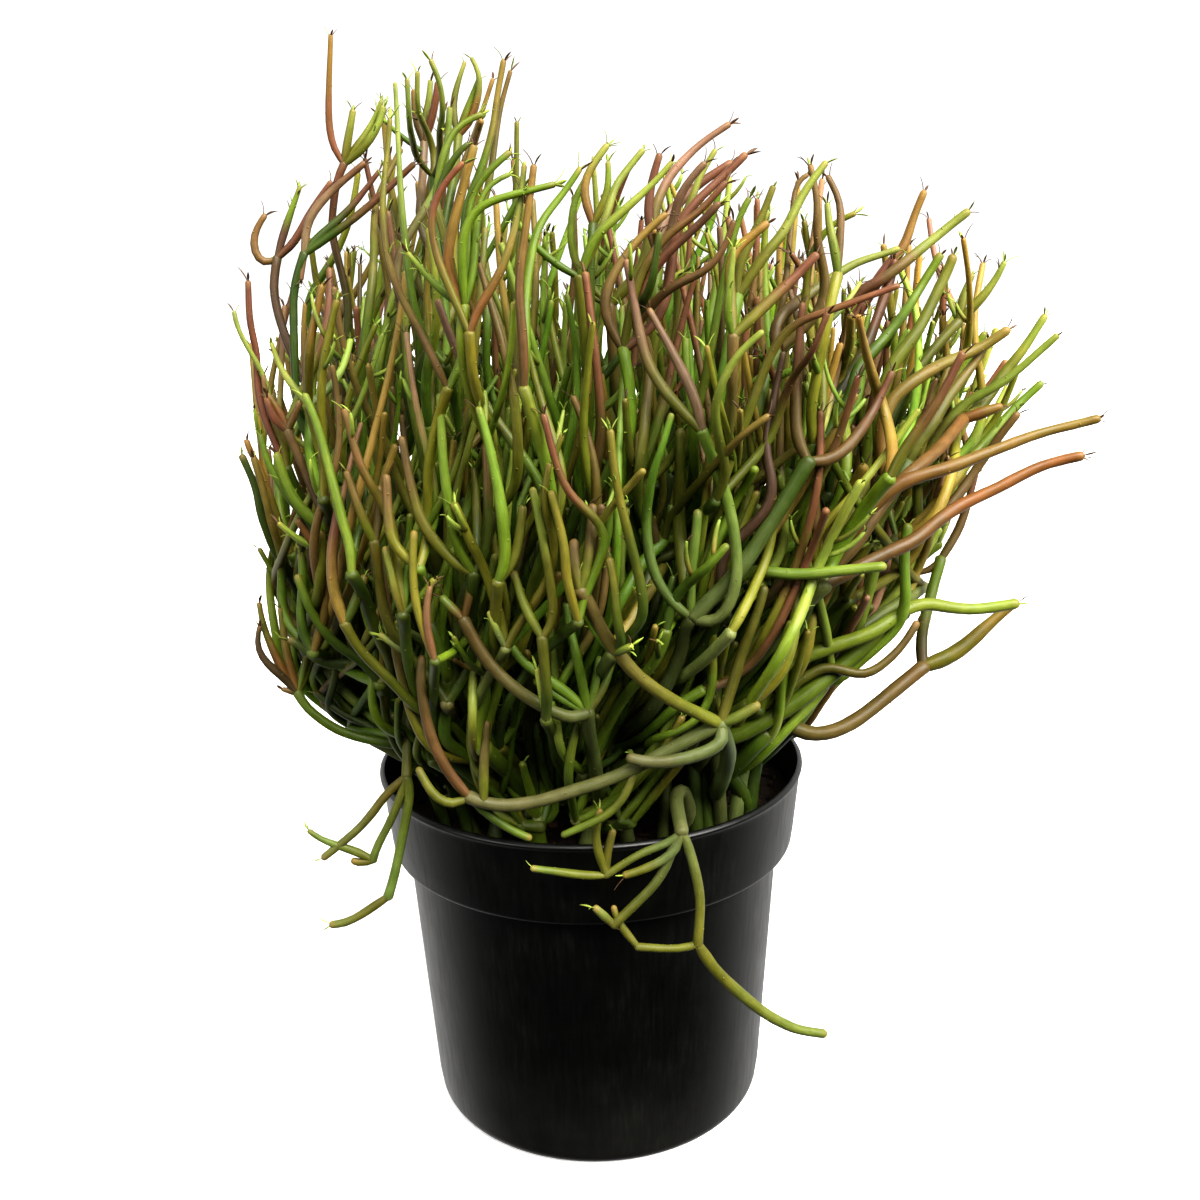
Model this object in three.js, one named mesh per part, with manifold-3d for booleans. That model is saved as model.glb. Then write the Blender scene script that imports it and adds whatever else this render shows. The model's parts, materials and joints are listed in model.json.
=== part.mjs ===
// Potted euphorbia: a dense bush of rooted pencil-stem cuttings in a collared black nursery pot.
// Units are millimetres, +Z is up. The origin is the centre of the pot's base on the plane it stands on;
// -Y is the front of the plant, +X its right.
import * as THREE from 'three';
import * as BufferGeometryUtils from 'three/addons/utils/BufferGeometryUtils.js';
import Module from 'manifold-3d';

// ---------------------------------------------------------------- driving dimensions
const POT_HEIGHT = 223;          // base plane to the top of the rim
const RIM_R = 130;               // outer radius of the rim bead
const COLLAR_BOTTOM_Z = 171.7;   // lower edge of the collar
const COLLAR_BOTTOM_R = 124.1;
const NECK_R = 115.1;            // body radius just under the collar
const BASE_R = 103.4;            // body radius at the base, before its rounded corner
const BASE_CORNER = 9;           // radius of the rounded bottom corner
const WALL = 2.2;                // wall thickness of the moulded body
const BEAD = 3.2;                // thickness of the rim bead
const FLOOR_T = 3;               // thickness of the pot's floor
const FOOT_RISE = 3;             // height of the recessed ring between the centre pad and the foot ring
const PAD_R = 30;                // flat centre pad of the base
const FOOT_IN_R = 84;            // inner radius of the foot ring
const DRAIN_HOLES = 8;           // round drain holes in the recessed ring
const DRAIN_R = 7.5;
const DRAIN_CIRCLE_R = 64;
const POT_SEGMENTS = 48;

const SOIL_TOP_Z = 197;          // surface of the potting soil at its edge
const SOIL_GAP = 0.4;            // the soil stays this far off the pot
const SOIL_CROWN = 2.5;          // the surface is slightly higher in the middle
const SOIL_SEGMENTS = 32;
const SOCKET_GAP = 0.4;          // space between each buried stem and the soil around it

const STEM_SIDES = 5;            // flat sides of every stem and pencil
const TIP_TAPER = 0.85;          // a branch is slightly narrower at its far end
const MIN_PENCIL = 20;
const RADIUS_TRIM = 0.96;        // stems keep a little clear of their neighbours

// ---------------------------------------------------------------- the cuttings
// Each cutting is a list of branches: [radius at the base, radius at the tip, centreline from base to tip].
// The first branch of a cutting is the one that stands in the soil.
const CUTTINGS = {
  stem_trailing_left: [
    [4.6, 2.3, [[-65.6, -60.4, 148.5], [-68.2, -62.2, 197], [-84.9, -63.7, 250.3], [-92.1, -72.6, 294.8], [-97.6, -77.2, 295.4], [-98.9, -82.9, 289.2], [-98.8, -108.1, 256.7]]],
    [2.1, 2, [[-98.8, -108.1, 256.7], [-147.9, -110, 209.5]]],
    [2.1, 2, [[-98.8, -108.1, 256.7], [-120.1, -110, 208.2], [-154.1, -110, 227.1]]],
    [2.4, 2, [[-98.8, -108.1, 256.7], [-98.5, -109.2, 241.1], [-113.1, -110, 185.8], [-132.3, -110, 172.6], [-147.1, -110, 169.2]]],
  ],
  stem_trailing_front: [
    [4.6, 3, [[47.8, -76.4, 149.5], [51.5, -83.1, 212.7], [55.4, -89.8, 220.3], [51.9, -98.7, 238.1], [48.8, -105.3, 244.4], [45.9, -114.1, 242.8], [47.9, -137, 233.4]]],
    [2.1, 1.9, [[47.9, -137, 233.4], [7.7, -139, 210.6]]],
    [2.3, 2.2, [[47.9, -137, 233.4], [56.6, -138.5, 201.8], [55.8, -140, 169]]],
    [2.1, 1.9, [[7.7, -139, 210.6], [-32.1, -143, 217.8]]],
    [2.1, 1.9, [[7.7, -139, 210.6], [2.5, -140.2, 234.1], [5.4, -141, 250]]],
    [2.3, 2.2, [[47.9, -137, 233.4], [39.9, -139, 219.4], [16, -142, 211.4]]],
    [2.3, 2, [[47.9, -137, 233.4], [34, -138.5, 204.5], [11.1, -140, 181.7], [0.6, -142, 194]]],
    [2.1, 1.7, [[55.8, -140, 169], [23.6, -140, 168.2], [11, -138, 192.2]]],
    [2.4, 2.3, [[55.8, -140, 169], [91.4, -128, 119.9], [109.1, -123.1, 105.5], [130.2, -118, 97.2]]],
  ],
  stem_front_arc: [
    [4.6, 3.3, [[66.3, -62.5, 156.9], [68.1, -65.1, 196.6], [70.2, -76.7, 226.8], [70.6, -91.8, 236.8], [73.7, -122.9, 271.2], [67.1, -144.8, 296.5]]],
    [3, 2.8, [[67.1, -144.8, 296.5], [16.4, -147, 271.1], [-30.1, -147, 256.6], [-61.7, -145.3, 259.9]]],
    [2.5, 2.3, [[67.1, -144.8, 296.5], [87.4, -144.9, 307.4]]],
    [2.4, 2.3, [[67.1, -144.8, 296.5], [90.3, -137.5, 367.1]]],
    [2.5, 2.3, [[-61.7, -145.3, 259.9], [-79, -148, 293.9], [-81.6, -143.9, 337]]],
    [2.3, 2.1, [[-61.7, -145.3, 259.9], [-68.5, -146.3, 255.7], [-76, -147.3, 258.2], [-87.4, -144.1, 276.9]]],
    [2, 1.9, [[-61.7, -145.3, 259.9], [-30.5, -142.1, 234.1]]],
    [3, 2.8, [[67.1, -144.8, 296.5], [70.2, -148.4, 290.6], [64.5, -150.7, 285.8], [41.8, -153.4, 280.1], [19.1, -152.2, 282.9]]],
    [2, 1.9, [[23.8, -146.4, 274.1], [12.8, -149.2, 252.9], [-15.1, -150, 239.1]]],
  ],
  stem_front_centre: [
    [4.6, 3.1, [[20.6, -71.2, 150.6], [21, -72.9, 190.4], [15.9, -85, 230.4], [14.2, -78.1, 259.4], [36.9, -129.7, 304.9], [52.5, -153.5, 355.7]]],
    [2.5, 2.4, [[52.5, -153.5, 355.7], [66.5, -159.2, 356], [73.9, -161.5, 376.6], [68.5, -158, 419.7], [57, -168.4, 449.8]]],
    [3.3, 3.1, [[52.5, -153.5, 355.7], [74.5, -153.4, 378], [109.2, -146.9, 430.8]]],
    [2.5, 2.4, [[109.2, -146.9, 430.8], [103.3, -142.9, 452.4], [107.2, -135.5, 504.8]]],
    [2.4, 2.3, [[57, -168.4, 449.8], [53.7, -167.5, 465.3], [33.1, -159.3, 505.7]]],
    [2.4, 2.3, [[57, -168.4, 449.8], [32.4, -163, 481.2], [23.6, -161.2, 527.7]]],
    [2.4, 2.2, [[109.2, -146.9, 430.8], [119.9, -145.6, 430.6], [129.4, -142.3, 436.6], [145.3, -126.8, 454.1], [153.4, -123.2, 470.3]]],
    [2.3, 2.2, [[52.5, -153.5, 355.7], [37.1, -154.9, 372.8], [30.9, -153.4, 402.4], [35.8, -167.8, 436.2], [43, -168.7, 458.9]]],
    [3.1, 2.9, [[52.5, -153.5, 355.7], [47.8, -134.6, 398.9], [48.3, -141.1, 447.4]]],
  ],
  stem_front_fork: [
    [4.6, 2.9, [[-6.4, -89, 152.5], [-6.1, -91, 191.9], [4.7, -88.4, 228.8], [3.9, -115.7, 255.2], [0.6, -154.1, 308.1]]],
    [2.9, 2, [[0.6, -154.1, 308.1], [-6.2, -158.5, 305.8], [-32.6, -163, 322.9], [-69, -159.3, 371.7]]],
    [2.2, 2.1, [[0.6, -154.1, 308.1], [-26, -150.4, 325.1]]],
    [2.2, 2, [[0.6, -154.1, 308.1], [-8.8, -147, 363.1]]],
  ],
  stem_middle_1: [
    [4.8, 4.7, [[13.2, 13.1, 153.1], [12.4, 15, 216.7]]],
    [3.6, 3.5, [[12.4, 15, 216.7], [9.6, 19.1, 227]]],
    [4.2, 1.9, [[12.4, 15, 216.7], [19.1, 16.9, 228.1], [22, 15, 251.7], [16.9, 14.9, 283.2], [20.4, 5.7, 341], [-12.9, -8.9, 478.2]]],
    [2, 1.9, [[9.6, 19.1, 227], [15.1, 12.1, 256.3], [42.8, 3, 315.5]]],
    [3.1, 1.8, [[9.6, 19.1, 227], [2.4, 34.1, 280.4], [9.7, 32.1, 303.2], [22.7, 22.9, 331.7], [20.8, 29.1, 346.1], [25.8, 28.7, 377.7], [50.4, 42.7, 403.3], [62.1, 46.2, 431.9], [58.8, 46.4, 454.5], [70.6, 49.2, 483.1], [67.6, 41.5, 521.4], [52.7, 37.2, 565.7]]],
  ],
  stem_middle_2: [
    [5.6, 4.8, [[-21.4, 11.1, 150.1], [-26, 8.2, 215.8], [-22.1, 8.6, 220.6]]],
    [4.3, 3.1, [[-22.1, 8.6, 220.6], [-38.1, 13.3, 235.1], [-50.3, 18.4, 272.6], [-43.5, 30, 318.8], [-42.2, 42.2, 349.1]]],
    [2.7, 2.2, [[-42.2, 42.2, 349.1], [-42.3, 39.8, 364.2], [-33.9, 46.5, 409.5], [-31.1, 49.5, 455.6], [-43.3, 56.6, 467.6], [-44.6, 58, 475.7], [-37.2, 46.8, 540.7], [-33.3, 46.3, 597.7]]],
    [2.2, 2, [[-22.1, 8.6, 220.6], [-38.8, -1.8, 268.2]]],
    [3.7, 1.9, [[-22.1, 8.6, 220.6], [-34.1, 17.8, 265.5], [-19.8, 22.4, 356.7], [-24.9, 19.1, 404.6], [-20.2, 13, 437.3], [-9, 8.5, 447.6], [19.5, -6.1, 520.3]]],
    [1.9, 1.7, [[-42.2, 42.2, 349.1], [-45.9, 50.8, 368], [-38.9, 42.9, 437.4]]],
  ],
  stem_middle_3: [
    [5.6, 5.4, [[-2.9, -8.5, 152.8], [-3.9, -9.5, 210.1]]],
    [5.6, 5.4, [[-3.9, -9.5, 210.1], [-5.5, -9.1, 216.6]]],
    [5.3, 2.4, [[-5.5, -9.1, 216.6], [-10.7, -26.4, 283.5], [3.7, -31.5, 319.2], [26.2, -41.5, 356.3], [19.7, -58.4, 382], [23.9, -65.8, 420.1], [18.5, -78, 456.2], [16.6, -84.3, 501.3], [32.7, -81.6, 518.8], [49.6, -68.8, 565.4], [80, -62.5, 588.9]]],
    [4.7, 1.9, [[-5.5, -9.1, 216.6], [-4.3, -8, 225.8], [-14.2, -10.8, 247.5], [-27, -25, 282.2], [-11, -20.1, 336.4], [18.8, -22.4, 384.5], [42, -26.7, 436.3]]],
    [3.4, 1.5, [[-3.9, -9.5, 210.1], [0.7, -13.6, 223.9], [-5.7, -41.9, 273.1]]],
  ],
  stem_back_1: [
    [5.1, 5, [[3.8, 38.4, 152.8], [4.6, 41.1, 216.8]]],
    [3.6, 3.5, [[4.6, 41.1, 216.8], [-4.4, 50.8, 283]]],
    [3.1, 1.9, [[-4.4, 50.8, 283], [3.3, 59.2, 341], [0.6, 65.8, 372.2], [10.4, 68.5, 428.1], [4, 70.8, 442], [6.6, 72, 457.4], [11.6, 51.5, 516.3], [31.3, 28.8, 571.3]]],
    [3.7, 1.8, [[4.6, 41.1, 216.8], [11.4, 51.7, 226], [1.9, 73.5, 273.1]]],
    [1.9, 1.7, [[-4.4, 50.8, 283], [12.6, 45.4, 298], [19.2, 43, 320.7], [28.6, 40.1, 367.3], [30.9, 40.9, 414.7]]],
    [4.4, 2.3, [[4.6, 41.1, 216.8], [-1.1, 41, 219.1], [-1.2, 44.6, 225.7], [5.7, 56.5, 254.2], [6.6, 74.5, 280.6], [33.2, 92.9, 364.5], [47.8, 107.8, 375.1], [75.9, 127.4, 408], [89.6, 130.7, 427.1], [103.2, 129.3, 456.1]]],
  ],
  stem_middle_4: [
    [5.6, 5.4, [[-33.2, -15.3, 153], [-33.9, -15.6, 186.9], [-41, -20.9, 219.4]]],
    [3.7, 2.7, [[-65.6, -23.1, 249.5], [-81, -23.5, 303], [-77.8, -31.9, 341.8], [-77.9, -44.8, 371.2], [-65.4, -46.1, 419.2], [-68.8, -45.7, 441.7], [-62, -49.8, 480.1], [-71.3, -40.1, 518.5]]],
    [4.3, 4.2, [[-41, -20.9, 219.4], [-65.6, -23.1, 249.5]]],
    [2.4, 1.7, [[-71.3, -40.1, 518.5], [-69.7, -29.1, 546.2], [-63.7, 2, 588.5], [-49.9, -1.2, 614.3], [-54.3, -3.1, 628.4]]],
    [2, 1.9, [[-71.3, -40.1, 518.5], [-59.4, -44.8, 534.7], [-34.7, -37.5, 624]]],
    [2.8, 2.2, [[-65.6, -23.1, 249.5], [-73, -39.1, 267], [-75.6, -42.2, 299.2], [-75.3, -38.5, 332.1], [-97.7, -32.5, 354.1], [-102.7, -27.8, 368.5], [-106.9, -17.7, 407.1], [-106.8, -14.6, 454.9]]],
    [5.1, 2.1, [[-41, -20.9, 219.4], [-37.2, -15.2, 219.5], [-68.7, -42.2, 276.4]]],
  ],
  stem_middle_5: [
    [5.6, 5.4, [[34.4, -7.5, 146.1], [39.5, -8.9, 214.7]]],
    [5.4, 3, [[39.5, -8.9, 214.7], [44.8, -6.7, 224.8], [54.5, -12, 252.8], [57.1, -12.1, 282.2], [64.4, -18.4, 304.6], [91.7, -18.1, 336.2], [98.3, -31.5, 364.2], [130.4, -39.8, 428], [149.1, -26.5, 483]]],
    [2.7, 2.5, [[149.1, -26.5, 483], [177, -19.4, 520], [190.1, -16.6, 554]]],
    [2.4, 2.3, [[149.1, -26.5, 483], [155.1, -27.5, 503.4], [172.7, -29.2, 512.6], [213.5, -22.8, 543]]],
    [1.9, 1.8, [[39.5, -8.9, 214.7], [60.3, -21.1, 277.4]]],
    [3.8, 2.3, [[39.5, -8.9, 214.7], [49.6, -26.6, 268.5], [59, -30.3, 299.1], [69, -46.5, 312.7], [82.8, -49.4, 341.1], [95.4, -95.2, 433.5]]],
  ],
  stem_left_back_1: [
    [5.6, 5.4, [[-26, 41.2, 155.3], [-28.5, 43, 214.6]]],
    [4.6, 4.1, [[-28.2, 44.6, 220.7], [-32.3, 41.2, 226], [-65.5, 57.6, 264.4]]],
    [5.3, 5.2, [[-28.5, 43, 214.6], [-28.2, 44.6, 220.7]]],
    [4.3, 2.3, [[-28.2, 44.6, 220.7], [-41.8, 64.5, 282.2], [-40.6, 74.9, 328.1], [-44.2, 77, 376.8], [-21.7, 65.3, 426.2], [-11.5, 45.8, 478.7]]],
    [1.8, 1.7, [[-28.5, 43, 214.6], [-40.4, 51.8, 274.6], [-38.9, 51.5, 306.6]]],
    [3, 2, [[-65.5, 57.6, 264.4], [-70.4, 69.3, 284.4], [-53.7, 89.8, 325.8], [-61.5, 100.2, 345.1], [-58.7, 108.7, 366.9], [-72.2, 107.2, 412.5], [-78.8, 111.7, 459.5]]],
    [3.7, 2.1, [[-65.5, 57.6, 264.4], [-66, 85.8, 395.2], [-71.3, 91.2, 410.1], [-72.3, 99.7, 476.6], [-73.1, 87.3, 497.4], [-68.5, 79.2, 528.5], [-45.6, 69.2, 606.1]]],
  ],
  stem_middle_6: [
    [5.6, 5.4, [[-6.9, -35.2, 152.7], [-7, -35.7, 184.7], [-8.7, -42, 207.6], [-5, -40.8, 220]]],
    [4.4, 2.3, [[-5, -40.8, 220], [-18.8, -62.2, 267.2], [-16.5, -73.9, 302.7], [6, -96.5, 382.1], [19.8, -101.5, 435.2], [33.2, -111, 451.1], [37.2, -116.1, 488.8], [38.8, -114.4, 511.4], [42, -98.5, 540.2], [59.5, -88.3, 557.6], [78.9, -85.3, 569.7]]],
    [4.8, 2.1, [[-5, -40.8, 220], [-35.3, -73.9, 282.9], [-30.7, -88.1, 301.4], [-16.1, -94.1, 328.7], [-4.3, -106.9, 346.3], [3.7, -133.1, 377.7], [13.6, -138.5, 398.1], [19.6, -149.7, 426.6], [24.9, -154.4, 456.2], [21.6, -148.2, 485.7], [39.9, -143.8, 502.4], [50.1, -138.4, 544.1], [80.5, -133.8, 572.5]]],
  ],
  stem_right_back_1: [
    [5.6, 5.4, [[34.8, 29.3, 156.3], [35.2, 29.9, 196.1], [40.7, 28.9, 218.8]]],
    [4.9, 4.8, [[40.7, 28.9, 218.8], [42.2, 31.1, 226]]],
    [2.7, 1.9, [[40.7, 28.9, 218.8], [51.1, 29.8, 226], [62.6, 53.2, 279.3]]],
    [3.1, 2.3, [[40.7, 28.9, 218.8], [60.8, 36.9, 269.3], [71.5, 31.6, 280.2], [88.8, 29.9, 343.3], [110.9, 21.3, 395.3]]],
    [4.3, 1.5, [[42.2, 31.1, 226], [45.4, 50.8, 270.1], [54.8, 47.3, 292.7], [83.3, 53, 322.4], [87, 51.8, 354], [105.7, 53, 406], [104.3, 52.4, 437], [93.3, 50.4, 475], [73.5, 56.1, 551.8]]],
    [3.1, 2.2, [[42.2, 31.1, 226], [36.4, 44.5, 253.8], [38.9, 52.8, 275.3], [67.3, 65.8, 319.6], [79.1, 76.1, 335.9], [92.9, 99.1, 352.4], [103.2, 109.9, 371.4], [117.4, 114.9, 399.7], [130.1, 111.7, 429]]],
  ],
  stem_left_1: [
    [5.6, 5.4, [[-48, 15.6, 154.1], [-50, 16.9, 194.5], [-58.6, 18.9, 216.9]]],
    [3.7, 3.6, [[-58.6, 18.9, 216.9], [-80.7, 18.1, 251.7]]],
    [2.1, 2, [[-58.6, 18.9, 216.9], [-103, 1.1, 264.4]]],
    [3.2, 1.5, [[-80.7, 18.1, 251.7], [-122.4, 24.8, 299.2], [-124.8, 37.5, 345.6], [-127.7, 26.5, 365.3], [-132, 21.6, 395.9], [-123.2, -3.8, 453.1], [-127.3, -11.6, 515.7]]],
    [2.4, 1.8, [[-80.7, 18.1, 251.7], [-105.8, 30.8, 281.9], [-111.8, 39.3, 303.9], [-116.5, 55.4, 320.2], [-120.5, 57.8, 335.3], [-90.4, 61.3, 392], [-78.5, 69.5, 438.8]]],
    [4.9, 1.9, [[-58.6, 18.9, 216.9], [-62.5, 21.4, 219.9], [-60.2, 25.6, 224], [-83.9, 25.1, 270.3], [-86.2, 31, 284.2], [-84.4, 46.4, 356.3], [-76, 39.1, 393.5], [-72.2, 48, 464.2], [-72.6, 49.1, 472], [-92.3, 51.1, 496.9], [-95.5, 52.6, 512.4], [-45.5, 38.9, 620.7]]],
  ],
  stem_right_front_1: [
    [5.6, 5.4, [[21.5, -31.2, 155.2], [23.3, -32, 194], [29.1, -37.8, 215.3]]],
    [5.5, 5.1, [[29.1, -37.8, 215.3], [28.2, -39.3, 225.8]]],
    [4.5, 2.3, [[28.2, -39.3, 225.8], [26.9, -48.1, 255.3], [31, -62, 282.6], [45.1, -73.3, 307.8], [61.3, -93.3, 363.9], [72.4, -111, 388.2], [85.2, -120.4, 441.8], [101.7, -100.3, 495.9], [117.9, -85.8, 505.2], [133, -80.9, 514.6], [164, -79.9, 526.2]]],
    [1.9, 1.8, [[29.1, -37.8, 215.3], [46.7, -45.2, 264.6]]],
    [2.2, 1.8, [[28.2, -39.3, 225.8], [55.2, -70.7, 279.9], [67.2, -78.2, 288.3], [72.5, -101.1, 323.3], [112, -115.4, 373.9], [130, -134.7, 404.8]]],
  ],
  stem_back_2: [
    [5.6, 5.4, [[-12.7, 84.1, 150.1], [-12.9, 86, 188.8], [-16.6, 92.3, 210], [-11.3, 83.6, 213.7]]],
    [3.7, 3.1, [[-11.3, 83.6, 213.7], [-26.4, 105.2, 277.3], [-6.2, 146, 333.6]]],
    [5.6, 5.2, [[-11.3, 83.6, 213.7], [-14.3, 88, 216.5]]],
    [1.9, 1.8, [[-14.3, 88, 216.5], [-13, 131.1, 273.6]]],
    [2.7, 1.9, [[-6.2, 146, 333.6], [5.2, 149.9, 352.2], [8.3, 161.8, 387], [29.2, 135.2, 450.1], [41.5, 107.5, 506.7]]],
    [4.6, 1.9, [[-14.3, 88, 216.5], [-9.5, 81, 217.3], [-5.9, 84.5, 226.4], [-24.4, 137.3, 287.3], [-15.3, 171.2, 331.3], [1.9, 193.6, 395.6], [3.6, 197.1, 419.3], [1.3, 194.8, 450]]],
    [1.9, 1.7, [[-6.2, 146, 333.6], [-7.1, 157.8, 343.8], [-0.4, 178.5, 376.5], [25, 201.5, 438.7]]],
  ],
  stem_left_front_1: [
    [5.6, 5.4, [[-32.2, -44.4, 151.7], [-33.3, -45.8, 197.6], [-38.3, -50.7, 219.3]]],
    [4.9, 4.1, [[-38.3, -50.7, 219.3], [-52.4, -63, 235.5]]],
    [3.1, 1.5, [[-52.4, -63, 235.5], [-78.2, -82.7, 280.3], [-81.3, -90, 293.7], [-67.1, -111.3, 342.6], [-64.2, -120.4, 372.2], [-58, -119.4, 433.4], [-60.7, -129.9, 464.1], [-62.1, -145.4, 480.5], [-62.8, -119.6, 493.4], [-68.9, -85.3, 526.8], [-75.3, -30.7, 566.8], [-63.5, -82.3, 593.3], [-67.2, -90.9, 620.1]]],
    [2.3, 2.2, [[-38.3, -50.7, 219.3], [-43.2, -52.3, 259.6]]],
    [3, 1.8, [[-52.4, -63, 235.5], [-59.3, -79.8, 275.5], [-64, -92.4, 294], [-59.4, -103.9, 303.5], [-65, -113.1, 324.3], [-69.6, -122.2, 370.9], [-61.8, -126.6, 442.4]]],
  ],
  stem_right_1: [
    [5, 4.9, [[54.3, 10.7, 151.5], [56.4, 11.5, 197], [64.5, 9.1, 217.8]]],
    [3.5, 2.2, [[64.5, 9.1, 217.8], [77.5, 12.1, 256.6], [86.1, 17.4, 267.8], [145.5, -1.5, 313.2], [169.8, -10.5, 342.6]]],
    [4.3, 2.2, [[64.5, 9.1, 217.8], [109.4, 21.5, 270.9], [131.7, 38.9, 300.7], [138, 39.4, 323.9], [114, 37.7, 382.8], [105.8, 38.5, 422.2]]],
    [3.3, 1.9, [[64.5, 9.1, 217.8], [71.9, 17.9, 265.3], [90.7, 12.6, 291.2], [114.9, 3.6, 310.8], [161, 8.4, 382.4], [163.9, -5.7, 391.9], [170.9, -11.6, 405.8], [181.4, -5.6, 453.6], [187.6, 6.8, 524.5]]],
    [3, 1.6, [[64.5, 9.1, 217.8], [82.2, 22.8, 285.8]]],
  ],
  stem_left_back_2: [
    [5.6, 5.4, [[-59.8, 48.8, 146.4], [-61, 49.8, 188], [-69.5, 54.6, 211]]],
    [5.6, 3.5, [[-69.5, 54.6, 211], [-62.7, 51.8, 220.3], [-99.9, 70.2, 257.9], [-121.9, 91.7, 285.2]]],
    [3.8, 2, [[-69.5, 54.6, 211], [-82.7, 63.1, 224.9], [-108, 64.1, 265.5]]],
    [2, 1.9, [[-121.9, 91.7, 285.2], [-126.3, 118.5, 319.5], [-122, 129.6, 338.1], [-90.5, 140.2, 388.6], [-75, 145.6, 423.1]]],
    [3.1, 2, [[-121.9, 91.7, 285.2], [-118.4, 102, 305.9], [-108.3, 122.1, 382.8], [-106.8, 133.6, 404.8], [-99.1, 142, 436.8], [-92.6, 133.9, 458.4], [-87.9, 138.5, 489.5], [-87.5, 118.9, 541.7], [-77.9, 113.5, 596.5]]],
  ],
  stem_front_1: [
    [5.6, 5.4, [[-4.2, -64.1, 148.7], [-4.2, -65.7, 189.6], [-2, -71.3, 209.8]]],
    [5.6, 4.3, [[-2, -71.3, 209.8], [-3.5, -69.2, 221], [-7.2, -73.5, 226.1]]],
    [3.8, 1.9, [[-7.2, -73.5, 226.1], [-9.5, -100.4, 264.8], [-4, -126.5, 289.8], [4.5, -138.6, 317.9], [13.5, -176.8, 346.1], [23.6, -150.4, 350.3], [34.8, -127.4, 378.3], [46.5, -111.3, 390.6], [61, -133.7, 418.1], [65.7, -157.2, 463.1], [69.7, -159.4, 486.7], [75.8, -150.6, 524.8], [91.3, -147.8, 558.1]]],
    [2.8, 1.9, [[-7.2, -73.5, 226.1], [-17.8, -130.4, 283.9], [-19.9, -167.6, 309.7], [-18.4, -174, 322.8], [-19.9, -177.4, 355], [-13.6, -178.8, 368.5], [-22, -175.6, 427.4]]],
    [2.7, 1.9, [[-2, -71.3, 209.8], [18, -94.2, 217.7], [25.8, -87.4, 225.2], [21.9, -117.1, 271.9]]],
  ],
  stem_right_back_2: [
    [5.5, 5.3, [[39.8, 59.3, 153.7], [42.6, 63.2, 206.2]]],
    [4.2, 4, [[45.3, 64.4, 218], [44.6, 63.9, 221.6]]],
    [5.3, 4.7, [[42.6, 63.2, 206.2], [45.3, 64.4, 218]]],
    [2.2, 1.7, [[42.6, 63.2, 206.2], [50.7, 84.1, 224], [55, 113, 270.6]]],
    [3.2, 1.9, [[45.3, 64.4, 218], [57.3, 68.4, 226], [75.8, 94.7, 249.1], [93.1, 106.5, 283.8], [98, 126.2, 317.6], [127.6, 153.1, 396]]],
    [2.8, 1.7, [[44.6, 63.9, 221.6], [37.3, 80, 247.4], [48, 80.5, 265.9], [72.6, 69.1, 291.8], [102.6, 52.2, 335.2]]],
    [3.6, 2, [[44.6, 63.9, 221.6], [52.7, 64.3, 226.1], [58.8, 87.4, 268.2], [57.7, 105.3, 294.8], [76.4, 109.8, 307.7], [86.2, 112.5, 327.7], [92.9, 112.1, 356.7], [88.4, 116.5, 379.6], [96, 114.1, 426.1], [109.3, 115.4, 471], [103.2, 111, 517]]],
  ],
  stem_left_2: [
    [5.6, 5.4, [[-79.7, -13.9, 155.8], [-81.3, -14.2, 187.7], [-89.2, -16.3, 210.1], [-80.6, -15.5, 213.9], [-86.1, -16.2, 219.6]]],
    [4.4, 2, [[-89.3, -16.4, 224], [-105.7, -13, 237.3], [-137.4, -24.2, 290.6], [-130.9, -27, 338.2], [-133.7, -16.7, 381.6], [-129.6, -20.4, 421.7], [-123.5, -31.6, 453.6], [-128.2, -30.8, 468.2], [-125.8, -28.3, 498.8], [-131.9, -26.6, 537.3], [-123.3, -23.9, 574.6]]],
    [3.7, 2.7, [[-89.3, -16.4, 224], [-118.3, -25.5, 242.6], [-149.4, -32.2, 280], [-150.4, -38.6, 336.8], [-138.3, -58.7, 421.4]]],
    [5.1, 4.9, [[-86.1, -16.2, 219.6], [-89.3, -16.4, 224]]],
    [1.8, 1.7, [[-123.3, -23.9, 574.6], [-129.3, -25.8, 598], [-124.5, -28.6, 639.1]]],
    [2.1, 2, [[-123.3, -23.9, 574.6], [-115.9, -26.1, 602.2]]],
    [2.1, 2, [[-123.3, -23.9, 574.6], [-101.5, -18.3, 606.8]]],
    [2.3, 1.9, [[-138.3, -58.7, 421.4], [-148.1, -59.9, 435.4], [-151.3, -59.2, 450.8], [-146.9, -49.3, 522.2], [-143.5, -48.6, 529.3], [-82.8, -44.1, 573.8]]],
    [2.4, 2, [[-138.3, -58.7, 421.4], [-162.5, -40.9, 504.5], [-160.8, -35.2, 526.8], [-167.5, -35.9, 522.8], [-172.3, -36.1, 528.9], [-165.1, -33, 550]]],
    [3.4, 1.6, [[-86.1, -16.2, 219.6], [-122.3, -30.7, 259.3], [-131.2, -52.3, 276.3], [-142.3, -33.2, 282], [-150.7, -23.4, 292.3], [-180.6, -11, 344.8], [-184.6, -8.3, 367.7], [-176.5, 0.8, 405.3], [-180.2, 13.4, 451.1]]],
  ],
  stem_right_front_2: [
    [5.6, 5.4, [[64.8, -33, 153.5], [65.9, -33.6, 184.6], [75.5, -37.4, 225.9]]],
    [3.3, 2.7, [[75.5, -37.4, 225.9], [87.1, -42, 279.7], [123.5, -52.1, 320.1], [144.5, -56.6, 373.9], [157, -56.1, 394.8]]],
    [2.4, 2, [[157, -56.1, 394.8], [171.1, -45.7, 437.1], [186.9, -35.7, 460.9], [208.8, -27.5, 483.6], [232, -29.9, 516]]],
    [2.3, 2.2, [[157, -56.1, 394.8], [184.9, -58.1, 412], [203.2, -54.1, 439.1], [252.8, -63.8, 479.6]]],
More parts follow.
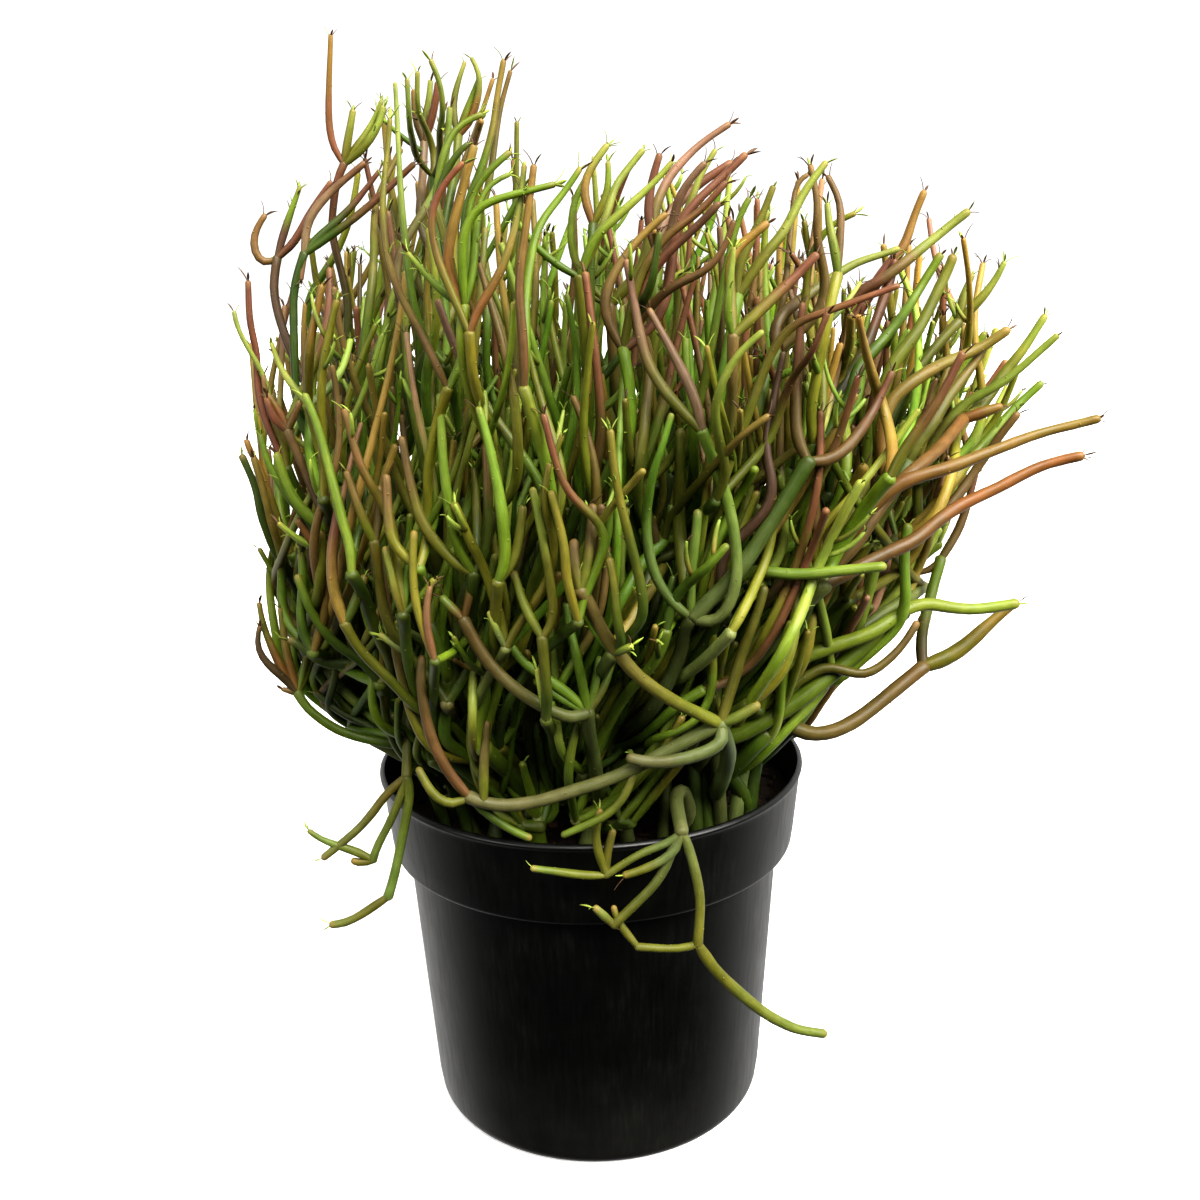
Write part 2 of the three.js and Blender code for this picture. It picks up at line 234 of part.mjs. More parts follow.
    [3.2, 2.3, [[75.5, -37.4, 225.9], [93.7, -56, 254.8], [108.4, -64.8, 281.7], [129.2, -66.1, 304], [160.2, -70.7, 359], [193.2, -68.9, 393.4], [234.3, -48.1, 436.3], [251.9, -45.3, 452.1]]],
  ],
  stem_left_back_3: [
    [5.6, 5.4, [[-35.1, 66.6, 156.3], [-36, 68, 189.1], [-42, 74, 212.2]]],
    [5.2, 5.1, [[-42, 74, 212.2], [-41.4, 73.4, 216.5]]],
    [4.5, 1.9, [[-41.4, 73.4, 216.5], [-48.2, 80, 221.7], [-52.4, 75.6, 225.7], [-72, 87.6, 249.1], [-87, 104.8, 282.6], [-81.5, 120.2, 329.3], [-85.1, 127, 341], [-71.8, 127.9, 376.4], [-68.4, 129.7, 406.7]]],
    [2.8, 2.1, [[-42, 74, 212.2], [-54.7, 86.9, 224], [-68.7, 95.8, 242]]],
    [4.2, 2.1, [[-41.4, 73.4, 216.5], [-36.5, 71.2, 222.1], [-46.1, 93.5, 259.2], [-45.4, 125.4, 329.7], [-50.5, 137.1, 375.5], [-44.2, 140.7, 408.1], [-30.8, 137.2, 432.8], [-26.3, 147.2, 461.7], [-41.9, 143.8, 578.6]]],
  ],
  stem_left_front_2: [
    [5.6, 5.3, [[-30.2, -71.3, 157.3], [-30.9, -73, 189.8], [-33.6, -79.8, 213.1], [-35.3, -77, 220]]],
    [3.8, 2.5, [[-35.3, -77, 220], [-51.6, -85.3, 234], [-72, -111.1, 281], [-70.4, -144.7, 311.4], [-58.9, -140.4, 326.9], [-56.6, -141.4, 343.7], [-51.8, -164.8, 383.8]]],
    [3.7, 2.3, [[-31.2, -80.1, 224], [-52.2, -99.9, 247.8], [-69.4, -124.2, 290.4], [-86.3, -134.7, 304.3], [-117.9, -149.2, 355.6]]],
    [4.7, 4.5, [[-35.3, -77, 220], [-31.2, -80.1, 224]]],
    [2.3, 2.2, [[-51.8, -164.8, 383.8], [-63.8, -166, 393.3], [-76, -166.1, 412.9], [-82.6, -161.9, 450.2]]],
    [2.3, 2.1, [[-51.8, -164.8, 383.8], [-60.8, -171, 415.2], [-62.4, -171.3, 471]]],
    [4, 2.3, [[-31.2, -80.1, 224], [-45, -106.6, 258.1], [-53.4, -140.1, 284.9], [-50.7, -138.2, 300.6], [-43.2, -145.7, 325.7], [-41.4, -174.1, 376.5], [-35.9, -179.3, 390], [-36.9, -182.7, 428.6], [-44.5, -182.3, 466.2]]],
    [2.4, 2.2, [[-117.9, -149.2, 355.6], [-122.8, -147.7, 379.4], [-117.5, -140.6, 418.6]]],
    [2.2, 2, [[-117.9, -149.2, 355.6], [-107, -144.4, 379.4]]],
  ],
  stem_right_back_3: [
    [5.6, 4.8, [[69.6, 40.4, 154.3], [72, 41.8, 192.9], [81.1, 44.8, 214], [78.6, 41.6, 218.6]]],
    [4.3, 4.2, [[78.6, 41.6, 218.6], [75.8, 42.5, 222.3]]],
    [3.6, 2.1, [[75.8, 42.5, 222.3], [120.6, 72.2, 295.3], [153.5, 80.9, 331.6], [173.3, 98.1, 381.4], [195.7, 106.6, 414], [204.6, 107.3, 444.3], [191.3, 96.8, 521.8]]],
    [2.7, 2.2, [[78.6, 41.6, 218.6], [103, 65.7, 253.1], [108.1, 81.6, 263.7], [116.6, 97.3, 289.4], [143.3, 109.6, 329.6], [167, 121.3, 386]]],
    [3.7, 2.1, [[75.8, 42.5, 222.3], [87.7, 40, 245.2], [105.1, 48.7, 280.2]]],
    [3.7, 1.8, [[78.6, 41.6, 218.6], [89.7, 47.8, 257.1], [95, 43.1, 270.3], [145.8, 59.6, 325.5], [152.9, 53.8, 337.5], [188.9, 53.2, 378.8], [216.3, 50.2, 435.2]]],
  ],
  stem_left_3: [
    [5.6, 5.4, [[-79.5, 21.3, 148.9], [-81.3, 22, 189.2], [-92.1, 21.8, 207.7], [-96.1, 19.5, 203.6]]],
    [5.6, 2, [[-96.1, 19.5, 203.6], [-85.5, 23.6, 204.4], [-79.4, 20.1, 213.2], [-86.6, 18.2, 224], [-138.4, 37.4, 282], [-162.5, 35.8, 379.2], [-162.4, 39.3, 419.2], [-163.8, 30.9, 458.3], [-158.4, 25.4, 471.4], [-160.2, 23.4, 495.1], [-133.7, 15.7, 533.2], [-122.2, 15.9, 571.3]]],
    [3.1, 1.9, [[-96.1, 19.5, 203.6], [-103.5, 8.9, 226.2], [-162.6, 10.6, 282.7], [-184.5, 12.8, 326.8]]],
  ],
  stem_right_front_3: [
    [5.6, 5.4, [[43.3, -51.5, 152], [44.7, -53.3, 192], [49.6, -60, 214.4]]],
    [3.2, 3.1, [[67.9, -95.9, 267.3], [104.6, -114.2, 326.8], [119.6, -122.4, 364.6]]],
    [5, 3.2, [[49.6, -60, 214.4], [56.9, -75.3, 216.9], [58, -62.6, 225.4], [69.7, -78.5, 259.4], [91.8, -102.5, 288.1]]],
    [4.3, 4.1, [[51.2, -57.3, 223.2], [67.9, -95.9, 267.3]]],
    [4.9, 4.8, [[49.6, -60, 214.4], [51.2, -57.3, 223.2]]],
    [3.3, 1.5, [[51.2, -57.3, 223.2], [55.7, -86.5, 262], [78.4, -107.1, 319.9], [95.6, -125.5, 395.3], [113.5, -135.9, 436.7], [110.9, -143.5, 458.5], [116.6, -147.4, 495.3], [124.4, -135.3, 541.6], [118, -131.3, 562]]],
    [2.8, 2.5, [[119.6, -122.4, 364.6], [136.1, -121.6, 380], [166.7, -106.4, 415.2], [219.6, -46.9, 441.9], [233.5, -40.5, 459], [252.8, -40.4, 488.1]]],
    [2.7, 2.6, [[119.6, -122.4, 364.6], [138.7, -118.6, 393.4], [162.4, -116.2, 413.8], [232.2, -101.8, 433.3], [264.2, -102.8, 441]]],
    [3.7, 2.6, [[51.2, -57.3, 223.2], [58.3, -74.1, 255.1], [68.3, -82.2, 275.6], [78.2, -101.6, 299.8], [120, -136.5, 366.1], [170.1, -115.5, 383.2], [195.3, -104.5, 398.3], [233.7, -98.8, 415.2], [258.1, -100.9, 421.8]]],
    [4.1, 3.1, [[51.2, -57.3, 223.2], [72.7, -73.8, 245.2], [86.7, -82, 268.1], [99.1, -81.1, 274.1], [126.8, -88.5, 266.7], [141.7, -85.8, 269.9], [187.7, -68.6, 298], [207.4, -64.6, 304.8], [240.4, -57.3, 330.5]]],
    [2.9, 2.7, [[91.8, -102.5, 288.1], [113, -100.8, 314.3], [152.4, -97.5, 327.8], [177.8, -87.7, 340.1], [210.4, -82.4, 335], [235.2, -82.7, 338.1]]],
    [3.7, 3.4, [[67.9, -95.9, 267.3], [82.4, -99.2, 272.8], [113.1, -96.6, 289.9], [174.8, -84.3, 337.3]]],
    [2.1, 2, [[91.8, -102.5, 288.1], [124, -97.2, 308.1], [153.2, -100.2, 307], [177.7, -93.8, 332.8]]],
  ],
  stem_back_3: [
    [5.6, 5.4, [[17.8, 74.8, 149.5], [19.8, 80.8, 203.2]]],
    [4.8, 4.4, [[20, 79.9, 205.7], [21.2, 80.1, 215.6]]],
    [5.4, 5.2, [[19.8, 80.8, 203.2], [20, 79.9, 205.7]]],
    [2.7, 2.2, [[19.8, 80.8, 203.2], [23.8, 105.8, 235.5], [40, 125.2, 262.1], [72.6, 156.7, 334.2], [81.5, 172, 374.1]]],
    [3.9, 1.8, [[21.2, 80.1, 215.6], [19.7, 78.9, 220.6], [17.7, 116.9, 271.9], [23.8, 156.4, 302], [58.5, 168, 336.1], [83.4, 167.5, 358.8], [116.5, 157.9, 404.7], [137.1, 161.9, 439.4]]],
    [2.1, 2, [[20, 79.9, 205.7], [25.8, 119.2, 258.8]]],
    [3.9, 2, [[21.2, 80.1, 215.6], [25.9, 88.6, 226.8], [15.6, 132.1, 283.9], [40, 157.1, 328.1], [49.1, 176.8, 359.3], [47.4, 187.6, 404.7], [44.2, 187.4, 443.1], [41.7, 179.4, 472.9], [39.7, 160.8, 507.2]]],
  ],
  stem_left_front_3: [
    [5.6, 4.7, [[-59, -36, 146.9], [-60.3, -36.8, 188.9], [-65.1, -42.4, 212.6], [-64.7, -38.6, 220.3], [-70, -37.3, 225.9]]],
    [2.5, 2.4, [[-126.6, -91.1, 338.8], [-141.3, -93.5, 390.8], [-149.6, -104.4, 425.5]]],
    [4.2, 3.5, [[-70, -37.3, 225.9], [-105.4, -46.9, 274.6], [-124.3, -70.9, 309.2], [-126.6, -91.1, 338.8]]],
    [1.9, 1.8, [[-149.6, -104.4, 425.5], [-162.1, -98.6, 464.6], [-162.5, -97.1, 519.2]]],
    [1.5, 1.4, [[-149.6, -104.4, 425.5], [-157.7, -99.8, 470.5], [-170.1, -100.7, 504.6]]],
    [3.3, 2.2, [[-70, -37.3, 225.9], [-89.6, -53.7, 240.6], [-111.3, -67.9, 264.1], [-142.2, -60, 294.2], [-155.3, -51.1, 311.5], [-160, -52.4, 342.8], [-170, -69.3, 378.2], [-181.7, -67.8, 427.2]]],
    [2.8, 2.3, [[-126.6, -91.1, 338.8], [-124.1, -83.9, 361.9], [-120.9, -85.3, 411.6], [-113.9, -78.2, 431.9], [-113.8, -81.5, 463.1], [-103.8, -78.8, 515.2], [-107.1, -32.8, 553.4], [-102, -21.6, 566.3], [-92.8, -16.8, 582.2]]],
  ],
  stem_right_2: [
    [5.1, 5, [[78.8, -0.5, 146.3], [80.2, -0.4, 185.3], [88.4, -1.9, 215.1]]],
    [4.2, 2, [[88.4, -1.9, 215.1], [101.6, 7.8, 222.7], [110.1, 6.8, 242.5], [162.8, -10.3, 297.8], [187.7, -4.3, 325.1], [200.3, -2, 351.7], [212.9, -12.4, 392.5]]],
    [2.9, 2.1, [[88.4, -1.9, 215.1], [103.8, -7.1, 223.5], [130.5, -4, 258.5]]],
    [4.4, 1.7, [[88.4, -1.9, 215.1], [88, -4.6, 220.4], [110, 1.3, 247.9], [132.9, 3.1, 290.6], [149.8, 2.8, 307.3], [176.6, 13, 336.7], [185.2, 13.3, 376], [217.1, 16.3, 422.5], [216.1, 20, 437.7], [228.1, 25.6, 473.8], [210.6, 32.3, 508.2], [206.2, 41, 538.2]]],
  ],
};

// ---------------------------------------------------------------- helpers
const wasm = await Module();
wasm.setup();

// merged positions only, so that the body is closed
function closed(geometry) {
  const g = geometry.clone();
  for (const name of Object.keys(g.attributes)) if (name !== 'position') g.deleteAttribute(name);
  return BufferGeometryUtils.mergeVertices(g, 1e-4);
}

function toSolid(geometry) {
  const g = closed(geometry);
  const solid = new wasm.Manifold(new wasm.Mesh({
    numProp: 3,
    vertProperties: new Float32Array(g.attributes.position.array),
    triVerts: new Uint32Array(g.index.array),
  }));
  return solid;
}

function fromSolid(solid) {
  const m = solid.getMesh();
  const g = new THREE.BufferGeometry();
  const n = m.vertProperties.length / m.numProp;
  const p = new Float32Array(n * 3);
  for (let i = 0; i < n; i++) for (let k = 0; k < 3; k++) p[3 * i + k] = m.vertProperties[i * m.numProp + k];
  g.setAttribute('position', new THREE.BufferAttribute(p, 3));
  g.setIndex(new THREE.BufferAttribute(new Uint32Array(m.triVerts), 1));
  return g;
}

// a centreline that runs straight from point to point, one ring of the tube at each point
class Centreline extends THREE.Curve {
  constructor(points) { super(); this.points = points; }
  getPoint(t, target = new THREE.Vector3()) {
    const n = this.points.length - 1;
    const k = Math.min(Math.floor(t * n + 1e-9), n - 1);
    return target.lerpVectors(this.points[k], this.points[k + 1], t * n - k);
  }
  getPointAt(u, target) { return this.getPoint(u, target); }
  getTangentAt(u, target = new THREE.Vector3()) {
    const n = this.points.length - 1;
    const k = Math.round(u * n);
    const a = this.points[Math.max(k - 1, 0)];
    const b = this.points[Math.min(k + 1, n)];
    return target.subVectors(b, a).normalize();
  }
}

const section = new THREE.Shape(
  Array.from({ length: STEM_SIDES }, (_, i) => {
    const a = (i / STEM_SIDES) * Math.PI * 2;
    return new THREE.Vector2(Math.cos(a), Math.sin(a));
  }),
);

// a closed tube along points, with its own radius at each point
function tube(points, radii) {
  const path = new Centreline(points);
  const g = new THREE.ExtrudeGeometry(section, { steps: points.length - 1, extrudePath: path, bevelEnabled: false });
  const pos = g.attributes.position;
  const v = new THREE.Vector3();
  for (let i = 0; i < pos.count; i++) {
    v.fromBufferAttribute(pos, i);
    let best = 0;
    let err = Infinity;
    for (let k = 0; k < points.length; k++) {
      const e = Math.abs(v.distanceTo(points[k]) - 1);
      if (e < err) { err = e; best = k; }
    }
    v.sub(points[best]).multiplyScalar(radii[best]).add(points[best]);
    pos.setXYZ(i, v.x, v.y, v.z);
  }
  return toSolid(g);
}

// one branch: tapered from base to tip
function branch([baseR, tipR, line], grow = 0, depth = 0) {
  const pts = line.map((p) => new THREE.Vector3(...p));
  const n = pts.length;
  let length = 0;
  const at = [0];
  for (let i = 1; i < n; i++) { length += pts[i].distanceTo(pts[i - 1]); at.push(length); }
  const radii = at.map((s) => (baseR + (tipR - baseR) * (s / length)) * RADIUS_TRIM + grow);
  const seg = pts[n - 1].distanceTo(pts[n - 2]);
  if (grow === 0 && seg > 3 * tipR && length > MIN_PENCIL) radii[n - 1] *= TIP_TAPER;
  if (depth > 0) pts[0].addScaledVector(pts[0].clone().sub(pts[1]).normalize(), depth);
  return tube(pts, radii);
}

// the main body, without crumbs of no volume
function largest(solid) {
  return solid.decompose().sort((a, b) => b.volume() - a.volume())[0];
}

function unite(solids) {
  let out = solids[0];
  for (let i = 1; i < solids.length; i++) out = out.add(solids[i]);
  return largest(out);
}

// ---------------------------------------------------------------- pot
const lerp = (a, b, t) => a + (b - a) * t;
const profile = [];
const at = (r, z) => profile.push(new THREE.Vector2(r, z));
// underside, from the centre out: pad, recessed ring, foot ring
at(0, 0);
at(PAD_R, 0);
at(PAD_R + 2, FOOT_RISE);
at(FOOT_IN_R - 2, FOOT_RISE);
at(FOOT_IN_R, 0);
at(BASE_R - BASE_CORNER, 0);
for (let i = 1; i <= 4; i++) {
  const a = (i / 4) * Math.PI / 2;
  at(BASE_R - BASE_CORNER + BASE_CORNER * Math.sin(a), BASE_CORNER * (1 - Math.cos(a)));
}
// outside, up to the collar, over its rounded lower edge, up to the rim bead and over it
const bodyR = (z) => lerp(BASE_R, NECK_R, z / COLLAR_BOTTOM_Z);
at(bodyR(COLLAR_BOTTOM_Z), COLLAR_BOTTOM_Z);
at(COLLAR_BOTTOM_R - 4, COLLAR_BOTTOM_Z);
at(COLLAR_BOTTOM_R - 1.2, COLLAR_BOTTOM_Z + 1.1);
at(COLLAR_BOTTOM_R, COLLAR_BOTTOM_Z + 3.6);
const collarR = (z) => lerp(COLLAR_BOTTOM_R, RIM_R - 0.8, (z - COLLAR_BOTTOM_Z) / (POT_HEIGHT - COLLAR_BOTTOM_Z));
at(collarR(POT_HEIGHT - 4.2), POT_HEIGHT - 4.2);
at(RIM_R, POT_HEIGHT - 2.8);
at(RIM_R - 0.2, POT_HEIGHT - 0.8);
at(RIM_R - 1.2, POT_HEIGHT);
at(RIM_R - BEAD, POT_HEIGHT);
at(RIM_R - BEAD - 0.6, POT_HEIGHT - 1);
// inside, down the collar, in over the shoulder and down to the floor
at(collarR(POT_HEIGHT - 6) - WALL, POT_HEIGHT - 6);
at(COLLAR_BOTTOM_R - WALL, COLLAR_BOTTOM_Z + 5);
at(COLLAR_BOTTOM_R - WALL - 2.4, COLLAR_BOTTOM_Z + WALL);
at(bodyR(COLLAR_BOTTOM_Z) - WALL, COLLAR_BOTTOM_Z + WALL - 0.6);
const floorZ = FOOT_RISE + FLOOR_T;
at(bodyR(floorZ + BASE_CORNER) - WALL, floorZ + BASE_CORNER * 0.75);
at(bodyR(floorZ) - WALL - BASE_CORNER * 0.7, floorZ);
at(0, floorZ);
let potSolid = toSolid(new THREE.LatheGeometry(profile, POT_SEGMENTS).rotateX(Math.PI / 2));
for (let i = 0; i < DRAIN_HOLES; i++) {
  const a = ((i + 0.5) / DRAIN_HOLES) * Math.PI * 2;
  const hole = new THREE.CylinderGeometry(DRAIN_R, DRAIN_R, FLOOR_T + 4, 14).rotateX(Math.PI / 2)
    .translate(DRAIN_CIRCLE_R * Math.cos(a), DRAIN_CIRCLE_R * Math.sin(a), FOOT_RISE + FLOOR_T / 2);
  potSolid = potSolid.subtract(toSolid(hole));
}

// ---------------------------------------------------------------- stems
const stems = {};
const sockets = [];
for (const [name, branches] of Object.entries(CUTTINGS)) {
  stems[name] = unite(branches.map((b) => branch(b)));
  branches.forEach((b, i) => {
    if (i === 0) sockets.push(branch(b, SOCKET_GAP, SOCKET_GAP + 0.2));
    else if (b[2].some((p) => p[2] < SOIL_TOP_Z + SOIL_CROWN + b[0] + 1)) sockets.push(branch(b, SOCKET_GAP));
  });
}

// ---------------------------------------------------------------- soil
const soilProfile = [
  [0, floorZ + SOIL_GAP],
  [bodyR(floorZ) - WALL - BASE_CORNER * 0.7 - SOIL_GAP, floorZ + SOIL_GAP],
  [bodyR(floorZ + BASE_CORNER) - WALL - SOIL_GAP - 0.4, floorZ + BASE_CORNER * 0.75 + 0.8],
  [bodyR(COLLAR_BOTTOM_Z) - WALL - SOIL_GAP - 0.3, COLLAR_BOTTOM_Z + WALL - 0.2],
  [COLLAR_BOTTOM_R - WALL - 3.4, COLLAR_BOTTOM_Z + WALL + 0.6],
  [COLLAR_BOTTOM_R - WALL - SOIL_GAP - 0.5, COLLAR_BOTTOM_Z + 5.6],
  [collarR(SOIL_TOP_Z - 2) - WALL - SOIL_GAP - 0.4, SOIL_TOP_Z - 2],
  [collarR(SOIL_TOP_Z) - WALL - 4, SOIL_TOP_Z],
  [RIM_R * 0.5, SOIL_TOP_Z + SOIL_CROWN * 0.8],
  [0, SOIL_TOP_Z + SOIL_CROWN],
].map(([r, z]) => new THREE.Vector2(r, z));
let soilSolid = toSolid(new THREE.LatheGeometry(soilProfile, SOIL_SEGMENTS).rotateX(Math.PI / 2));
for (const s of sockets) soilSolid = soilSolid.subtract(s);
// crumbs cut loose between two sockets are dropped
soilSolid = largest(soilSolid);

// ---------------------------------------------------------------- scene graph
const plant = new THREE.Group();
function addMesh(parent, name, solid, color, roughness) {
  const material = new THREE.MeshStandardMaterial({ color, roughness, metalness: 0 });
  const mesh = new THREE.Mesh(fromSolid(solid), material);
  mesh.name = name;
  parent.add(mesh);
}
addMesh(plant, 'pot', potSolid, 0x17171a, 0.55);
addMesh(plant, 'soil', soilSolid, 0x2a1d14, 0.95);
const bush = new THREE.Group();
plant.add(bush);
const greens = [0x7f9a35, 0x6a8a33, 0x8d9a3c, 0x99863c, 0x5f7d34, 0xa07a3e];
Object.keys(stems).forEach((name, i) => addMesh(bush, name, stems[name], greens[i % greens.length], 0.5));

export default plant;
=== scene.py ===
import json
import math

import bpy
import numpy as np
from mathutils import Matrix, Vector


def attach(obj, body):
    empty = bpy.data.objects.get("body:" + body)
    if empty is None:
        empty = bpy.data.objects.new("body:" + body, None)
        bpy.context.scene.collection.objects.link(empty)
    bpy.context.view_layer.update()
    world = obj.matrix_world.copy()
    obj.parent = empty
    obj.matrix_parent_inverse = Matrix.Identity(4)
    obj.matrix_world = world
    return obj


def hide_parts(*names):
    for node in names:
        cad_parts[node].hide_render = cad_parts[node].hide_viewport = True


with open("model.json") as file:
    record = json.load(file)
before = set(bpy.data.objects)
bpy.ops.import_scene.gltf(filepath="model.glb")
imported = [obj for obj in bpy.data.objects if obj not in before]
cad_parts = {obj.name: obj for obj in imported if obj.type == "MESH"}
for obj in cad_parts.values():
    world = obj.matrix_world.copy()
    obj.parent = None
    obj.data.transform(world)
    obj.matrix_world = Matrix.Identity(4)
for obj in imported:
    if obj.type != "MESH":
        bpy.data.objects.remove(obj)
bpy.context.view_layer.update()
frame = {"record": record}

rng = np.random.default_rng(20417)
MM = 0.001

# ---------------------------------------------------------------- camera, floor and light


def make_camera():
    e, roll = math.radians(16.17), math.radians(-1.40)
    look = Vector((0, math.cos(e), -math.sin(e)))
    right = Vector((1, 0, 0))
    up = right.cross(look)
    r = math.cos(roll) * right + math.sin(roll) * up
    u = -math.sin(roll) * right + math.cos(roll) * up
    data = bpy.data.cameras.new("camera")
    data.sensor_width = 36
    data.lens = 42
    data.clip_start, data.clip_end = 0.01, 50
    cam = bpy.data.objects.new("camera", data)
    m = Matrix.Identity(4)
    for i in range(3):
        m[i][0], m[i][1], m[i][2] = r[i], u[i], -look[i]
    m[0][3], m[1][3], m[2][3] = 0.00796, -0.80869, 0.556057
    cam.matrix_world = m
    bpy.context.scene.collection.objects.link(cam)
    bpy.context.scene.camera = cam


def area_light(name, place, target, size, watts, colour=(1, 1, 1), tall=None):
    data = bpy.data.lights.new(name, "AREA")
    data.shape = "RECTANGLE"
    data.size, data.size_y = size, tall or size
    data.energy = watts
    data.color = colour
    lamp = bpy.data.objects.new(name, data)
    lamp.location = place
    lamp.rotation_mode = "QUATERNION"
    lamp.rotation_quaternion = (Vector(target) - Vector(place)).to_track_quat("-Z", "Y")
    bpy.context.scene.collection.objects.link(lamp)
    return lamp


def sun_light(name, towards, strength, angle, colour=(1, 1, 1)):
    data = bpy.data.lights.new(name, "SUN")
    data.energy = strength
    data.angle = math.radians(angle)
    data.color = colour
    lamp = bpy.data.objects.new(name, data)
    lamp.rotation_mode = "QUATERNION"
    lamp.rotation_quaternion = Vector(towards).to_track_quat("-Z", "Y")
    lamp.location = (0, 0, 2)
    bpy.context.scene.collection.objects.link(lamp)
    return lamp


def make_studio():
    scene = bpy.context.scene
    scene.view_settings.view_transform = "Standard"
    scene.view_settings.look = "Medium High Contrast"
    world = bpy.data.worlds.new("studio")
    scene.world = world
    world.use_nodes = True
    t = world.node_tree
    t.nodes.clear()
    out = t.nodes.new("ShaderNodeOutputWorld")
    seen = t.nodes.new("ShaderNodeBackground")
    seen.inputs["Color"].default_value = (1, 1, 1, 1)
    seen.inputs["Strength"].default_value = 1.05
    # a white sweep behind and beside the object, and a dark room in front of it
    soft = t.nodes.new("ShaderNodeBackground")
    soft.inputs["Color"].default_value = (1.0, 0.995, 0.97, 1)
    where = t.nodes.new("ShaderNodeTexCoord")
    parts = t.nodes.new("ShaderNodeSeparateXYZ")
    t.links.new(where.outputs["Generated"], parts.inputs[0])
    fade = t.nodes.new("ShaderNodeMapRange")
    fade.interpolation_type = "SMOOTHSTEP"
    for i, x in enumerate((-0.30, 0.75, 0.015, 1.0)):
        fade.inputs[i + 1].default_value = x
    t.links.new(parts.outputs["Y"], fade.inputs[0])
    t.links.new(fade.outputs[0], soft.inputs["Strength"])
    path = t.nodes.new("ShaderNodeLightPath")
    mix = t.nodes.new("ShaderNodeMixShader")
    t.links.new(path.outputs["Is Camera Ray"], mix.inputs[0])
    t.links.new(soft.outputs[0], mix.inputs[1])
    t.links.new(seen.outputs[0], mix.inputs[2])
    t.links.new(mix.outputs[0], out.inputs["Surface"])
    sun_light("top_soft", (-0.24, 0.62, -1), 6.3, 44, (1, 0.985, 0.93))
    area_light("key_right", (1.45, -1.00, 1.40), (0, 0, 0.40), 1.0, 52, (1, 0.98, 0.94), 1.2)
    area_light("fill_left", (-1.30, -1.15, 0.75), (0, 0, 0.36), 0.9, 13, (1, 0.99, 0.95), 1.1)


def make_floor():
    n = 64
    verts = [(0, 0, 0)] + [(6 * math.cos(2 * math.pi * i / n), 6 * math.sin(2 * math.pi * i / n), 0) for i in range(n)]
    faces = [(0, i + 1, (i + 1) % n + 1) for i in range(n)]
    mesh = bpy.data.meshes.new("floor")
    mesh.from_pydata(verts, [], faces)
    floor = bpy.data.objects.new("floor", mesh)
    bpy.context.scene.collection.objects.link(floor)
    s = Shader("studio_floor")
    where = s.coords()
    n1 = s.noise(where, 3.0, 2, 0.5)
    s.base(s.mix(n1, (0.93, 0.93, 0.925), (0.95, 0.95, 0.945)))
    s.set("Roughness", 0.75)
    s.set("Specular IOR Level", 0.2)
    s.set("Emission Color", (1, 1, 1))
    s.set("Emission Strength", 0.38)
    mesh.materials.append(s.mat)
    floor.visible_glossy = False
    floor.visible_diffuse = False


# ---------------------------------------------------------------- materials


def lin(rgb):
    """Display colour 0..255 to scene colour."""
    c = np.asarray(rgb, float) / 255
    return np.where(c <= 0.04045, c / 12.92, ((c + 0.055) / 1.055) ** 2.4)


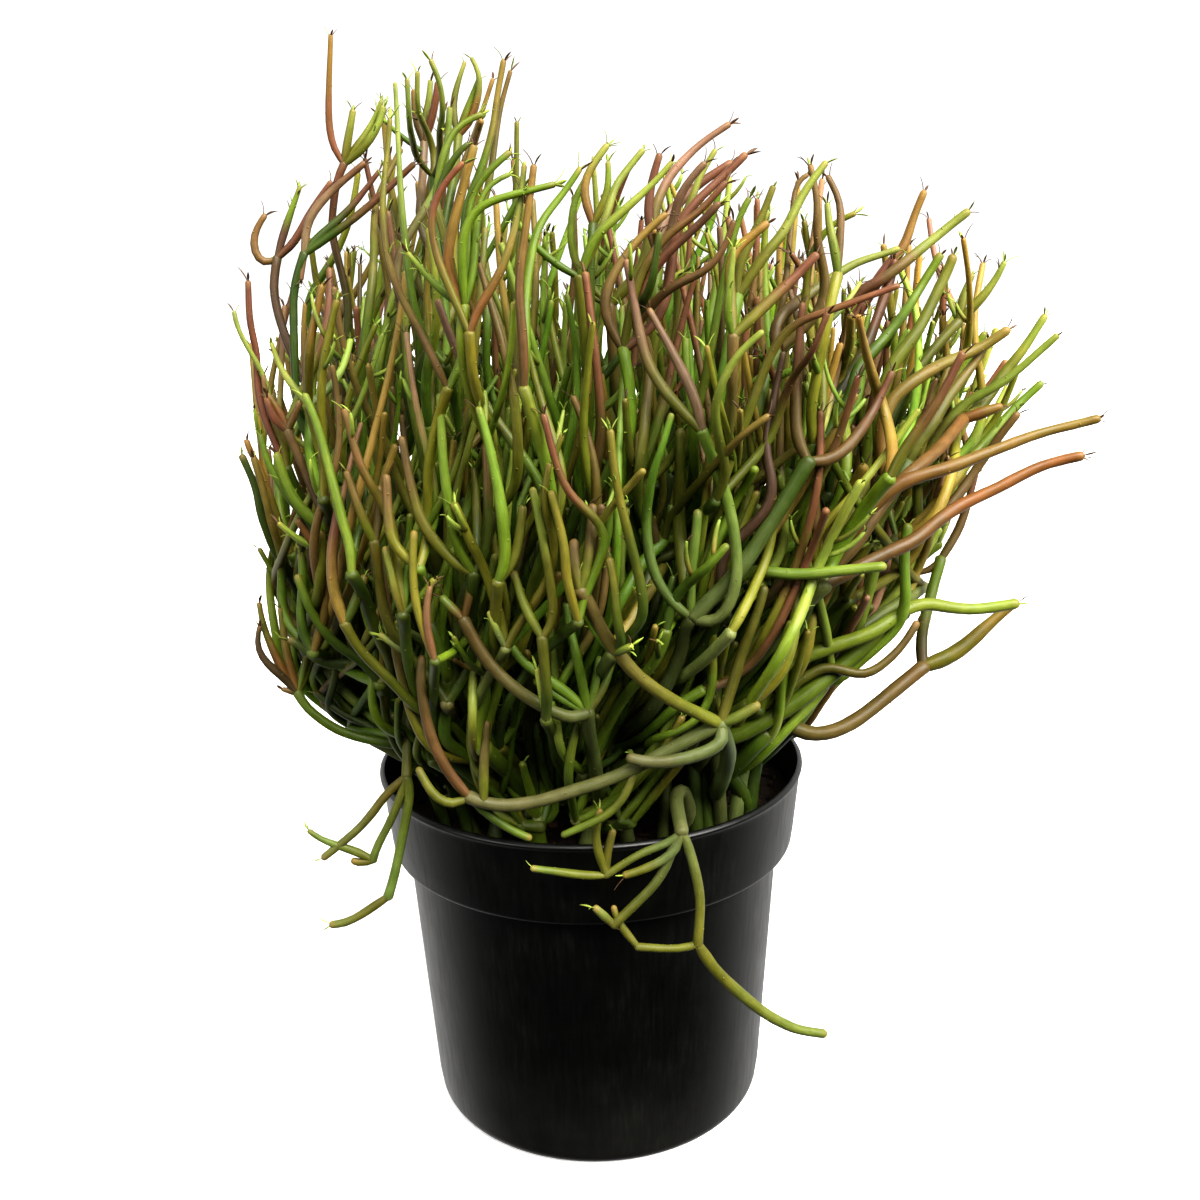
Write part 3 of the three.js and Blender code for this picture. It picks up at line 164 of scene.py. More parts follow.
class Shader:
    """A procedural material built node by node."""

    def __init__(self, name):
        self.mat = bpy.data.materials.new(name)
        self.mat.use_nodes = True
        self.t = self.mat.node_tree
        self.t.nodes.clear()
        self.out = self.t.nodes.new("ShaderNodeOutputMaterial")
        self.p = self.t.nodes.new("ShaderNodeBsdfPrincipled")
        self.t.links.new(self.p.outputs[0], self.out.inputs["Surface"])

    def feed(self, socket, value):
        if isinstance(value, bpy.types.NodeSocket):
            self.t.links.new(value, socket)
        elif isinstance(value, (tuple, list)) and socket.type == "RGBA" and len(value) == 3:
            socket.default_value = (*value, 1)
        else:
            socket.default_value = value

    def set(self, name, value):
        self.feed(self.p.inputs[name], value)

    def base(self, value):
        self.set("Base Color", value)

    def coords(self):
        return self.t.nodes.new("ShaderNodeTexCoord").outputs["Object"]

    def attribute(self, name, out="Color"):
        n = self.t.nodes.new("ShaderNodeAttribute")
        n.attribute_type = "GEOMETRY"
        n.attribute_name = name
        return n.outputs[out]

    def scaled(self, vector, xyz):
        n = self.t.nodes.new("ShaderNodeVectorMath")
        n.operation = "MULTIPLY"
        self.feed(n.inputs[0], vector)
        n.inputs[1].default_value = xyz
        return n.outputs[0]

    def noise(self, vector, scale, detail=2.0, roughness=0.5):
        n = self.t.nodes.new("ShaderNodeTexNoise")
        self.feed(n.inputs["Vector"], vector)
        n.inputs["Scale"].default_value = scale
        n.inputs["Detail"].default_value = detail
        n.inputs["Roughness"].default_value = roughness
        return n.outputs[0]

    def cells(self, vector, scale, out="Distance", randomness=1.0):
        n = self.t.nodes.new("ShaderNodeTexVoronoi")
        self.feed(n.inputs["Vector"], vector)
        n.inputs["Scale"].default_value = scale
        n.inputs["Randomness"].default_value = randomness
        return n.outputs[out]

    def span(self, value, a, b, lo=0.0, hi=1.0):
        n = self.t.nodes.new("ShaderNodeMapRange")
        n.clamp = True
        self.feed(n.inputs[0], value)
        for i, x in enumerate((a, b, lo, hi)):
            n.inputs[i + 1].default_value = x
        return n.outputs[0]

    def math(self, kind, a, b):
        n = self.t.nodes.new("ShaderNodeMath")
        n.operation = kind
        self.feed(n.inputs[0], a)
        self.feed(n.inputs[1], b)
        return n.outputs[0]

    def mix(self, factor, a, b, blend="MIX"):
        n = self.t.nodes.new("ShaderNodeMix")
        n.data_type = "RGBA"
        n.blend_type = blend
        self.feed(n.inputs[0], factor)
        self.feed(n.inputs[6], a)
        self.feed(n.inputs[7], b)
        return n.outputs[2]

    def part(self, vector, axis):
        n = self.t.nodes.new("ShaderNodeSeparateXYZ")
        self.feed(n.inputs[0], vector)
        return n.outputs[axis]

    def bump(self, height, strength, distance):
        n = self.t.nodes.new("ShaderNodeBump")
        n.inputs["Strength"].default_value = strength
        n.inputs["Distance"].default_value = distance
        self.feed(n.inputs["Height"], height)
        self.t.links.new(n.outputs[0], self.p.inputs["Normal"])


def skin_material(name, bloom, blush, gloss):
    """Skin of the fleshy pencils: the grown colour, lengthwise streaks, blotches, pale pores and a thin wax bloom."""
    s = Shader(name)
    tone = s.attribute("tone")
    grain = s.attribute("grain", "Vector")
    where = s.coords()
    streak = s.noise(s.scaled(grain, (1, 1, 0.10)), 1500, 3, 0.6)
    blotch = s.noise(where, 95, 3, 0.55)
    patch = s.noise(where, 38, 2, 0.5)
    fine = s.noise(grain, 2600, 2, 0.5)
    colour = s.mix(s.span(streak, 0.30, 0.72), (0.80, 0.82, 0.78), (1.17, 1.15, 1.20))
    colour = s.mix(1.0, tone, colour, "MULTIPLY")
    shade = s.mix(s.span(blotch, 0.32, 0.68), (0.84, 0.86, 0.86), (1.12, 1.10, 1.06))
    colour = s.mix(1.0, colour, shade, "MULTIPLY")
    colour = s.mix(s.span(patch, 0.50, 0.70, 0, blush), colour, (1.12, 0.88, 0.80), "MULTIPLY")
    wax = s.math("MULTIPLY", s.span(blotch, 0.44, 0.70, 0, bloom), s.span(fine, 0.30, 0.70, 0.55, 1.0))
    colour = s.mix(wax, colour, (1.22, 1.20, 1.75), "MULTIPLY")
    pores = s.span(s.cells(grain, 620), 0.10, 0.17, 0.34, 0.0)
    colour = s.mix(pores, colour, (2.2, 2.1, 2.6), "MULTIPLY")
    s.base(colour)
    s.set("Roughness", s.span(blotch, 0.3, 0.7, gloss, gloss + 0.14))
    s.set("Specular IOR Level", 0.34)
    height = s.math("ADD", s.span(streak, 0, 1, 0, 0.6), s.span(fine, 0, 1, 0, 0.25))
    height = s.math("ADD", height, s.span(s.cells(grain, 620), 0.08, 0.2, 0.35, 0.0))
    s.bump(height, 0.35, 0.00035)
    return s.mat


def leaf_material():
    """The tiny leaves: the grown colour with a fine mottle, drying towards the tip."""
    s = Shader("small_leaf")
    tone = s.attribute("tone")
    where = s.coords()
    n = s.noise(where, 700, 3, 0.6)
    colour = s.mix(s.span(n, 0.3, 0.7), (0.80, 0.82, 0.78), (1.18, 1.16, 1.10))
    colour = s.mix(1.0, tone, colour, "MULTIPLY")
    s.base(colour)
    s.set("Roughness", s.span(n, 0.3, 0.7, 0.45, 0.62))
    s.set("Specular IOR Level", 0.3)
    s.bump(n, 0.3, 0.0002)
    return s.mat


def pot_material():
    """Black moulded plastic with a satin face, handling scuffs that run down it, a little dust, and a painted
    reflection of the pale floor lighter towards the bottom.
    """
    s = Shader("black_plastic")
    where = s.coords()
    scuff = s.noise(s.scaled(where, (1, 1, 0.07)), 420, 4, 0.65)
    cloud = s.noise(where, 26, 4, 0.6)
    fine = s.noise(where, 2400, 2, 0.5)
    dust = s.math("MULTIPLY", s.span(cloud, 0.50, 0.75), s.span(scuff, 0.50, 0.75))
    colour = s.mix(s.span(cloud, 0.3, 0.7), (0.0008, 0.0009, 0.0007), (0.0018, 0.0019, 0.0016))
    colour = s.mix(s.math("MULTIPLY", dust, 0.16), colour, (0.050, 0.048, 0.038))
    # lighter towards the bottom: painted reflection of the pale floor
    low = s.math("MULTIPLY", s.span(s.part(where, 2), 0.075, 0.0, 0.0, 0.8), s.span(cloud, 0.25, 0.7, 0.55, 1.0))
    colour = s.mix(low, colour, (0.0125, 0.0125, 0.0110))
    s.base(colour)
    rough = s.math("ADD", s.span(cloud, 0.3, 0.7, 0.30, 0.37), s.span(scuff, 0.35, 0.75, 0.0, 0.12))
    s.set("Roughness", rough)
    s.set("Specular IOR Level", 0.50)
    s.bump(s.math("ADD", s.span(scuff, 0, 1, 0, 0.35), s.span(fine, 0, 1, 0, 0.5)), 0.12, 0.0002)
    return s.mat


def soil_material():
    """Damp peat with bark crumbs."""
    s = Shader("potting_soil")
    where = s.coords()
    tone = s.attribute("tone")
    a = s.noise(where, 420, 4, 0.65)
    b = s.noise(where, 90, 3, 0.5)
    colour = s.mix(s.span(a, 0.3, 0.72), (0.55, 0.52, 0.50), (1.55, 1.50, 1.40))
    colour = s.mix(1.0, tone, colour, "MULTIPLY")
    colour = s.mix(s.span(b, 0.35, 0.7, 0, 0.5), colour, (0.012, 0.008, 0.005))
    s.base(colour)
    s.set("Roughness", s.span(a, 0.3, 0.7, 0.82, 0.98))
    s.set("Specular IOR Level", 0.25)
    s.bump(a, 0.7, 0.0012)
    return s.mat


# ---------------------------------------------------------------- meshes


class Sheaf:
    """Collects closed rings-and-poles shapes and turns them into one mesh with its colour and grain."""

    def __init__(self):
        self.co, self.tone, self.grain = [], [], []
        self.quads, self.tris, self.qmat, self.tmat = [], [], [], []
        self.n = 0

    def add(self, rings, tones, grain, first_pole, last_pole, material=0):
        """rings: K x S x 3, tones: K x 3 or K x S x 3, grain: K x S x 3; the poles close both ends."""
        k, s = rings.shape[:2]
        if tones.ndim == 2:
            tones = np.repeat(tones[:, None], s, 1)
        base = self.n
        self.co.append(np.concatenate([rings.reshape(-1, 3), [first_pole, last_pole]]))
        self.tone.append(np.concatenate([tones.reshape(-1, 3), [tones[0].mean(0), tones[-1].mean(0)]]))
        self.grain.append(np.concatenate([grain.reshape(-1, 3), [grain[0].mean(0), grain[-1].mean(0)]]))
        i = np.arange(k - 1)[:, None] * s
        j = np.arange(s)[None]
        j2 = (j + 1) % s
        q = np.stack([i + j, i + j2, i + s + j2, i + s + j], -1).reshape(-1, 4) + base
        a, b = base + k * s, base + k * s + 1
        j, j2 = np.arange(s), (np.arange(s) + 1) % s
        t0 = np.stack([np.full(s, a), base + j2, base + j], -1)
        t1 = np.stack([np.full(s, b), base + (k - 1) * s + j, base + (k - 1) * s + j2], -1)
        self.quads.append(q)
        self.qmat.append(np.full(len(q), material))
        self.tris.append(np.concatenate([t0, t1]))
        self.tmat.append(np.full(2 * s, material))
        self.n += k * s + 2

    def object(self, name, materials):
        co = np.concatenate(self.co) * MM
        quads, tris = np.concatenate(self.quads), np.concatenate(self.tris)
        mesh = bpy.data.meshes.new(name)
        mesh.vertices.add(len(co))
        mesh.vertices.foreach_set("co", co.astype(np.float32).ravel())
        mesh.loops.add(quads.size + tris.size)
        mesh.loops.foreach_set("vertex_index", np.concatenate([quads.ravel(), tris.ravel()]).astype(np.int32))
        mesh.polygons.add(len(quads) + len(tris))
        starts = np.concatenate([np.arange(len(quads)) * 4, quads.size + np.arange(len(tris)) * 3])
        mesh.polygons.foreach_set("loop_start", starts.astype(np.int32))
        mesh.polygons.foreach_set("material_index", np.concatenate(self.qmat + self.tmat).astype(np.int32))
        mesh.polygons.foreach_set("use_smooth", np.ones(len(starts), bool))
        mesh.update(calc_edges=True)
        tone = mesh.attributes.new("tone", "FLOAT_COLOR", "POINT")
        rgba = np.ones((len(co), 4), np.float32)
        rgba[:, :3] = np.concatenate(self.tone)
        tone.data.foreach_set("color", rgba.ravel())
        grain = mesh.attributes.new("grain", "FLOAT_VECTOR", "POINT")
        grain.data.foreach_set("vector", (np.concatenate(self.grain) * MM).astype(np.float32).ravel())
        mesh.validate()
        for m in materials:
            mesh.materials.append(m)
        o = bpy.data.objects.new(name, mesh)
        bpy.context.scene.collection.objects.link(o)
        return o


def unit(v):
    return v / (np.linalg.norm(v, axis=-1, keepdims=True) + 1e-12)


def curve(points, step):
    """Catmull-Rom through the points, sampled about every step along it."""
    p = np.asarray(points, float)
    if len(p) == 2:
        n = max(2, int(round(np.linalg.norm(p[1] - p[0]) / step)) + 1)
        t = np.linspace(0, 1, n)[:, None]
        return p[0] * (1 - t) + p[1] * t
    ext = np.vstack([2 * p[0] - p[1], p, 2 * p[-1] - p[-2]])
    dense = []
    for i in range(len(p) - 1):
        a, b, c, d = ext[i:i + 4]
        t = np.linspace(0, 1, 8, endpoint=False)[:, None]
        dense.append(0.5 * (2 * b + (c - a) * t + (2 * a - 5 * b + 4 * c - d) * t ** 2 + (3 * b - a - 3 * c + d) * t ** 3))
    dense = np.vstack([*dense, p[-1:]])
    s = np.concatenate([[0], np.cumsum(np.linalg.norm(np.diff(dense, axis=0), axis=1))])
    n = max(3, int(round(s[-1] / step)) + 1)
    at = np.linspace(0, s[-1], n)
    return np.stack([np.interp(at, s, dense[:, k]) for k in range(3)], 1)


def frames(path):
    """Tangents and a twist-free pair of side vectors along a path."""
    t = unit(np.gradient(path, axis=0))
    ref = np.array([1.0, 0, 0]) if abs(t[0][0]) < 0.8 else np.array([0, 1.0, 0])
    u = np.zeros_like(t)
    u[0] = unit(ref - t[0] * (ref @ t[0]))
    for i in range(1, len(t)):
        w = u[i - 1] - t[i] * (u[i - 1] @ t[i])
        u[i] = w / (np.linalg.norm(w) + 1e-12)
    return t, u, np.cross(t, u)


def smooth(x, a, b):
    x = np.clip((np.asarray(x, float) - a) / (b - a), 0, 1)
    return x * x * (3 - 2 * x)


def wave(s, seed, period):
    """Slow pseudo-random wave between -1 and 1 along s."""
    r = np.random.default_rng(seed)
    ph = r.uniform(0, 2 * math.pi, 3)
    return (np.sin(2 * math.pi * s / period + ph[0]) + 0.6 * np.sin(2 * math.pi * s / period * 2.3 + ph[1])
            + 0.35 * np.sin(2 * math.pi * s / period * 4.1 + ph[2])) / 1.6


# display colours of the plant
COLOURS = {
    "G": (102, 122, 30),    # fresh green
    "D": (64, 82, 20),      # deep green
    "O": (112, 108, 32),    # olive
    "V": (116, 140, 48),    # vivid green
    "Y": (144, 154, 64),    # yellow green
    "K": (138, 112, 48),    # gold
    "R": (120, 76, 52),     # brick red
    "P": (142, 106, 80),    # pinkish brown
    "A": (138, 92, 46),     # amber brown
    "B": (110, 84, 46),     # brown
    "M": (84, 60, 42),      # dark mauve brown
    "N": (112, 106, 66),    # greyed olive
    "L": (122, 134, 58),    # dull pale green
    "W": (104, 112, 60),    # pale grey green
}
LINEAR = {k: lin(v) for k, v in COLOURS.items()}
KNUCKLE = lin((88, 84, 40))
TIP_CAP = lin((160, 120, 66))
LEAF_DRY = lin((92, 66, 44))
LEAF_FRESH = lin((150, 168, 70))


# the bush as a smooth body: middle, half width and half depth of its sections, and the height of its top
HULL_Z = [200, 240, 280, 320, 360, 400, 440, 480, 520, 560, 600, 640]
HULL_X = [0, 0, -10, 1, 13, 20, 32, 36, 37, 37, 37, 37]
HULL_A = [100, 130, 163, 191, 204, 210, 223, 228, 228, 228, 228, 228]
HULL_B = [97, 117, 151, 175, 192, 205, 211, 215, 217, 219, 221, 221]
TOP_X = [-200, -160, -120, -80, -40, 0, 40, 80, 120, 160, 200, 240, 280]
TOP_Z = [430, 544, 588, 623, 618, 574, 579, 576, 564, 540, 520, 470, 420]


def buried(p):
    """How far points lie under the surface of the bush, in mm."""
    x, y, z = p[:, 0], p[:, 1], p[:, 2]
    a, b = np.interp(z, HULL_Z, HULL_A), np.interp(z, HULL_Z, HULL_B)
    s = np.hypot((x - np.interp(z, HULL_Z, HULL_X)) / a, y / b)
    top = np.interp(x, TOP_X, TOP_Z) - 105 * np.clip(np.abs(y) / 218, 0, 1.2) ** 2.2
    return np.maximum(np.minimum((1 - s) * (a + b) / 2, (top - z) * 0.8), 0)


def painted_interior_shade(tone, p):
    """Painted shade: darkens and greens colour by depth under the bush surface, most low down; partly the darker colour
    of shaded growth.
    """
    k = np.exp(-buried(p) / 60.0)[:, None]
    low = 0.36 + 0.26 * smooth(p[:, 2], 350, 470)[:, None]
    return tone * (low + (1 - low) * k) * (1 - 0.22 * (1 - k) * np.array([1.0, 0.0, 0.6]))


def pick(table, roll):
    total = sum(table.values())
    for k, v in table.items():
        roll -= v / total
        if roll <= 0:
            return k
    return k


def grown_codes(tip, roll_a, roll_b):
    """Colours of a branch that nothing else fixes, from where its tip stands: sunned at the top and right, green lower down."""
    x, y, z = tip
    if z > 490 and x < -35:
        t = dict(B=18, K=24, O=20, R=17, Y=14, P=7)
    elif z > 455 and x < 25:
        t = dict(Y=20, O=24, K=20, G=14, R=12, B=10)
    elif z > 430 and x < 110:
        t = dict(R=22, K=24, P=12, Y=20, O=14, G=8)
    elif x > 95 and z > 350:
        t = dict(K=29, Y=22, O=16, R=17, P=9, G=7)
    elif z > 345:
        t = dict(G=34, Y=15, O=24, D=10, K=8, B=6, P=3)
    else:
        t = dict(D=34, G=34, O=14, W=10, Y=8)
    tip_code = pick(t, roll_a)
    if tip_code == "R" and x < -50 and z < 500:
        tip_code = "B"
    if z > 400:
        b = dict(G=34, O=30, D=14, Y=9, K=8, B=5) if x < 60 else dict(G=24, O=36, D=8, Y=11, K=13, B=8)
    elif z > 330:
        b = dict(G=42, O=14, D=38, Y=6)
    else:
        b = dict(D=50, G=30, W=12, O=8)
    return pick(b, roll_b), tip_code


def eased(path, rounds):
    """Takes small kinks out of a path without moving its ends."""
    path = path.copy()
    for _ in range(rounds):
        path[1:-1] = 0.25 * path[:-2] + 0.5 * path[1:-1] + 0.25 * path[2:]
    return path


def blade(sheaf, foot, out, up, length, width, tone_a, tone_b, r):
    """One tiny leaf: a thin closed blade that bends outwards, widest beyond its middle."""
    n = 5
    t = np.linspace(0.0, 1.0, n)
    bend = r.uniform(0.2, 0.9)
    lean = 0.5 + bend * t
    step = length / (n - 1)
    d = unit(np.cos(lean)[:, None] * up + np.sin(lean)[:, None] * out)
    mid = foot + np.concatenate([[np.zeros(3)], np.cumsum(d[:-1] * step, axis=0)])
    side = unit(np.cross(up, out))
    face = unit(np.cross(side, d))
    w = width * (0.30 + 0.70 * np.sin(np.pi * np.clip(t ** 0.85, 0.02, 0.94))) * np.where(t > 0.95, 0.45, 1)
    th = 0.17 + 0.10 * (1 - t)
    ring = np.stack([mid + side * w[:, None] * 0.5, mid + face * th[:, None],
                     mid - side * w[:, None] * 0.5, mid - face * th[:, None]], 1)
    tone = tone_a * (1 - t[:, None]) + tone_b * t[:, None]
    last = mid[-1] + d[-1] * 0.35
    sheaf.add(ring, tone, ring.copy(), mid[0] - d[0] * 0.2, last, 1)


def scar(sheaf, centre, normal, along, size, tone):
    """A leaf scar: a low round bump on the skin."""
    side = unit(np.cross(normal, along))
    a = np.arange(6) * math.pi / 3
    ring = centre + size * (np.cos(a)[:, None] * along * 0.8 + np.sin(a)[:, None] * side)
    low = ring - normal * 0.25
    rings = np.stack([low, ring + normal * 0.02])
    sheaf.add(rings[:, ::-1], np.repeat(tone[None], 2, 0), rings[:, ::-1].copy(),
              centre - normal * 0.3, centre + normal * size * 0.38, 0)


def twig(sheaf, foot, along, out, length, r):
    """A thin young side twig with two or three leaves at its end."""
    n = 6
    turn = np.linspace(0.85, 0.35, n - 1) * r.uniform(0.8, 1.2)
    d = unit(np.cos(turn)[:, None] * along + np.sin(turn)[:, None] * out)
    mid = foot + np.concatenate([[np.zeros(3)], np.cumsum(d * (length / (n - 1)), axis=0)])
    if mid[:, 1].min() < -188 or mid[:, 1].max() > 198 or mid[:, 0].max() > 255 or mid[:, 0].min() < -178:
        return
    t, u, v = frames(mid)
    a = np.arange(6) * math.pi / 3
    rad = r.uniform(1.0, 1.5) * np.array([0.9, 1.0, 1.0, 0.92, 0.80, 0.55])
    ring = mid[:, None] + rad[:, None, None] * (np.cos(a)[None, :, None] * u[:, None] + np.sin(a)[None, :, None] * v[:, None])
    f = np.linspace(0, 1, n)[:, None]
    foot_tone = LINEAR[pick(dict(G=30, O=25, Y=25, K=20), r.uniform(0, 1))]
    # painted shade by depth under the bush on the twig and its leaves
    tone = painted_interior_shade((foot_tone * (1 - f) + LEAF_FRESH * f) * np.exp(r.normal(0, 0.12)), mid)
    sheaf.add(ring, tone, ring.copy(), mid[0] - t[0] * 0.2, mid[-1] + t[-1] * 0.6, 0)
    az = r.uniform(0, 2 * math.pi)
    for i in range(int(r.integers(1, 4))):
        side = unit(math.cos(az) * u[-1] + math.sin(az) * v[-1])
        leaf = (LEAF_FRESH if r.uniform(0, 1) < 0.65 else LEAF_DRY) * r.uniform(0.75, 1.25)
        leaf = painted_interior_shade(leaf[None], mid[-1:])[0]
        blade(sheaf, mid[-1], side, t[-1], r.uniform(3.0, 6.5), r.uniform(0.9, 1.6), leaf, leaf, r)
        az += r.uniform(1.7, 2.6)


def branch(sheaf, line, kind, code_a, code_b, r_base, r_tip, seed, free):
    """One length of stem or one pencil, from its knuckle or root to its tip."""
    r = np.random.default_rng(seed)
    pencil, young = kind in "py", kind == "y"
    points = np.asarray(line, float)[::-1]
    path = curve(points, 4.6 if pencil else 5.2)
    path = eased(path, 12 if free and pencil else 3)
    s = np.concatenate([[0], np.cumsum(np.linalg.norm(np.diff(path, axis=0), axis=1))])
    length = s[-1]
    tip_at = points[-1]
    sunny = tip_at[2] > 440 or tip_at[0] < -150 or tip_at[0] > 175
    stout = 1.0 if young else 1.05 + 0.09 * (1 - float(smooth(tip_at[2], 400, 520))) + 0.16 * float(smooth(tip_at[0], 40, 130))
    r_base, r_tip = r_base * stout, r_tip * stout
    if pencil:
        r_tip *= r.uniform(0.62, 0.84) if sunny else r.uniform(0.84, 0.98)
    end_r = r_tip if pencil else r_tip * 1.10
    # stations: a few close ones at the knuckle, then even ones, then the rounded end
    if pencil:
        body = s[:-1][s[:-1] < length - end_r * 1.3]
    else:
        body = s[:-1]
    body = np.unique(np.concatenate([[0, 1.6, 3.4], body[body > 5.0]]))
    body = body[body < length - end_r * (1.05 if pencil else 0.2)]
    phi = np.radians([8, 34, 58, 78]) if pencil else np.radians([0, 34, 62])
    dome = end_r if pencil else end_r * 0.75
    start = length - dome if pencil else length
    stations = np.concatenate([body, start + dome * np.sin(phi)])
    scale = np.concatenate([np.ones(len(body)), np.cos(phi)])
    t_all, u_all, v_all = frames(path)
    inside = np.minimum(stations, length)
    centre = np.stack([np.interp(inside, s, path[:, k]) for k in range(3)], 1)
    centre += t_all[-1] * np.maximum(stations - length, 0)[:, None]
    u = unit(np.stack([np.interp(inside, s, u_all[:, k]) for k in range(3)], 1))
    t = unit(np.stack([np.interp(inside, s, t_all[:, k]) for k in range(3)], 1))
    u = unit(u - t * (u * t).sum(1, keepdims=True))
    v = np.cross(t, u)
    f = np.clip(stations / max(length, 1e-6), 0, 1)
    g_taper = smooth(f, 0.25, 1.0) if pencil else f
    rad = r_base * (1 - g_taper) + r_tip * g_taper
    rad = rad * (1 + 0.035 * wave(stations, seed + 1, 34.0))
    if pencil:
        rad = rad * (0.82 + 0.18 * smooth(stations, 0.5, 8.0)) * (1 + 0.05 * np.sin(math.pi * f))
    else:
        rad = rad * (0.93 + 0.07 * smooth(stations, 0.0, 7.0))
        rad = rad * (1 + 0.10 * smooth(stations, length - 7.0, length - 0.5))
    rad = rad * scale
    sides = 8 if max(r_base, r_tip) < 3.2 else 10
    a = np.arange(sides) * 2 * math.pi / sides
    oval, spin = 0.045, r.uniform(0, math.pi)
    prof = 1 + oval * np.cos(2 * (a - spin))[None] + 0.018 * np.sin(3 * a[None] + wave(stations, seed + 5, 60)[:, None] * 3)
    ring = (centre[:, None] + (rad[:, None] * prof)[..., None]
            * (np.cos(a)[None, :, None] * u[:, None] + np.sin(a)[None, :, None] * v[:, None]))
    # colour along the branch
    ca, cb = LINEAR[code_a], LINEAR[code_b]
    low = (1 - float(smooth(tip_at[2], 330, 430))) * (0.25 if code_b == "V" else 1.0)
    if not free:
        ca, cb = ca * (1 - 0.24 * low) + LINEAR["D"] * 0.24 * low, cb * (1 - 0.24 * low) + LINEAR["D"] * 0.24 * low
    # random spread of tone, scaled darker for low growth (painted shade low in the bush) and, for free branches,
    # brighter high on the right (painted light where the light falls)
    tone_spread_and_painted_light = np.exp(r.normal(0, 0.16 if free else 0.08)) * np.exp(r.normal(0, 0.05, 3))
    if free:
        tone_spread_and_painted_light = tone_spread_and_painted_light * 1.08 * (1 - 0.08 * low) * (1 + 0.24 * float(smooth(tip_at[0], 10, 110) * smooth(tip_at[2], 370, 450)))
    else:
        tone_spread_and_painted_light = tone_spread_and_painted_light * (0.80 if code_b in "RKAPY" else 1.0 if code_b == "V" else 0.92) * (1 - 0.20 * low)
    if pencil:
        g = smooth(f + 0.10 * wave(stations, seed + 9, 50), r.uniform(0.05, 0.35), r.uniform(0.7, 1.0))
    else:
        g = smooth(f, 0.0, 1.0)
    tone = (ca * (1 - g[:, None]) + cb * g[:, None]) * tone_spread_and_painted_light
    knuckle = 0.30 * (1 - smooth(stations, 1.0, 6.5))
    if not pencil:
        knuckle = np.maximum(knuckle, 0.30 * smooth(stations, length - 6, length))
    tone = tone * (1 - knuckle[:, None]) + KNUCKLE * knuckle[:, None]
    if pencil:
        cap = r.uniform(0.05, 0.40) * smooth(stations, length - 5.5, length - 0.5)
        tone = tone * (1 - cap[:, None]) + TIP_CAP * cap[:, None]
    # painted shade: darker by depth under the bush; stems from the soil are scaled darker still, painted shade down by
    # the soil under the bush
    tone = painted_interior_shade(tone, centre) * (0.56 if kind == "b" else 1.0)
    offset = r.uniform(-400, 400, 3)
    grain = np.stack([np.cos(a)[None] * rad.mean() * np.ones((len(rad), 1)), np.sin(a)[None] * rad.mean() * np.ones((len(rad), 1)),
                      stations[:, None] * np.ones((1, sides))], -1) + offset
    sheaf.add(ring, tone, grain, centre[0] - t[0] * 0.3, centre[-1] + t[-1] * dome * 0.02, 0)
    # leaf scars, one above the other by the golden angle
    ang = r.uniform(0, 2 * math.pi)
    at = r.uniform(8, 16)
    while at < length - 7:
        k = int(np.searchsorted(stations, at))
        k = min(max(k, 1), len(stations) - 1)
        w = (at - stations[k - 1]) / max(stations[k] - stations[k - 1], 1e-6)
        c = centre[k - 1] * (1 - w) + centre[k] * w
        nrm = math.cos(ang) * u[k] + math.sin(ang) * v[k]
        rr = rad[k - 1] * (1 - w) + rad[k] * w
        # the scar's colour carries painted shade by depth under the bush
        scar(sheaf, c + nrm * rr * 0.97, nrm, t[k], r.uniform(0.45, 0.75), tone[k] * 0.9 + painted_interior_shade(KNUCKLE[None], c[None])[0] * 0.4)
        ang += 2.4
        at += r.uniform(9, 17)
    if not pencil:
        return
    # leaves at the growing end
    tip = centre[-1]
    top = unit(t[-1])
    dark = code_b in "RKBPAM"
    shadow = painted_interior_shade(np.ones((1, 3)), tip[None])[0]
    if young or sunny:
        count = int(r.choice([0, 1, 2, 3, 4], p=[0.06, 0.10, 0.36, 0.32, 0.16]))
    else:
        count = int(r.choice([0, 1, 2, 3], p=[0.55, 0.20, 0.16, 0.09]))
    if dark and sunny and not free:
        count = max(count, 2)
    az = r.uniform(0, 2 * math.pi)
    for i in range(count):
        out = unit(math.cos(az) * u[-1] + math.sin(az) * v[-1])
        fresh = r.uniform(0, 1) < (0.10 if dark else 0.75)
        size = r.uniform(4.2, 8.4) if dark else r.uniform(3.4, 8.2)
        ta = LEAF_FRESH * r.uniform(0.75, 1.25) if fresh else LEAF_DRY * r.uniform(0.6, 1.3)
        tb = ta * 0.55 + LEAF_DRY * 0.45 if r.uniform(0, 1) < 0.5 else ta
        foot = tip - top * r.uniform(0.2, 1.4) + out * end_r * r.uniform(0.25, 0.6)
        blade(sheaf, foot, out, top, size, r.uniform(0.9, 1.7), ta * shadow, tb * shadow, r)
        az += r.uniform(1.7, 2.6)
    if young or (code_b in "YGO" and sunny and r.uniform(0, 1) < 0.55) or r.uniform(0, 1) < 0.06:
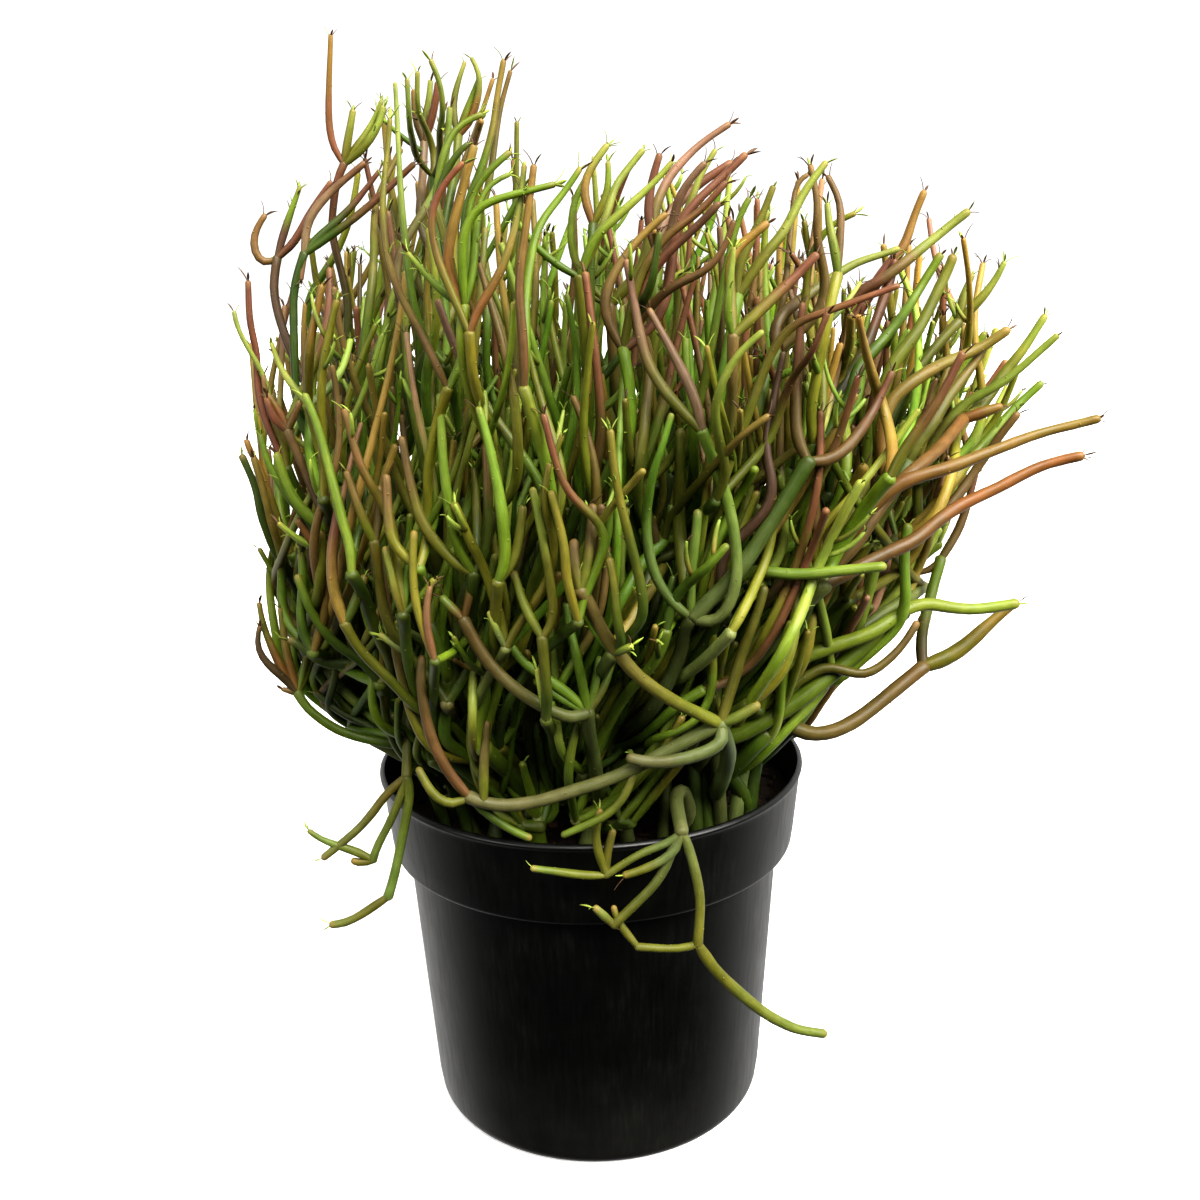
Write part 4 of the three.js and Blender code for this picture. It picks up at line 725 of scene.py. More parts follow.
        # growth that is still young carries leaves along it
        for i in range(int(r.integers(1, 4))):
            at = length * r.uniform(0.35, 0.95)
            k = min(max(int(np.searchsorted(stations, at)), 1), len(stations) - 1)
            az = r.uniform(0, 2 * math.pi)
            out = unit(math.cos(az) * u[k] + math.sin(az) * v[k])
            shadow = painted_interior_shade(np.ones((1, 3)), centre[k][None])[0]
            ta = (LEAF_FRESH if r.uniform(0, 1) < 0.8 else LEAF_DRY) * r.uniform(0.8, 1.25) * shadow
            blade(sheaf, centre[k] + out * rad[k] * 0.9, out, t[k], r.uniform(2.6, 6.5), r.uniform(0.9, 1.7), ta, ta, r)
    if kind == "p" and tip_at[2] > 380 and r.uniform(0, 1) < (0.34 if free else 0.14 if tip_at[2] < 540 else 0.0):
        for i in range(int(r.integers(1, 3))):
            at = length * r.uniform(0.50, 0.92)
            k = min(max(int(np.searchsorted(stations, at)), 1), len(stations) - 1)
            az = r.uniform(0, 2 * math.pi)
            out = unit(math.cos(az) * u[k] + math.sin(az) * v[k])
            twig(sheaf, centre[k] + out * rad[k] * 0.6, unit(t[k] + np.array([0, 0, 0.35])), out, r.uniform(9.0, 27.0), r)



# ---------------------------------------------------------------- the branches
# One line each: kind (p pencil, y young side shoot, s length of stem, b stem from the soil), colour at its base and tip, radius at its base and tip in
# hundredths of a millimetre, and the points of its middle line from tip to base in tenths of a millimetre.
BRANCHES = {
    "stem_left_2": """
pRK 182 171 -1245,-286,6391 -1293,-258,5980 -1279,-248,5815 -1233,-239,5746
pOY 208 196 -1159,-261,6022 -1233,-239,5746
pOY 211 199 -1015,-183,6068 -1085,-192,5930 -1233,-239,5746
pOY 209 197 -1001,-225,6040 -1022,-223,5964 -1061,-224,5896 -1168,-232,5786 -1233,-239,5746
sDR 212 199 -1233,-239,5746 -1273,-246,5679 -1317,-261,5451 -1319,-266,5373 -1274,-275,5144 -1258,-283,4988 -1282,-308,4682 -1235,-316,4536
pPR 206 194 -1087,-415,5750 -1267,-444,5613 -1373,-465,5507 -1411,-474,5442 -1435,-486,5293
pDR 204 192 -828,-441,5738 -1125,-449,5495 -1435,-486,5293
pDR 207 195 -1023,-368,5709 -1189,-405,5517 -1382,-465,5357 -1435,-486,5293
pPP 207 195 -1458,-504,5156 -1456,-498,5225 -1435,-486,5293
sDD 234 220 -1435,-486,5293 -1493,-502,5147 -1505,-513,5070 -1514,-563,4754 -1513,-592,4508 -1481,-599,4354 -1383,-587,4214
pMG 212 199 -1467,-283,5638 -1560,-317,5418 -1608,-352,5268
pRR 209 197 -1286,-333,5660 -1424,-346,5487 -1498,-346,5360 -1608,-352,5268
pBB 212 199 -1651,-330,5500 -1701,-343,5441 -1730,-354,5368 -1723,-361,5289 -1675,-359,5228 -1608,-352,5268
sMM 237 223 -1608,-352,5268 -1635,-392,5119 -1625,-409,5045 -1567,-458,4826 -1448,-514,4529 -1383,-587,4214
pOK 210 197 -1794,-634,4345 -1785,-642,4281 -1743,-642,4221 -1720,-648,4153 -1633,-678,3827 -1588,-690,3711
pGG 163 154 -1821,-469,3703 -1748,-482,3555 -1653,-487,3419 -1595,-503,3277 -1403,-495,3015 -1351,-499,2904 -1312,-523,2763
p-- 240 223 -1351,-203,3394 -1343,-198,3147 -1349,-168,2819 -1339,-170,2741 -1315,-180,2667 -1239,-198,2530 -1143,-204,2398 -1024,-213,2283 -1014,-231,2228
p-- 209 194 -1528,-455,3699 -1563,-425,3533 -1604,-328,3295 -1620,-329,3215 -1632,-352,3060 -1625,-350,2912 -1627,-366,2843 -1593,-368,2768
p-- 223 208 -1712,80,3135 -1703,22,2997 -1683,-8,2927 -1601,-62,2791 -1487,-103,2655 -1356,-115,2521 -1186,-138,2333
p-- 181 168 -1012,-916,3145 -996,-733,2964 -988,-638,2837 -1000,-413,2519 -982,-204,2293
p-- 203 189 -1315,108,3621 -1371,-7,3427 -1424,-87,3218 -1459,-113,3000 -1460,-96,2861 -1415,-40,2675 -1196,-66,2437 -1033,-117,2260
p-- 182 169 -1449,-77,4943 -1356,-122,4551 -1242,-143,4247 -1199,-142,4091 -1200,-141,4009 -1228,-144,3933 -1337,-167,3816
p-- 201 187 -1278,355,5202 -1282,186,4843 -1291,43,4472 -1281,-30,4245 -1262,-88,4015 -1271,-96,3937 -1300,-122,3869 -1337,-167,3816
p-- 182 169 -1393,-340,5026 -1337,-323,4798 -1310,-297,4565 -1323,-246,4257 -1386,-179,3962 -1377,-172,3884 -1337,-167,3816
p-- 187 174 -1468,-653,4533 -1450,-583,4399 -1445,-528,4255 -1450,-492,4104 -1487,-465,3885 -1513,-493,3826 -1571,-613,3749 -1588,-690,3711
p-- 184 172 -1389,-621,3748 -1361,-553,3348 -1295,-518,3029 -1267,-501,2952 -1232,-457,2894 -1214,-394,2854 -1215,-325,2814
p-- 202 188 -1554,-29,3295 -1583,-36,3147 -1589,-43,2998 -1561,-51,2852 -1530,-56,2782 -1439,-70,2652 -1206,-105,2422 -1033,-117,2260
p-- 208 194 -1173,-773,4760 -1153,-729,4371 -1100,-663,3990 -1107,-641,3917 -1110,-591,3859
p-- 181 168 -1622,47,5074 -1743,1,4696 -1811,-52,4405 -1833,-83,4264 -1843,-135,4056 -1842,-130,3904
p-- 234 218 -1280,-276,2802 -1033,-215,2514 -916,-181,2328 -806,-155,2139
p-- 223 207 -1448,-355,4364 -1525,-353,3979 -1542,-341,3666 -1501,-324,3355 -1410,-327,3056 -1424,-322,2980
p-- 191 177 -1353,-93,4465 -1367,-265,4203 -1323,-451,3858 -1324,-473,3782 -1359,-430,3554 -1348,-436,3477 -1324,-463,3406
p-- 230 214 -1365,-284,3844 -1371,-321,3686 -1359,-341,3526 -1324,-338,3368 -1223,-304,3059 -1215,-325,2814
p-- 232 216 -1153,-640,5030 -1163,-592,4795 -1153,-564,4558 -1107,-568,4243 -1103,-564,4163 -1127,-541,4008 -1126,-556,3930 -1110,-591,3859
p-- 200 186 -1152,-416,3252 -1251,-398,2882 -1268,-397,2750 -1260,-395,2683 -1147,-339,2463 -1004,-271,2253
p-- 234 217 -1569,-181,3914 -1464,-173,3529 -1353,-154,3230 -1289,-156,3082 -1258,-170,3007 -1240,-214,2939 -1215,-325,2814
p-- 214 199 -1417,-36,3730 -1444,-75,3416 -1514,-120,3119 -1560,-155,2919 -1554,-185,2743 -1513,-186,2676 -1379,-174,2555 -1186,-138,2333
p-- 191 178 -1666,-322,4534 -1615,-285,4295 -1575,-278,4136 -1509,-292,3899 -1440,-328,3665 -1436,-326,3584 -1451,-329,3504 -1504,-386,3368
p-- 212 198 -1363,-518,4700 -1291,-532,4472 -1260,-542,4315 -1244,-565,3996 -1283,-581,3757 -1327,-582,3600 -1343,-559,3523 -1341,-516,3458 -1324,-463,3406
p-- 229 213 -1395,-379,3099 -1296,-440,2825 -1236,-438,2691 -1134,-380,2502 -1004,-271,2253
p-- 240 224 -1317,-519,4116 -1366,-483,3807 -1433,-380,3433 -1426,-362,3357 -1382,-340,3208 -1376,-333,3130 -1424,-322,2980
p-- 195 181 -1249,159,4713 -1308,119,4405 -1347,50,4180 -1378,-54,3968 -1411,-282,3645 -1404,-300,3569 -1391,-293,3491 -1379,-252,3341 -1393,-235,3266 -1424,-230,3197 -1468,-237,3136
p-- 203 189 -953,-201,3179 -991,-257,2875 -1007,-267,2730 -1015,-246,2454 -1005,-235,2239
p-- 192 178 -1406,-488,3449 -1433,-427,3204 -1489,-388,2969 -1471,-379,2818 -1397,-389,2686 -1310,-375,2567 -1168,-321,2415 -1012,-260,2292 -1011,-245,2215
p-- 200 186 -892,-449,4196 -1041,-468,3908 -1219,-478,3534 -1258,-470,3460 -1324,-463,3406
p-- 196 182 -1732,-72,4414 -1727,-184,4207 -1724,-250,3982 -1722,-262,3829 -1716,-234,3610 -1691,-243,3541 -1648,-274,3490 -1544,-362,3430 -1504,-386,3368
p-- 211 196 -1567,-408,3295 -1472,-440,3173 -1440,-455,3105 -1404,-485,2811 -1349,-484,2681 -1149,-395,2448 -994,-290,2299
p-- 202 188 -1800,-135,4056 -1772,-172,3816 -1755,-180,3653 -1731,-150,3323 -1706,-148,3244 -1663,-154,3173
p-- 218 203 -892,-478,5309 -971,-521,5082 -1038,-559,4851 -1120,-609,4461 -1151,-612,4389 -1206,-606,4337 -1383,-587,4214
p-- 198 184 -1601,-298,5019 -1638,-369,4631 -1666,-389,4396 -1696,-397,4162 -1700,-414,4086 -1696,-448,4015 -1669,-540,3890 -1588,-690,3711
p-- 200 186 -1239,-455,4464 -1324,-470,4153 -1389,-482,3921 -1444,-492,3605 -1468,-473,3449 -1487,-427,3294 -1443,-378,3133 -1435,-389,3047 -1451,-420,2958
p-- 188 175 -1681,-318,3554 -1660,-313,3323 -1670,-341,3175 -1691,-412,2982 -1685,-419,2910 -1655,-400,2834 -1593,-368,2768
p-- 202 188 -1804,-159,3488 -1769,-179,3247 -1729,-195,3088 -1598,-229,2787 -1547,-234,2713 -1283,-208,2477 -1032,-172,2297 -1026,-171,2255
p-- 188 175 -1770,-257,3208 -1667,-279,2968 -1524,-277,2737 -1287,-251,2473 -1158,-244,2371 -1018,-240,2285 -1009,-253,2244
p-- 182 169 -1344,-508,3036 -1280,-511,2884 -1211,-488,2734 -1095,-394,2521 -994,-290,2299
p-- 191 178 -1744,-364,4243 -1733,-376,4004 -1715,-384,3765 -1697,-336,3427 -1691,-340,3346 -1679,-388,3198 -1661,-456,3067 -1631,-469,3006 -1582,-462,2953 -1411,-456,2829 -1362,-472,2794 -1312,-523,2763
p-- 188 174 -716,-152,5620 -812,-295,5313 -908,-374,5093 -1049,-487,4820 -1072,-485,4742 -1087,-439,4587 -1097,-432,4506 -1116,-455,4431 -1141,-503,4369
p-- 157 146 -1550,-514,4065 -1649,-484,3765 -1761,-402,3549 -1794,-394,3481 -1802,-406,3412 -1782,-460,3191 -1757,-451,3037 -1696,-415,2894 -1593,-368,2768
p-- 200 186 -1334,-61,4132 -1341,-58,3899 -1384,-79,3672 -1429,-108,3527 -1515,-174,3326 -1530,-194,3256 -1512,-213,3187 -1468,-237,3136
p-- 227 211 -1681,-467,3877 -1794,-417,3579 -1798,-429,3511 -1761,-534,3256 -1747,-543,3112 -1738,-524,3040 -1701,-462,2925 -1639,-394,2821 -1593,-368,2768
p-- 175 162 -1101,-871,3637 -1145,-791,3420 -1188,-728,3284 -1288,-589,3029 -1368,-497,2858 -1363,-487,2814 -1333,-492,2785 -1312,-523,2763
p-- 182 170 -1723,-94,3006 -1489,-143,2731 -1327,-140,2537 -1186,-138,2333
p-- 201 187 -1526,-180,2872 -1384,-151,2695 -1282,-148,2577 -1022,-212,2294 -1005,-235,2239
p-- 203 188 -1492,-267,4633 -1581,-313,4333 -1673,-386,4040 -1694,-414,3887 -1657,-409,3733 -1555,-377,3519 -1504,-386,3368
p-- 221 206 -1356,-713,4752 -1323,-693,4438 -1302,-620,4132 -1289,-529,3912 -1248,-372,3638 -1237,-346,3564 -1247,-335,3489 -1275,-312,3428 -1309,-270,3382
p-- 209 195 -1526,-569,3484 -1467,-501,3120 -1460,-463,2903 -1416,-431,2722 -1387,-429,2664 -1257,-402,2514 -994,-290,2299
p-- 218 202 -1746,-530,4843 -1733,-582,4460 -1715,-602,4161 -1718,-622,4092 -1705,-690,3962 -1689,-706,3892 -1675,-691,3832 -1647,-648,3784 -1619,-654,3757 -1588,-690,3711
p-- 170 158 -1802,134,4511 -1766,70,4284 -1761,28,4130 -1787,-30,3901 -1846,-83,3677 -1846,-96,3599 -1806,-110,3448 -1663,-154,3173
p-- 210 195 -1242,-303,4748 -1248,-300,4493 -1240,-333,4266 -1229,-362,4024 -1221,-422,3786 -1232,-478,3630 -1240,-492,3548 -1267,-479,3471 -1324,-463,3406
p-- 241 224 -1425,-324,5369 -1427,-303,5209 -1410,-282,5049 -1370,-261,4895 -1286,-237,4670 -1272,-264,4595 -1235,-316,4536
p-- 189 175 -1660,-320,3007 -1491,-229,2789 -1372,-187,2634 -1246,-173,2476 -1026,-171,2255
s-- 280 271 -1235,-316,4536 -1269,-246,4377 -1296,-204,4217 -1320,-189,4054 -1333,-195,3891 -1337,-167,3816
s-- 218 211 -1141,-503,4369 -1238,-423,4059 -1314,-370,3734 -1330,-396,3566 -1324,-463,3406
s-- 275 267 -1383,-587,4214 -1464,-492,3823 -1477,-435,3508 -1484,-415,3433 -1504,-386,3368
s-- 324 315 -1337,-167,3816 -1341,-249,3529 -1335,-258,3454 -1309,-270,3382
s-- 269 261 -1110,-591,3859 -1137,-558,3629 -1173,-513,3402 -1240,-411,3115 -1247,-358,2969 -1215,-325,2814
s-- 252 245 -1588,-690,3711 -1570,-619,3622 -1539,-536,3452 -1505,-476,3200 -1451,-420,2958
s-- 250 242 -1842,-130,3904 -1826,-131,3840 -1699,-135,3619 -1605,-151,3413 -1602,-154,3332 -1663,-154,3173
s-- 320 310 -1504,-386,3368 -1521,-339,2959 -1494,-322,2800 -1460,-310,2728 -1183,-255,2426 -1120,-240,2374 -982,-204,2293
s-- 252 245 -1324,-463,3406 -1301,-352,3188 -1297,-264,2961 -1285,-239,2886 -1216,-206,2742 -1127,-195,2600 -982,-204,2293
s-- 376 365 -1309,-270,3382 -1373,-257,3064 -1374,-242,2906 -1308,-219,2762 -1181,-166,2572 -1057,-130,2373
s-- 251 243 -1468,-237,3136 -1424,-158,2923 -1374,-124,2784 -1253,-113,2596 -1057,-130,2373
s-- 290 281 -1663,-154,3173 -1507,-234,2923 -1466,-269,2866 -1423,-332,2820 -1312,-523,2763
s-- 279 270 -1424,-322,2980 -1374,-299,2832 -1271,-253,2622 -1019,-227,2305 -1005,-235,2239
s-- 312 303 -1215,-325,2814 -1095,-325,2620 -1014,-297,2492 -893,-164,2240
s-- 263 255 -1593,-368,2768 -1400,-353,2653 -1241,-320,2529 -1137,-288,2434 -982,-204,2293
s-- 293 284 -1451,-420,2958 -1336,-348,2802 -1205,-259,2633 -1057,-130,2373
s-- 336 326 -1312,-523,2763 -1223,-307,2593 -1111,-272,2486 -861,-162,2196
s-- 436 423 -1057,-130,2373 -893,-164,2240
s-- 371 360 -982,-204,2293 -893,-164,2240
s-- 245 237 -994,-290,2299 -1005,-235,2239
s-- 235 227 -1026,-171,2255 -1004,-271,2253
s-- 259 251 -1186,-138,2333 -1046,-121,2309 -1033,-117,2260
s-- 272 264 -1004,-271,2253 -1009,-253,2244
s-- 301 292 -1033,-117,2260 -892,-163,2101
s-- 308 299 -1009,-253,2244 -1014,-231,2228
s-- 357 347 -1014,-231,2228 -1011,-245,2215
s-- 506 491 -893,-164,2240 -861,-162,2196
s-- 323 314 -1005,-235,2239 -861,-162,2196
s-- 383 371 -1011,-245,2215 -892,-163,2101
s-- 560 543 -861,-162,2196 -806,-155,2139
s-- 560 543 -806,-155,2139 -892,-163,2101
s-- 560 543 -892,-163,2101 -813,-142,1877 -797,-139,1558
y-- 185 176 -1495,-5,3956 -1429,-71,3853 -1383,-115,3823 -1337,-167,3816
y-- 184 175 -1421,-771,4735 -1421,-747,4675 -1443,-681,4566 -1473,-639,4527 -1513,-592,4508
y-- 152 145 -1279,-52,3576 -1290,-161,3431 -1309,-270,3382
y-- 146 139 -1451,-474,4894 -1415,-446,4769 -1365,-406,4651 -1287,-349,4560 -1235,-316,4536
y-- 187 178 -1548,-100,3399 -1587,-126,3276 -1663,-154,3173
y-- 208 198 -1039,-392,4802 -1057,-378,4617 -1076,-394,4497 -1114,-454,4397 -1141,-503,4369
y-- 198 188 -1348,-511,4827 -1310,-429,4730 -1282,-308,4682
y-- 201 191 -1408,-645,3563 -1430,-560,3453 -1448,-507,3409 -1474,-449,3379 -1504,-386,3368
y-- 193 183 -858,-715,4109 -947,-652,3945 -1049,-610,3873 -1110,-591,3859
y-- 207 196 -1428,-736,4304 -1403,-643,4228 -1383,-587,4214
y-- 205 194 -1711,-389,3526 -1617,-384,3434 -1504,-386,3368
y-- 167 159 -1601,-632,4397 -1499,-606,4298 -1383,-587,4214
y-- 210 200 -1555,-227,3337 -1474,-235,3222 -1361,-262,3143
b-- 415 250 -1324,-463,3406 -1260,-388,3231 -1132,-342,3046 -968,-317,2843 -794,-307,2615 -639,-304,2353 -500,-300,1880
b-- 318 256 -1186,-138,2333 -1136,-116,2305 -1098,-70,2258 -1068,-10,2195 -1046,53,2118 -1030,110,2029 -1015,161,1880
b-- 377 372 -1309,-270,3382 -1283,-239,3196 -1148,-167,3009 -946,-70,2811 -719,33,2592 -511,126,2340 -326,209,1880
""",
    "stem_left_front_3": """
pRR 195 183 -1625,-971,5192 -1635,-980,4954 -1613,-973,4876 -1621,-986,4646 -1590,-1010,4493 -1496,-1044,4255
pYY 147 138 -1701,-1007,5046 -1699,-1013,4982 -1621,-1017,4814 -1577,-998,4705 -1555,-1002,4481 -1496,-1044,4255
pOB 197 185 -1585,-1001,4736 -1576,-1021,4591 -1503,-1033,4391 -1496,-1044,4255
pOK 226 213 -1168,-1453,5191 -1212,-1458,5039 -1256,-1442,4885 -1308,-1305,4611
pBK 184 173 -1287,-1294,5096 -1307,-1301,4937 -1308,-1305,4611
pYY 167 157 -1475,-1248,4912 -1437,-1261,4780 -1308,-1305,4611
pOO 203 191 -1097,-1500,5124 -1182,-1498,4850 -1216,-1462,4636 -1232,-1429,4428 -1238,-1422,4296 -1247,-1437,4171
pRR 221 207 -1549,-1140,4635 -1514,-1147,4503 -1458,-1136,4463
pAK 197 185 -1551,-1107,4650 -1478,-1121,4531 -1458,-1136,4463
pBB 219 206 -1388,-1106,4608 -1458,-1136,4463
sMB 221 208 -1458,-1136,4463 -1344,-1163,4152 -1269,-1194,3944
pDD 235 221 -1817,-678,4272 -1747,-694,4078 -1738,-708,3931 -1706,-700,3855 -1700,-693,3782 -1645,-622,3621 -1600,-524,3428 -1575,-495,3250 -1553,-511,3115
pGK 232 218 -1735,-758,4274 -1686,-771,4050 -1668,-762,3893 -1654,-707,3793 -1656,-661,3689 -1666,-638,3587 -1676,-641,3496 -1679,-657,3420 -1663,-683,3353 -1622,-717,3294 -1561,-760,3248
pDG 223 210 -1615,-1036,4439 -1592,-1056,4281 -1544,-1055,4211 -1518,-1060,4141 -1294,-1063,3828 -1216,-1078,3700
pGG 268 252 -1514,-1182,4366 -1473,-1200,4204 -1406,-1206,4074 -1269,-1194,3944
pGV 234 220 -1291,-1468,4692 -1237,-1480,4538 -1185,-1513,4297 -1136,-1553,4057 -1108,-1564,3980 -1108,-1599,3837
pDG 226 212 -1476,-1119,3719 -1434,-1140,3571 -1370,-1135,3427 -1285,-1120,3315 -1187,-1095,3241 -1143,-1075,3168 -1098,-1080,3096
pDO 198 186 -1390,-863,3503 -1367,-872,3420 -1359,-824,3266 -1375,-773,3114 -1410,-718,2986 -1479,-617,2822 -1484,-596,2772 -1409,-526,2668 -1374,-544,2648
pDO 244 229 -1312,-1232,3974 -1321,-1242,3832 -1346,-1210,3682 -1404,-1086,3524 -1526,-840,3340 -1561,-760,3248
pDG 223 209 -1459,-1059,3820 -1450,-1072,3746 -1485,-1095,3440 -1464,-1101,3358 -1430,-1116,3287
pKA 218 204 -1440,-1171,4025 -1323,-1169,3796 -1311,-1163,3697 -1343,-1132,3509 -1405,-1107,3354 -1430,-1116,3287
pAO 217 204 -1795,-684,3450 -1771,-717,3299 -1656,-762,3009 -1607,-771,2946
pAO 218 205 -1682,-683,3419 -1658,-729,3180 -1607,-771,2946
pMM 216 203 -1783,-755,3340 -1802,-775,3285 -1803,-789,3224 -1783,-795,3161 -1643,-774,3004 -1607,-771,2946
pGO 219 205 -1538,-666,3197 -1607,-771,2946
pBB 190 178 -1694,-782,2977 -1607,-771,2946
pOO 220 207 -1530,-666,3111 -1607,-771,2946
sDG 246 231 -1607,-771,2946 -1578,-787,2876 -1403,-801,2734 -1263,-799,2678 -1113,-822,2653 -1039,-809,2636 -917,-755,2582 -814,-690,2508 -741,-603,2413 -656,-458,2253
pDD 220 207 -1555,-593,2892 -1443,-623,2797 -1380,-649,2760 -1233,-697,2713 -1171,-725,2675 -1113,-733,2631 -855,-577,2393 -674,-495,2266
pWW 236 222 -1613,-861,3289 -1543,-854,3250 -1498,-854,3187 -1438,-841,3136 -1362,-823,3115 -1304,-802,3137 -1248,-799,3118 -1214,-804,3088 -1154,-799,3076
p-- 200 186 -1211,-762,3094 -1206,-672,2879 -1178,-610,2739 -1097,-531,2531 -944,-434,2260
p-- 218 203 -1117,-1169,4061 -1136,-1171,3900 -1149,-1156,3740 -1149,-1088,3510 -1105,-892,3154 -1051,-833,3015 -959,-732,2823 -948,-694,2756 -954,-620,2626
p-- 228 212 -949,-1147,4932 -1036,-1120,4712 -1138,-1104,4496 -1262,-1089,4289 -1367,-1093,4138 -1429,-1079,4048 -1497,-1016,3941 -1573,-880,3811 -1660,-691,3674 -1737,-510,3557 -1772,-403,3468 -1769,-366,3410 -1748,-376,3371 -1723,-412,3341 -1655,-522,3284 -1611,-614,3261 -1561,-760,3248
p-- 211 197 -1138,-855,4113 -1091,-936,3808 -1082,-994,3576 -1097,-1034,3343 -1127,-1027,3179 -1147,-1047,3100 -1156,-1106,2964 -1141,-1094,2894 -1113,-1052,2834 -988,-880,2703 -944,-842,2650 -904,-833,2589 -832,-788,2452
p-- 241 224 -793,-1359,5236 -834,-1381,5005 -889,-1405,4777 -958,-1430,4553 -1028,-1454,4330 -1105,-1464,4105 -1162,-1428,3942 -1191,-1385,3855 -1252,-1256,3670 -1329,-1083,3475 -1374,-1022,3389 -1413,-1013,3321 -1430,-1116,3287
p-- 208 194 -1192,-659,3405 -1152,-689,3078 -1161,-674,2838 -1128,-623,2691 -1035,-536,2476 -944,-434,2260
p-- 184 171 -772,-987,4686 -798,-1022,4457 -833,-1057,4311 -914,-1124,4107 -1021,-1198,3928 -1058,-1199,3865 -1093,-1169,3809 -1168,-1093,3732 -1216,-1078,3700
p-- 194 181 -860,-1234,4049 -889,-1222,3791 -952,-1223,3592 -1007,-1205,3483 -1079,-1146,3373 -1165,-1034,3261 -1261,-888,3148 -1364,-736,3039 -1468,-602,2941 -1550,-512,2857 -1574,-474,2790 -1535,-459,2742 -1494,-462,2712 -1461,-475,2692 -1374,-544,2648
p-- 215 200 -749,-1400,4163 -833,-1351,3943 -898,-1305,3803 -969,-1245,3672 -1145,-1068,3366 -1172,-1023,3312 -1227,-903,3218 -1230,-852,3158 -1203,-821,3104 -1154,-799,3076
p-- 237 220 -1042,-1021,3442 -1085,-824,3110 -1087,-751,2893 -1072,-690,2761 -1031,-619,2645 -928,-524,2493 -790,-449,2259
p-- 177 165 -915,-1476,4594 -982,-1373,4283 -1007,-1360,4206 -1031,-1367,4133 -1054,-1402,4068 -1108,-1512,3958 -1120,-1561,3897 -1108,-1599,3837
p-- 189 176 -1224,-864,4418 -1248,-837,4176 -1277,-812,3935 -1338,-766,3539 -1363,-735,3388 -1378,-689,3243 -1362,-661,3166 -1325,-642,3090 -1126,-638,2807 -1108,-656,2727 -1113,-679,2641
p-- 228 212 -899,-1294,4411 -1020,-1316,4108 -1084,-1299,3945 -1154,-1239,3762 -1196,-1182,3658 -1316,-984,3414 -1470,-701,3139 -1590,-493,2924 -1604,-440,2862 -1581,-417,2823 -1540,-422,2794 -1459,-464,2735 -1374,-544,2648
p-- 185 172 -1091,-1103,4492 -1163,-1148,4272 -1205,-1163,4121 -1265,-1153,3884 -1322,-1113,3726 -1388,-987,3577 -1462,-789,3400 -1534,-568,3205 -1553,-511,3115
p-- 227 211 -1187,-1276,4802 -1165,-1286,4647 -1160,-1304,4494 -1177,-1329,4352 -1217,-1350,4232 -1303,-1342,4078 -1353,-1280,3857 -1371,-1045,3532 -1390,-1006,3431 -1415,-1009,3342 -1430,-1116,3287
p-- 165 153 -881,-675,3270 -1023,-625,2979 -1067,-604,2830 -1083,-585,2683 -978,-531,2488 -790,-449,2259
p-- 242 225 -998,-979,4254 -1028,-987,4099 -1043,-1014,3944 -1025,-1132,3573 -1024,-1127,3494 -1031,-1101,3422 -1061,-1036,3295 -1091,-998,3169 -1100,-1014,3122 -1098,-1080,3096
p-- 211 196 -1239,-851,5238 -1244,-924,5015 -1283,-963,4868 -1349,-984,4725 -1470,-963,4521 -1507,-971,4452 -1519,-996,4381 -1496,-1044,4255
p-- 206 192 -761,-1108,3158 -799,-1043,2855 -805,-940,2659 -742,-744,2440 -659,-534,2236
p-- 241 224 -1350,-984,3634 -1339,-807,3320 -1363,-576,2992 -1372,-507,2846 -1365,-498,2777 -1338,-502,2708 -1296,-510,2651 -1243,-514,2610 -1107,-482,2450 -951,-432,2307 -944,-434,2260
p-- 164 153 -1191,-677,4476 -1174,-682,4149 -1162,-676,3823 -1155,-652,3499 -1152,-620,3263 -1186,-626,2988
p-- 238 221 -873,-404,3561 -855,-443,3242 -834,-501,2933 -815,-532,2790 -780,-553,2661 -722,-534,2484 -656,-458,2253
p-- 184 171 -1011,-930,4961 -1148,-915,4688 -1217,-910,4471 -1246,-913,4244 -1236,-895,4173 -1209,-853,4116
p-- 233 217 -1311,-896,4924 -1358,-966,4607 -1368,-1051,4468 -1353,-1173,4342 -1326,-1249,4283 -1247,-1437,4171
p-- 217 202 -927,-1080,3730 -947,-1073,3557 -987,-1056,3371 -1024,-1035,3270 -1077,-994,3162 -1145,-921,3047 -1300,-691,2809 -1391,-570,2680 -1374,-544,2648
p-- 183 170 -987,-1197,3052 -1025,-1073,2838 -1040,-953,2697 -1028,-912,2641 -1001,-893,2599 -927,-745,2445 -856,-599,2294 -864,-553,2198
p-- 188 175 -670,-1321,3293 -808,-1234,3021 -899,-1175,2820 -935,-1116,2702 -941,-1074,2650 -832,-788,2452
p-- 164 153 -1297,-941,3977 -1354,-882,3740 -1400,-793,3487 -1420,-638,3204 -1417,-578,3103 -1408,-538,3005 -1372,-517,2816 -1347,-532,2728 -1310,-576,2652 -1239,-618,2588
p-- 225 209 -1062,-1218,3539 -1056,-1130,3396 -1061,-1097,3317 -1081,-1042,3144 -1099,-993,2913 -1094,-916,2754 -1082,-872,2677 -1061,-845,2615 -1033,-838,2570 -1009,-799,2517 -956,-717,2421 -859,-595,2308 -864,-553,2198
p-- 211 196 -1347,-997,4306 -1387,-1018,4140 -1412,-1015,4053 -1442,-988,3960 -1476,-924,3861 -1517,-818,3750 -1619,-534,3499 -1660,-433,3390 -1671,-418,3315 -1660,-503,3200 -1668,-537,3127 -1679,-543,3036 -1672,-510,2930 -1630,-458,2827 -1552,-428,2748 -1477,-433,2692 -1371,-498,2629 -1239,-618,2588
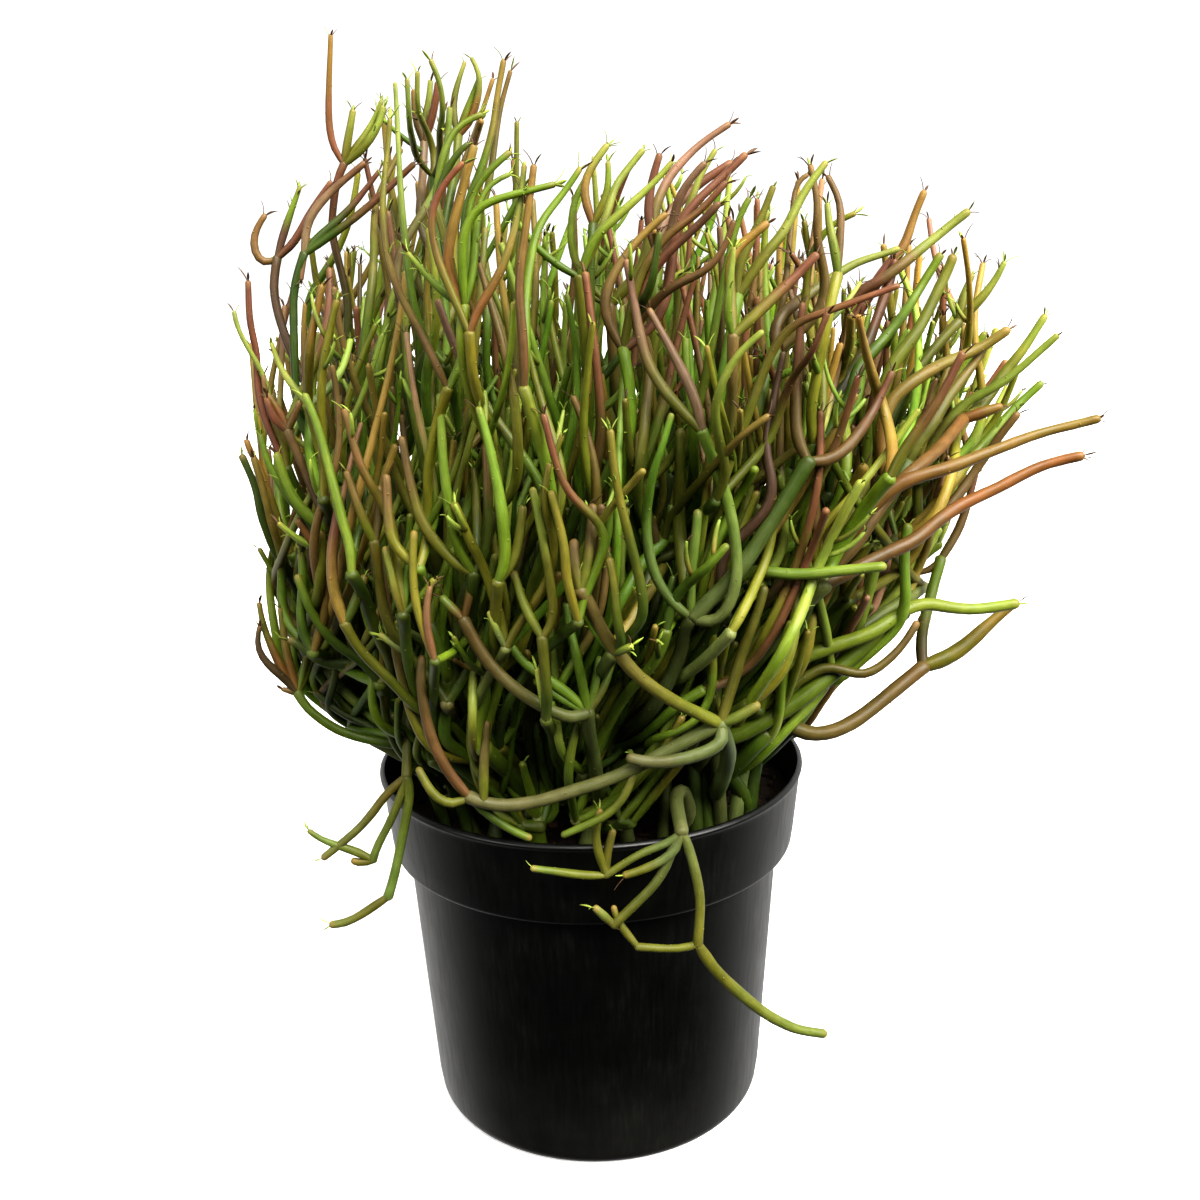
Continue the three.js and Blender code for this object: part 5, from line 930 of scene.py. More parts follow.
p-- 216 201 -1199,-573,2786 -1036,-507,2539 -790,-449,2259
p-- 160 148 -861,-1276,4733 -909,-1210,4433 -958,-1181,4289 -1055,-1143,4081 -1099,-1083,3867 -1126,-1069,3802 -1167,-1066,3746 -1216,-1078,3700
p-- 235 219 -1085,-754,2703 -815,-686,2444 -725,-620,2344 -659,-534,2236
p-- 224 208 -719,-477,3114 -780,-498,2712 -773,-533,2400 -804,-539,2167
p-- 244 227 -928,-168,5822 -1020,-216,5663 -1054,-255,5607 -1071,-328,5534 -1046,-600,5345 -1034,-717,5249 -1038,-788,5152 -1055,-818,5055 -1076,-824,4962 -1138,-815,4631 -1146,-812,4553 -1139,-782,4319 -1149,-790,4242 -1209,-853,4116
s-- 263 255 -1308,-1305,4611 -1310,-1231,4536 -1296,-1179,4397 -1270,-1160,4199 -1269,-1152,4067 -1270,-1163,4003 -1269,-1194,3944
s-- 245 238 -1496,-1044,4255 -1429,-948,3983 -1413,-935,3908 -1368,-911,3678 -1314,-900,3533 -1266,-911,3388
s-- 270 262 -1247,-1437,4171 -1251,-1307,4081 -1266,-1210,3992 -1294,-1140,3903 -1316,-1098,3823 -1313,-984,3520 -1299,-949,3448 -1266,-911,3388
s-- 283 274 -1209,-853,4116 -1227,-855,3868 -1241,-839,3619 -1250,-853,3539 -1266,-911,3388
s-- 311 301 -1269,-1194,3944 -1266,-1130,3828 -1223,-1023,3506 -1237,-974,3442 -1266,-911,3388
s-- 259 251 -1216,-1078,3700 -1201,-907,3473 -1205,-698,3119 -1186,-626,2988
s-- 279 271 -1430,-1116,3287 -1443,-797,3173 -1431,-747,3139 -1403,-736,3110 -1342,-762,3084 -1260,-843,3072 -1178,-949,3077 -1098,-1080,3096
s-- 271 263 -1108,-1599,3837 -1082,-1439,3683 -1059,-1325,3478 -1015,-1141,3221 -1039,-1064,3130 -1067,-1053,3104 -1098,-1080,3096
s-- 283 275 -1561,-760,3248 -1577,-649,3150 -1570,-587,3073 -1544,-554,3007 -1508,-543,2949 -1391,-554,2784 -1342,-568,2733 -1113,-679,2641
s-- 272 264 -1553,-511,3115 -1511,-533,3049 -1422,-600,2942 -1322,-618,2833 -1152,-673,2699 -1113,-679,2641
s-- 360 350 -1266,-911,3388 -1260,-749,3148 -1186,-626,2988
s-- 324 314 -1098,-1080,3096 -1095,-968,2998 -1066,-831,2840 -1015,-727,2718 -978,-683,2667 -954,-620,2626
s-- 264 256 -1374,-544,2648 -1325,-647,2665 -1259,-718,2681 -1177,-759,2695 -1092,-789,2696 -1021,-818,2669 -974,-840,2614 -832,-788,2452
s-- 244 237 -1239,-618,2588 -1149,-635,2539 -1046,-611,2461 -925,-544,2363 -790,-449,2259
s-- 418 405 -1186,-626,2988 -1091,-507,2804 -1012,-437,2687 -967,-417,2627 -833,-397,2443 -700,-373,2259
s-- 328 319 -1113,-679,2641 -896,-537,2406 -700,-373,2259
s-- 274 266 -1154,-799,3076 -1120,-721,2943 -1072,-656,2814 -992,-615,2693 -954,-620,2626
s-- 376 365 -954,-620,2626 -821,-527,2438 -656,-458,2253
s-- 306 297 -832,-788,2452 -756,-677,2381 -674,-495,2266
s-- 280 271 -944,-434,2260 -864,-553,2198
s-- 351 340 -674,-495,2266 -659,-534,2236
s-- 436 423 -656,-458,2253 -647,-386,2203
s-- 485 470 -700,-373,2259 -647,-386,2203
s-- 283 275 -790,-449,2259 -647,-386,2203
s-- 407 395 -659,-534,2236 -864,-553,2198
s-- 472 458 -864,-553,2198 -804,-539,2167
s-- 497 482 -804,-539,2167 -651,-424,2126
s-- 560 543 -647,-386,2203 -651,-424,2126
s-- 560 543 -651,-424,2126 -632,-384,1966 -603,-368,1889 -590,-360,1469
y-- 213 202 -1120,-1080,4904 -1137,-1131,4791 -1188,-1191,4695 -1220,-1229,4657 -1308,-1305,4611
y-- 203 193 -1528,-1216,4015 -1447,-1181,3907 -1395,-1163,3864 -1334,-1147,3835 -1266,-1130,3828
y-- 178 169 -1306,-796,4198 -1245,-828,4134 -1209,-853,4116
y-- 175 167 -1303,-991,4058 -1253,-909,3973 -1222,-857,3950
y-- 156 148 -1450,-817,4112 -1383,-816,3992 -1339,-821,3939 -1287,-834,3895 -1227,-855,3868
y-- 213 203 -1410,-1002,4267 -1316,-929,4181 -1209,-853,4116
b-- 306 303 -832,-788,2452 -798,-747,2408 -769,-727,2346 -746,-723,2267 -727,-728,2173 -713,-737,2065 -700,-743,1880
""",
    "stem_left_front_1": """
pGY 157 147 -786,-1379,6066 -785,-1383,5951 -780,-1455,5556 -756,-1477,5148 -713,-1466,4939 -621,-1454,4805
pOY 163 154 -789,-899,6119 -792,-881,6016 -798,-832,5911 -821,-520,5826 -827,-395,5772 -802,-339,5721 -753,-307,5668
pOY 171 161 -769,-611,6173 -779,-597,6081 -785,-559,5988 -781,-400,5937 -767,-305,5885 -751,-265,5832 -744,-260,5737 -753,-307,5668
pOY 164 155 -672,-909,6201 -631,-890,6101 -624,-875,6046 -635,-823,5933 -669,-672,5884 -693,-461,5759 -716,-378,5707 -753,-307,5668
pRY 221 208 -605,-721,5997 -625,-722,5859 -666,-749,5647 -864,-849,5339 -894,-866,5266 -906,-880,5189 -900,-890,5112 -876,-897,5038 -837,-901,4969 -735,-902,4855
p-- 232 216 -432,-523,2596 -383,-507,2193
p-- 196 182 -574,-1108,3074 -638,-997,2881 -723,-853,2721 -734,-797,2667 -709,-741,2623 -637,-623,2559
p-- 241 225 -205,-542,4524 -255,-601,4298 -312,-662,4073 -374,-736,3855 -433,-835,3645 -495,-1003,3378 -514,-1018,3302 -573,-945,3083 -640,-924,2940
p-- 195 181 -388,-856,5570 -382,-892,5250 -360,-917,5010 -322,-940,4773 -250,-962,4465 -253,-958,4385 -325,-931,4241 -339,-929,4163 -324,-939,4089
p-- 180 167 -193,-610,3321 -254,-613,3087 -305,-592,2854 -353,-536,2553 -392,-480,2260
p-- 245 228 -295,-986,4481 -426,-1008,4099 -579,-1069,3729 -626,-1073,3575 -646,-1084,3497 -671,-1113,3426
p-- 220 205 -248,-1267,4822 -327,-1303,4420 -347,-1302,4009 -355,-1282,3929 -363,-1234,3864 -360,-1166,3820
p-- 195 182 -675,-1278,5467 -706,-1233,5242 -722,-1221,5013 -721,-1236,4860 -702,-1299,4639 -704,-1310,4563 -727,-1338,4495
p-- 182 170 -651,-1310,4755 -692,-1236,4450 -773,-1160,4153 -861,-1105,3940 -1007,-1029,3671 -1029,-1011,3597 -1032,-992,3520 -988,-942,3376 -910,-871,3259 -825,-780,3163
p-- 222 207 119,-872,5420 80,-907,5178 11,-909,4859 -72,-875,4545 -130,-851,4396 -205,-825,4255 -246,-845,4189 -324,-939,4089
p-- 167 155 -260,-848,4019 -339,-906,3720 -399,-941,3496 -509,-981,3125 -539,-976,3052 -640,-924,2940
p-- 244 227 -475,-1024,3814 -527,-946,3418 -534,-911,3087 -586,-904,2841 -609,-892,2763 -611,-872,2688 -587,-844,2620 -523,-766,2501 -466,-660,2400 -392,-480,2260
p-- 204 190 -661,-876,3113 -659,-828,2811 -609,-773,2608 -549,-693,2428 -442,-532,2233
p-- 215 200 -125,-940,5058 -169,-931,4828 -247,-916,4609 -391,-900,4333 -441,-905,4274 -506,-911,4231
p-- 236 219 -985,-1429,4819 -977,-1307,4529 -921,-1216,4233 -845,-1173,4015 -747,-1152,3800 -727,-1100,3572 -671,-1113,3426
p-- 224 208 -777,-783,5188 -726,-821,4784 -717,-831,4458 -733,-813,4215 -766,-777,3975 -781,-784,3896 -823,-803,3829
p-- 174 162 -535,-856,4167 -588,-822,3931 -633,-813,3774 -781,-833,3392 -787,-793,3234 -825,-780,3163
p-- 193 179 -618,-1266,4424 -664,-1252,4107 -688,-1236,3868 -690,-1198,3551 -650,-1131,3243 -612,-1083,3098 -594,-1039,3035 -603,-983,2981 -640,-924,2940
p-- 209 194 -1175,-1121,5160 -1163,-1113,4920 -1118,-1076,4687 -1044,-1015,4465 -916,-912,4189 -885,-884,3950 -861,-851,3882 -823,-803,3829
p-- 231 215 -237,-1017,5529 -283,-1069,5216 -302,-1099,4978 -309,-1119,4739 -303,-1130,4422 -308,-1124,4343 -323,-1100,4268 -335,-1054,4201 -324,-939,4089
p-- 229 213 -903,-629,2945 -793,-617,2748 -617,-556,2446 -442,-532,2233
p-- 241 224 -409,-745,4572 -400,-787,4254 -385,-831,3854 -384,-846,3614 -414,-841,3378 -437,-829,3301 -484,-805,3240 -551,-778,3203
p-- 213 198 -40,-923,4302 -148,-865,4011 -336,-734,3681 -383,-685,3535 -405,-674,3457 -432,-680,3382 -466,-702,3313 -551,-778,3203
p-- 188 175 -146,-1476,4029 -239,-1384,3745 -346,-1265,3478 -455,-1103,3237 -535,-986,3049 -640,-924,2940
p-- 197 183 -796,-1390,3657 -736,-1309,3362 -661,-1141,3015 -603,-1005,2832 -547,-793,2613 -524,-630,2355
p-- 240 223 -809,-1141,5312 -831,-1159,5077 -835,-1187,4920 -832,-1191,4761 -817,-1160,4526 -788,-1102,4297 -788,-1063,4143 -773,-1074,4066 -743,-1106,4000
p-- 232 216 -339,-1237,4574 -369,-1225,4251 -420,-1206,4013 -529,-1167,3709 -622,-1120,3490 -671,-1113,3426
p-- 187 174 -417,-1253,5422 -447,-1367,5132 -467,-1395,4979 -489,-1397,4824 -515,-1376,4671 -542,-1336,4520 -582,-1292,4209 -590,-1255,4152 -596,-1201,4110
p-- 244 227 -448,-821,5924 -533,-468,5779 -570,-313,5705 -599,-223,5628 -620,-238,5550 -638,-331,5471 -649,-564,5306 -636,-655,5220 -607,-789,5050 -631,-839,4974 -735,-902,4855
p-- 232 216 -660,-1515,5430 -630,-1548,5202 -634,-1535,5047 -666,-1482,4901 -722,-1433,4770 -737,-1421,4697 -731,-1418,4620 -724,-1391,4549 -727,-1338,4495
s-- 199 193 -753,-307,5668 -746,-428,5562 -710,-723,5361 -689,-853,5268 -652,-1045,5095 -628,-1196,4934 -626,-1308,4866 -621,-1454,4805
s-- 230 223 -621,-1454,4805 -615,-1359,4721 -607,-1299,4641 -590,-1231,4486 -587,-1182,4258 -595,-1183,4183 -596,-1201,4110
s-- 283 275 -735,-902,4855 -707,-915,4619 -682,-902,4299 -716,-851,3902 -711,-849,3822 -659,-869,3671
s-- 268 260 -506,-911,4231 -571,-887,3990 -622,-869,3746 -659,-869,3671
s-- 269 261 -727,-1338,4495 -719,-1186,4132 -725,-1155,4060 -743,-1106,4000
s-- 267 259 -596,-1201,4110 -617,-1214,3955 -642,-1204,3722 -654,-1185,3646 -677,-1119,3504 -671,-1113,3426
s-- 268 260 -324,-939,4089 -450,-907,3808 -547,-866,3508 -575,-831,3354 -551,-778,3203
s-- 256 248 -360,-1166,3820 -460,-1079,3617 -565,-975,3330 -593,-945,3175 -640,-924,2940
s-- 279 270 -823,-803,3829 -805,-748,3607 -792,-714,3381 -799,-724,3305 -825,-780,3163
s-- 312 303 -743,-1106,4000 -748,-973,3697 -748,-873,3380 -759,-849,3301 -785,-819,3228 -825,-780,3163
s-- 329 319 -659,-869,3671 -684,-851,3259 -709,-814,3015 -694,-760,2858 -654,-689,2711 -637,-623,2559
s-- 310 301 -671,-1113,3426 -789,-963,3078 -813,-900,2937 -810,-865,2867 -782,-827,2803 -651,-732,2631 -524,-630,2355
s-- 310 301 -551,-778,3203 -638,-708,2998 -685,-669,2854 -693,-651,2779 -637,-623,2559
s-- 362 351 -825,-780,3163 -847,-772,2994 -856,-743,2820 -826,-758,2672 -736,-729,2563 -524,-630,2355
s-- 297 288 -640,-924,2940 -566,-727,2628 -524,-630,2355
s-- 381 370 -637,-623,2559 -508,-564,2378 -383,-507,2193
s-- 420 407 -524,-630,2355 -442,-532,2233
s-- 282 273 -392,-480,2260 -442,-532,2233
s-- 487 473 -442,-532,2233 -383,-507,2193
s-- 560 543 -383,-507,2193 -333,-458,1976 -327,-450,1747 -322,-444,1517
y-- 161 153 -402,-1031,4042 -454,-976,3869 -516,-940,3766 -605,-896,3689 -659,-869,3671
y-- 155 148 -963,-951,3576 -905,-876,3389 -873,-855,3331 -785,-819,3228
y-- 153 145 -560,-1594,4904 -596,-1507,4825 -621,-1454,4805
y-- 206 196 -682,-973,4119 -619,-920,4020 -571,-887,3990
y-- 210 199 -823,-1012,3326 -821,-906,3231 -825,-780,3163
y-- 207 197 -801,-964,4281 -767,-1027,4099 -743,-1106,4000
y-- 179 170 -531,-951,5181 -560,-981,5136 -602,-1012,5105 -652,-1045,5095
y-- 188 179 -851,-1198,3627 -773,-1151,3517 -671,-1113,3426
y-- 156 148 -466,-1133,4117 -459,-1131,4053 -422,-1141,3930 -360,-1166,3820
y-- 212 202 -912,-1084,3990 -881,-990,3892 -864,-933,3856 -846,-869,3833 -823,-803,3829
y-- 207 197 -687,-1001,4503 -640,-979,4374 -603,-961,4317 -506,-911,4231
y-- 149 141 -691,-1444,4339 -640,-1313,4183 -596,-1201,4110
y-- 215 204 -805,-946,3582 -799,-843,3502 -794,-721,3457
y-- 180 171 -445,-943,4292 -378,-933,4148 -324,-939,4089
y-- 178 169 -820,-924,3790 -722,-887,3696 -659,-869,3671
y-- 165 157 -731,-1094,4968 -730,-975,4876 -735,-902,4855
b-- 371 416 -524,-630,2355 -507,-615,2308 -508,-632,2254 -521,-669,2189 -541,-715,2115 -560,-759,2030 -577,-798,1880
""",
    "stem_left_front_2": """
pBO 174 164 -786,-1618,5901 -801,-1628,5787 -832,-1691,5551 -823,-1734,5323 -777,-1750,5167 -674,-1761,4950 -580,-1774,4733
pGG 175 164 -381,-1603,5909 -477,-1620,5873 -541,-1651,5793 -602,-1709,5542
pGG 170 159 -257,-1745,5747 -373,-1763,5654 -434,-1778,5570 -452,-1789,5500 -462,-1831,5249 -480,-1872,5100
pGG 172 162 -265,-1740,5653 -361,-1763,5614 -401,-1781,5541 -439,-1847,5239 -480,-1872,5100
pGG 186 175 -64,-1902,5605 -328,-1910,5548 -393,-1912,5525 -433,-1912,5485 -462,-1911,5421 -477,-1907,5340 -480,-1872,5100
pDD 171 161 -439,-1712,5786 -516,-1716,5720 -602,-1709,5542
pOR 166 156 -450,-1885,5704 -502,-1889,5661 -582,-1898,5552 -603,-1902,5479 -584,-1906,5318 -459,-1922,4990
pAK 211 198 -406,-1811,5777 -495,-1828,5512 -548,-1853,5303 -537,-1860,5231 -480,-1872,5100
pAY 189 178 -196,-1861,5690 -226,-1878,5494 -266,-1901,5365 -315,-1910,5244 -437,-1920,5062 -459,-1922,4990
pBK 189 177 -154,-1887,5689 -201,-1905,5409 -236,-1918,5194 -225,-1923,4903 -232,-1909,4741
pGG 222 209 42,-1536,5678 -32,-1549,5576 -119,-1586,5480 -156,-1610,5427 -176,-1635,5367 -217,-1722,5162 -224,-1820,4939 -232,-1909,4741
pOB 228 214 -1089,-1576,4633 -1039,-1594,4394 -1012,-1593,4317 -925,-1561,4141 -902,-1564,4064 -885,-1602,3853 -862,-1673,3650
pOB 230 216 -826,-1619,4502 -760,-1661,4129 -638,-1660,3933 -585,-1657,3876 -518,-1648,3838
pGV 226 212 -624,-1713,4710 -626,-1728,4392 -608,-1710,4152 -586,-1689,3990 -518,-1648,3838
pOO 200 188 -589,-1734,4208 -554,-1741,4135 -534,-1739,4054 -486,-1672,3919 -452,-1643,3809 -402,-1624,3598 -382,-1640,3509 -380,-1662,3464
pDB 228 214 -436,-1644,4464 -432,-1662,4305 -439,-1661,4064 -473,-1648,3905 -518,-1648,3838
pDO 208 195 -511,-1436,4313 -502,-1516,4067 -503,-1608,3914 -518,-1648,3838
sDD 266 250 -518,-1648,3838 -526,-1631,3779 -561,-1455,3561 -566,-1414,3437 -573,-1401,3329 -589,-1404,3269 -704,-1447,3114
pGV 246 231 -445,-1823,4662 -407,-1833,4514 -362,-1823,4210 -352,-1803,3977 -359,-1793,3900 -395,-1782,3829
pOO 205 193 -267,-1713,4181 -306,-1759,3955 -395,-1782,3829
sGO 280 263 -395,-1782,3829 -417,-1697,3696 -434,-1615,3503 -439,-1513,3378 -432,-1457,3257 -464,-1411,3127 -507,-1382,3006 -523,-1379,2951 -534,-1401,2849
pKR 239 225 -1175,-1406,4186 -1179,-1423,4106 -1216,-1454,3953 -1228,-1477,3794 -1222,-1484,3714 -1179,-1492,3556
pDO 217 204 -1070,-1444,3794 -1116,-1475,3672 -1179,-1492,3556
sGO 248 233 -1179,-1492,3556 -1126,-1461,3416 -992,-1403,3232 -863,-1347,3043 -741,-1276,2959 -694,-1242,2904 -592,-1110,2651
pOB 208 195 -1106,-1548,4335 -1049,-1558,4121 -999,-1536,3978
pBB 210 197 -966,-1469,4241 -976,-1511,4063 -999,-1536,3978
sDO 239 225 -999,-1536,3978 -984,-1493,3630 -951,-1466,3489 -825,-1429,3293 -737,-1434,3172 -704,-1447,3114
pOB 207 194 -905,-1634,4328 -900,-1681,4037 -867,-1687,3972 -771,-1692,3882
pOY 185 174 -934,-1630,3981 -883,-1669,3708 -862,-1673,3650
pOO 182 171 -784,-1690,4069 -798,-1725,3861 -790,-1736,3720 -756,-1753,3583 -709,-1792,3452
pRR 184 173 -720,-1720,3808 -744,-1751,3696 -738,-1772,3579 -709,-1792,3452
pGR 215 202 -150,-1935,4639 -101,-1941,4414 -43,-1935,4267 48,-1900,4173 104,-1864,4091 111,-1852,4010 49,-1837,3861 -13,-1854,3722 -24,-1884,3656
pOO 196 184 -134,-1867,4409 -163,-1880,4258 -158,-1874,4179 -133,-1816,4074 -125,-1781,3980 -136,-1758,3896 -198,-1718,3753 -319,-1670,3578 -380,-1662,3464
pOO 198 186 -129,-1901,4288 -72,-1913,4002 -76,-1907,3903 -24,-1884,3656
pGG 245 230 -292,-925,2799 -271,-969,2675 -258,-912,2510 -198,-877,2219 -380,-928,2188
p-- 190 176 -73,-1738,4514 -182,-1706,4214 -292,-1647,3988 -434,-1514,3741 -518,-1379,3556 -550,-1342,3475 -582,-1373,3423 -623,-1481,3411 -709,-1792,3452
p-- 224 209 -625,-1609,5122 -559,-1611,4898 -462,-1611,4687 -334,-1611,4492 -162,-1659,4243 -127,-1731,4051
p-- 184 172 -259,-1542,5033 -212,-1560,4802 -174,-1592,4653 -65,-1726,4315 -65,-1729,4244 -113,-1708,4113 -127,-1731,4051
p-- 186 173 -99,-828,4639 -172,-890,4412 -249,-967,4193 -345,-1063,3990 -462,-1215,3735 -520,-1265,3607 -539,-1276,3530 -534,-1286,3447 -514,-1314,3374 -496,-1416,3241
p-- 200 186 -424,-1491,3891 -498,-1341,3538 -524,-1316,3444 -552,-1318,3360 -571,-1370,3294 -567,-1526,3183 -564,-1569,3116 -568,-1571,3045 -576,-1539,2979 -594,-1409,2852 -585,-1233,2725 -592,-1110,2651
p-- 222 206 -298,-1391,3364 -305,-1200,3079 -327,-1001,2847 -335,-949,2767 -332,-914,2642 -314,-894,2485 -296,-932,2233
p-- 226 210 -789,-1229,3735 -779,-1202,3498 -786,-1171,3261 -813,-1133,3028 -855,-1086,2799 -848,-1061,2643
p-- 212 197 -619,-1421,3871 -577,-1263,3491 -547,-1228,3277 -534,-1176,3139 -512,-1061,2942 -460,-978,2822 -440,-947,2754 -436,-928,2679 -463,-919,2523
p-- 199 185 -497,-1581,4625 -558,-1590,4403 -616,-1595,4261 -736,-1600,4065 -844,-1583,3881 -858,-1594,3809 -862,-1673,3650
p-- 242 225 -842,-866,3748 -785,-794,3517 -710,-769,3283 -654,-782,3128 -567,-825,2899 -498,-891,2674 -463,-919,2523
p-- 160 149 -349,-1246,3083 -392,-1170,2926 -404,-1145,2847 -411,-1136,2688 -444,-1107,2550 -484,-1029,2432 -545,-886,2260
p-- 209 194 -544,-1063,2666 -454,-1015,2468 -296,-932,2233
p-- 188 175 -804,-1101,3451 -832,-1148,3226 -861,-1154,2999 -891,-1113,2775 -882,-1090,2702 -848,-1061,2643
p-- 194 181 294,-1884,4368 109,-1743,4129 26,-1692,3986 -92,-1607,3753 -148,-1590,3678 -216,-1598,3615 -337,-1631,3512 -380,-1662,3464
p-- 224 209 -765,-939,2577 -531,-840,2361 -353,-770,2200
p-- 181 168 -467,-1112,3455 -536,-1062,3141 -547,-1027,2898 -528,-1007,2738 -438,-965,2427 -380,-928,2188
p-- 186 173 -791,-1474,4967 -771,-1530,4732 -734,-1564,4495 -684,-1576,4258 -684,-1557,4100 -708,-1569,4022 -740,-1614,3948 -771,-1692,3882
p-- 237 221 -125,-1204,3721 -153,-1160,3406 -154,-1101,3160 -160,-965,2823 -217,-870,2594 -253,-850,2455 -266,-855,2392 -277,-872,2334 -296,-932,2233
p-- 201 187 -1028,-1332,3955 -1011,-1293,3715 -976,-1283,3390 -926,-1310,3076 -860,-1340,2866 -821,-1322,2802 -778,-1288,2753 -644,-1146,2682 -592,-1110,2651
p-- 210 196 -269,-1505,4660 -316,-1521,4422 -353,-1526,4101 -392,-1496,3782 -408,-1487,3702 -490,-1503,3460 -516,-1493,3379 -520,-1455,3308 -496,-1416,3241
p-- 202 188 -451,-1344,3613 -474,-1316,3374 -556,-1304,3071 -588,-1267,2919 -620,-1153,2627 -586,-1036,2443 -545,-886,2260
p-- 203 189 -264,-1881,5121 -288,-1868,4872 -310,-1849,4782 -341,-1808,4685 -382,-1728,4578 -477,-1451,4345 -518,-1337,4240 -548,-1282,4157 -568,-1284,4095 -614,-1442,3935 -650,-1468,3872 -692,-1474,3800 -720,-1477,3717 -755,-1514,3548
p-- 201 187 -436,-1361,4207 -447,-1371,4050 -441,-1389,3895 -374,-1446,3611 -374,-1429,3533 -399,-1387,3463 -437,-1359,3395 -475,-1369,3320 -496,-1416,3241
p-- 198 184 42,-1404,3607 -68,-1376,3356 -95,-1351,3251 -124,-1300,3130 -164,-1212,2993 -229,-983,2719 -225,-927,2624 -208,-877,2496 -213,-848,2412 -233,-847,2320 -278,-965,2194
p-- 221 206 -352,-1233,2693 -320,-1063,2431 -296,-932,2233
p-- 181 168 -1055,-1018,2905 -922,-971,2689 -817,-976,2572 -712,-940,2445 -545,-886,2260
p-- 194 180 -126,-1396,3255 -240,-1228,3147 -294,-1162,3093 -336,-1125,3032 -357,-1120,2961 -358,-1133,2888 -376,-1158,2830 -429,-1188,2802 -474,-1192,2765
p-- 224 208 -470,-1375,4610 -569,-1405,4317 -628,-1424,4091 -655,-1422,3934 -669,-1467,3693 -712,-1461,3551 -741,-1421,3424 -738,-1402,3355 -698,-1407,3221
p-- 204 190 -699,-1167,2827 -619,-1051,2648 -540,-935,2467 -477,-823,2274
p-- 225 209 -422,-1704,5283 -360,-1768,5061 -322,-1794,4908 -279,-1805,4673 -273,-1792,4513 -279,-1746,4352 -288,-1707,4271 -322,-1649,4203 -417,-1496,4110
p-- 182 169 -510,-1433,3366 -605,-1319,2984 -626,-1247,2816 -616,-1211,2680 -579,-1167,2574 -537,-1096,2471 -431,-950,2299 -380,-928,2188
s-- 203 196 -602,-1709,5542 -581,-1729,5468 -548,-1739,5318 -495,-1726,4939 -510,-1732,4864 -580,-1774,4733
s-- 244 237 -480,-1872,5100 -496,-1893,5025 -501,-1887,4953 -499,-1864,4886 -481,-1734,4682 -432,-1551,4467 -410,-1508,4386 -399,-1490,4297 -417,-1496,4110
s-- 220 213 -459,-1922,4990 -458,-1892,4828 -442,-1775,4680 -410,-1635,4536 -391,-1580,4457 -382,-1544,4370 -388,-1524,4281 -417,-1496,4110
s-- 235 228 -580,-1774,4733 -611,-1730,4671 -640,-1700,4595 -690,-1656,4427 -719,-1609,4268 -726,-1576,4109 -731,-1587,4029 -746,-1625,3952 -771,-1692,3882
s-- 258 250 -232,-1909,4741 -190,-1901,4586 -141,-1836,4356 -127,-1824,4186 -127,-1731,4051
s-- 283 275 -417,-1496,4110 -464,-1437,3960 -541,-1420,3763 -636,-1354,3566 -650,-1355,3492 -645,-1379,3340 -667,-1379,3205 -685,-1398,3153 -704,-1447,3114
s-- 273 264 -771,-1692,3882 -777,-1528,3742 -746,-1434,3604 -725,-1406,3532 -705,-1373,3382 -702,-1380,3301 -698,-1407,3221
s-- 299 290 -127,-1731,4051 -217,-1625,3830 -256,-1541,3677 -271,-1502,3595 -312,-1459,3426 -348,-1440,3354 -410,-1422,3293 -496,-1416,3241
s-- 249 242 -24,-1884,3656 -84,-1708,3558 -139,-1611,3486 -260,-1444,3322 -289,-1420,3272 -373,-1409,3141 -418,-1386,3055 -458,-1299,2910 -474,-1192,2765
s-- 265 257 -862,-1673,3650 -870,-1598,3568 -885,-1475,3389 -872,-1327,3119 -854,-1272,2970 -795,-1218,2834 -755,-1145,2695
s-- 232 225 -380,-1662,3464 -417,-1569,3381 -456,-1527,3320 -538,-1490,3168 -586,-1400,3010 -582,-1359,2958 -484,-1232,2815 -474,-1192,2765
s-- 269 261 -755,-1514,3548 -730,-1515,3481 -701,-1489,3343 -692,-1470,3295 -698,-1407,3221
s-- 347 337 -496,-1416,3241 -529,-1427,3103 -588,-1410,2903 -576,-1397,2860 -545,-1383,2846 -534,-1401,2849
s-- 220 213 -709,-1792,3452 -749,-1563,3276 -760,-1488,3200 -785,-1389,3054 -806,-1293,2864 -800,-1249,2805 -755,-1145,2695
s-- 316 307 -698,-1407,3221 -737,-1349,2985 -749,-1292,2855 -726,-1241,2800 -686,-1188,2752 -592,-1110,2651
s-- 329 319 -704,-1447,3114 -721,-1222,2952 -720,-1111,2810 -681,-1029,2670 -621,-951,2537 -477,-823,2274
s-- 403 390 -534,-1401,2849 -509,-1262,2747 -450,-1066,2581 -366,-950,2404 -312,-801,2240
s-- 289 281 -474,-1192,2765 -426,-1057,2662 -406,-1003,2599 -369,-911,2462 -312,-801,2240
s-- 367 356 -592,-1110,2651 -548,-1038,2534 -490,-958,2425 -312,-801,2240
s-- 307 298 -755,-1145,2695 -544,-945,2406 -353,-770,2200
s-- 281 272 -463,-919,2523 -312,-801,2240
s-- 262 254 -848,-1061,2643 -636,-929,2431 -477,-823,2274
s-- 234 227 -545,-886,2260 -380,-928,2188
s-- 275 267 -296,-932,2233 -278,-965,2194
s-- 315 306 -278,-965,2194 -380,-928,2188
s-- 366 355 -380,-928,2188 -336,-798,2131
s-- 381 370 -477,-823,2274 -353,-770,2200
s-- 467 453 -312,-801,2240 -353,-770,2200
s-- 542 525 -353,-770,2200 -336,-798,2131
s-- 560 543 -336,-798,2131 -309,-730,1898 -302,-713,1573
y-- 173 165 -453,-1685,3664 -415,-1670,3526 -380,-1662,3464
y-- 184 175 -721,-1829,5339 -594,-1847,5176 -480,-1872,5100
y-- 193 183 -1024,-1450,3492 -885,-1475,3389
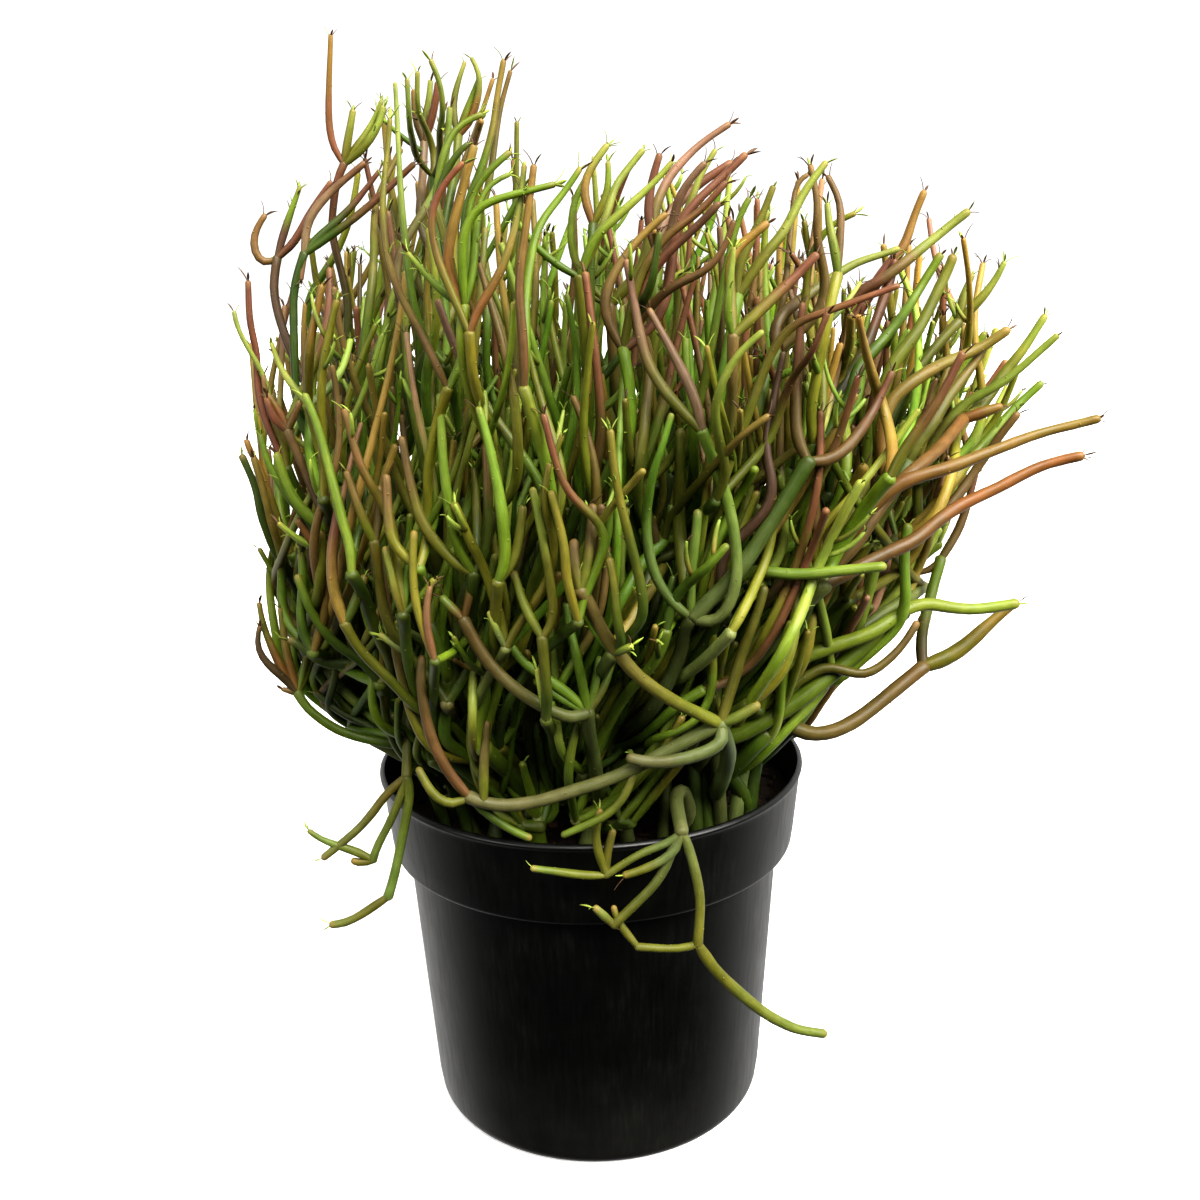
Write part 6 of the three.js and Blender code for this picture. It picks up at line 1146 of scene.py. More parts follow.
y-- 163 155 -667,-1429,3340 -558,-1421,3265 -496,-1416,3241
y-- 161 153 -637,-1609,3518 -585,-1538,3350 -532,-1463,3264 -496,-1416,3241
y-- 151 144 -280,-1627,4800 -328,-1610,4684 -454,-1610,4541
y-- 146 138 -949,-1406,3538 -839,-1391,3441 -705,-1373,3382
y-- 189 180 -700,-1671,3827 -762,-1658,3721 -808,-1660,3679 -862,-1673,3650
b-- 412 278 -463,-919,2523 -453,-874,2452 -484,-805,2375 -541,-722,2289 -610,-639,2192 -675,-565,2080 -732,-499,1880
""",
    "stem_middle_4": """
pBK 217 204 -867,39,6134 -869,41,5990 -828,32,5852
pOY 192 180 -780,89,6186 -798,83,6050 -843,50,5919 -828,32,5852
pRR 221 208 -731,-3,6170 -756,10,6038 -828,32,5852
sBP 238 223 -828,32,5852 -833,-46,5700 -836,-235,5549 -839,-283,5501 -842,-305,5452 -797,-359,5318 -713,-401,5185
pOY 189 178 -584,68,6273 -644,64,6125 -661,55,6045 -660,38,5963 -637,20,5885
pAY 186 175 -543,-31,6284 -505,-22,6219 -499,-12,6143 -544,7,5999 -580,17,5934 -637,20,5885
pOG 215 202 -505,24,6188 -637,20,5885
sDO 239 224 -637,20,5885 -641,-12,5825 -658,-179,5640 -697,-291,5462 -709,-354,5327 -713,-401,5185
pGK 204 192 -347,-375,6240 -395,-382,6039 -417,-403,5901 -487,-439,5698 -576,-458,5498 -594,-448,5347 -617,-436,5282 -713,-401,5185
pOB 184 173 -321,-230,6198 -385,-241,6010 -425,-275,5796 -473,-319,5569 -577,-366,5364 -713,-401,5185
p-- 156 145 -15,-193,5133 -56,-330,4855 -101,-423,4645 -167,-506,4436 -243,-575,4225 -262,-588,4151 -271,-583,4073 -288,-544,3924 -311,-523,3853 -350,-510,3786 -466,-518,3683
p-- 198 184 -628,-535,4402 -784,-536,4029 -879,-528,3720 -926,-517,3400 -899,-481,3084 -923,-487,2925
p-- 191 178 -606,-122,5195 -669,-107,4967 -696,-68,4732 -686,-22,4498 -652,37,4268 -654,64,4110 -661,64,4030 -668,48,3952 -671,15,3878 -669,-32,3812 -648,-151,3705
p-- 169 157 -542,-229,3766 -548,-264,3448 -494,-283,3140 -501,-288,3062 -576,-314,2931
p-- 237 221 -269,-230,3189 -341,-200,2960 -402,-191,2736 -435,-181,2527 -453,-155,2321
p-- 206 191 -513,-124,5564 -517,-125,5323 -502,-140,5163 -455,-190,4931 -390,-270,4712 -378,-292,4635 -387,-306,4556 -415,-317,4481 -506,-352,4351 -654,-461,4192
p-- 208 194 -642,-271,4620 -630,-307,4302 -639,-290,4144 -680,-245,3912 -689,-240,3833 -699,-254,3755 -715,-285,3685 -771,-377,3565
p-- 220 205 -978,-164,5389 -851,-126,5011 -686,-99,4644 -680,-95,4564 -691,-110,4487 -696,-149,4421 -687,-203,4367
p-- 226 210 -776,-8,4592 -765,-83,4453 -745,-144,4308 -691,-197,4078 -644,-213,3923 -638,-219,3843 -646,-199,3767 -648,-151,3705
p-- 238 221 -603,-650,3929 -681,-651,3607 -773,-619,3288 -853,-564,3057 -923,-487,2925
p-- 184 171 -6,-499,5556 -6,-496,5245 -34,-483,5014 -69,-469,4862 -188,-418,4489 -199,-444,4418 -203,-488,4356
p-- 199 185 -610,-411,4187 -594,-443,3885 -550,-448,3499 -527,-439,3347 -492,-414,3197 -482,-395,3122 -494,-371,3049 -576,-314,2931
p-- 183 170 -349,-515,4974 -330,-531,4644 -291,-559,4320 -306,-546,4241 -327,-564,4164
p-- 220 204 -1378,-724,4068 -1327,-536,3726 -1260,-405,3446 -1175,-304,3157 -1061,-223,2875 -993,-210,2742 -901,-206,2624 -659,-171,2437 -453,-155,2321
p-- 239 223 -1068,-146,4549 -1075,-151,4309 -1069,-177,4071 -1048,-230,3837 -1012,-304,3610 -977,-325,3541 -753,-385,3321
p-- 207 193 -221,-458,5547 -211,-570,5165 -232,-616,4930 -269,-648,4695 -301,-652,4539 -355,-628,4307 -355,-601,4231 -327,-564,4164
p-- 206 191 -688,-479,4883 -622,-435,4654 -580,-368,4428 -569,-304,4282 -576,-182,4076 -574,-162,3999 -578,-188,3839 -606,-182,3765 -648,-151,3705
p-- 234 218 -699,118,4202 -764,99,3882 -806,55,3644 -841,-16,3413 -883,-149,3126 -870,-175,3053 -838,-174,2983 -835,-160,2907
p-- 221 206 -687,-422,2764 -628,-365,2629 -513,-282,2442 -372,-152,2195
p-- 181 168 -877,-123,4203 -861,-159,3969 -811,-202,3740 -684,-265,3458 -564,-263,3254
p-- 218 202 -974,-486,4434 -957,-558,4127 -956,-600,3894 -969,-630,3660 -988,-646,3424 -973,-634,3349 -894,-546,3149 -887,-518,3076 -923,-487,2925
p-- 183 170 -348,66,4255 -386,15,3935 -464,-54,3626 -581,-143,3334 -723,-252,3058 -727,-267,2977 -648,-253,2747 -638,-244,2665 -656,-231,2495
p-- 238 221 -966,-595,5507 -940,-615,5206 -926,-614,4975 -913,-591,4666 -902,-556,4442 -879,-539,4372 -829,-519,4319 -707,-480,4242 -654,-461,4192
p-- 196 182 -249,-713,5612 -366,-668,5415 -491,-627,5220 -670,-584,4968 -813,-560,4784 -883,-544,4647 -888,-535,4570 -841,-517,4425 -755,-492,4301 -654,-461,4192
p-- 158 147 -687,-167,3051 -664,-173,2809 -621,-181,2656 -522,-183,2445 -409,-161,2240
p-- 245 228 -273,-272,4344 -315,-308,4102 -397,-334,3870 -476,-344,3725 -675,-348,3460 -704,-357,3382 -753,-385,3321
s-- 277 269 -713,-401,5185 -667,-463,5034 -620,-498,4801 -636,-489,4645 -688,-457,4417 -680,-453,4263 -654,-461,4192
s-- 256 248 -687,-203,4367 -713,-238,4140 -747,-266,3760 -771,-377,3565
s-- 259 252 -203,-488,4356 -321,-503,4143 -451,-499,3843 -467,-498,3763 -466,-518,3683
s-- 321 312 -654,-461,4192 -731,-461,3955 -779,-448,3712 -780,-425,3632 -771,-377,3565
s-- 240 233 -327,-564,4164 -487,-529,3883 -592,-482,3579 -661,-436,3441 -753,-385,3321
s-- 262 255 -648,-151,3705 -702,-135,3549 -762,-123,3310 -798,-132,3149 -835,-160,2907
s-- 284 276 -466,-518,3683 -509,-398,3391 -546,-362,3240 -550,-328,3005 -576,-314,2931
s-- 373 362 -771,-377,3565 -783,-296,3342 -810,-235,3030 -781,-222,2875 -656,-231,2495
s-- 284 275 -753,-385,3321 -756,-422,2992 -743,-411,2747 -730,-391,2670 -656,-231,2495
s-- 214 208 -564,-263,3254 -660,-217,2889 -666,-215,2733 -656,-231,2495
s-- 276 268 -923,-487,2925 -777,-364,2762 -674,-306,2649 -497,-217,2393 -372,-152,2195
s-- 330 320 -576,-314,2931 -574,-243,2788 -545,-189,2639 -491,-167,2484 -453,-155,2321
s-- 304 295 -835,-160,2907 -717,-148,2702 -592,-144,2500 -409,-161,2240
s-- 432 419 -656,-231,2495 -410,-209,2194
s-- 382 371 -453,-155,2321 -409,-161,2240
s-- 443 430 -409,-161,2240 -372,-152,2195
s-- 512 497 -372,-152,2195 -410,-209,2194
s-- 560 543 -410,-209,2194 -348,-165,1952 -339,-156,1869 -332,-153,1530
y-- 203 193 -725,-95,3825 -680,-128,3738 -648,-151,3705
y-- 164 156 -796,-414,4852 -739,-434,4662 -701,-450,4609 -655,-478,4569
y-- 203 193 -344,-452,4446 -359,-470,4322 -354,-492,4262 -345,-521,4207 -327,-564,4164
y-- 206 196 -557,-248,3932 -610,-252,3886 -742,-256,3836
y-- 158 150 -1074,-59,6018 -938,-38,5869 -829,6,5803
y-- 182 173 -784,-66,3757 -676,-142,3627
y-- 197 187 -730,-579,4126 -714,-560,3997 -674,-536,3874 -597,-517,3769 -543,-509,3732
y-- 182 173 -853,-340,4282 -767,-278,4175 -713,-238,4140
y-- 145 138 -872,-437,4125 -806,-343,3972 -737,-254,3912
y-- 178 169 -484,114,4559 -560,-9,4445 -620,-103,4393 -687,-203,4367
y-- 156 148 -796,-306,4524 -732,-248,4405 -687,-203,4367
y-- 181 172 -872,-295,3731 -812,-338,3609 -771,-377,3565
y-- 166 157 -1057,-225,3610 -996,-260,3497 -914,-301,3400 -811,-356,3337 -753,-385,3321
y-- 184 175 -827,-558,4276 -739,-496,4159 -683,-462,4114
b-- 301 378 -453,-155,2321 -453,-146,2270 -494,-118,2217 -562,-77,2158 -641,-32,2092 -714,8,2017 -779,44,1880
b-- 372 212 -564,-263,3254 -569,-225,3086 -508,-166,2916 -406,-95,2735 -288,-24,2533 -177,39,2302 -79,96,1880
""",
    "stem_middle_6": """
pAY 194 182 174,-863,5795 54,-879,5640 52,-892,5540 91,-904,5413
pGY 203 191 460,-1419,5697 366,-1420,5597 97,-1449,5373 64,-1450,5319 50,-1449,5246 20,-1444,5192
pOY 208 195 334,-1281,5756 256,-1291,5669 183,-1323,5574 154,-1366,5456 20,-1444,5192
pOG 194 183 171,-896,5715 174,-901,5599 159,-903,5542 91,-904,5413
pRR 213 201 422,-1002,5743 376,-1003,5603 361,-1015,5491 363,-1025,5414 404,-1050,5260
pPP 209 196 631,-1164,5694 593,-1161,5664 505,-1145,5546 493,-1117,5504 471,-1094,5370 447,-1076,5310 404,-1050,5260
pOY 192 180 695,-966,5756 598,-977,5606 588,-993,5556 536,-1009,5440 404,-1050,5260
pPR 246 231 789,-853,5697 641,-869,5612 549,-901,5540 456,-955,5450 407,-1011,5363 404,-1050,5260
pRR 228 215 805,-1338,5725 722,-1339,5647 586,-1367,5533 501,-1384,5441 469,-1393,5368 427,-1426,5106 399,-1438,5024 350,-1451,4956 216,-1482,4857
pOR 203 191 701,-1475,5603 558,-1484,5456 442,-1488,5387 340,-1491,5268 273,-1492,5120 216,-1482,4857
pBK 229 215 433,-1372,5469 283,-1387,5340 163,-1424,5176 137,-1436,5118 130,-1449,5046 149,-1460,4978 216,-1482,4857
pOG 184 173 820,-1343,5531 766,-1349,5432 690,-1389,5151 630,-1411,4832 559,-1399,4529 447,-1386,4330 225,-1408,4104
p-- 172 160 219,-1130,3504 143,-1021,3312 70,-959,3190 -19,-908,3078 -166,-852,2928 -186,-822,2868 -173,-787,2808 -174,-764,2743 -201,-753,2669
p-- 230 214 73,-724,3599 22,-743,3368 8,-753,3133 33,-751,2900 82,-738,2681 66,-649,2471 48,-557,2264
p-- 236 220 357,-902,3111 316,-811,2888 272,-753,2743 146,-641,2467 48,-557,2264
p-- 222 207 48,-1557,5225 81,-1600,4904 106,-1580,4583 89,-1538,4349 16,-1397,4075 5,-1383,3996 -8,-1418,3839
p-- 225 210 -78,-1249,4246 -112,-1150,3951 -164,-1082,3731 -218,-1037,3591 -361,-949,3325 -368,-920,3253 -320,-828,3043 -317,-797,2971 -353,-739,2829
p-- 232 216 207,-1307,4223 191,-1245,3991 176,-1220,3832 146,-1208,3592 96,-1232,3278 85,-1227,3199 72,-1204,3126 35,-1114,3012 -17,-1002,2919 -120,-842,2776 -201,-753,2669
p-- 227 211 645,-931,4236 535,-965,3944 421,-968,3737 280,-953,3547 125,-911,3370 -24,-862,3190 -58,-845,3119 -142,-781,2815 -201,-753,2669
p-- 202 188 109,-1136,4711 135,-1123,4556 143,-1094,4401 124,-1044,4253 73,-942,4044 65,-919,3969 61,-928,3891 60,-965,3821
p-- 243 226 -77,-1181,3242 -75,-1122,3018 -80,-1101,2870 -124,-1088,2733 -148,-1065,2665 -164,-935,2489 -160,-763,2253
p-- 181 168 360,-1089,3130 353,-1015,2913 302,-915,2710 218,-791,2528 48,-557,2264
p-- 175 163 70,-1465,4958 57,-1467,4711 30,-1453,4549 -11,-1428,4391 -67,-1393,4240 -81,-1360,4166 -113,-1352,4092
p-- 204 190 -44,-1330,5112 -3,-1338,4874 -5,-1355,4633 -70,-1383,4320 -91,-1339,4168 -113,-1352,4092
p-- 173 161 62,-865,3975 -43,-821,3666 -215,-778,3297 -297,-745,2983 -353,-739,2829
p-- 177 164 -500,-948,2816 -404,-807,2647 -243,-627,2447 -109,-509,2293
p-- 206 192 -340,-1437,5360 -256,-1394,5053 -152,-1324,4671 -92,-1273,4444 -26,-1213,4218 -30,-1187,4143 -11,-1175,4065
p-- 212 197 294,-861,4488 287,-923,4262 246,-992,4042 144,-1091,3766 8,-1185,3513 -25,-1184,3445 -46,-1151,3381 -84,-1053,3272 -125,-1030,3212 -181,-1034,3153
p-- 231 215 459,-967,4003 452,-1070,3624 419,-1076,3475 362,-1065,3329 287,-1049,3193 252,-1026,3126 213,-984,3072 164,-935,3036 35,-857,2999
p-- 218 203 99,-1675,4169 77,-1645,3937 64,-1598,3786 42,-1535,3641 -14,-1408,3369 -41,-1329,3243 -75,-1284,3191 -134,-1255,3155
p-- 196 182 292,-1132,4941 272,-1153,4706 223,-1173,4475 144,-1192,4253 11,-1224,3976 6,-1257,3907 37,-1331,3777
p-- 208 193 44,-777,5146 52,-873,4843 23,-947,4620 -74,-1071,4255 -166,-1129,4045 -179,-1124,3967 -184,-1139,3892
p-- 223 207 -27,-891,3008 -83,-731,2660 -107,-622,2459 -129,-511,2258
p-- 233 217 261,-563,3672 218,-543,3292 159,-542,3069 59,-536,2789 9,-522,2659 -38,-483,2458 -80,-436,2257
p-- 195 181 8,-674,2603 9,-501,2224
p-- 226 210 574,-1258,5192 506,-1274,4961 464,-1299,4807 407,-1358,4582 334,-1423,4373 303,-1434,4304 242,-1396,4173 225,-1408,4104
p-- 193 180 259,-460,4026 92,-514,3751 -2,-573,3533 -67,-648,3310 -91,-761,3011 -100,-755,2933 -137,-679,2802 -188,-622,2672
p-- 234 217 164,-1533,4403 149,-1539,4104 101,-1524,3882 35,-1496,3748 -46,-1460,3623 -117,-1402,3497 -148,-1312,3377 -150,-1277,3307 -134,-1255,3155
p-- 215 200 -104,-905,3472 -140,-879,3165 -210,-886,2875 -268,-883,2684 -252,-792,2494 -175,-707,2233
p-- 157 146 50,-1288,2967 9,-1120,2799 -44,-947,2635 -84,-720,2415 -127,-488,2204
p-- 213 198 -39,-1298,4779 -116,-1201,4479 -148,-1114,4254 -135,-1018,4032 -80,-915,3818 -76,-883,3744 -89,-861,3668 -136,-863,3514 -153,-883,3437 -161,-941,3287
p-- 213 198 -468,-726,2822 -295,-729,2631 -251,-734,2563 -193,-748,2412 -160,-763,2253
p-- 238 222 88,-480,3004 70,-491,2690 40,-497,2457 9,-501,2224
p-- 183 170 537,-598,4158 487,-644,3932 454,-700,3790 409,-825,3600 372,-976,3441 351,-994,3373 323,-978,3307 208,-875,3148 155,-852,3097 35,-857,2999
p-- 226 210 -25,-1530,4660 32,-1558,4516 71,-1584,4367 83,-1595,4212 73,-1584,4056 54,-1535,3906 45,-1479,3845 37,-1331,3777
p-- 237 221 -189,-473,5135 -134,-607,4854 -88,-718,4650 -34,-844,4459 36,-1025,4224 43,-1063,4158 31,-1074,4085 -2,-1021,3949 15,-989,3882 60,-965,3821
p-- 232 216 79,-1788,5018 38,-1679,4718 17,-1615,4485 26,-1577,4328 84,-1535,4097 91,-1501,4028 74,-1450,3969 37,-1418,3905 -8,-1418,3839
s-- 225 218 91,-904,5413 83,-948,5338 76,-966,5261 65,-979,4876 103,-990,4648 198,-1015,4352
s-- 285 276 404,-1050,5260 395,-1111,5188 382,-1159,5039 372,-1161,4888 346,-1125,4585 332,-1110,4511 297,-1085,4447 198,-1015,4352
s-- 265 257 216,-1482,4857 242,-1532,4712 249,-1544,4562 246,-1538,4488 183,-1477,4191 136,-1385,3981 76,-1339,3844 37,-1331,3777
s-- 241 234 20,-1444,5192 33,-1418,4969 47,-1361,4743 50,-1299,4515 43,-1277,4439 -22,-1206,4220 -27,-1188,4142 -11,-1175,4065
s-- 330 321 198,-1015,4352 149,-989,4122 90,-958,3894 60,-965,3821
s-- 262 255 225,-1408,4104 272,-1190,3768 251,-1042,3507
s-- 280 271 -11,-1175,4065 -71,-1173,3923 -144,-1137,3707 -161,-1111,3637 -177,-1041,3498 -161,-941,3287
s-- 241 234 -184,-1139,3892 -219,-991,3622 -256,-834,3270 -312,-780,3054 -353,-739,2829
s-- 281 272 -8,-1418,3839 -62,-1241,3572 -105,-1114,3368 -154,-1041,3231 -181,-1034,3153
s-- 237 230 -113,-1352,4092 -193,-1213,3828 -234,-1114,3621 -230,-1048,3483 -161,-941,3287
s-- 308 298 37,-1331,3777 -9,-1162,3598 -43,-1069,3463 -115,-995,3333 -161,-941,3287
s-- 383 372 60,-965,3821 -49,-867,3458 -150,-761,3098 -174,-716,2955 -188,-622,2672
s-- 287 278 251,-1042,3507 89,-866,3213 67,-852,3143 35,-857,2999
s-- 357 346 -161,-941,3287 -307,-881,3014 -333,-846,2948 -353,-739,2829
s-- 271 263 -134,-1255,3155 -232,-1092,3006 -282,-970,2905 -302,-915,2848 -318,-840,2697 -314,-805,2621 -263,-718,2496 -109,-509,2293
s-- 325 316 -181,-1034,3153 -242,-882,2975 -262,-780,2850 -258,-731,2784 -226,-684,2719 -188,-622,2672
s-- 333 323 35,-857,2999 -50,-703,2741 -61,-559,2462 -80,-436,2257
s-- 414 402 -353,-739,2829 -273,-640,2632 -188,-542,2438 -80,-436,2257
s-- 269 261 -201,-753,2669 -165,-633,2464 -129,-511,2258
s-- 445 431 -188,-622,2672 -123,-515,2481 -50,-408,2200
s-- 302 293 -109,-509,2293 -69,-403,2138
s-- 282 274 -160,-763,2253 -175,-707,2233
s-- 274 266 48,-557,2264 9,-501,2224
s-- 327 318 -175,-707,2233 -87,-420,2076
s-- 480 466 -80,-436,2257 -50,-408,2200
s-- 312 303 -129,-511,2258 -127,-488,2204
s-- 331 321 -127,-488,2204 -69,-403,2138
s-- 318 309 9,-501,2224 -50,-408,2200
s-- 557 540 -50,-408,2200 -69,-403,2138
s-- 560 543 -69,-403,2138 -87,-420,2076
s-- 560 543 -87,-420,2076 -70,-357,1847 -69,-352,1527
y-- 176 168 -199,-1068,4063 -189,-1100,3941 -184,-1139,3892
y-- 211 200 530,-1171,5196 492,-1159,5156 388,-1144,5114
y-- 202 192 519,-948,5379 446,-1005,5285 404,-1050,5260
y-- 169 161 -259,-1447,5451 -193,-1429,5339 -148,-1425,5290 -40,-1433,5216 20,-1444,5192
y-- 173 164 85,-1356,4069 48,-1357,3942 24,-1380,3884 -8,-1418,3839
y-- 206 195 380,-1265,5388 394,-1169,5305 404,-1050,5260
y-- 190 180 243,-1010,4583 248,-1052,4397
y-- 201 191 276,-989,4913 198,-987,4735 103,-990,4648
y-- 182 173 -79,-817,4040 -45,-844,3909 -23,-870,3849 35,-946,3749
y-- 189 180 -174,-1133,3432 -174,-1052,3339 -161,-941,3287
y-- 188 179 278,-1340,4763 199,-1298,4607 158,-1290,4563 50,-1299,4515
y-- 208 197 -341,-900,3559 -295,-896,3377 -238,-914,3267 -201,-931,3219
y-- 150 143 9,-1205,4400 89,-1089,4258 167,-998,4198
""",
    "stem_middle_3": """
pOP 250 235 800,-625,5889 639,-636,5789 496,-688,5654 458,-709,5600 405,-750,5478 356,-802,5261 327,-816,5188 166,-843,5013
pOG 198 186 170,-740,5794 14,-779,5564 -10,-793,5497 -23,-818,5344 -13,-827,5265 13,-833,5194 55,-838,5128 166,-843,5013
p-- 157 146 678,-549,5356 741,-552,5125 763,-514,4890 725,-405,4592 677,-342,4452 608,-306,4314 571,-312,4242 540,-338,4173 500,-431,4047
p-- 187 174 529,-872,4828 448,-851,4526 381,-815,4303 309,-756,4088 237,-698,3875 236,-656,3811
p-- 210 195 810,-368,5431 851,-412,5124 847,-424,4967 826,-429,4811 763,-421,4585 660,-393,4376 595,-356,4238 562,-356,4167 530,-384,4102 500,-431,4047
p-- 208 193 -147,-714,5387 -179,-660,5075 -184,-619,4759 -170,-588,4523 -120,-547,4132 -129,-510,4065 -146,-448,4016
p-- 205 191 371,-820,5185 363,-791,4947 374,-746,4631 405,-691,4318 449,-623,4009 445,-614,3929 388,-603,3780 349,-582,3713 311,-541,3653 262,-415,3563
p-- 241 224 -424,-765,3450 -386,-702,3303 -371,-624,3161 -379,-534,3027 -416,-390,2842 -401,-315,2712 -367,-292,2648 -155,-246,2422
p-- 210 195 -496,-507,5206 -375,-562,4908 -270,-602,4603 -199,-666,4292 -168,-705,4054 -182,-689,3895 -205,-628,3748 -206,-587,3680 -175,-500,3555 -107,-422,3446
p-- 159 148 619,-359,5544 600,-359,5220 567,-376,4980 519,-407,4743 438,-468,4433 423,-470,4353 439,-445,4195 500,-431,4047
p-- 205 190 238,-189,5501 140,-205,5205 77,-230,4899 69,-256,4666 96,-283,4435 24,-253,4218 32,-255,4142 68,-268,4074
p-- 236 220 611,-328,5103 599,-405,4716 608,-470,4414 614,-512,4195 587,-501,4128 500,-431,4047
p-- 237 220 -9,-592,4026 -7,-580,3783 -34,-574,3623 -85,-568,3468 -190,-560,3249 -214,-469,3024 -274,-423,2881
p-- 187 174 193,-585,5146 137,-510,4933 90,-481,4788 6,-476,4572 -96,-512,4367 -115,-500,4294 -106,-437,4157 -116,-430,4083 -146,-448,4016
p-- 240 223 382,-796,3904 196,-739,3649 35,-671,3380 -95,-590,3100 -162,-517,2886 -185,-459,2744 -178,-424,2676 -99,-243,2426 -43,-80,2258
p-- 201 187 170,-438,5411 210,-485,5177 256,-529,4944 309,-569,4712 361,-599,4479 343,-592,4401 305,-592,4331 267,-615,4264 239,-658,4201
p-- 200 186 53,-438,3634 -6,-521,3423 -59,-542,3278 -124,-524,3137 -274,-423,2881
p-- 202 188 585,-376,4602 416,-427,4342 247,-484,4084 17,-524,3766 -16,-529,3695 -32,-508,3543 -59,-471,3484 -107,-422,3446
p-- 234 218 453,-692,5444 433,-679,5205 407,-675,4966 360,-685,4649 321,-699,4412 282,-656,4264 239,-658,4201
p-- 199 185 -62,-640,5020 -78,-602,4792 -101,-545,4569 -114,-402,4222 -118,-392,4147 -146,-448,4016
p-- 199 185 420,-267,4363 295,-240,4064 188,-224,3845 67,-211,3633 -110,-201,3364 -162,-204,3211 -189,-218,3051 -270,-250,2822
p-- 228 212 102,-332,5695 115,-279,5463 115,-270,5305 93,-314,4992 57,-331,4841 56,-324,4762 83,-303,4691 134,-273,4633
p-- 241 224 498,-228,5422 417,-204,5192 348,-202,5046 223,-217,4841 196,-224,4767 176,-242,4692 134,-273,4633
p-- 197 183 321,4,3567 276,-16,3261 233,-41,3034 177,-70,2816 124,-89,2681 27,-113,2489 -75,-134,2300
p-- 232 216 398,-630,4786 369,-667,4401 325,-683,4094 313,-674,4018 300,-647,3948 273,-637,3876 236,-656,3811
p-- 175 163 710,-987,5397 731,-942,5075 733,-893,4920 729,-824,4772 703,-637,4506 687,-603,4434 586,-577,4213 550,-548,4147 521,-497,4091 500,-431,4047
p-- 196 182 25,-67,3405 -5,-83,3005 -39,-101,2614 -67,-109,2230
p-- 160 149 -57,-419,2731 -22,-260,2449 7,-136,2239
s-- 290 282 166,-843,5013 179,-823,4788 185,-780,4562 193,-736,4414 239,-658,4201
s-- 280 271 134,-273,4633 136,-243,4470 118,-214,4222 97,-228,4143 68,-268,4074
s-- 274 266 500,-431,4047 401,-348,3747 361,-354,3676 262,-415,3563
s-- 337 327 239,-658,4201 197,-584,3820 207,-548,3750 262,-415,3563
s-- 274 266 396,-570,4014 329,-467,3641 338,-455,3562
s-- 324 315 68,-268,4074 20,-300,3854 -29,-321,3635 -107,-422,3446
s-- 241 234 -146,-448,4016 -179,-339,3795 -201,-261,3560 -204,-243,3480 -191,-241,3399 -163,-250,3322
s-- 376 365 -107,-422,3446 -159,-407,3284 -235,-368,3044 -254,-337,2968 -270,-250,2822
s-- 269 261 236,-656,3811 182,-538,3515 134,-486,3370 62,-426,3239 8,-328,3123
s-- 315 305 338,-455,3562 238,-358,3265 141,-295,3050 43,-239,2837 -26,-176,2532 -75,-134,2300
s-- 391 379 262,-415,3563 141,-368,3382 37,-315,3192 8,-328,3123
s-- 280 271 -163,-250,3322 -256,-224,2990 -270,-250,2822
s-- 442 429 8,-328,3123 -86,-280,2909 -119,-248,2760 -113,-215,2607 -75,-134,2300
s-- 437 424 -270,-250,2822 -221,-184,2685 -142,-108,2475 -43,-80,2258
s-- 275 267 -274,-423,2881 -203,-327,2617 -155,-246,2422
s-- 513 497 -75,-134,2300 -67,-109,2230
s-- 319 309 -155,-246,2422 7,-136,2239
s-- 470 456 -43,-80,2258 -55,-91,2166
s-- 528 513 -67,-109,2230 -55,-91,2166
s-- 338 328 7,-136,2239 -39,-95,2101
s-- 560 543 -55,-91,2166 -39,-95,2101
s-- 560 543 -39,-95,2101 -28,-85,1938 -29,-85,1528
y-- 175 166 15,-841,5110 55,-839,5064 166,-843,5013
y-- 196 186 -94,-261,3622 -96,-265,3486 -76,-276,3352 -14,-300,3234 37,-315,3192
y-- 209 199 429,-354,4441 346,-340,4334 253,-311,4241 150,-261,4167 97,-228,4143
y-- 172 163 145,-712,5103 166,-843,5013
b-- 312 315 -155,-246,2422 -136,-231,2369 -153,-237,2307 -194,-258,2234 -246,-286,2149 -297,-313,2052 -340,-337,1880
""",
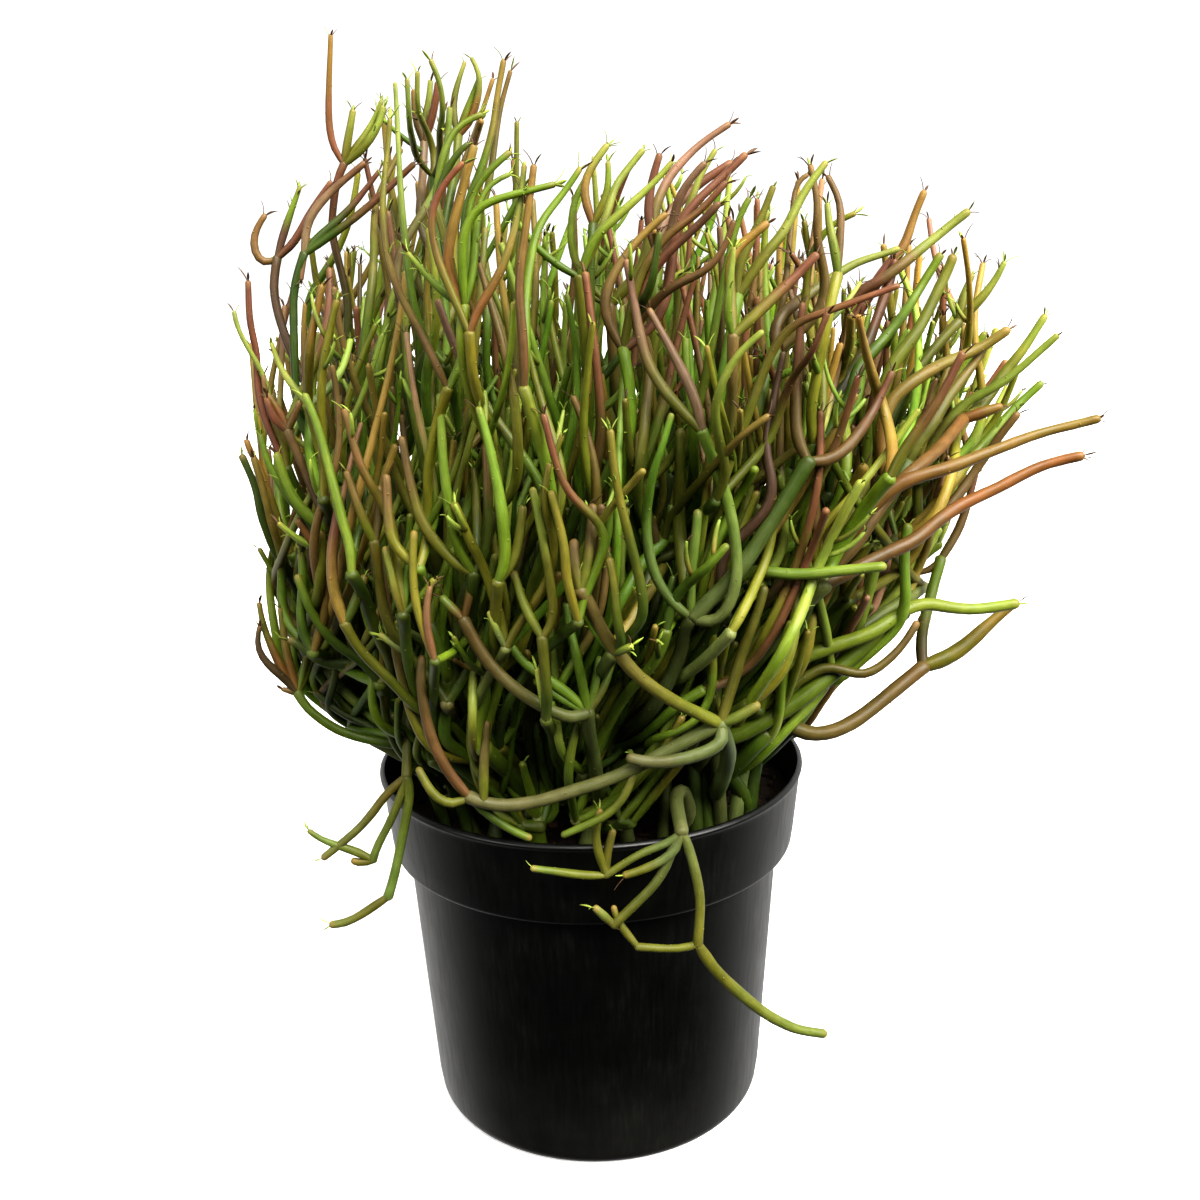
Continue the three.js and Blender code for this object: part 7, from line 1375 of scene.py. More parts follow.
    "stem_front_1": """
pRM 198 186 662,-1554,5513 573,-1545,5421 416,-1515,5288 368,-1500,5228 311,-1473,5109 285,-1480,4970
pOO 201 189 913,-1478,5581 846,-1486,5416 758,-1506,5248 739,-1513,5171 746,-1520,5096
pBB 195 184 714,-1668,5436 675,-1665,5320 602,-1647,5222 474,-1599,5168 405,-1559,5120 349,-1516,5062 285,-1480,4970
pGY 171 160 700,-1812,5329 671,-1803,5050 675,-1794,4991 700,-1783,4939
pOK 198 186 872,-1647,5423 716,-1658,5306 692,-1675,5245 700,-1783,4939
pOY 203 191 1159,-1434,5680 1048,-1440,5536 960,-1481,5369 870,-1504,5275 746,-1520,5096
pOR 200 188 1083,-1707,5287 1002,-1711,5204 700,-1783,4939
pMM 229 215 984,-1361,4822 928,-1404,4584 892,-1457,4427 890,-1477,4347 924,-1497,4199 913,-1497,4125 880,-1494,4060 697,-1477,3875 671,-1481,3814 678,-1513,3668
pOY 210 197 820,-1911,4972 701,-1904,4864 625,-1875,4703 613,-1840,4610 629,-1787,4513 679,-1656,4321 674,-1607,4230 641,-1576,4146
pDD 214 201 384,-1697,5397 364,-1692,5279 344,-1665,5156 290,-1507,5054 272,-1482,5010 285,-1480,4970
pOR 192 181 1121,-1779,5034 1076,-1766,4908 1054,-1743,4842 1015,-1584,4753 990,-1507,4674 967,-1481,4604 934,-1457,4471 904,-1457,4408 856,-1467,4345 717,-1526,4218 641,-1576,4146
pOR 197 185 1454,-1694,5138 1123,-1639,5020 1060,-1591,4995 997,-1568,4963 942,-1555,4909 903,-1547,4840 846,-1542,4692 716,-1550,4344 641,-1576,4146
pVV 239 225 1483,-1491,3785 1096,-1409,3732 939,-1366,3731 864,-1342,3745 796,-1330,3729 744,-1331,3687 713,-1339,3632 711,-1364,3521
pOY 205 192 -220,-1756,4274 -180,-1783,4056 -136,-1788,3685 -150,-1785,3610 -199,-1774,3550
pOO 207 195 -328,-1689,3863 -280,-1732,3700 -199,-1774,3550
sDO 241 227 -199,-1774,3550 -184,-1740,3228 -192,-1696,3194 -200,-1670,3152 -199,-1676,3097
pDO 218 205 142,-1927,4563 163,-1935,4333 210,-1931,4104 262,-1920,3872 282,-1906,3719 272,-1887,3657 192,-1779,3530 161,-1762,3496 135,-1768,3461
pDO 204 192 126,-1858,3959 149,-1879,3832 158,-1881,3635 182,-1835,3542 183,-1801,3519 168,-1774,3497 135,-1768,3461
pOK 208 196 1166,-1347,4412 1033,-1329,4333 913,-1311,4227 753,-1289,4134 684,-1283,4073 529,-1275,3854 446,-1275,3808 348,-1274,3783
pOK 191 180 862,-1834,4591 733,-1804,4491 542,-1485,4190 483,-1391,4095 429,-1334,4008 421,-1301,3954 400,-1301,3881
pDG 222 209 685,-1726,3974 588,-1724,3861 505,-1594,3753 446,-1545,3672 420,-1541,3608 397,-1559,3497
p-- 160 149 557,-1258,4613 602,-1297,4306 655,-1264,4084 673,-1268,4002 678,-1318,3754 658,-1318,3674 617,-1303,3602 563,-1284,3544 386,-1240,3405 347,-1222,3347 323,-1186,3220
p-- 230 214 217,-1722,4665 227,-1635,4464 240,-1569,4351 297,-1380,4108 334,-1315,4011 363,-1305,3946 391,-1345,3851 389,-1323,3819 348,-1274,3783
p-- 208 194 665,-1619,4585 610,-1530,4359 603,-1472,4110 571,-1367,3827 548,-1321,3636 512,-1353,3563 452,-1440,3527 397,-1559,3497
p-- 223 207 505,-1171,2663 364,-1080,2437 224,-994,2216
p-- 187 174 856,-1443,4164 772,-1421,3951 725,-1451,3819 696,-1454,3758 667,-1437,3698 507,-1272,3411 470,-1250,3352 360,-1227,3255 323,-1186,3220
p-- 203 189 620,-1242,3350 468,-1248,2975 351,-1208,2746 183,-1065,2477 74,-977,2311 -1,-949,2262 -76,-912,2236
p-- 236 220 511,-1430,4905 509,-1480,4755 525,-1506,4598 537,-1499,4513 546,-1471,4423 557,-1342,4223 544,-1243,4111 507,-1142,4011 456,-1083,3939 408,-1094,3883 372,-1163,3831 348,-1274,3783
p-- 211 196 696,-1071,3073 510,-1081,2726 336,-1053,2481 167,-1018,2245
p-- 214 199 873,-1355,4080 788,-1336,3862 652,-1293,3581 576,-1263,3449 416,-1171,3212 267,-1094,3068 157,-941,2896 109,-902,2821 -11,-881,2635
p-- 195 182 121,-1451,3919 102,-1495,3677 63,-1508,3522 -121,-1496,3234 -176,-1447,3121 -190,-1497,3089 -199,-1676,3097
p-- 180 167 346,-1594,3545 311,-1432,3286 287,-1326,3144 255,-1194,3002 158,-905,2761 118,-821,2674 107,-821,2609 92,-912,2460 103,-944,2319 54,-954,2270 -76,-912,2236
p-- 230 213 1333,-1385,4616 1142,-1351,4262 1025,-1315,4040 977,-1317,3972 926,-1345,3915 818,-1441,3835 760,-1461,3800 710,-1455,3767 684,-1464,3720 678,-1513,3668
p-- 186 173 671,-1215,4358 679,-1243,4124 667,-1248,3966 568,-1245,3749 468,-1203,3542 385,-1180,3417 353,-1178,3351 323,-1186,3220
p-- 233 216 365,-936,2732 320,-849,2529 292,-748,2246
p-- 195 181 792,-1427,4993 797,-1390,4594 817,-1356,4438 850,-1299,4287 854,-1279,4208 841,-1284,4129 816,-1305,4053 715,-1376,3851 681,-1451,3724 678,-1513,3668
p-- 170 158 -59,-1083,2762 -33,-1050,2689 36,-1012,2546 112,-1007,2402 167,-1018,2245
p-- 213 198 261,-1701,3761 193,-1549,3579 121,-1395,3393 86,-1345,3307 54,-1340,3234 -54,-1406,2975 -98,-1427,2784 -109,-1418,2720 -113,-1381,2659 -100,-1186,2456 -86,-1040,2305 -84,-1029,2254
p-- 181 168 580,-1810,4906 613,-1802,4740 635,-1783,4653 664,-1741,4563 696,-1671,4465 725,-1571,4359 740,-1458,4249 738,-1368,4147 721,-1327,4069 673,-1299,3998 613,-1248,3938 519,-1122,3871 475,-1129,3869 434,-1196,3878 400,-1301,3881
p-- 188 175 657,-1314,3072 609,-1224,2859 526,-1132,2660 359,-1028,2418 180,-942,2177
p-- 193 179 767,-584,3189 578,-730,2885 464,-795,2703 370,-838,2512 258,-874,2252
p-- 197 183 221,-1458,4102 199,-1479,3959 181,-1467,3807 189,-1425,3630 211,-1363,3381 207,-1294,3220 200,-1170,3047 202,-1009,2881 216,-873,2737 223,-824,2639 203,-856,2601 176,-902,2582 102,-996,2576 -28,-1125,2579
p-- 178 165 735,-1287,4260 718,-1299,4078 651,-1409,3845 627,-1437,3680 642,-1413,3307 642,-1365,3095 618,-1345,3001 573,-1352,2938 517,-1368,2905 461,-1372,2888 411,-1350,2872 372,-1302,2847 325,-1158,2769 308,-987,2660
p-- 205 191 -188,-1436,3624 -162,-1420,3384 -153,-1468,3064 -156,-1462,2895 -143,-1422,2817 -28,-1125,2579
p-- 209 194 218,-1299,5050 212,-1445,4674 187,-1557,4461 176,-1663,4244 171,-1712,4089 167,-1722,4005 161,-1724,3916 153,-1693,3808 133,-1568,3582 102,-1523,3491 10,-1453,3347 -8,-1449,3303 -19,-1425,3206
p-- 213 198 1164,-1375,4537 1156,-1428,4227 1125,-1417,4041 1067,-1304,3741 1039,-1307,3660 967,-1361,3530 932,-1370,3468 903,-1353,3404 845,-1232,3194 811,-1217,3144 751,-1237,3119 588,-1363,3118
p-- 181 169 447,-1409,3743 398,-1439,3576 337,-1401,3395 289,-1328,3278 223,-1228,3176 182,-1191,3117 104,-1153,2974 78,-1124,2903 70,-1080,2837 31,-1038,2786
p-- 182 169 1164,-1602,4102 1130,-1363,3828 1104,-1327,3743 996,-1384,3507 956,-1382,3421 912,-1357,3334 814,-1267,3176 751,-1248,3125 672,-1292,3113 588,-1363,3118
p-- 234 218 357,-1420,3326 269,-1257,3125 228,-1169,3009 189,-1065,2885 113,-867,2689 77,-863,2649 42,-930,2579 17,-964,2492 -34,-953,2364 -76,-912,2236
p-- 198 184 727,-1839,4622 750,-1590,4404 754,-1450,4289 742,-1341,4176 709,-1307,4077 633,-1370,3903 609,-1383,3809 583,-1376,3716 542,-1368,3641 493,-1385,3586 453,-1407,3544 428,-1437,3522 397,-1559,3497
p-- 230 214 902,-1289,4809 977,-1222,4629 997,-1206,4549 998,-1204,4472 982,-1228,4311 989,-1330,4079 1004,-1345,4002 1012,-1333,3920 1006,-1304,3835 980,-1272,3752 929,-1263,3684 864,-1317,3636 801,-1419,3596 702,-1682,3520
p-- 195 182 774,-1267,3344 620,-1209,3092 436,-1191,2845 350,-1156,2726 322,-1114,2667 235,-881,2462 201,-829,2413 151,-792,2365 22,-758,2271
p-- 191 178 289,-1490,3730 195,-1321,3477 162,-1243,3340 128,-1133,3130 124,-966,2860 94,-923,2787 -11,-881,2635
p-- 199 185 494,-887,3433 431,-895,3128 355,-883,2910 296,-847,2772 198,-758,2575 77,-728,2395 -35,-692,2210
p-- 201 187 219,-1171,2719 237,-1017,2486 258,-874,2252
p-- 214 199 761,-1608,4876 820,-1484,4619 861,-1365,4444 891,-1317,4355 922,-1299,4267 938,-1314,4181 943,-1377,4004 939,-1395,3914 917,-1399,3827 876,-1430,3753 784,-1640,3650 753,-1687,3605 702,-1682,3520
p-- 226 211 837,-1516,4295 801,-1422,4191 757,-1362,4094 706,-1371,4013 624,-1448,3842 600,-1452,3740 584,-1425,3632 561,-1381,3528 521,-1337,3437 423,-1286,3281 350,-1261,3132 321,-1233,3060 293,-1176,2997 223,-1008,2891 173,-935,2833 94,-834,2706 82,-816,2651 84,-850,2617 79,-909,2597 59,-982,2589 -28,-1125,2579
p-- 203 189 171,-1154,3832 233,-1191,3530 263,-1219,3215 276,-1206,3136 320,-1139,2971 330,-1075,2876 322,-1012,2777 308,-987,2660
p-- 231 215 483,-928,2711 415,-848,2508 292,-748,2246
p-- 226 210 493,-1343,2977 427,-1318,2831 338,-1260,2680 198,-1096,2451 105,-1006,2334 58,-993,2299 11,-998,2278 -84,-1029,2254
s-- 248 240 285,-1480,4970 332,-1443,4882 346,-1443,4791 331,-1475,4692 304,-1582,4485 289,-1599,4377 275,-1561,4262 272,-1475,4142 289,-1376,4032 325,-1314,3950 366,-1292,3903 400,-1301,3881
s-- 236 229 746,-1520,5096 728,-1562,5021 697,-1594,4867 669,-1587,4710 646,-1550,4549 631,-1473,4376 610,-1337,4181 581,-1246,4080 530,-1157,3986 465,-1113,3906 400,-1162,3842 348,-1274,3783
s-- 232 225 700,-1783,4939 701,-1743,4765 703,-1704,4672 698,-1569,4469 688,-1521,4360 671,-1527,4256 641,-1576,4146
s-- 270 261 641,-1576,4146 569,-1295,4002 541,-1176,3937 506,-1107,3877 463,-1120,3821 327,-1428,3667 276,-1500,3613 183,-1579,3511 154,-1636,3474 135,-1768,3461
s-- 274 266 348,-1274,3783 309,-1383,3675 268,-1456,3557 236,-1504,3503 187,-1600,3469 135,-1768,3461
s-- 288 279 400,-1301,3881 336,-1334,3843 281,-1396,3793 237,-1459,3729 197,-1496,3663 156,-1501,3598 121,-1483,3532 46,-1412,3333 13,-1406,3272 -19,-1425,3206
s-- 266 258 678,-1513,3668 665,-1461,3569 616,-1402,3400 546,-1330,3260 409,-1143,2983 351,-1059,2827 308,-987,2660
s-- 277 269 711,-1364,3521 607,-1291,3400 434,-1239,3236 203,-1117,3045 106,-1079,2919 31,-1038,2786
s-- 318 309 135,-1768,3461 101,-1558,3337 71,-1442,3246 45,-1386,3179 -20,-1328,3012 -40,-1265,2898 -62,-1127,2732 -95,-1004,2648
s-- 267 259 702,-1682,3520 595,-1514,3337 484,-1338,3184 356,-1173,3076 285,-1112,3026 213,-1072,2970 155,-1053,2903 114,-1050,2827 48,-1075,2688 -28,-1125,2579
s-- 258 250 397,-1559,3497 379,-1535,3401 337,-1517,3317 210,-1347,3110 133,-1253,2953 51,-1177,2771 -28,-1125,2579
s-- 330 320 -19,-1425,3206 -81,-1258,3039 -147,-1099,2867 -146,-1046,2807 -121,-1010,2737 -95,-1004,2648
s-- 247 239 588,-1363,3118 470,-1321,3028 418,-1278,2964 321,-1129,2807 209,-915,2648 155,-849,2602 105,-819,2580 62,-823,2583 -11,-881,2635
s-- 217 211 323,-1186,3220 200,-1150,3111 93,-1110,2989 -35,-1033,2794 -73,-1027,2725 -95,-1004,2648
s-- 310 300 -28,-1125,2579 -55,-955,2448 -72,-735,2261
s-- 309 300 308,-987,2660 180,-936,2521 98,-887,2428 35,-818,2328 -38,-718,2158
s-- 280 271 -199,-1676,3097 -183,-1430,2946 -178,-1304,2839 -173,-1180,2684 -157,-1103,2616 -125,-1021,2519 -72,-735,2261
s-- 310 300 31,-1038,2786 6,-914,2561 22,-758,2271
s-- 383 372 -95,-1004,2648 -85,-849,2431 -72,-735,2261
s-- 286 278 -11,-881,2635 -11,-799,2460 -35,-692,2210
s-- 343 332 22,-758,2271 -76,-912,2236
s-- 262 254 -84,-1029,2254 -76,-912,2236
s-- 445 431 -72,-735,2261 -35,-692,2210
s-- 397 386 -76,-912,2236 -38,-718,2158
s-- 512 496 -35,-692,2210 -38,-718,2158
s-- 560 543 -38,-718,2158 -20,-713,2098
s-- 233 226 258,-874,2252 180,-942,2177
s-- 270 262 180,-942,2177 -20,-713,2098
s-- 270 262 292,-748,2246 -20,-713,2098
s-- 244 237 167,-1018,2245 224,-994,2216
s-- 283 275 224,-994,2216 -11,-721,2043
s-- 560 543 -20,-713,2098 -11,-721,2043
s-- 560 543 -11,-721,2043 -42,-657,1896 -42,-641,1487
y-- 173 165 -233,-1708,3379 -213,-1706,3237 -199,-1676,3097
y-- 148 140 350,-1743,3514 349,-1643,3427 362,-1531,3358
y-- 176 167 833,-1243,3663 789,-1265,3604 747,-1303,3552 711,-1364,3521
y-- 202 192 -6,-1791,3687 55,-1778,3568 135,-1768,3461
y-- 201 191 225,-1888,3538 166,-1814,3474 135,-1768,3461
b-- 381 306 308,-987,2660 262,-935,2583 248,-842,2492 257,-725,2387 279,-604,2265 303,-496,2126 324,-399,1880
b-- 340 274 711,-1364,3521 624,-1288,3375 599,-1187,3199 618,-1075,2988 661,-965,2735 710,-868,2434 750,-780,1880
""",
    "stem_right_front_1": """
pBB 151 142 1185,-706,5633 1140,-703,5623 1117,-707,5581 1090,-762,5365 1053,-841,5063 990,-886,4768 997,-900,4665
pBB 211 198 1129,-1118,5674 1170,-1126,5489 1162,-1119,5364 1212,-1092,5178 1222,-1081,5085 1205,-1077,5005 1164,-1074,4939 987,-1063,4784
pOG 163 153 1351,-1136,5444 1221,-1108,5381 1147,-1078,5246 1132,-1066,5162 1126,-1065,5000 1099,-1067,4921 987,-1063,4784
pBY 245 231 1640,-799,5262 1539,-790,5226 1431,-792,5202 1330,-809,5146 1179,-858,5052 1125,-894,5024 1017,-1003,4959 982,-1026,4913 971,-1047,4848 987,-1063,4784
pDR 288 271 1732,-254,5188 1708,-272,5061 1655,-316,4944 1542,-463,4711 1424,-559,4556 1280,-684,4366 1187,-724,4251 1120,-757,4104
pDG 260 244 1963,-351,5213 1870,-360,5064 1800,-405,4964 1656,-601,4835 1566,-659,4752 1477,-696,4670 1440,-709,4621 1433,-748,4557 1408,-764,4490 1226,-832,4229 1160,-859,4090
p-- 183 170 1176,-900,4661 1169,-872,4419 1140,-808,4170 1125,-814,4092 1108,-880,3856 1072,-900,3700 995,-942,3475 956,-940,3404 905,-912,3348 801,-805,3294 709,-677,3264
p-- 226 210 903,-911,5054 916,-871,4814 910,-826,4656 856,-671,4283 826,-628,4131 807,-625,4053 763,-665,3904 696,-801,3718
p-- 188 175 590,-735,2678 445,-580,2463 261,-380,2203
p-- 205 191 876,-891,4754 890,-825,4429 878,-820,4265 851,-832,4103 829,-817,4028 813,-773,3962
p-- 168 157 1004,-446,3237 787,-493,3008 566,-517,2780 455,-480,2673 388,-467,2632
p-- 193 179 1090,-762,5071 1141,-834,4846 1164,-837,4693 1183,-781,4464 1181,-709,4316 1158,-687,4242 1124,-707,4174 1120,-757,4104
p-- 189 176 467,-452,2646 383,-418,2398 291,-378,2153
p-- 181 169 490,-977,5265 564,-1011,4950 628,-1039,4633 668,-1055,4393 696,-1062,4151 683,-1046,4073 587,-947,3871 573,-925,3793 584,-921,3714 613,-933,3639
p-- 194 180 643,-1041,5052 644,-1029,4890 662,-1008,4730 703,-976,4574 764,-945,4424 780,-928,4263
p-- 208 193 950,-668,5197 942,-748,4969 954,-820,4738 1004,-928,4352 1017,-938,4192 997,-906,4037 930,-857,3902 824,-819,3797 696,-801,3718
p-- 201 187 1004,-960,3051 891,-851,2882 754,-676,2664 656,-547,2504 475,-346,2240
p-- 227 212 1313,-1277,4971 1388,-866,4807 1409,-696,4734 1409,-572,4666 1395,-513,4599 1387,-539,4528 1384,-887,4302 1374,-951,4225 1366,-981,4149 1347,-982,3997 1310,-973,3927 1186,-975,3821 968,-1011,3712
p-- 181 169 1368,-936,5046 1375,-791,4879 1373,-655,4715 1370,-613,4637 1359,-607,4563 1336,-651,4494 1300,-745,4430 1209,-1001,4309 1158,-1078,4244 1109,-1097,4183 1068,-1083,4128 1002,-1018,4015 979,-988,3948 965,-973,3870 962,-982,3790 968,-1011,3712
p-- 197 183 1601,-277,4922 1563,-299,4793 1554,-345,4716 1545,-424,4632 1484,-622,4470 1328,-849,4271 1279,-882,4208 1160,-859,4090
p-- 185 172 823,-864,3801 820,-816,3569 815,-763,3338 760,-712,3030 730,-702,2955 674,-696,2897 552,-707,2799
p-- 203 188 1004,-282,2994 785,-351,2678 608,-350,2427 475,-346,2240
p-- 192 178 732,-508,2639 604,-427,2440 475,-346,2240
p-- 157 146 1569,-1090,4240 1513,-1016,4015 1446,-984,3872 1301,-966,3679 1066,-968,3457 988,-937,3318 914,-881,3185 862,-846,3133 797,-811,3100 644,-754,3089
p-- 191 178 1300,-1347,4048 1206,-1214,3865 1120,-1154,3739 928,-1068,3485 725,-1011,3233 701,-980,3160 698,-937,3086 697,-836,2947 672,-782,2883 620,-738,2833 552,-707,2799
p-- 197 183 558,-615,3493 500,-610,3188 424,-578,2887 360,-553,2672 306,-498,2468 261,-380,2203
p-- 194 180 856,-821,3500 816,-754,3109 735,-680,2813 671,-632,2680 592,-577,2557 424,-465,2323 291,-378,2153
p-- 243 226 1251,-735,5009 1279,-737,4767 1279,-720,4605 1236,-656,4370 1213,-644,4296 1173,-652,4230 1137,-691,4165 1120,-757,4104
p-- 200 186 1076,-474,3953 978,-528,3834 882,-564,3707 751,-575,3499 607,-522,3211 583,-500,3136 549,-430,2904 527,-422,2826 490,-427,2753 388,-467,2632
p-- 194 180 912,-835,5522 911,-839,5278 888,-859,5037 799,-932,4649 747,-914,4500 737,-902,4420 750,-907,4339 780,-928,4263
p-- 237 221 848,-1105,4978 803,-1059,4744 756,-1012,4510 712,-943,4281 669,-871,4056 630,-818,3832 621,-839,3760 613,-933,3639
p-- 198 184 990,-562,5460 979,-560,5223 983,-614,4992 993,-733,4776 994,-804,4716 997,-900,4665
s-- 285 276 987,-1063,4784 945,-1098,4719 889,-1173,4572 870,-1197,4495 832,-1199,4342 773,-1165,4112 724,-1110,3882 678,-1038,3744 613,-933,3639
s-- 230 223 997,-900,4665 980,-820,4497 933,-768,4257 887,-750,4102 854,-752,4029 813,-773,3962
s-- 225 218 780,-928,4263 659,-896,3912 660,-872,3843 696,-801,3718
s-- 302 293 1160,-859,4090 1122,-881,4036 1052,-875,3915 898,-775,3584 730,-705,3332 709,-677,3264
s-- 334 324 1120,-757,4104 923,-760,3761 800,-723,3561 741,-692,3418 709,-677,3264
s-- 266 258 813,-773,3962 807,-709,3812 778,-633,3580 763,-624,3500 709,-677,3264
s-- 262 254 696,-801,3718 580,-767,3495 476,-723,3273 380,-638,2972 310,-620,2826
s-- 281 272 968,-1011,3712 824,-877,3442 710,-785,3238 670,-762,3168 644,-754,3089
s-- 330 320 613,-933,3639 531,-836,3357 451,-733,3078 395,-676,2946 310,-620,2826
s-- 388 376 709,-677,3264 491,-654,3004 310,-620,2826
s-- 303 294 644,-754,3089 519,-703,2905 455,-655,2777 370,-530,2515 282,-393,2258
s-- 450 436 310,-620,2826 269,-481,2553 269,-430,2409 282,-393,2258
s-- 222 215 552,-707,2799 474,-607,2616 395,-502,2431 282,-393,2258
s-- 232 225 388,-467,2632 282,-393,2258
s-- 522 506 282,-393,2258 261,-380,2203
s-- 551 534 261,-380,2203 291,-378,2153
s-- 235 228 475,-346,2240 291,-378,2153
s-- 560 543 291,-378,2153 233,-320,1940 219,-318,1863 215,-312,1552
y-- 184 175 1173,-1215,4812 1136,-1202,4758 1036,-1169,4679 913,-1134,4647
y-- 200 190 851,-1237,3911 875,-1154,3811 897,-1107,3769 968,-1011,3712
y-- 198 188 615,-977,4501 677,-954,4367 780,-928,4263
y-- 212 202 663,-579,3445 686,-635,3316 709,-677,3264
y-- 205 195 911,-1009,4770 959,-940,4686 997,-900,4665
y-- 166 158 857,-866,4076 770,-870,3978 659,-896,3912
b-- 352 230 388,-467,2632 349,-424,2540 288,-345,2447 214,-245,2348 139,-141,2238 73,-48,2111 13,36,1880
b-- 317 220 552,-707,2799 512,-677,2699 479,-684,2589 451,-716,2466 429,-760,2327 412,-804,2167 396,-841,1880
b-- 340 300 644,-754,3089 585,-740,2972 560,-752,2840 558,-780,2686 571,-816,2503 587,-850,2286 600,-880,1880
b-- 340 384 709,-677,3264 634,-678,3134 603,-695,2984 605,-720,2807 625,-749,2597 650,-776,2346 670,-800,1880
b-- 340 220 552,-707,2799 531,-673,2709 537,-660,2608 562,-663,2491 596,-675,2353 630,-689,2188 660,-700,1880
""",
    "stem_right_front_3": """
pBB 161 151 1180,-1313,5620 1233,-1330,5523 1245,-1342,5470 1225,-1399,5171
pGY 182 171 1173,-1371,5500 1181,-1380,5404 1220,-1399,5248 1225,-1399,5171
pOR 226 213 1794,-1545,4822 1694,-1537,4606 1537,-1503,4347 1477,-1503,4221
pOY 266 250 2528,-404,4881 2422,-401,4700 2335,-405,4590 2290,-423,4532 2196,-469,4419 2134,-528,4373 2052,-609,4353
pAK 273 257 2642,-1028,4410 2521,-1007,4376 2322,-1018,4333 2046,-1076,4248 1834,-1133,4187 1624,-1162,4138 1502,-1178,4047 1387,-1186,3934 1277,-1200,3757 1196,-1224,3646
pBA 277 260 2581,-1009,4218 2463,-988,4189 2337,-988,4152 2149,-1015,4062 1953,-1045,3983 1821,-1105,3917 1701,-1155,3832 1632,-1200,3811 1500,-1234,3766 1200,-1365,3661
pAK 263 247 2257,-632,4425 2052,-609,4353
sBA 279 262 2052,-609,4353 1996,-706,4330 1857,-888,4242 1711,-1034,4177 1624,-1090,4124 1497,-1156,3987 1361,-1216,3800 1196,-1224,3646
pBR 193 181 2214,-328,4002 2125,-395,3720 2005,-456,3537
sMG 246 232 2005,-456,3537 1889,-593,3192 1870,-653,3050 1877,-686,2980
pBB 164 154 1857,-454,3460 1913,-466,3459 1967,-468,3485 2005,-456,3537
pOK 333 313 2404,-573,3305 2297,-578,3221 2074,-646,3048 1877,-686,2980
pGV 289 271 2352,-827,3381 2232,-814,3359 2104,-824,3350 1973,-845,3368 1845,-866,3405 1778,-877,3401 1649,-919,3346 1524,-975,3278 1196,-1002,3179 1130,-1008,3143 1026,-1016,3063 986,-1019,3012 918,-1025,2881
pGG 367 345 1748,-843,3373 1566,-878,3229 1384,-912,3082 1131,-966,2899 824,-992,2728 679,-959,2673
sWB 353 331 1877,-686,2980 1682,-763,2855 1487,-838,2731 1344,-874,2676 1268,-885,2667 1199,-856,2661 1066,-820,2734 991,-811,2741 920,-811,2721 867,-820,2681 825,-831,2635 727,-738,2452 532,-574,2258
pOB 210 198 1777,-938,3328 1698,-967,3206 1592,-993,3108 1532,-1002,3070 1467,-1006,3046 1310,-974,3097 1240,-972,3081 918,-1025,2881
pGV 229 215 1702,-943,3868 1679,-980,3653 1696,-990,3499 1680,-927,3307 1579,-885,3179 1426,-864,3028 1360,-870,2969 1164,-904,2968 918,-1025,2881
pWG 364 342 991,-946,2727 914,-962,2646 883,-906,2581 810,-847,2474 704,-657,2271 592,-616,2124 581,-690,2184
p-- 210 195 1149,-1113,3717 1085,-1183,3491 1053,-1192,3319 1042,-1173,3223 1030,-1103,3017 1025,-982,2741 1007,-935,2674 973,-897,2628 931,-872,2600 766,-684,2334 581,-690,2184
p-- 215 200 1103,-1266,3838 1157,-1232,3679 1212,-1174,3509 1263,-1077,3330 1331,-864,3025 1333,-825,2940 1307,-820,2895 1184,-888,2814 1136,-900,2772 1016,-915,2631 884,-814,2455 790,-713,2356 723,-666,2313 580,-626,2254
p-- 165 153 646,-1371,3794 628,-1327,3399 627,-1297,3246 646,-1256,3099 692,-1210,2958 724,-1131,2808 712,-1074,2737 672,-1019,2691 584,-925,2649 557,-865,2620
p-- 236 219 1346,-1511,4219 1265,-1451,4028 1170,-1327,3744 1146,-1338,3676 1116,-1397,3626 1050,-1547,3546 1016,-1597,3494 981,-1613,3429 920,-1568,3293 822,-1401,3051
p-- 232 215 540,-1146,3667 471,-1066,3447 451,-985,3221 488,-904,3002 613,-791,2681 583,-741,2551
p-- 239 223 1443,-1045,3985 1308,-1082,3781 1155,-1114,3592 932,-1171,3366 751,-1180,3214 718,-1175,3148 711,-1155,3085 720,-1032,2926 695,-934,2810 662,-896,2745 557,-865,2620
p-- 244 227 1069,-724,3799 1069,-774,3486 1058,-831,3254 1041,-890,3022 1043,-900,2862 1025,-885,2717 996,-865,2660 874,-752,2507 784,-688,2414 532,-574,2258
p-- 226 210 1275,-1674,5007 1355,-1452,4821 1453,-1206,4637 1497,-1129,4554 1519,-1142,4488 1527,-1369,4335 1507,-1423,4274 1477,-1503,4221
p-- 236 219 1419,-1211,4236 1341,-1097,4040 1266,-1050,3814 1223,-1052,3660 1204,-1067,3585 1161,-1163,3304 1151,-1173,3233 1134,-1161,3162 1110,-1122,3099 1079,-1070,3046 1039,-1020,3004 984,-983,2967 843,-946,2877 780,-940,2818 679,-959,2673
p-- 188 175 1141,-1263,3397 1111,-1204,3223 1079,-1118,3039 1041,-1007,2852 1005,-948,2772 904,-854,2633 722,-689,2346 668,-692,2284 569,-753,2169
p-- 186 173 999,-1203,3261 882,-1110,2983 832,-1025,2848 816,-971,2766 795,-934,2680 761,-925,2615 719,-928,2580 649,-781,2414 580,-626,2254
p-- 182 170 715,-1539,3509 691,-1411,3309 679,-1298,3191 686,-1171,3009 677,-1069,2910 675,-971,2791 657,-929,2726 615,-894,2667 557,-865,2620
p-- 190 177 1283,-1193,4840 1203,-1197,4532 1166,-1212,4297 1168,-1259,3911 1201,-1264,3771 1196,-1224,3646
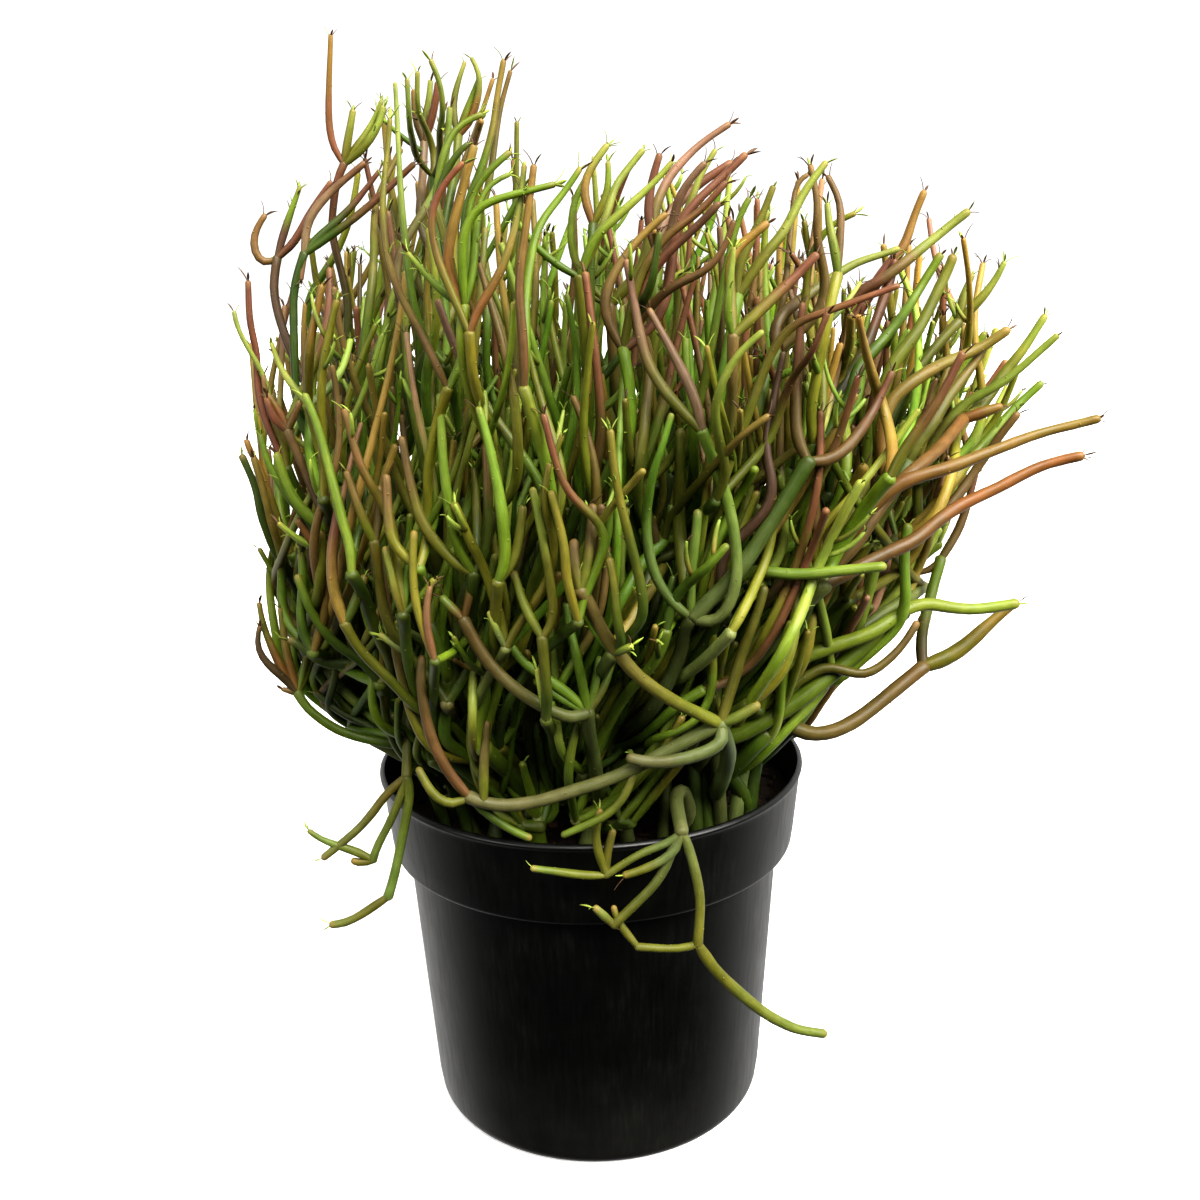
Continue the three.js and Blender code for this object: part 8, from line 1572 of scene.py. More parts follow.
p-- 204 190 1077,-873,5255 1184,-789,5114 1215,-795,5039 1221,-872,4963 1207,-1076,4803 1195,-1220,4648 1197,-1265,4575 1193,-1291,4499 1163,-1310,4429 1135,-1359,4367
p-- 233 217 1150,-900,3338 1097,-861,3097 1010,-812,2866 943,-759,2715 854,-739,2586 739,-680,2405 670,-684,2298 569,-753,2169
p-- 181 169 1031,-1417,3495 988,-1402,3342 936,-1354,3196 870,-1272,3070 758,-1110,2925 745,-996,2814 723,-966,2743 679,-959,2673
p-- 232 216 1155,-1283,4285 1128,-1262,4120 1099,-1223,3865 1092,-1230,3697 1051,-1381,3413 1023,-1438,3283 992,-1451,3219 822,-1401,3051
p-- 181 169 1660,-1278,4519 1572,-1252,4376 1518,-1262,4312 1307,-1388,4090 1196,-1405,3994 1153,-1386,3937 1133,-1349,3875 1139,-1321,3807 1164,-1325,3735 1200,-1365,3661
p-- 181 168 797,-1004,2816 756,-873,2630 684,-734,2468 616,-650,2362 532,-574,2258
p-- 204 190 1341,-1159,3785 1295,-1141,3636 1212,-1094,3420 1084,-991,3145 1018,-962,2993 900,-904,2769 796,-897,2648 747,-886,2615 689,-857,2600 583,-741,2551
p-- 241 224 734,-1339,3980 652,-1334,3873 622,-1319,3816 588,-1267,3685 569,-1223,3540 569,-1171,3313 593,-1111,3083 598,-1075,3013 579,-914,2844 568,-875,2775 561,-861,2698 557,-865,2620
p-- 178 166 1471,-1112,3525 1418,-945,3298 1386,-868,3193 1347,-807,3097 1304,-775,3012 1261,-781,2936 1139,-883,2752 1057,-891,2652 830,-726,2405 734,-674,2336 580,-626,2254
p-- 200 186 1309,-1539,4721 1244,-1434,4412 1198,-1384,4266 1099,-1315,4064 992,-1221,3875 964,-1202,3803 910,-1197,3742
s-- 212 205 1225,-1399,5171 1200,-1441,5099 1181,-1463,5026 1141,-1472,4805 1109,-1435,4585 1107,-1412,4512 1135,-1359,4367
s-- 245 238 1135,-1359,4367 978,-1264,4026 956,-1255,3953 942,-1228,3803 910,-1197,3742
s-- 263 255 1477,-1503,4221 1442,-1419,4142 1404,-1365,4066 1295,-1269,3847 1261,-1261,3781 1230,-1288,3718 1200,-1365,3661
s-- 323 313 1196,-1224,3646 1164,-1192,3567 1046,-1142,3268 873,-1057,3013 758,-976,2816 679,-959,2673
s-- 321 311 1200,-1365,3661 1040,-1257,3454 932,-1159,3251 818,-1056,3060 754,-968,2938 683,-822,2756 654,-786,2689 583,-741,2551
s-- 285 276 910,-1197,3742 865,-1150,3506 784,-1071,3199 703,-988,2983 618,-902,2769 557,-865,2620
s-- 274 265 822,-1401,3051 737,-1316,2961 677,-1232,2901 658,-1179,2865 669,-1063,2779 679,-959,2673
s-- 335 325 918,-1025,2881 771,-861,2704 697,-785,2594 638,-718,2465 580,-626,2254
s-- 425 412 679,-959,2673 610,-828,2498 512,-573,2232
s-- 330 320 557,-865,2620 519,-723,2425 512,-573,2232
s-- 372 361 583,-741,2551 512,-573,2232
s-- 409 397 532,-574,2258 512,-573,2232
s-- 389 377 580,-626,2254 581,-690,2184
s-- 451 437 581,-690,2184 569,-753,2169
s-- 496 481 569,-753,2169 496,-600,2144
s-- 493 478 512,-573,2232 496,-600,2144
s-- 560 543 496,-600,2144 447,-533,1920 433,-515,1520
y-- 150 143 1352,-1310,5134 1283,-1354,5038 1206,-1429,4972 1166,-1474,4953
y-- 177 168 1068,-1677,4847 1092,-1576,4774 1130,-1465,4731
b-- 340 421 679,-959,2673 675,-902,2598 710,-837,2512 770,-769,2411 842,-705,2290 909,-650,2147 970,-600,1880
""",
    "stem_front_centre": """
pBR 253 238 1072,-1355,5048 1051,-1377,4823 1033,-1429,4524 1051,-1458,4374 1092,-1469,4308
pPP 245 230 331,-1593,5057 438,-1634,4859 537,-1675,4653 570,-1684,4498
pOP 243 228 236,-1612,5277 300,-1626,4889 324,-1630,4812 406,-1653,4675 570,-1684,4498
pBR 235 221 1534,-1232,4703 1453,-1268,4541 1418,-1300,4492 1294,-1423,4366 1199,-1456,4306 1145,-1462,4292 1092,-1469,4308
pWV 231 217 430,-1687,4589 385,-1691,4438 358,-1678,4362 336,-1646,4281 312,-1551,4106 309,-1534,4024 323,-1537,3869 371,-1549,3728 462,-1559,3610 525,-1535,3557
sWV 254 239 570,-1684,4498 654,-1596,4270 685,-1580,4197 731,-1591,3981 739,-1615,3766 724,-1615,3696 665,-1592,3560 595,-1570,3532 525,-1535,3557
pOO 306 288 483,-1411,4474 482,-1420,4319 478,-1347,4068 478,-1346,3989 488,-1385,3837 515,-1488,3621 525,-1535,3557
pYY 210 198 558,-1547,4105 544,-1566,3952 530,-1561,3873 519,-1531,3711 525,-1535,3557
sWD 327 308 1092,-1469,4308 926,-1490,4034 745,-1534,3780 525,-1535,3557
sWW 460 306 525,-1535,3557 487,-1501,3511 483,-1434,3360 394,-1343,3116 369,-1297,3049 304,-1160,2905 263,-1067,2829 170,-812,2657 142,-781,2594 150,-844,2425 159,-850,2304 186,-798,2110 210,-729,1904 206,-712,1506
""",
    "stem_middle_5": """
pRK 270 254 1901,-166,5540 1848,-165,5407 1804,-183,5266 1770,-194,5200 1708,-202,5152 1491,-265,4830
pRY 241 226 2135,-228,5430 1989,-225,5318 1727,-292,5126 1623,-288,5051 1551,-275,5034 1506,-268,4976 1489,-266,4901 1491,-265,4830
p-- 215 200 952,247,4642 926,125,4341 905,34,4115 855,-81,3814 830,-99,3739 731,-97,3515 720,-102,3434 744,-137,3274
p-- 193 179 603,-211,2774 523,-179,2488 395,-89,2147
p-- 199 185 1236,-227,5401 1294,-193,5095 1333,-184,4864 1364,-173,4632 1373,-132,4482 1403,-74,4341
p-- 239 223 1139,39,5325 1139,5,4998 1143,-20,4753 1154,-31,4425 1139,-33,4345 1109,-54,4272 1102,-97,4205
p-- 197 183 1311,-306,4651 1284,-305,4416 1206,-324,4195 1080,-349,3995 1049,-334,3924 1009,-301,3865 953,-263,3822
p-- 230 214 1002,-346,4342 901,-326,4035 865,-319,3877 822,-309,3556 809,-295,3312 775,-276,3154 781,-271,3072
p-- 234 218 1044,-618,4456 869,-483,4130 708,-375,3882 587,-302,3692 559,-289,3620 545,-286,3542 549,-292,3464 591,-322,3316
p-- 238 221 766,4,3970 698,-105,3586 676,-177,3355 659,-251,3125 623,-266,3054 590,-303,2991
p-- 196 182 1465,-626,4339 1355,-569,4132 1232,-522,3930 1046,-476,3672 903,-447,3480 824,-352,3183 789,-329,3115 735,-312,3058 590,-303,2991
p-- 215 200 348,-359,3371 288,-320,3065 277,-268,2836 318,-178,2541 387,-120,2242
p-- 195 181 1152,-239,4999 1162,-166,4681 1165,-94,4363 1161,-24,4045 1152,21,3805 1131,29,3726 1094,26,3654 1048,7,3589 965,-71,3473 917,-181,3362
p-- 181 168 1293,-331,4260 1189,-351,3954 1125,-390,3724 1088,-446,3491 1078,-519,3259 1028,-528,3105 986,-511,2949 945,-454,2803 877,-373,2682 822,-336,2635 754,-307,2597 470,-206,2453
p-- 196 182 1168,-510,5210 1125,-497,4803 1094,-453,4564 1062,-398,4327 993,-409,4009 975,-380,3934 953,-263,3822
p-- 201 187 1241,46,5611 1210,52,5209 1173,32,4807 1077,-3,4503 1065,-43,4349 1102,-97,4205
p-- 201 187 736,-322,4387 768,-355,3988 747,-372,3669 666,-368,3278 592,-335,3141 576,-314,3067 590,-303,2991
p-- 187 174 644,-121,3476 601,-134,3253 558,-143,3108 433,-154,2827 407,-131,2675 367,-120,2608
p-- 223 207 1509,-329,4732 1483,-388,4438 1403,-418,4136 1373,-418,4062 1359,-407,3987 1376,-392,3910
p-- 210 196 917,-429,5181 980,-428,4785 993,-438,4627 995,-469,4395 982,-470,4316 940,-465,4253 874,-467,4209
p-- 205 191 968,10,3176 749,-31,2924 572,-65,2737 530,-85,2667 470,-206,2453
p-- 211 196 797,-639,4522 783,-586,4131 786,-538,3898 796,-479,3669 788,-469,3591 726,-455,3447 679,-428,3389 633,-382,3347 591,-322,3316
p-- 230 214 960,2,5039 1066,49,4662 1140,38,4354 1151,30,4276 1143,23,4198 1098,6,4048 1093,-10,3970 1111,-29,3895 1147,-50,3827
p-- 200 186 1100,-497,4991 1122,-407,4590 1148,-323,4275 1168,-265,4039 1140,-259,3965 1085,-260,3906 953,-263,3822
p-- 159 148 682,-211,3006 634,-113,2715 586,-72,2511 532,-68,2385 395,-89,2147
p-- 220 205 1198,-690,4117 1049,-619,3838 907,-559,3648 688,-494,3416 388,-414,3160 359,-399,3087 362,-383,3007 397,-333,2858 409,-292,2788 409,-242,2721 367,-120,2608
p-- 245 227 954,-952,4335 909,-801,3967 866,-614,3613 846,-526,3481 828,-494,3411 767,-479,3265 690,-465,3127 649,-431,3067 616,-374,3022 590,-303,2991
p-- 242 225 1271,-335,3120 1143,-316,2924 1045,-291,2805 831,-217,2595 618,-140,2393 411,-69,2185
p-- 210 195 1331,-237,5616 1277,-246,5215 1268,-209,4896 1291,-176,4740 1314,-153,4666 1346,-126,4600 1392,-94,4545 1410,-70,4482 1400,-62,4409 1403,-74,4341
p-- 224 208 976,-251,5492 973,-288,5258 953,-333,5027 914,-386,4801 859,-446,4580 823,-462,4430 824,-454,4353 874,-467,4209
p-- 163 151 1045,0,4536 925,-64,4239 841,-131,4019 738,-248,3733 672,-351,3525 633,-363,3456 596,-342,3390 591,-322,3316
p-- 208 193 1145,-44,4990 1062,-104,4615 941,-114,4245 919,-120,4091 928,-172,3946 953,-263,3822
p-- 185 172 834,-341,4658 943,-247,4292 974,-202,4061 976,-179,3905 929,-151,3593 893,-151,3523 779,-162,3417 746,-154,3348 744,-137,3274
s-- 313 304 1491,-265,4830 1453,-319,4691 1367,-342,4407 1304,-398,4280
s-- 278 269 1102,-97,4205 963,-81,3927 839,-79,3642 764,-106,3424 744,-137,3274
s-- 243 236 1403,-74,4341 1181,-56,3987 1150,-61,3910 1147,-50,3827
s-- 355 345 1304,-398,4280 1148,-370,4002 983,-315,3642 937,-263,3498 917,-181,3362
s-- 260 252 874,-467,4209 772,-436,4083 685,-407,3946 587,-363,3723 565,-341,3561 591,-322,3316
s-- 272 264 953,-263,3822 865,-225,3619 784,-190,3411 744,-137,3274
s-- 282 274 1147,-50,3827 1068,-47,3519 953,-59,3223 807,-82,3037 571,-121,2822
s-- 258 250 1376,-392,3910 1226,-390,3719 1089,-371,3520 869,-301,3294 796,-274,3152 781,-271,3072
s-- 301 292 591,-322,3316 432,-312,3045 348,-286,2833 334,-261,2684 363,-203,2460 387,-120,2242
s-- 322 313 744,-137,3274 619,-121,3083 495,-106,2889 367,-120,2608
s-- 382 371 917,-181,3362 644,-184,3046 610,-178,2971 596,-158,2892 571,-121,2822
s-- 300 291 781,-271,3072 578,-215,2831 460,-151,2633 448,-67,2248
s-- 284 275 590,-303,2991 496,-266,2685 470,-206,2453
s-- 441 428 571,-121,2822 575,-135,2672 563,-128,2599 448,-67,2248
s-- 374 363 367,-120,2608 394,-89,2427 448,-67,2248
s-- 329 319 470,-206,2453 387,-120,2242
s-- 382 370 387,-120,2242 395,-89,2147
s-- 512 497 448,-67,2248 411,-69,2185
s-- 539 523 411,-69,2185 395,-89,2147
s-- 560 543 395,-89,2147 349,-76,1845 344,-75,1461
y-- 166 158 1023,-204,3713 1028,-144,3597 1046,-101,3550 1068,-47,3519
y-- 164 155 960,21,3526 906,-29,3413 883,-68,3362 867,-121,3323 861,-185,3300
y-- 198 188 1422,-299,4442 1402,-267,4394 1371,-179,4316 1358,-68,4271
y-- 187 178 687,-218,3511 784,-190,3411
y-- 200 190 1329,-300,4430 1312,-228,4317 1307,-180,4268 1313,-63,4200
y-- 164 156 986,-132,3376 926,-162,3256 888,-190,3206 844,-228,3169 796,-274,3152
y-- 145 138 1043,84,4528 1049,19,4347 1078,-53,4245 1102,-97,4205
b-- 375 326 470,-206,2453 461,-202,2388 478,-233,2318 512,-286,2242 553,-349,2156 592,-407,2058 626,-459,1880
b-- 340 296 781,-271,3072 713,-279,2963 683,-336,2834 679,-423,2681 690,-521,2499 707,-610,2283 720,-690,1880
b-- 340 378 917,-181,3362 841,-178,3225 827,-161,3065 856,-136,2876 907,-108,2650 963,-83,2380 1010,-60,1880
""",
    "stem_right_front_2": """
pOO 282 265 1957,-632,5219 1941,-634,5161 1885,-653,5056 1767,-728,4842 1637,-775,4689 1575,-804,4545 1553,-858,4317 1571,-938,4101
pOY 217 204 2165,-242,5095 2113,-246,4968 2088,-275,4836
pOY 215 202 2320,-299,5160 2249,-290,5016 2088,-275,4836
sDO 243 228 2088,-275,4836 1909,-340,4659 1743,-436,4436 1684,-477,4302 1570,-561,3948
pAK 281 264 2248,-706,4840 2145,-694,4763 2023,-706,4707 1956,-723,4689 1815,-806,4643 1637,-857,4534 1589,-873,4471 1564,-891,4399 1554,-922,4251 1571,-938,4101
pOK 283 266 2158,-648,4780 2099,-661,4677 1928,-769,4502 1822,-836,4351 1732,-859,4235 1707,-870,4165
pKY 234 220 2528,-638,4796 2270,-592,4549 2151,-555,4475 2032,-541,4391 1849,-581,4120 1718,-579,4019 1570,-561,3948
pKG 242 228 2519,-453,4521 2434,-454,4443 2343,-481,4363 2211,-542,4229 2065,-627,4095 1932,-689,3934 1825,-704,3824 1703,-698,3719
pBB 234 220 2333,-668,4394 2235,-652,4255 2179,-617,4141 2132,-611,4080 2099,-618,4019 1939,-680,3849 1703,-698,3719
p-- 220 205 1688,-540,3861 1694,-545,3699 1681,-558,3538 1615,-592,3309 1533,-621,3174 1478,-636,3115 1353,-676,3009 1194,-768,2861 1144,-781,2809 1097,-776,2750 1012,-735,2625 912,-618,2442 819,-481,2265
p-- 243 226 1277,-953,3778 1216,-895,3558 1156,-833,3340 1082,-739,3051 1041,-712,2990 1030,-676,2923
p-- 222 206 1738,-628,4841 1654,-581,4634 1591,-556,4411 1541,-541,4096 1546,-547,4018 1570,-561,3948
p-- 226 210 2016,-499,4270 1943,-577,3999 1900,-595,3864 1878,-576,3725 1853,-526,3585 1806,-514,3527 1738,-559,3494 1583,-731,3465 1409,-877,3438
p-- 242 225 1150,-801,3137 1104,-749,2913 1043,-685,2699 958,-599,2507 819,-481,2265
p-- 185 172 2011,-396,4571 1952,-343,4429 1883,-308,4284 1804,-294,4141 1719,-297,4002 1580,-328,3801 1429,-380,3611 1276,-407,3417 1248,-433,3344 1235,-521,3201
p-- 158 147 887,-1271,3657 889,-1185,3449 894,-1060,3251 912,-913,3068 947,-643,2790 932,-599,2726 840,-457,2465 779,-347,2269
p-- 200 186 1514,-711,3725 1457,-705,3488 1369,-703,3262 1292,-700,3123 1152,-697,2935 1108,-685,2874 1084,-648,2817
p-- 190 176 1478,-406,3154 1334,-448,2885 1203,-486,2705 1023,-512,2481 909,-508,2303 884,-511,2243
p-- 229 213 1917,-539,3998 1783,-444,3714 1652,-397,3416 1528,-389,3316 1489,-383,3250
p-- 199 185 1755,-540,4344 1597,-555,4072 1475,-644,3883 1332,-699,3608 1294,-693,3540 1240,-637,3404 1235,-521,3201
p-- 215 200 1442,-946,3419 1400,-763,3234 1390,-666,2992 1370,-585,2840 1342,-554,2752 1244,-532,2575
p-- 236 219 2024,-347,3697 1853,-394,3410 1769,-434,3262 1667,-468,3118 1485,-487,2908 1357,-499,2755 1235,-511,2651 1165,-535,2570
p-- 175 163 1899,-610,4579 1846,-556,4353 1800,-509,4123 1708,-443,3824 1642,-418,3682 1523,-411,3477 1501,-406,3402 1489,-383,3250
p-- 237 221 1696,-769,4319 1650,-721,4072 1578,-665,3843 1487,-586,3629 1438,-546,3574
p-- 206 192 1724,-387,4059 1558,-423,3790 1461,-447,3573 1400,-469,3344 1370,-496,3111 1360,-494,2959
p-- 194 180 1353,-763,3306 1241,-679,3116 1139,-544,2851 1104,-533,2786 1062,-550,2731
p-- 241 224 866,-700,2644 817,-501,2428 779,-347,2269
p-- 189 176 1325,-423,3422 1189,-385,3121 1094,-376,2894 990,-389,2675 926,-396,2625
p-- 205 191 1797,-85,5118 1880,-153,4923 1893,-188,4840 1883,-248,4703 1872,-314,4636 1793,-628,4482 1741,-781,4395 1692,-893,4306 1642,-957,4224 1598,-968,4154 1571,-938,4101
p-- 183 171 1111,-576,2701 942,-513,2444 734,-378,2142
p-- 222 207 1557,-783,4125 1514,-808,3737 1477,-753,3416 1453,-708,3172 1427,-695,3008 1402,-681,2921 1324,-619,2769 1244,-532,2575
p-- 243 226 1547,-976,3725 1517,-956,3552 1488,-907,3366 1450,-821,3180 1419,-772,3099 1379,-740,3023 1337,-733,2951 1222,-781,2773 1151,-778,2676 1021,-673,2484 895,-535,2291 884,-511,2243
p-- 241 225 2139,-140,4393 2080,-386,4264 2018,-612,4144 1984,-692,4079 1952,-748,4010 1887,-834,3877 1845,-847,3820 1796,-822,3784 1703,-698,3719
p-- 227 211 1576,-723,3360 1410,-632,3115 1219,-613,2774 1193,-564,2634 1165,-535,2570
p-- 183 171 1917,-865,4202 1909,-657,3918 1922,-545,3691 1902,-460,3540 1882,-430,3465 1853,-433,3385 1816,-481,3309 1724,-617,3194
p-- 223 207 1104,-1252,4661 1165,-1259,4449 1226,-1240,4303 1310,-1200,4148 1433,-1119,3972 1513,-1040,3869 1603,-914,3754 1791,-571,3506 1861,-459,3423 1948,-347,3363 1941,-347,3348
p-- 243 226 2003,-471,4637 1921,-560,4450 1896,-573,4379 1847,-569,4235 1828,-561,4079 1836,-559,3917 1868,-506,3695 1843,-459,3547 1794,-444,3397 1714,-454,3269 1473,-471,3071 1360,-494,2959
p-- 213 198 1324,-544,3060 1098,-513,2859 955,-472,2699 857,-422,2523 779,-347,2269
p-- 223 208 2270,-52,5143 2227,-106,4980 2192,-199,4818 2191,-238,4735 2208,-242,4646 2274,-151,4462 2290,-143,4378 2271,-214,4302 2215,-335,4234 2135,-458,4174 2046,-553,4123 1956,-610,4083 1871,-632,4048 1792,-627,4017 1570,-561,3948
p-- 190 177 1926,-918,5312 1979,-853,5142 2005,-803,5054 2079,-557,4769 2080,-498,4676 2054,-505,4593 2008,-550,4517 1807,-693,4344 1753,-748,4288 1720,-811,4227 1707,-870,4165
p-- 205 191 1091,-250,2699 946,-290,2459 755,-347,2170
s-- 327 318 1571,-938,4101 1479,-910,3892 1413,-872,3671 1404,-867,3594 1409,-877,3438
s-- 318 309 1707,-870,4165 1663,-916,4108 1623,-942,4048 1586,-956,3985 1516,-956,3856 1458,-946,3718 1411,-918,3580 1409,-877,3438
s-- 281 273 1570,-561,3948 1445,-566,3739 1287,-547,3356 1235,-521,3201
s-- 281 273 1703,-698,3719 1602,-707,3590 1485,-685,3377 1373,-677,3168 1292,-661,3040 1193,-641,2925 1084,-648,2817
s-- 259 251 1941,-347,3348 1879,-456,3342 1799,-548,3335 1711,-621,3319 1555,-726,3251 1485,-757,3209 1418,-766,3167 1301,-739,3066 1198,-674,2864 1163,-640,2806 1062,-550,2731
s-- 275 267 1438,-546,3574 1343,-501,3276 1190,-444,2918 1097,-416,2793 926,-396,2625
s-- 250 243 1724,-617,3194 1555,-594,3104 1338,-563,2970 1243,-526,2865 1083,-450,2614 879,-402,2387
s-- 266 258 1489,-383,3250 1305,-396,3102 1078,-427,2889 1031,-424,2827 971,-396,2686 926,-396,2625
s-- 380 368 1409,-877,3438 1231,-765,3171 1095,-686,2977 1030,-676,2923
s-- 326 317 1235,-521,3201 1017,-450,2981 871,-420,2797 812,-406,2651 755,-374,2259
s-- 282 274 1360,-494,2959 1192,-445,2807 1037,-417,2641 879,-402,2387
s-- 321 312 1084,-648,2817 1015,-613,2676 937,-560,2548 861,-495,2428 755,-374,2259
s-- 319 310 926,-396,2625 843,-359,2399 755,-347,2170
s-- 422 409 1030,-676,2923 980,-562,2726 879,-402,2387
s-- 300 291 1062,-550,2731 992,-488,2524 928,-449,2393 755,-347,2170
s-- 258 250 1244,-532,2575 1091,-441,2459 779,-347,2269
s-- 489 474 879,-402,2387 755,-374,2259
s-- 274 265 1165,-535,2570 1012,-462,2423 725,-341,2206
s-- 280 272 819,-481,2265 884,-511,2243
s-- 299 290 779,-347,2269 734,-378,2142
s-- 560 543 755,-374,2259 725,-341,2206
s-- 325 315 884,-511,2243 734,-378,2142
s-- 560 543 725,-341,2206 755,-347,2170
s-- 560 543 755,-347,2170 734,-378,2142
s-- 560 543 734,-378,2142 659,-336,1846 648,-330,1535
y-- 186 177 1662,-608,3911 1680,-658,3776 1703,-698,3719
y-- 202 191 1403,-1284,3696 1372,-1200,3608 1361,-1100,3533 1371,-991,3473 1409,-877,3438
y-- 157 150 1601,-607,3500 1527,-524,3356 1496,-438,3276 1489,-383,3250
y-- 172 164 2040,-202,4988 2056,-249,4879 2088,-275,4836
y-- 177 168 1658,-713,4311 1666,-757,4251 1707,-870,4165
b-- 340 417 1030,-676,2923 1000,-634,2819 962,-623,2703 921,-633,2571 880,-655,2415 844,-680,2229 810,-700,1880
b-- 340 318 1084,-648,2817 1040,-632,2720 1002,-628,2616 970,-632,2497 943,-641,2358 922,-652,2193 900,-660,1880
b-- 340 272 1438,-546,3574 1365,-529,3390 1265,-533,3198 1151,-552,2984 1037,-577,2737 936,-603,2442 840,-625,1880
""",
    "stem_front_fork": """
pAY 212 199 -690,-1593,3717 -582,-1615,3599
pAK 188 177 -538,-1587,3786 -559,-1613,3661 -582,-1615,3599
sWB 292 274 -582,-1615,3599 -482,-1625,3396 -326,-1630,3229 -199,-1622,3140 -62,-1585,3058 6,-1541,3081
pGV 218 205 -379,-1505,3448 -344,-1520,3383 -289,-1525,3328 -100,-1534,3191 6,-1541,3081
pVV 220 207 -260,-1504,3251 -132,-1527,3159 6,-1541,3081
pGV 218 204 -88,-1470,3631 -72,-1505,3494 -40,-1529,3359 6,-1541,3081
pGV 196 184 68,-1457,3350 47,-1501,3214 6,-1541,3081
pOG 196 185 133,-1442,3314 88,-1491,3188 6,-1541,3081
sWW 460 291 6,-1541,3081 7,-1443,2950 24,-1258,2734 39,-1157,2552 47,-884,2288 -61,-910,1919 -64,-890,1525
""",
    "stem_front_arc": """
pOB 222 209 58,-1773,4194 31,-1829,3954 -10,-1855,3798
pOB 225 211 -33,-1806,4037 -39,-1825,3957 -10,-1855,3798
sOB 284 267 -10,-1855,3798 33,-1825,3740 47,-1798,3667 71,-1792,3605 179,-1771,3434 264,-1729,3320 423,-1640,3168 550,-1510,3055 610,-1492,3016 671,-1448,2965
pGY 246 231 874,-1449,3074 745,-1457,2991 671,-1448,2965
pOO 243 229 903,-1375,3671 856,-1403,3515 794,-1402,3356 750,-1408,3193 671,-1448,2965
sWW 460 326 671,-1448,2965 704,-1389,2877 737,-1229,2712 736,-1044,2526 706,-918,2368 702,-767,2268 675,-702,2146 681,-651,1966 663,-625,1569
pRB 248 233 -816,-1439,3370 -829,-1471,3232 -790,-1480,2939 -703,-1466,2726 -617,-1453,2599
pOO 227 213 -874,-1441,2769 -810,-1483,2645 -760,-1473,2582 -685,-1463,2557 -617,-1453,2599
pOB 225 211 -510,-1408,3003 -532,-1455,2792 -542,-1470,2569
sWN 300 282 -617,-1453,2599 -542,-1470,2569 -462,-1471,2555 -301,-1470,2566 11,-1479,2660 164,-1470,2711 452,-1458,2857 671,-1448,2965
pDG 203 191 -305,-1421,2341 -379,-1427,2376 -509,-1432,2473 -617,-1453,2599
pWN 297 279 191,-1522,2829 264,-1532,2807 418,-1534,2801 645,-1507,2858 702,-1484,2906 671,-1448,2965
pOG 201 189 -151,-1500,2391 65,-1495,2483 128,-1492,2529 177,-1490,2590 209,-1487,2661 238,-1464,2741
""",
    "stem_trailing_left": """
pOL 213 200 -1479,-1100,2095 -1244,-1099,2291 -1101,-1092,2470 -988,-1081,2567
sOL 213 200 -1201,-1100,2082 -1183,-1100,2157 -1138,-1099,2219 -1035,-1092,2425 -988,-1081,2567
pOL 214 201 -1541,-1100,2271 -1485,-1100,2216 -1267,-1100,2126 -1201,-1100,2082
pOO 215 202 -1321,-1100,2085 -1261,-1100,2044 -1201,-1100,2082
sOL 241 226 -1131,-1100,1858 -1081,-1100,2014 -985,-1092,2411 -968,-1087,2490 -988,-1081,2567
pOL 218 205 -1471,-1100,1692 -1393,-1100,1694 -1323,-1100,1726 -1131,-1100,1858
sWO 460 228 -988,-1081,2567 -989,-829,2892 -976,-772,2954 -921,-726,2948 -882,-688,2805 -877,-656,2659 -849,-637,2503 -810,-630,2349 -682,-622,1970 -664,-612,1728 -656,-604,1485
b-- 378 232 -988,-1081,2567 -976,-1019,2597 -952,-936,2551 -920,-843,2446 -887,-752,2301 -856,-673,2133 -829,-602,1880
""",
    "stem_trailing_front": """
sWW 460 300 479,-1370,2334 459,-1141,2428 488,-1053,2444 519,-987,2381 554,-898,2203 515,-831,2127 490,-782,1902 478,-764,1495
sWO 206 194 77,-1390,2106 276,-1380,2231 427,-1373,2276 479,-1370,2334
pOL 206 194 -321,-1430,2178 -5,-1398,2107 77,-1390,2106
pOO 205 193 54,-1410,2500 25,-1402,2341 33,-1398,2261 77,-1390,2106
pOO 207 194 121,-1360,2358 75,-1380,2192 77,-1390,2106
pWO 232 218 160,-1420,2114 243,-1410,2129 399,-1390,2194 462,-1380,2251 479,-1370,2334
sWO 234 220 111,-1400,1817 340,-1385,2045 382,-1381,2114 436,-1374,2266 479,-1370,2334
pOL 209 196 6,-1420,1940 111,-1400,1817
pOO 183 172 110,-1380,1922 128,-1387,1831 236,-1400,1682
sWO 234 220 558,-1400,1690 576,-1389,1936 566,-1385,2018 513,-1374,2259 479,-1370,2334
sOO 210 198 236,-1400,1682 483,-1400,1660 558,-1400,1690
pOL 243 228 1302,-1180,972 1158,-1214,1019 1091,-1231,1055 914,-1280,1199 667,-1356,1489 558,-1400,1690
""",
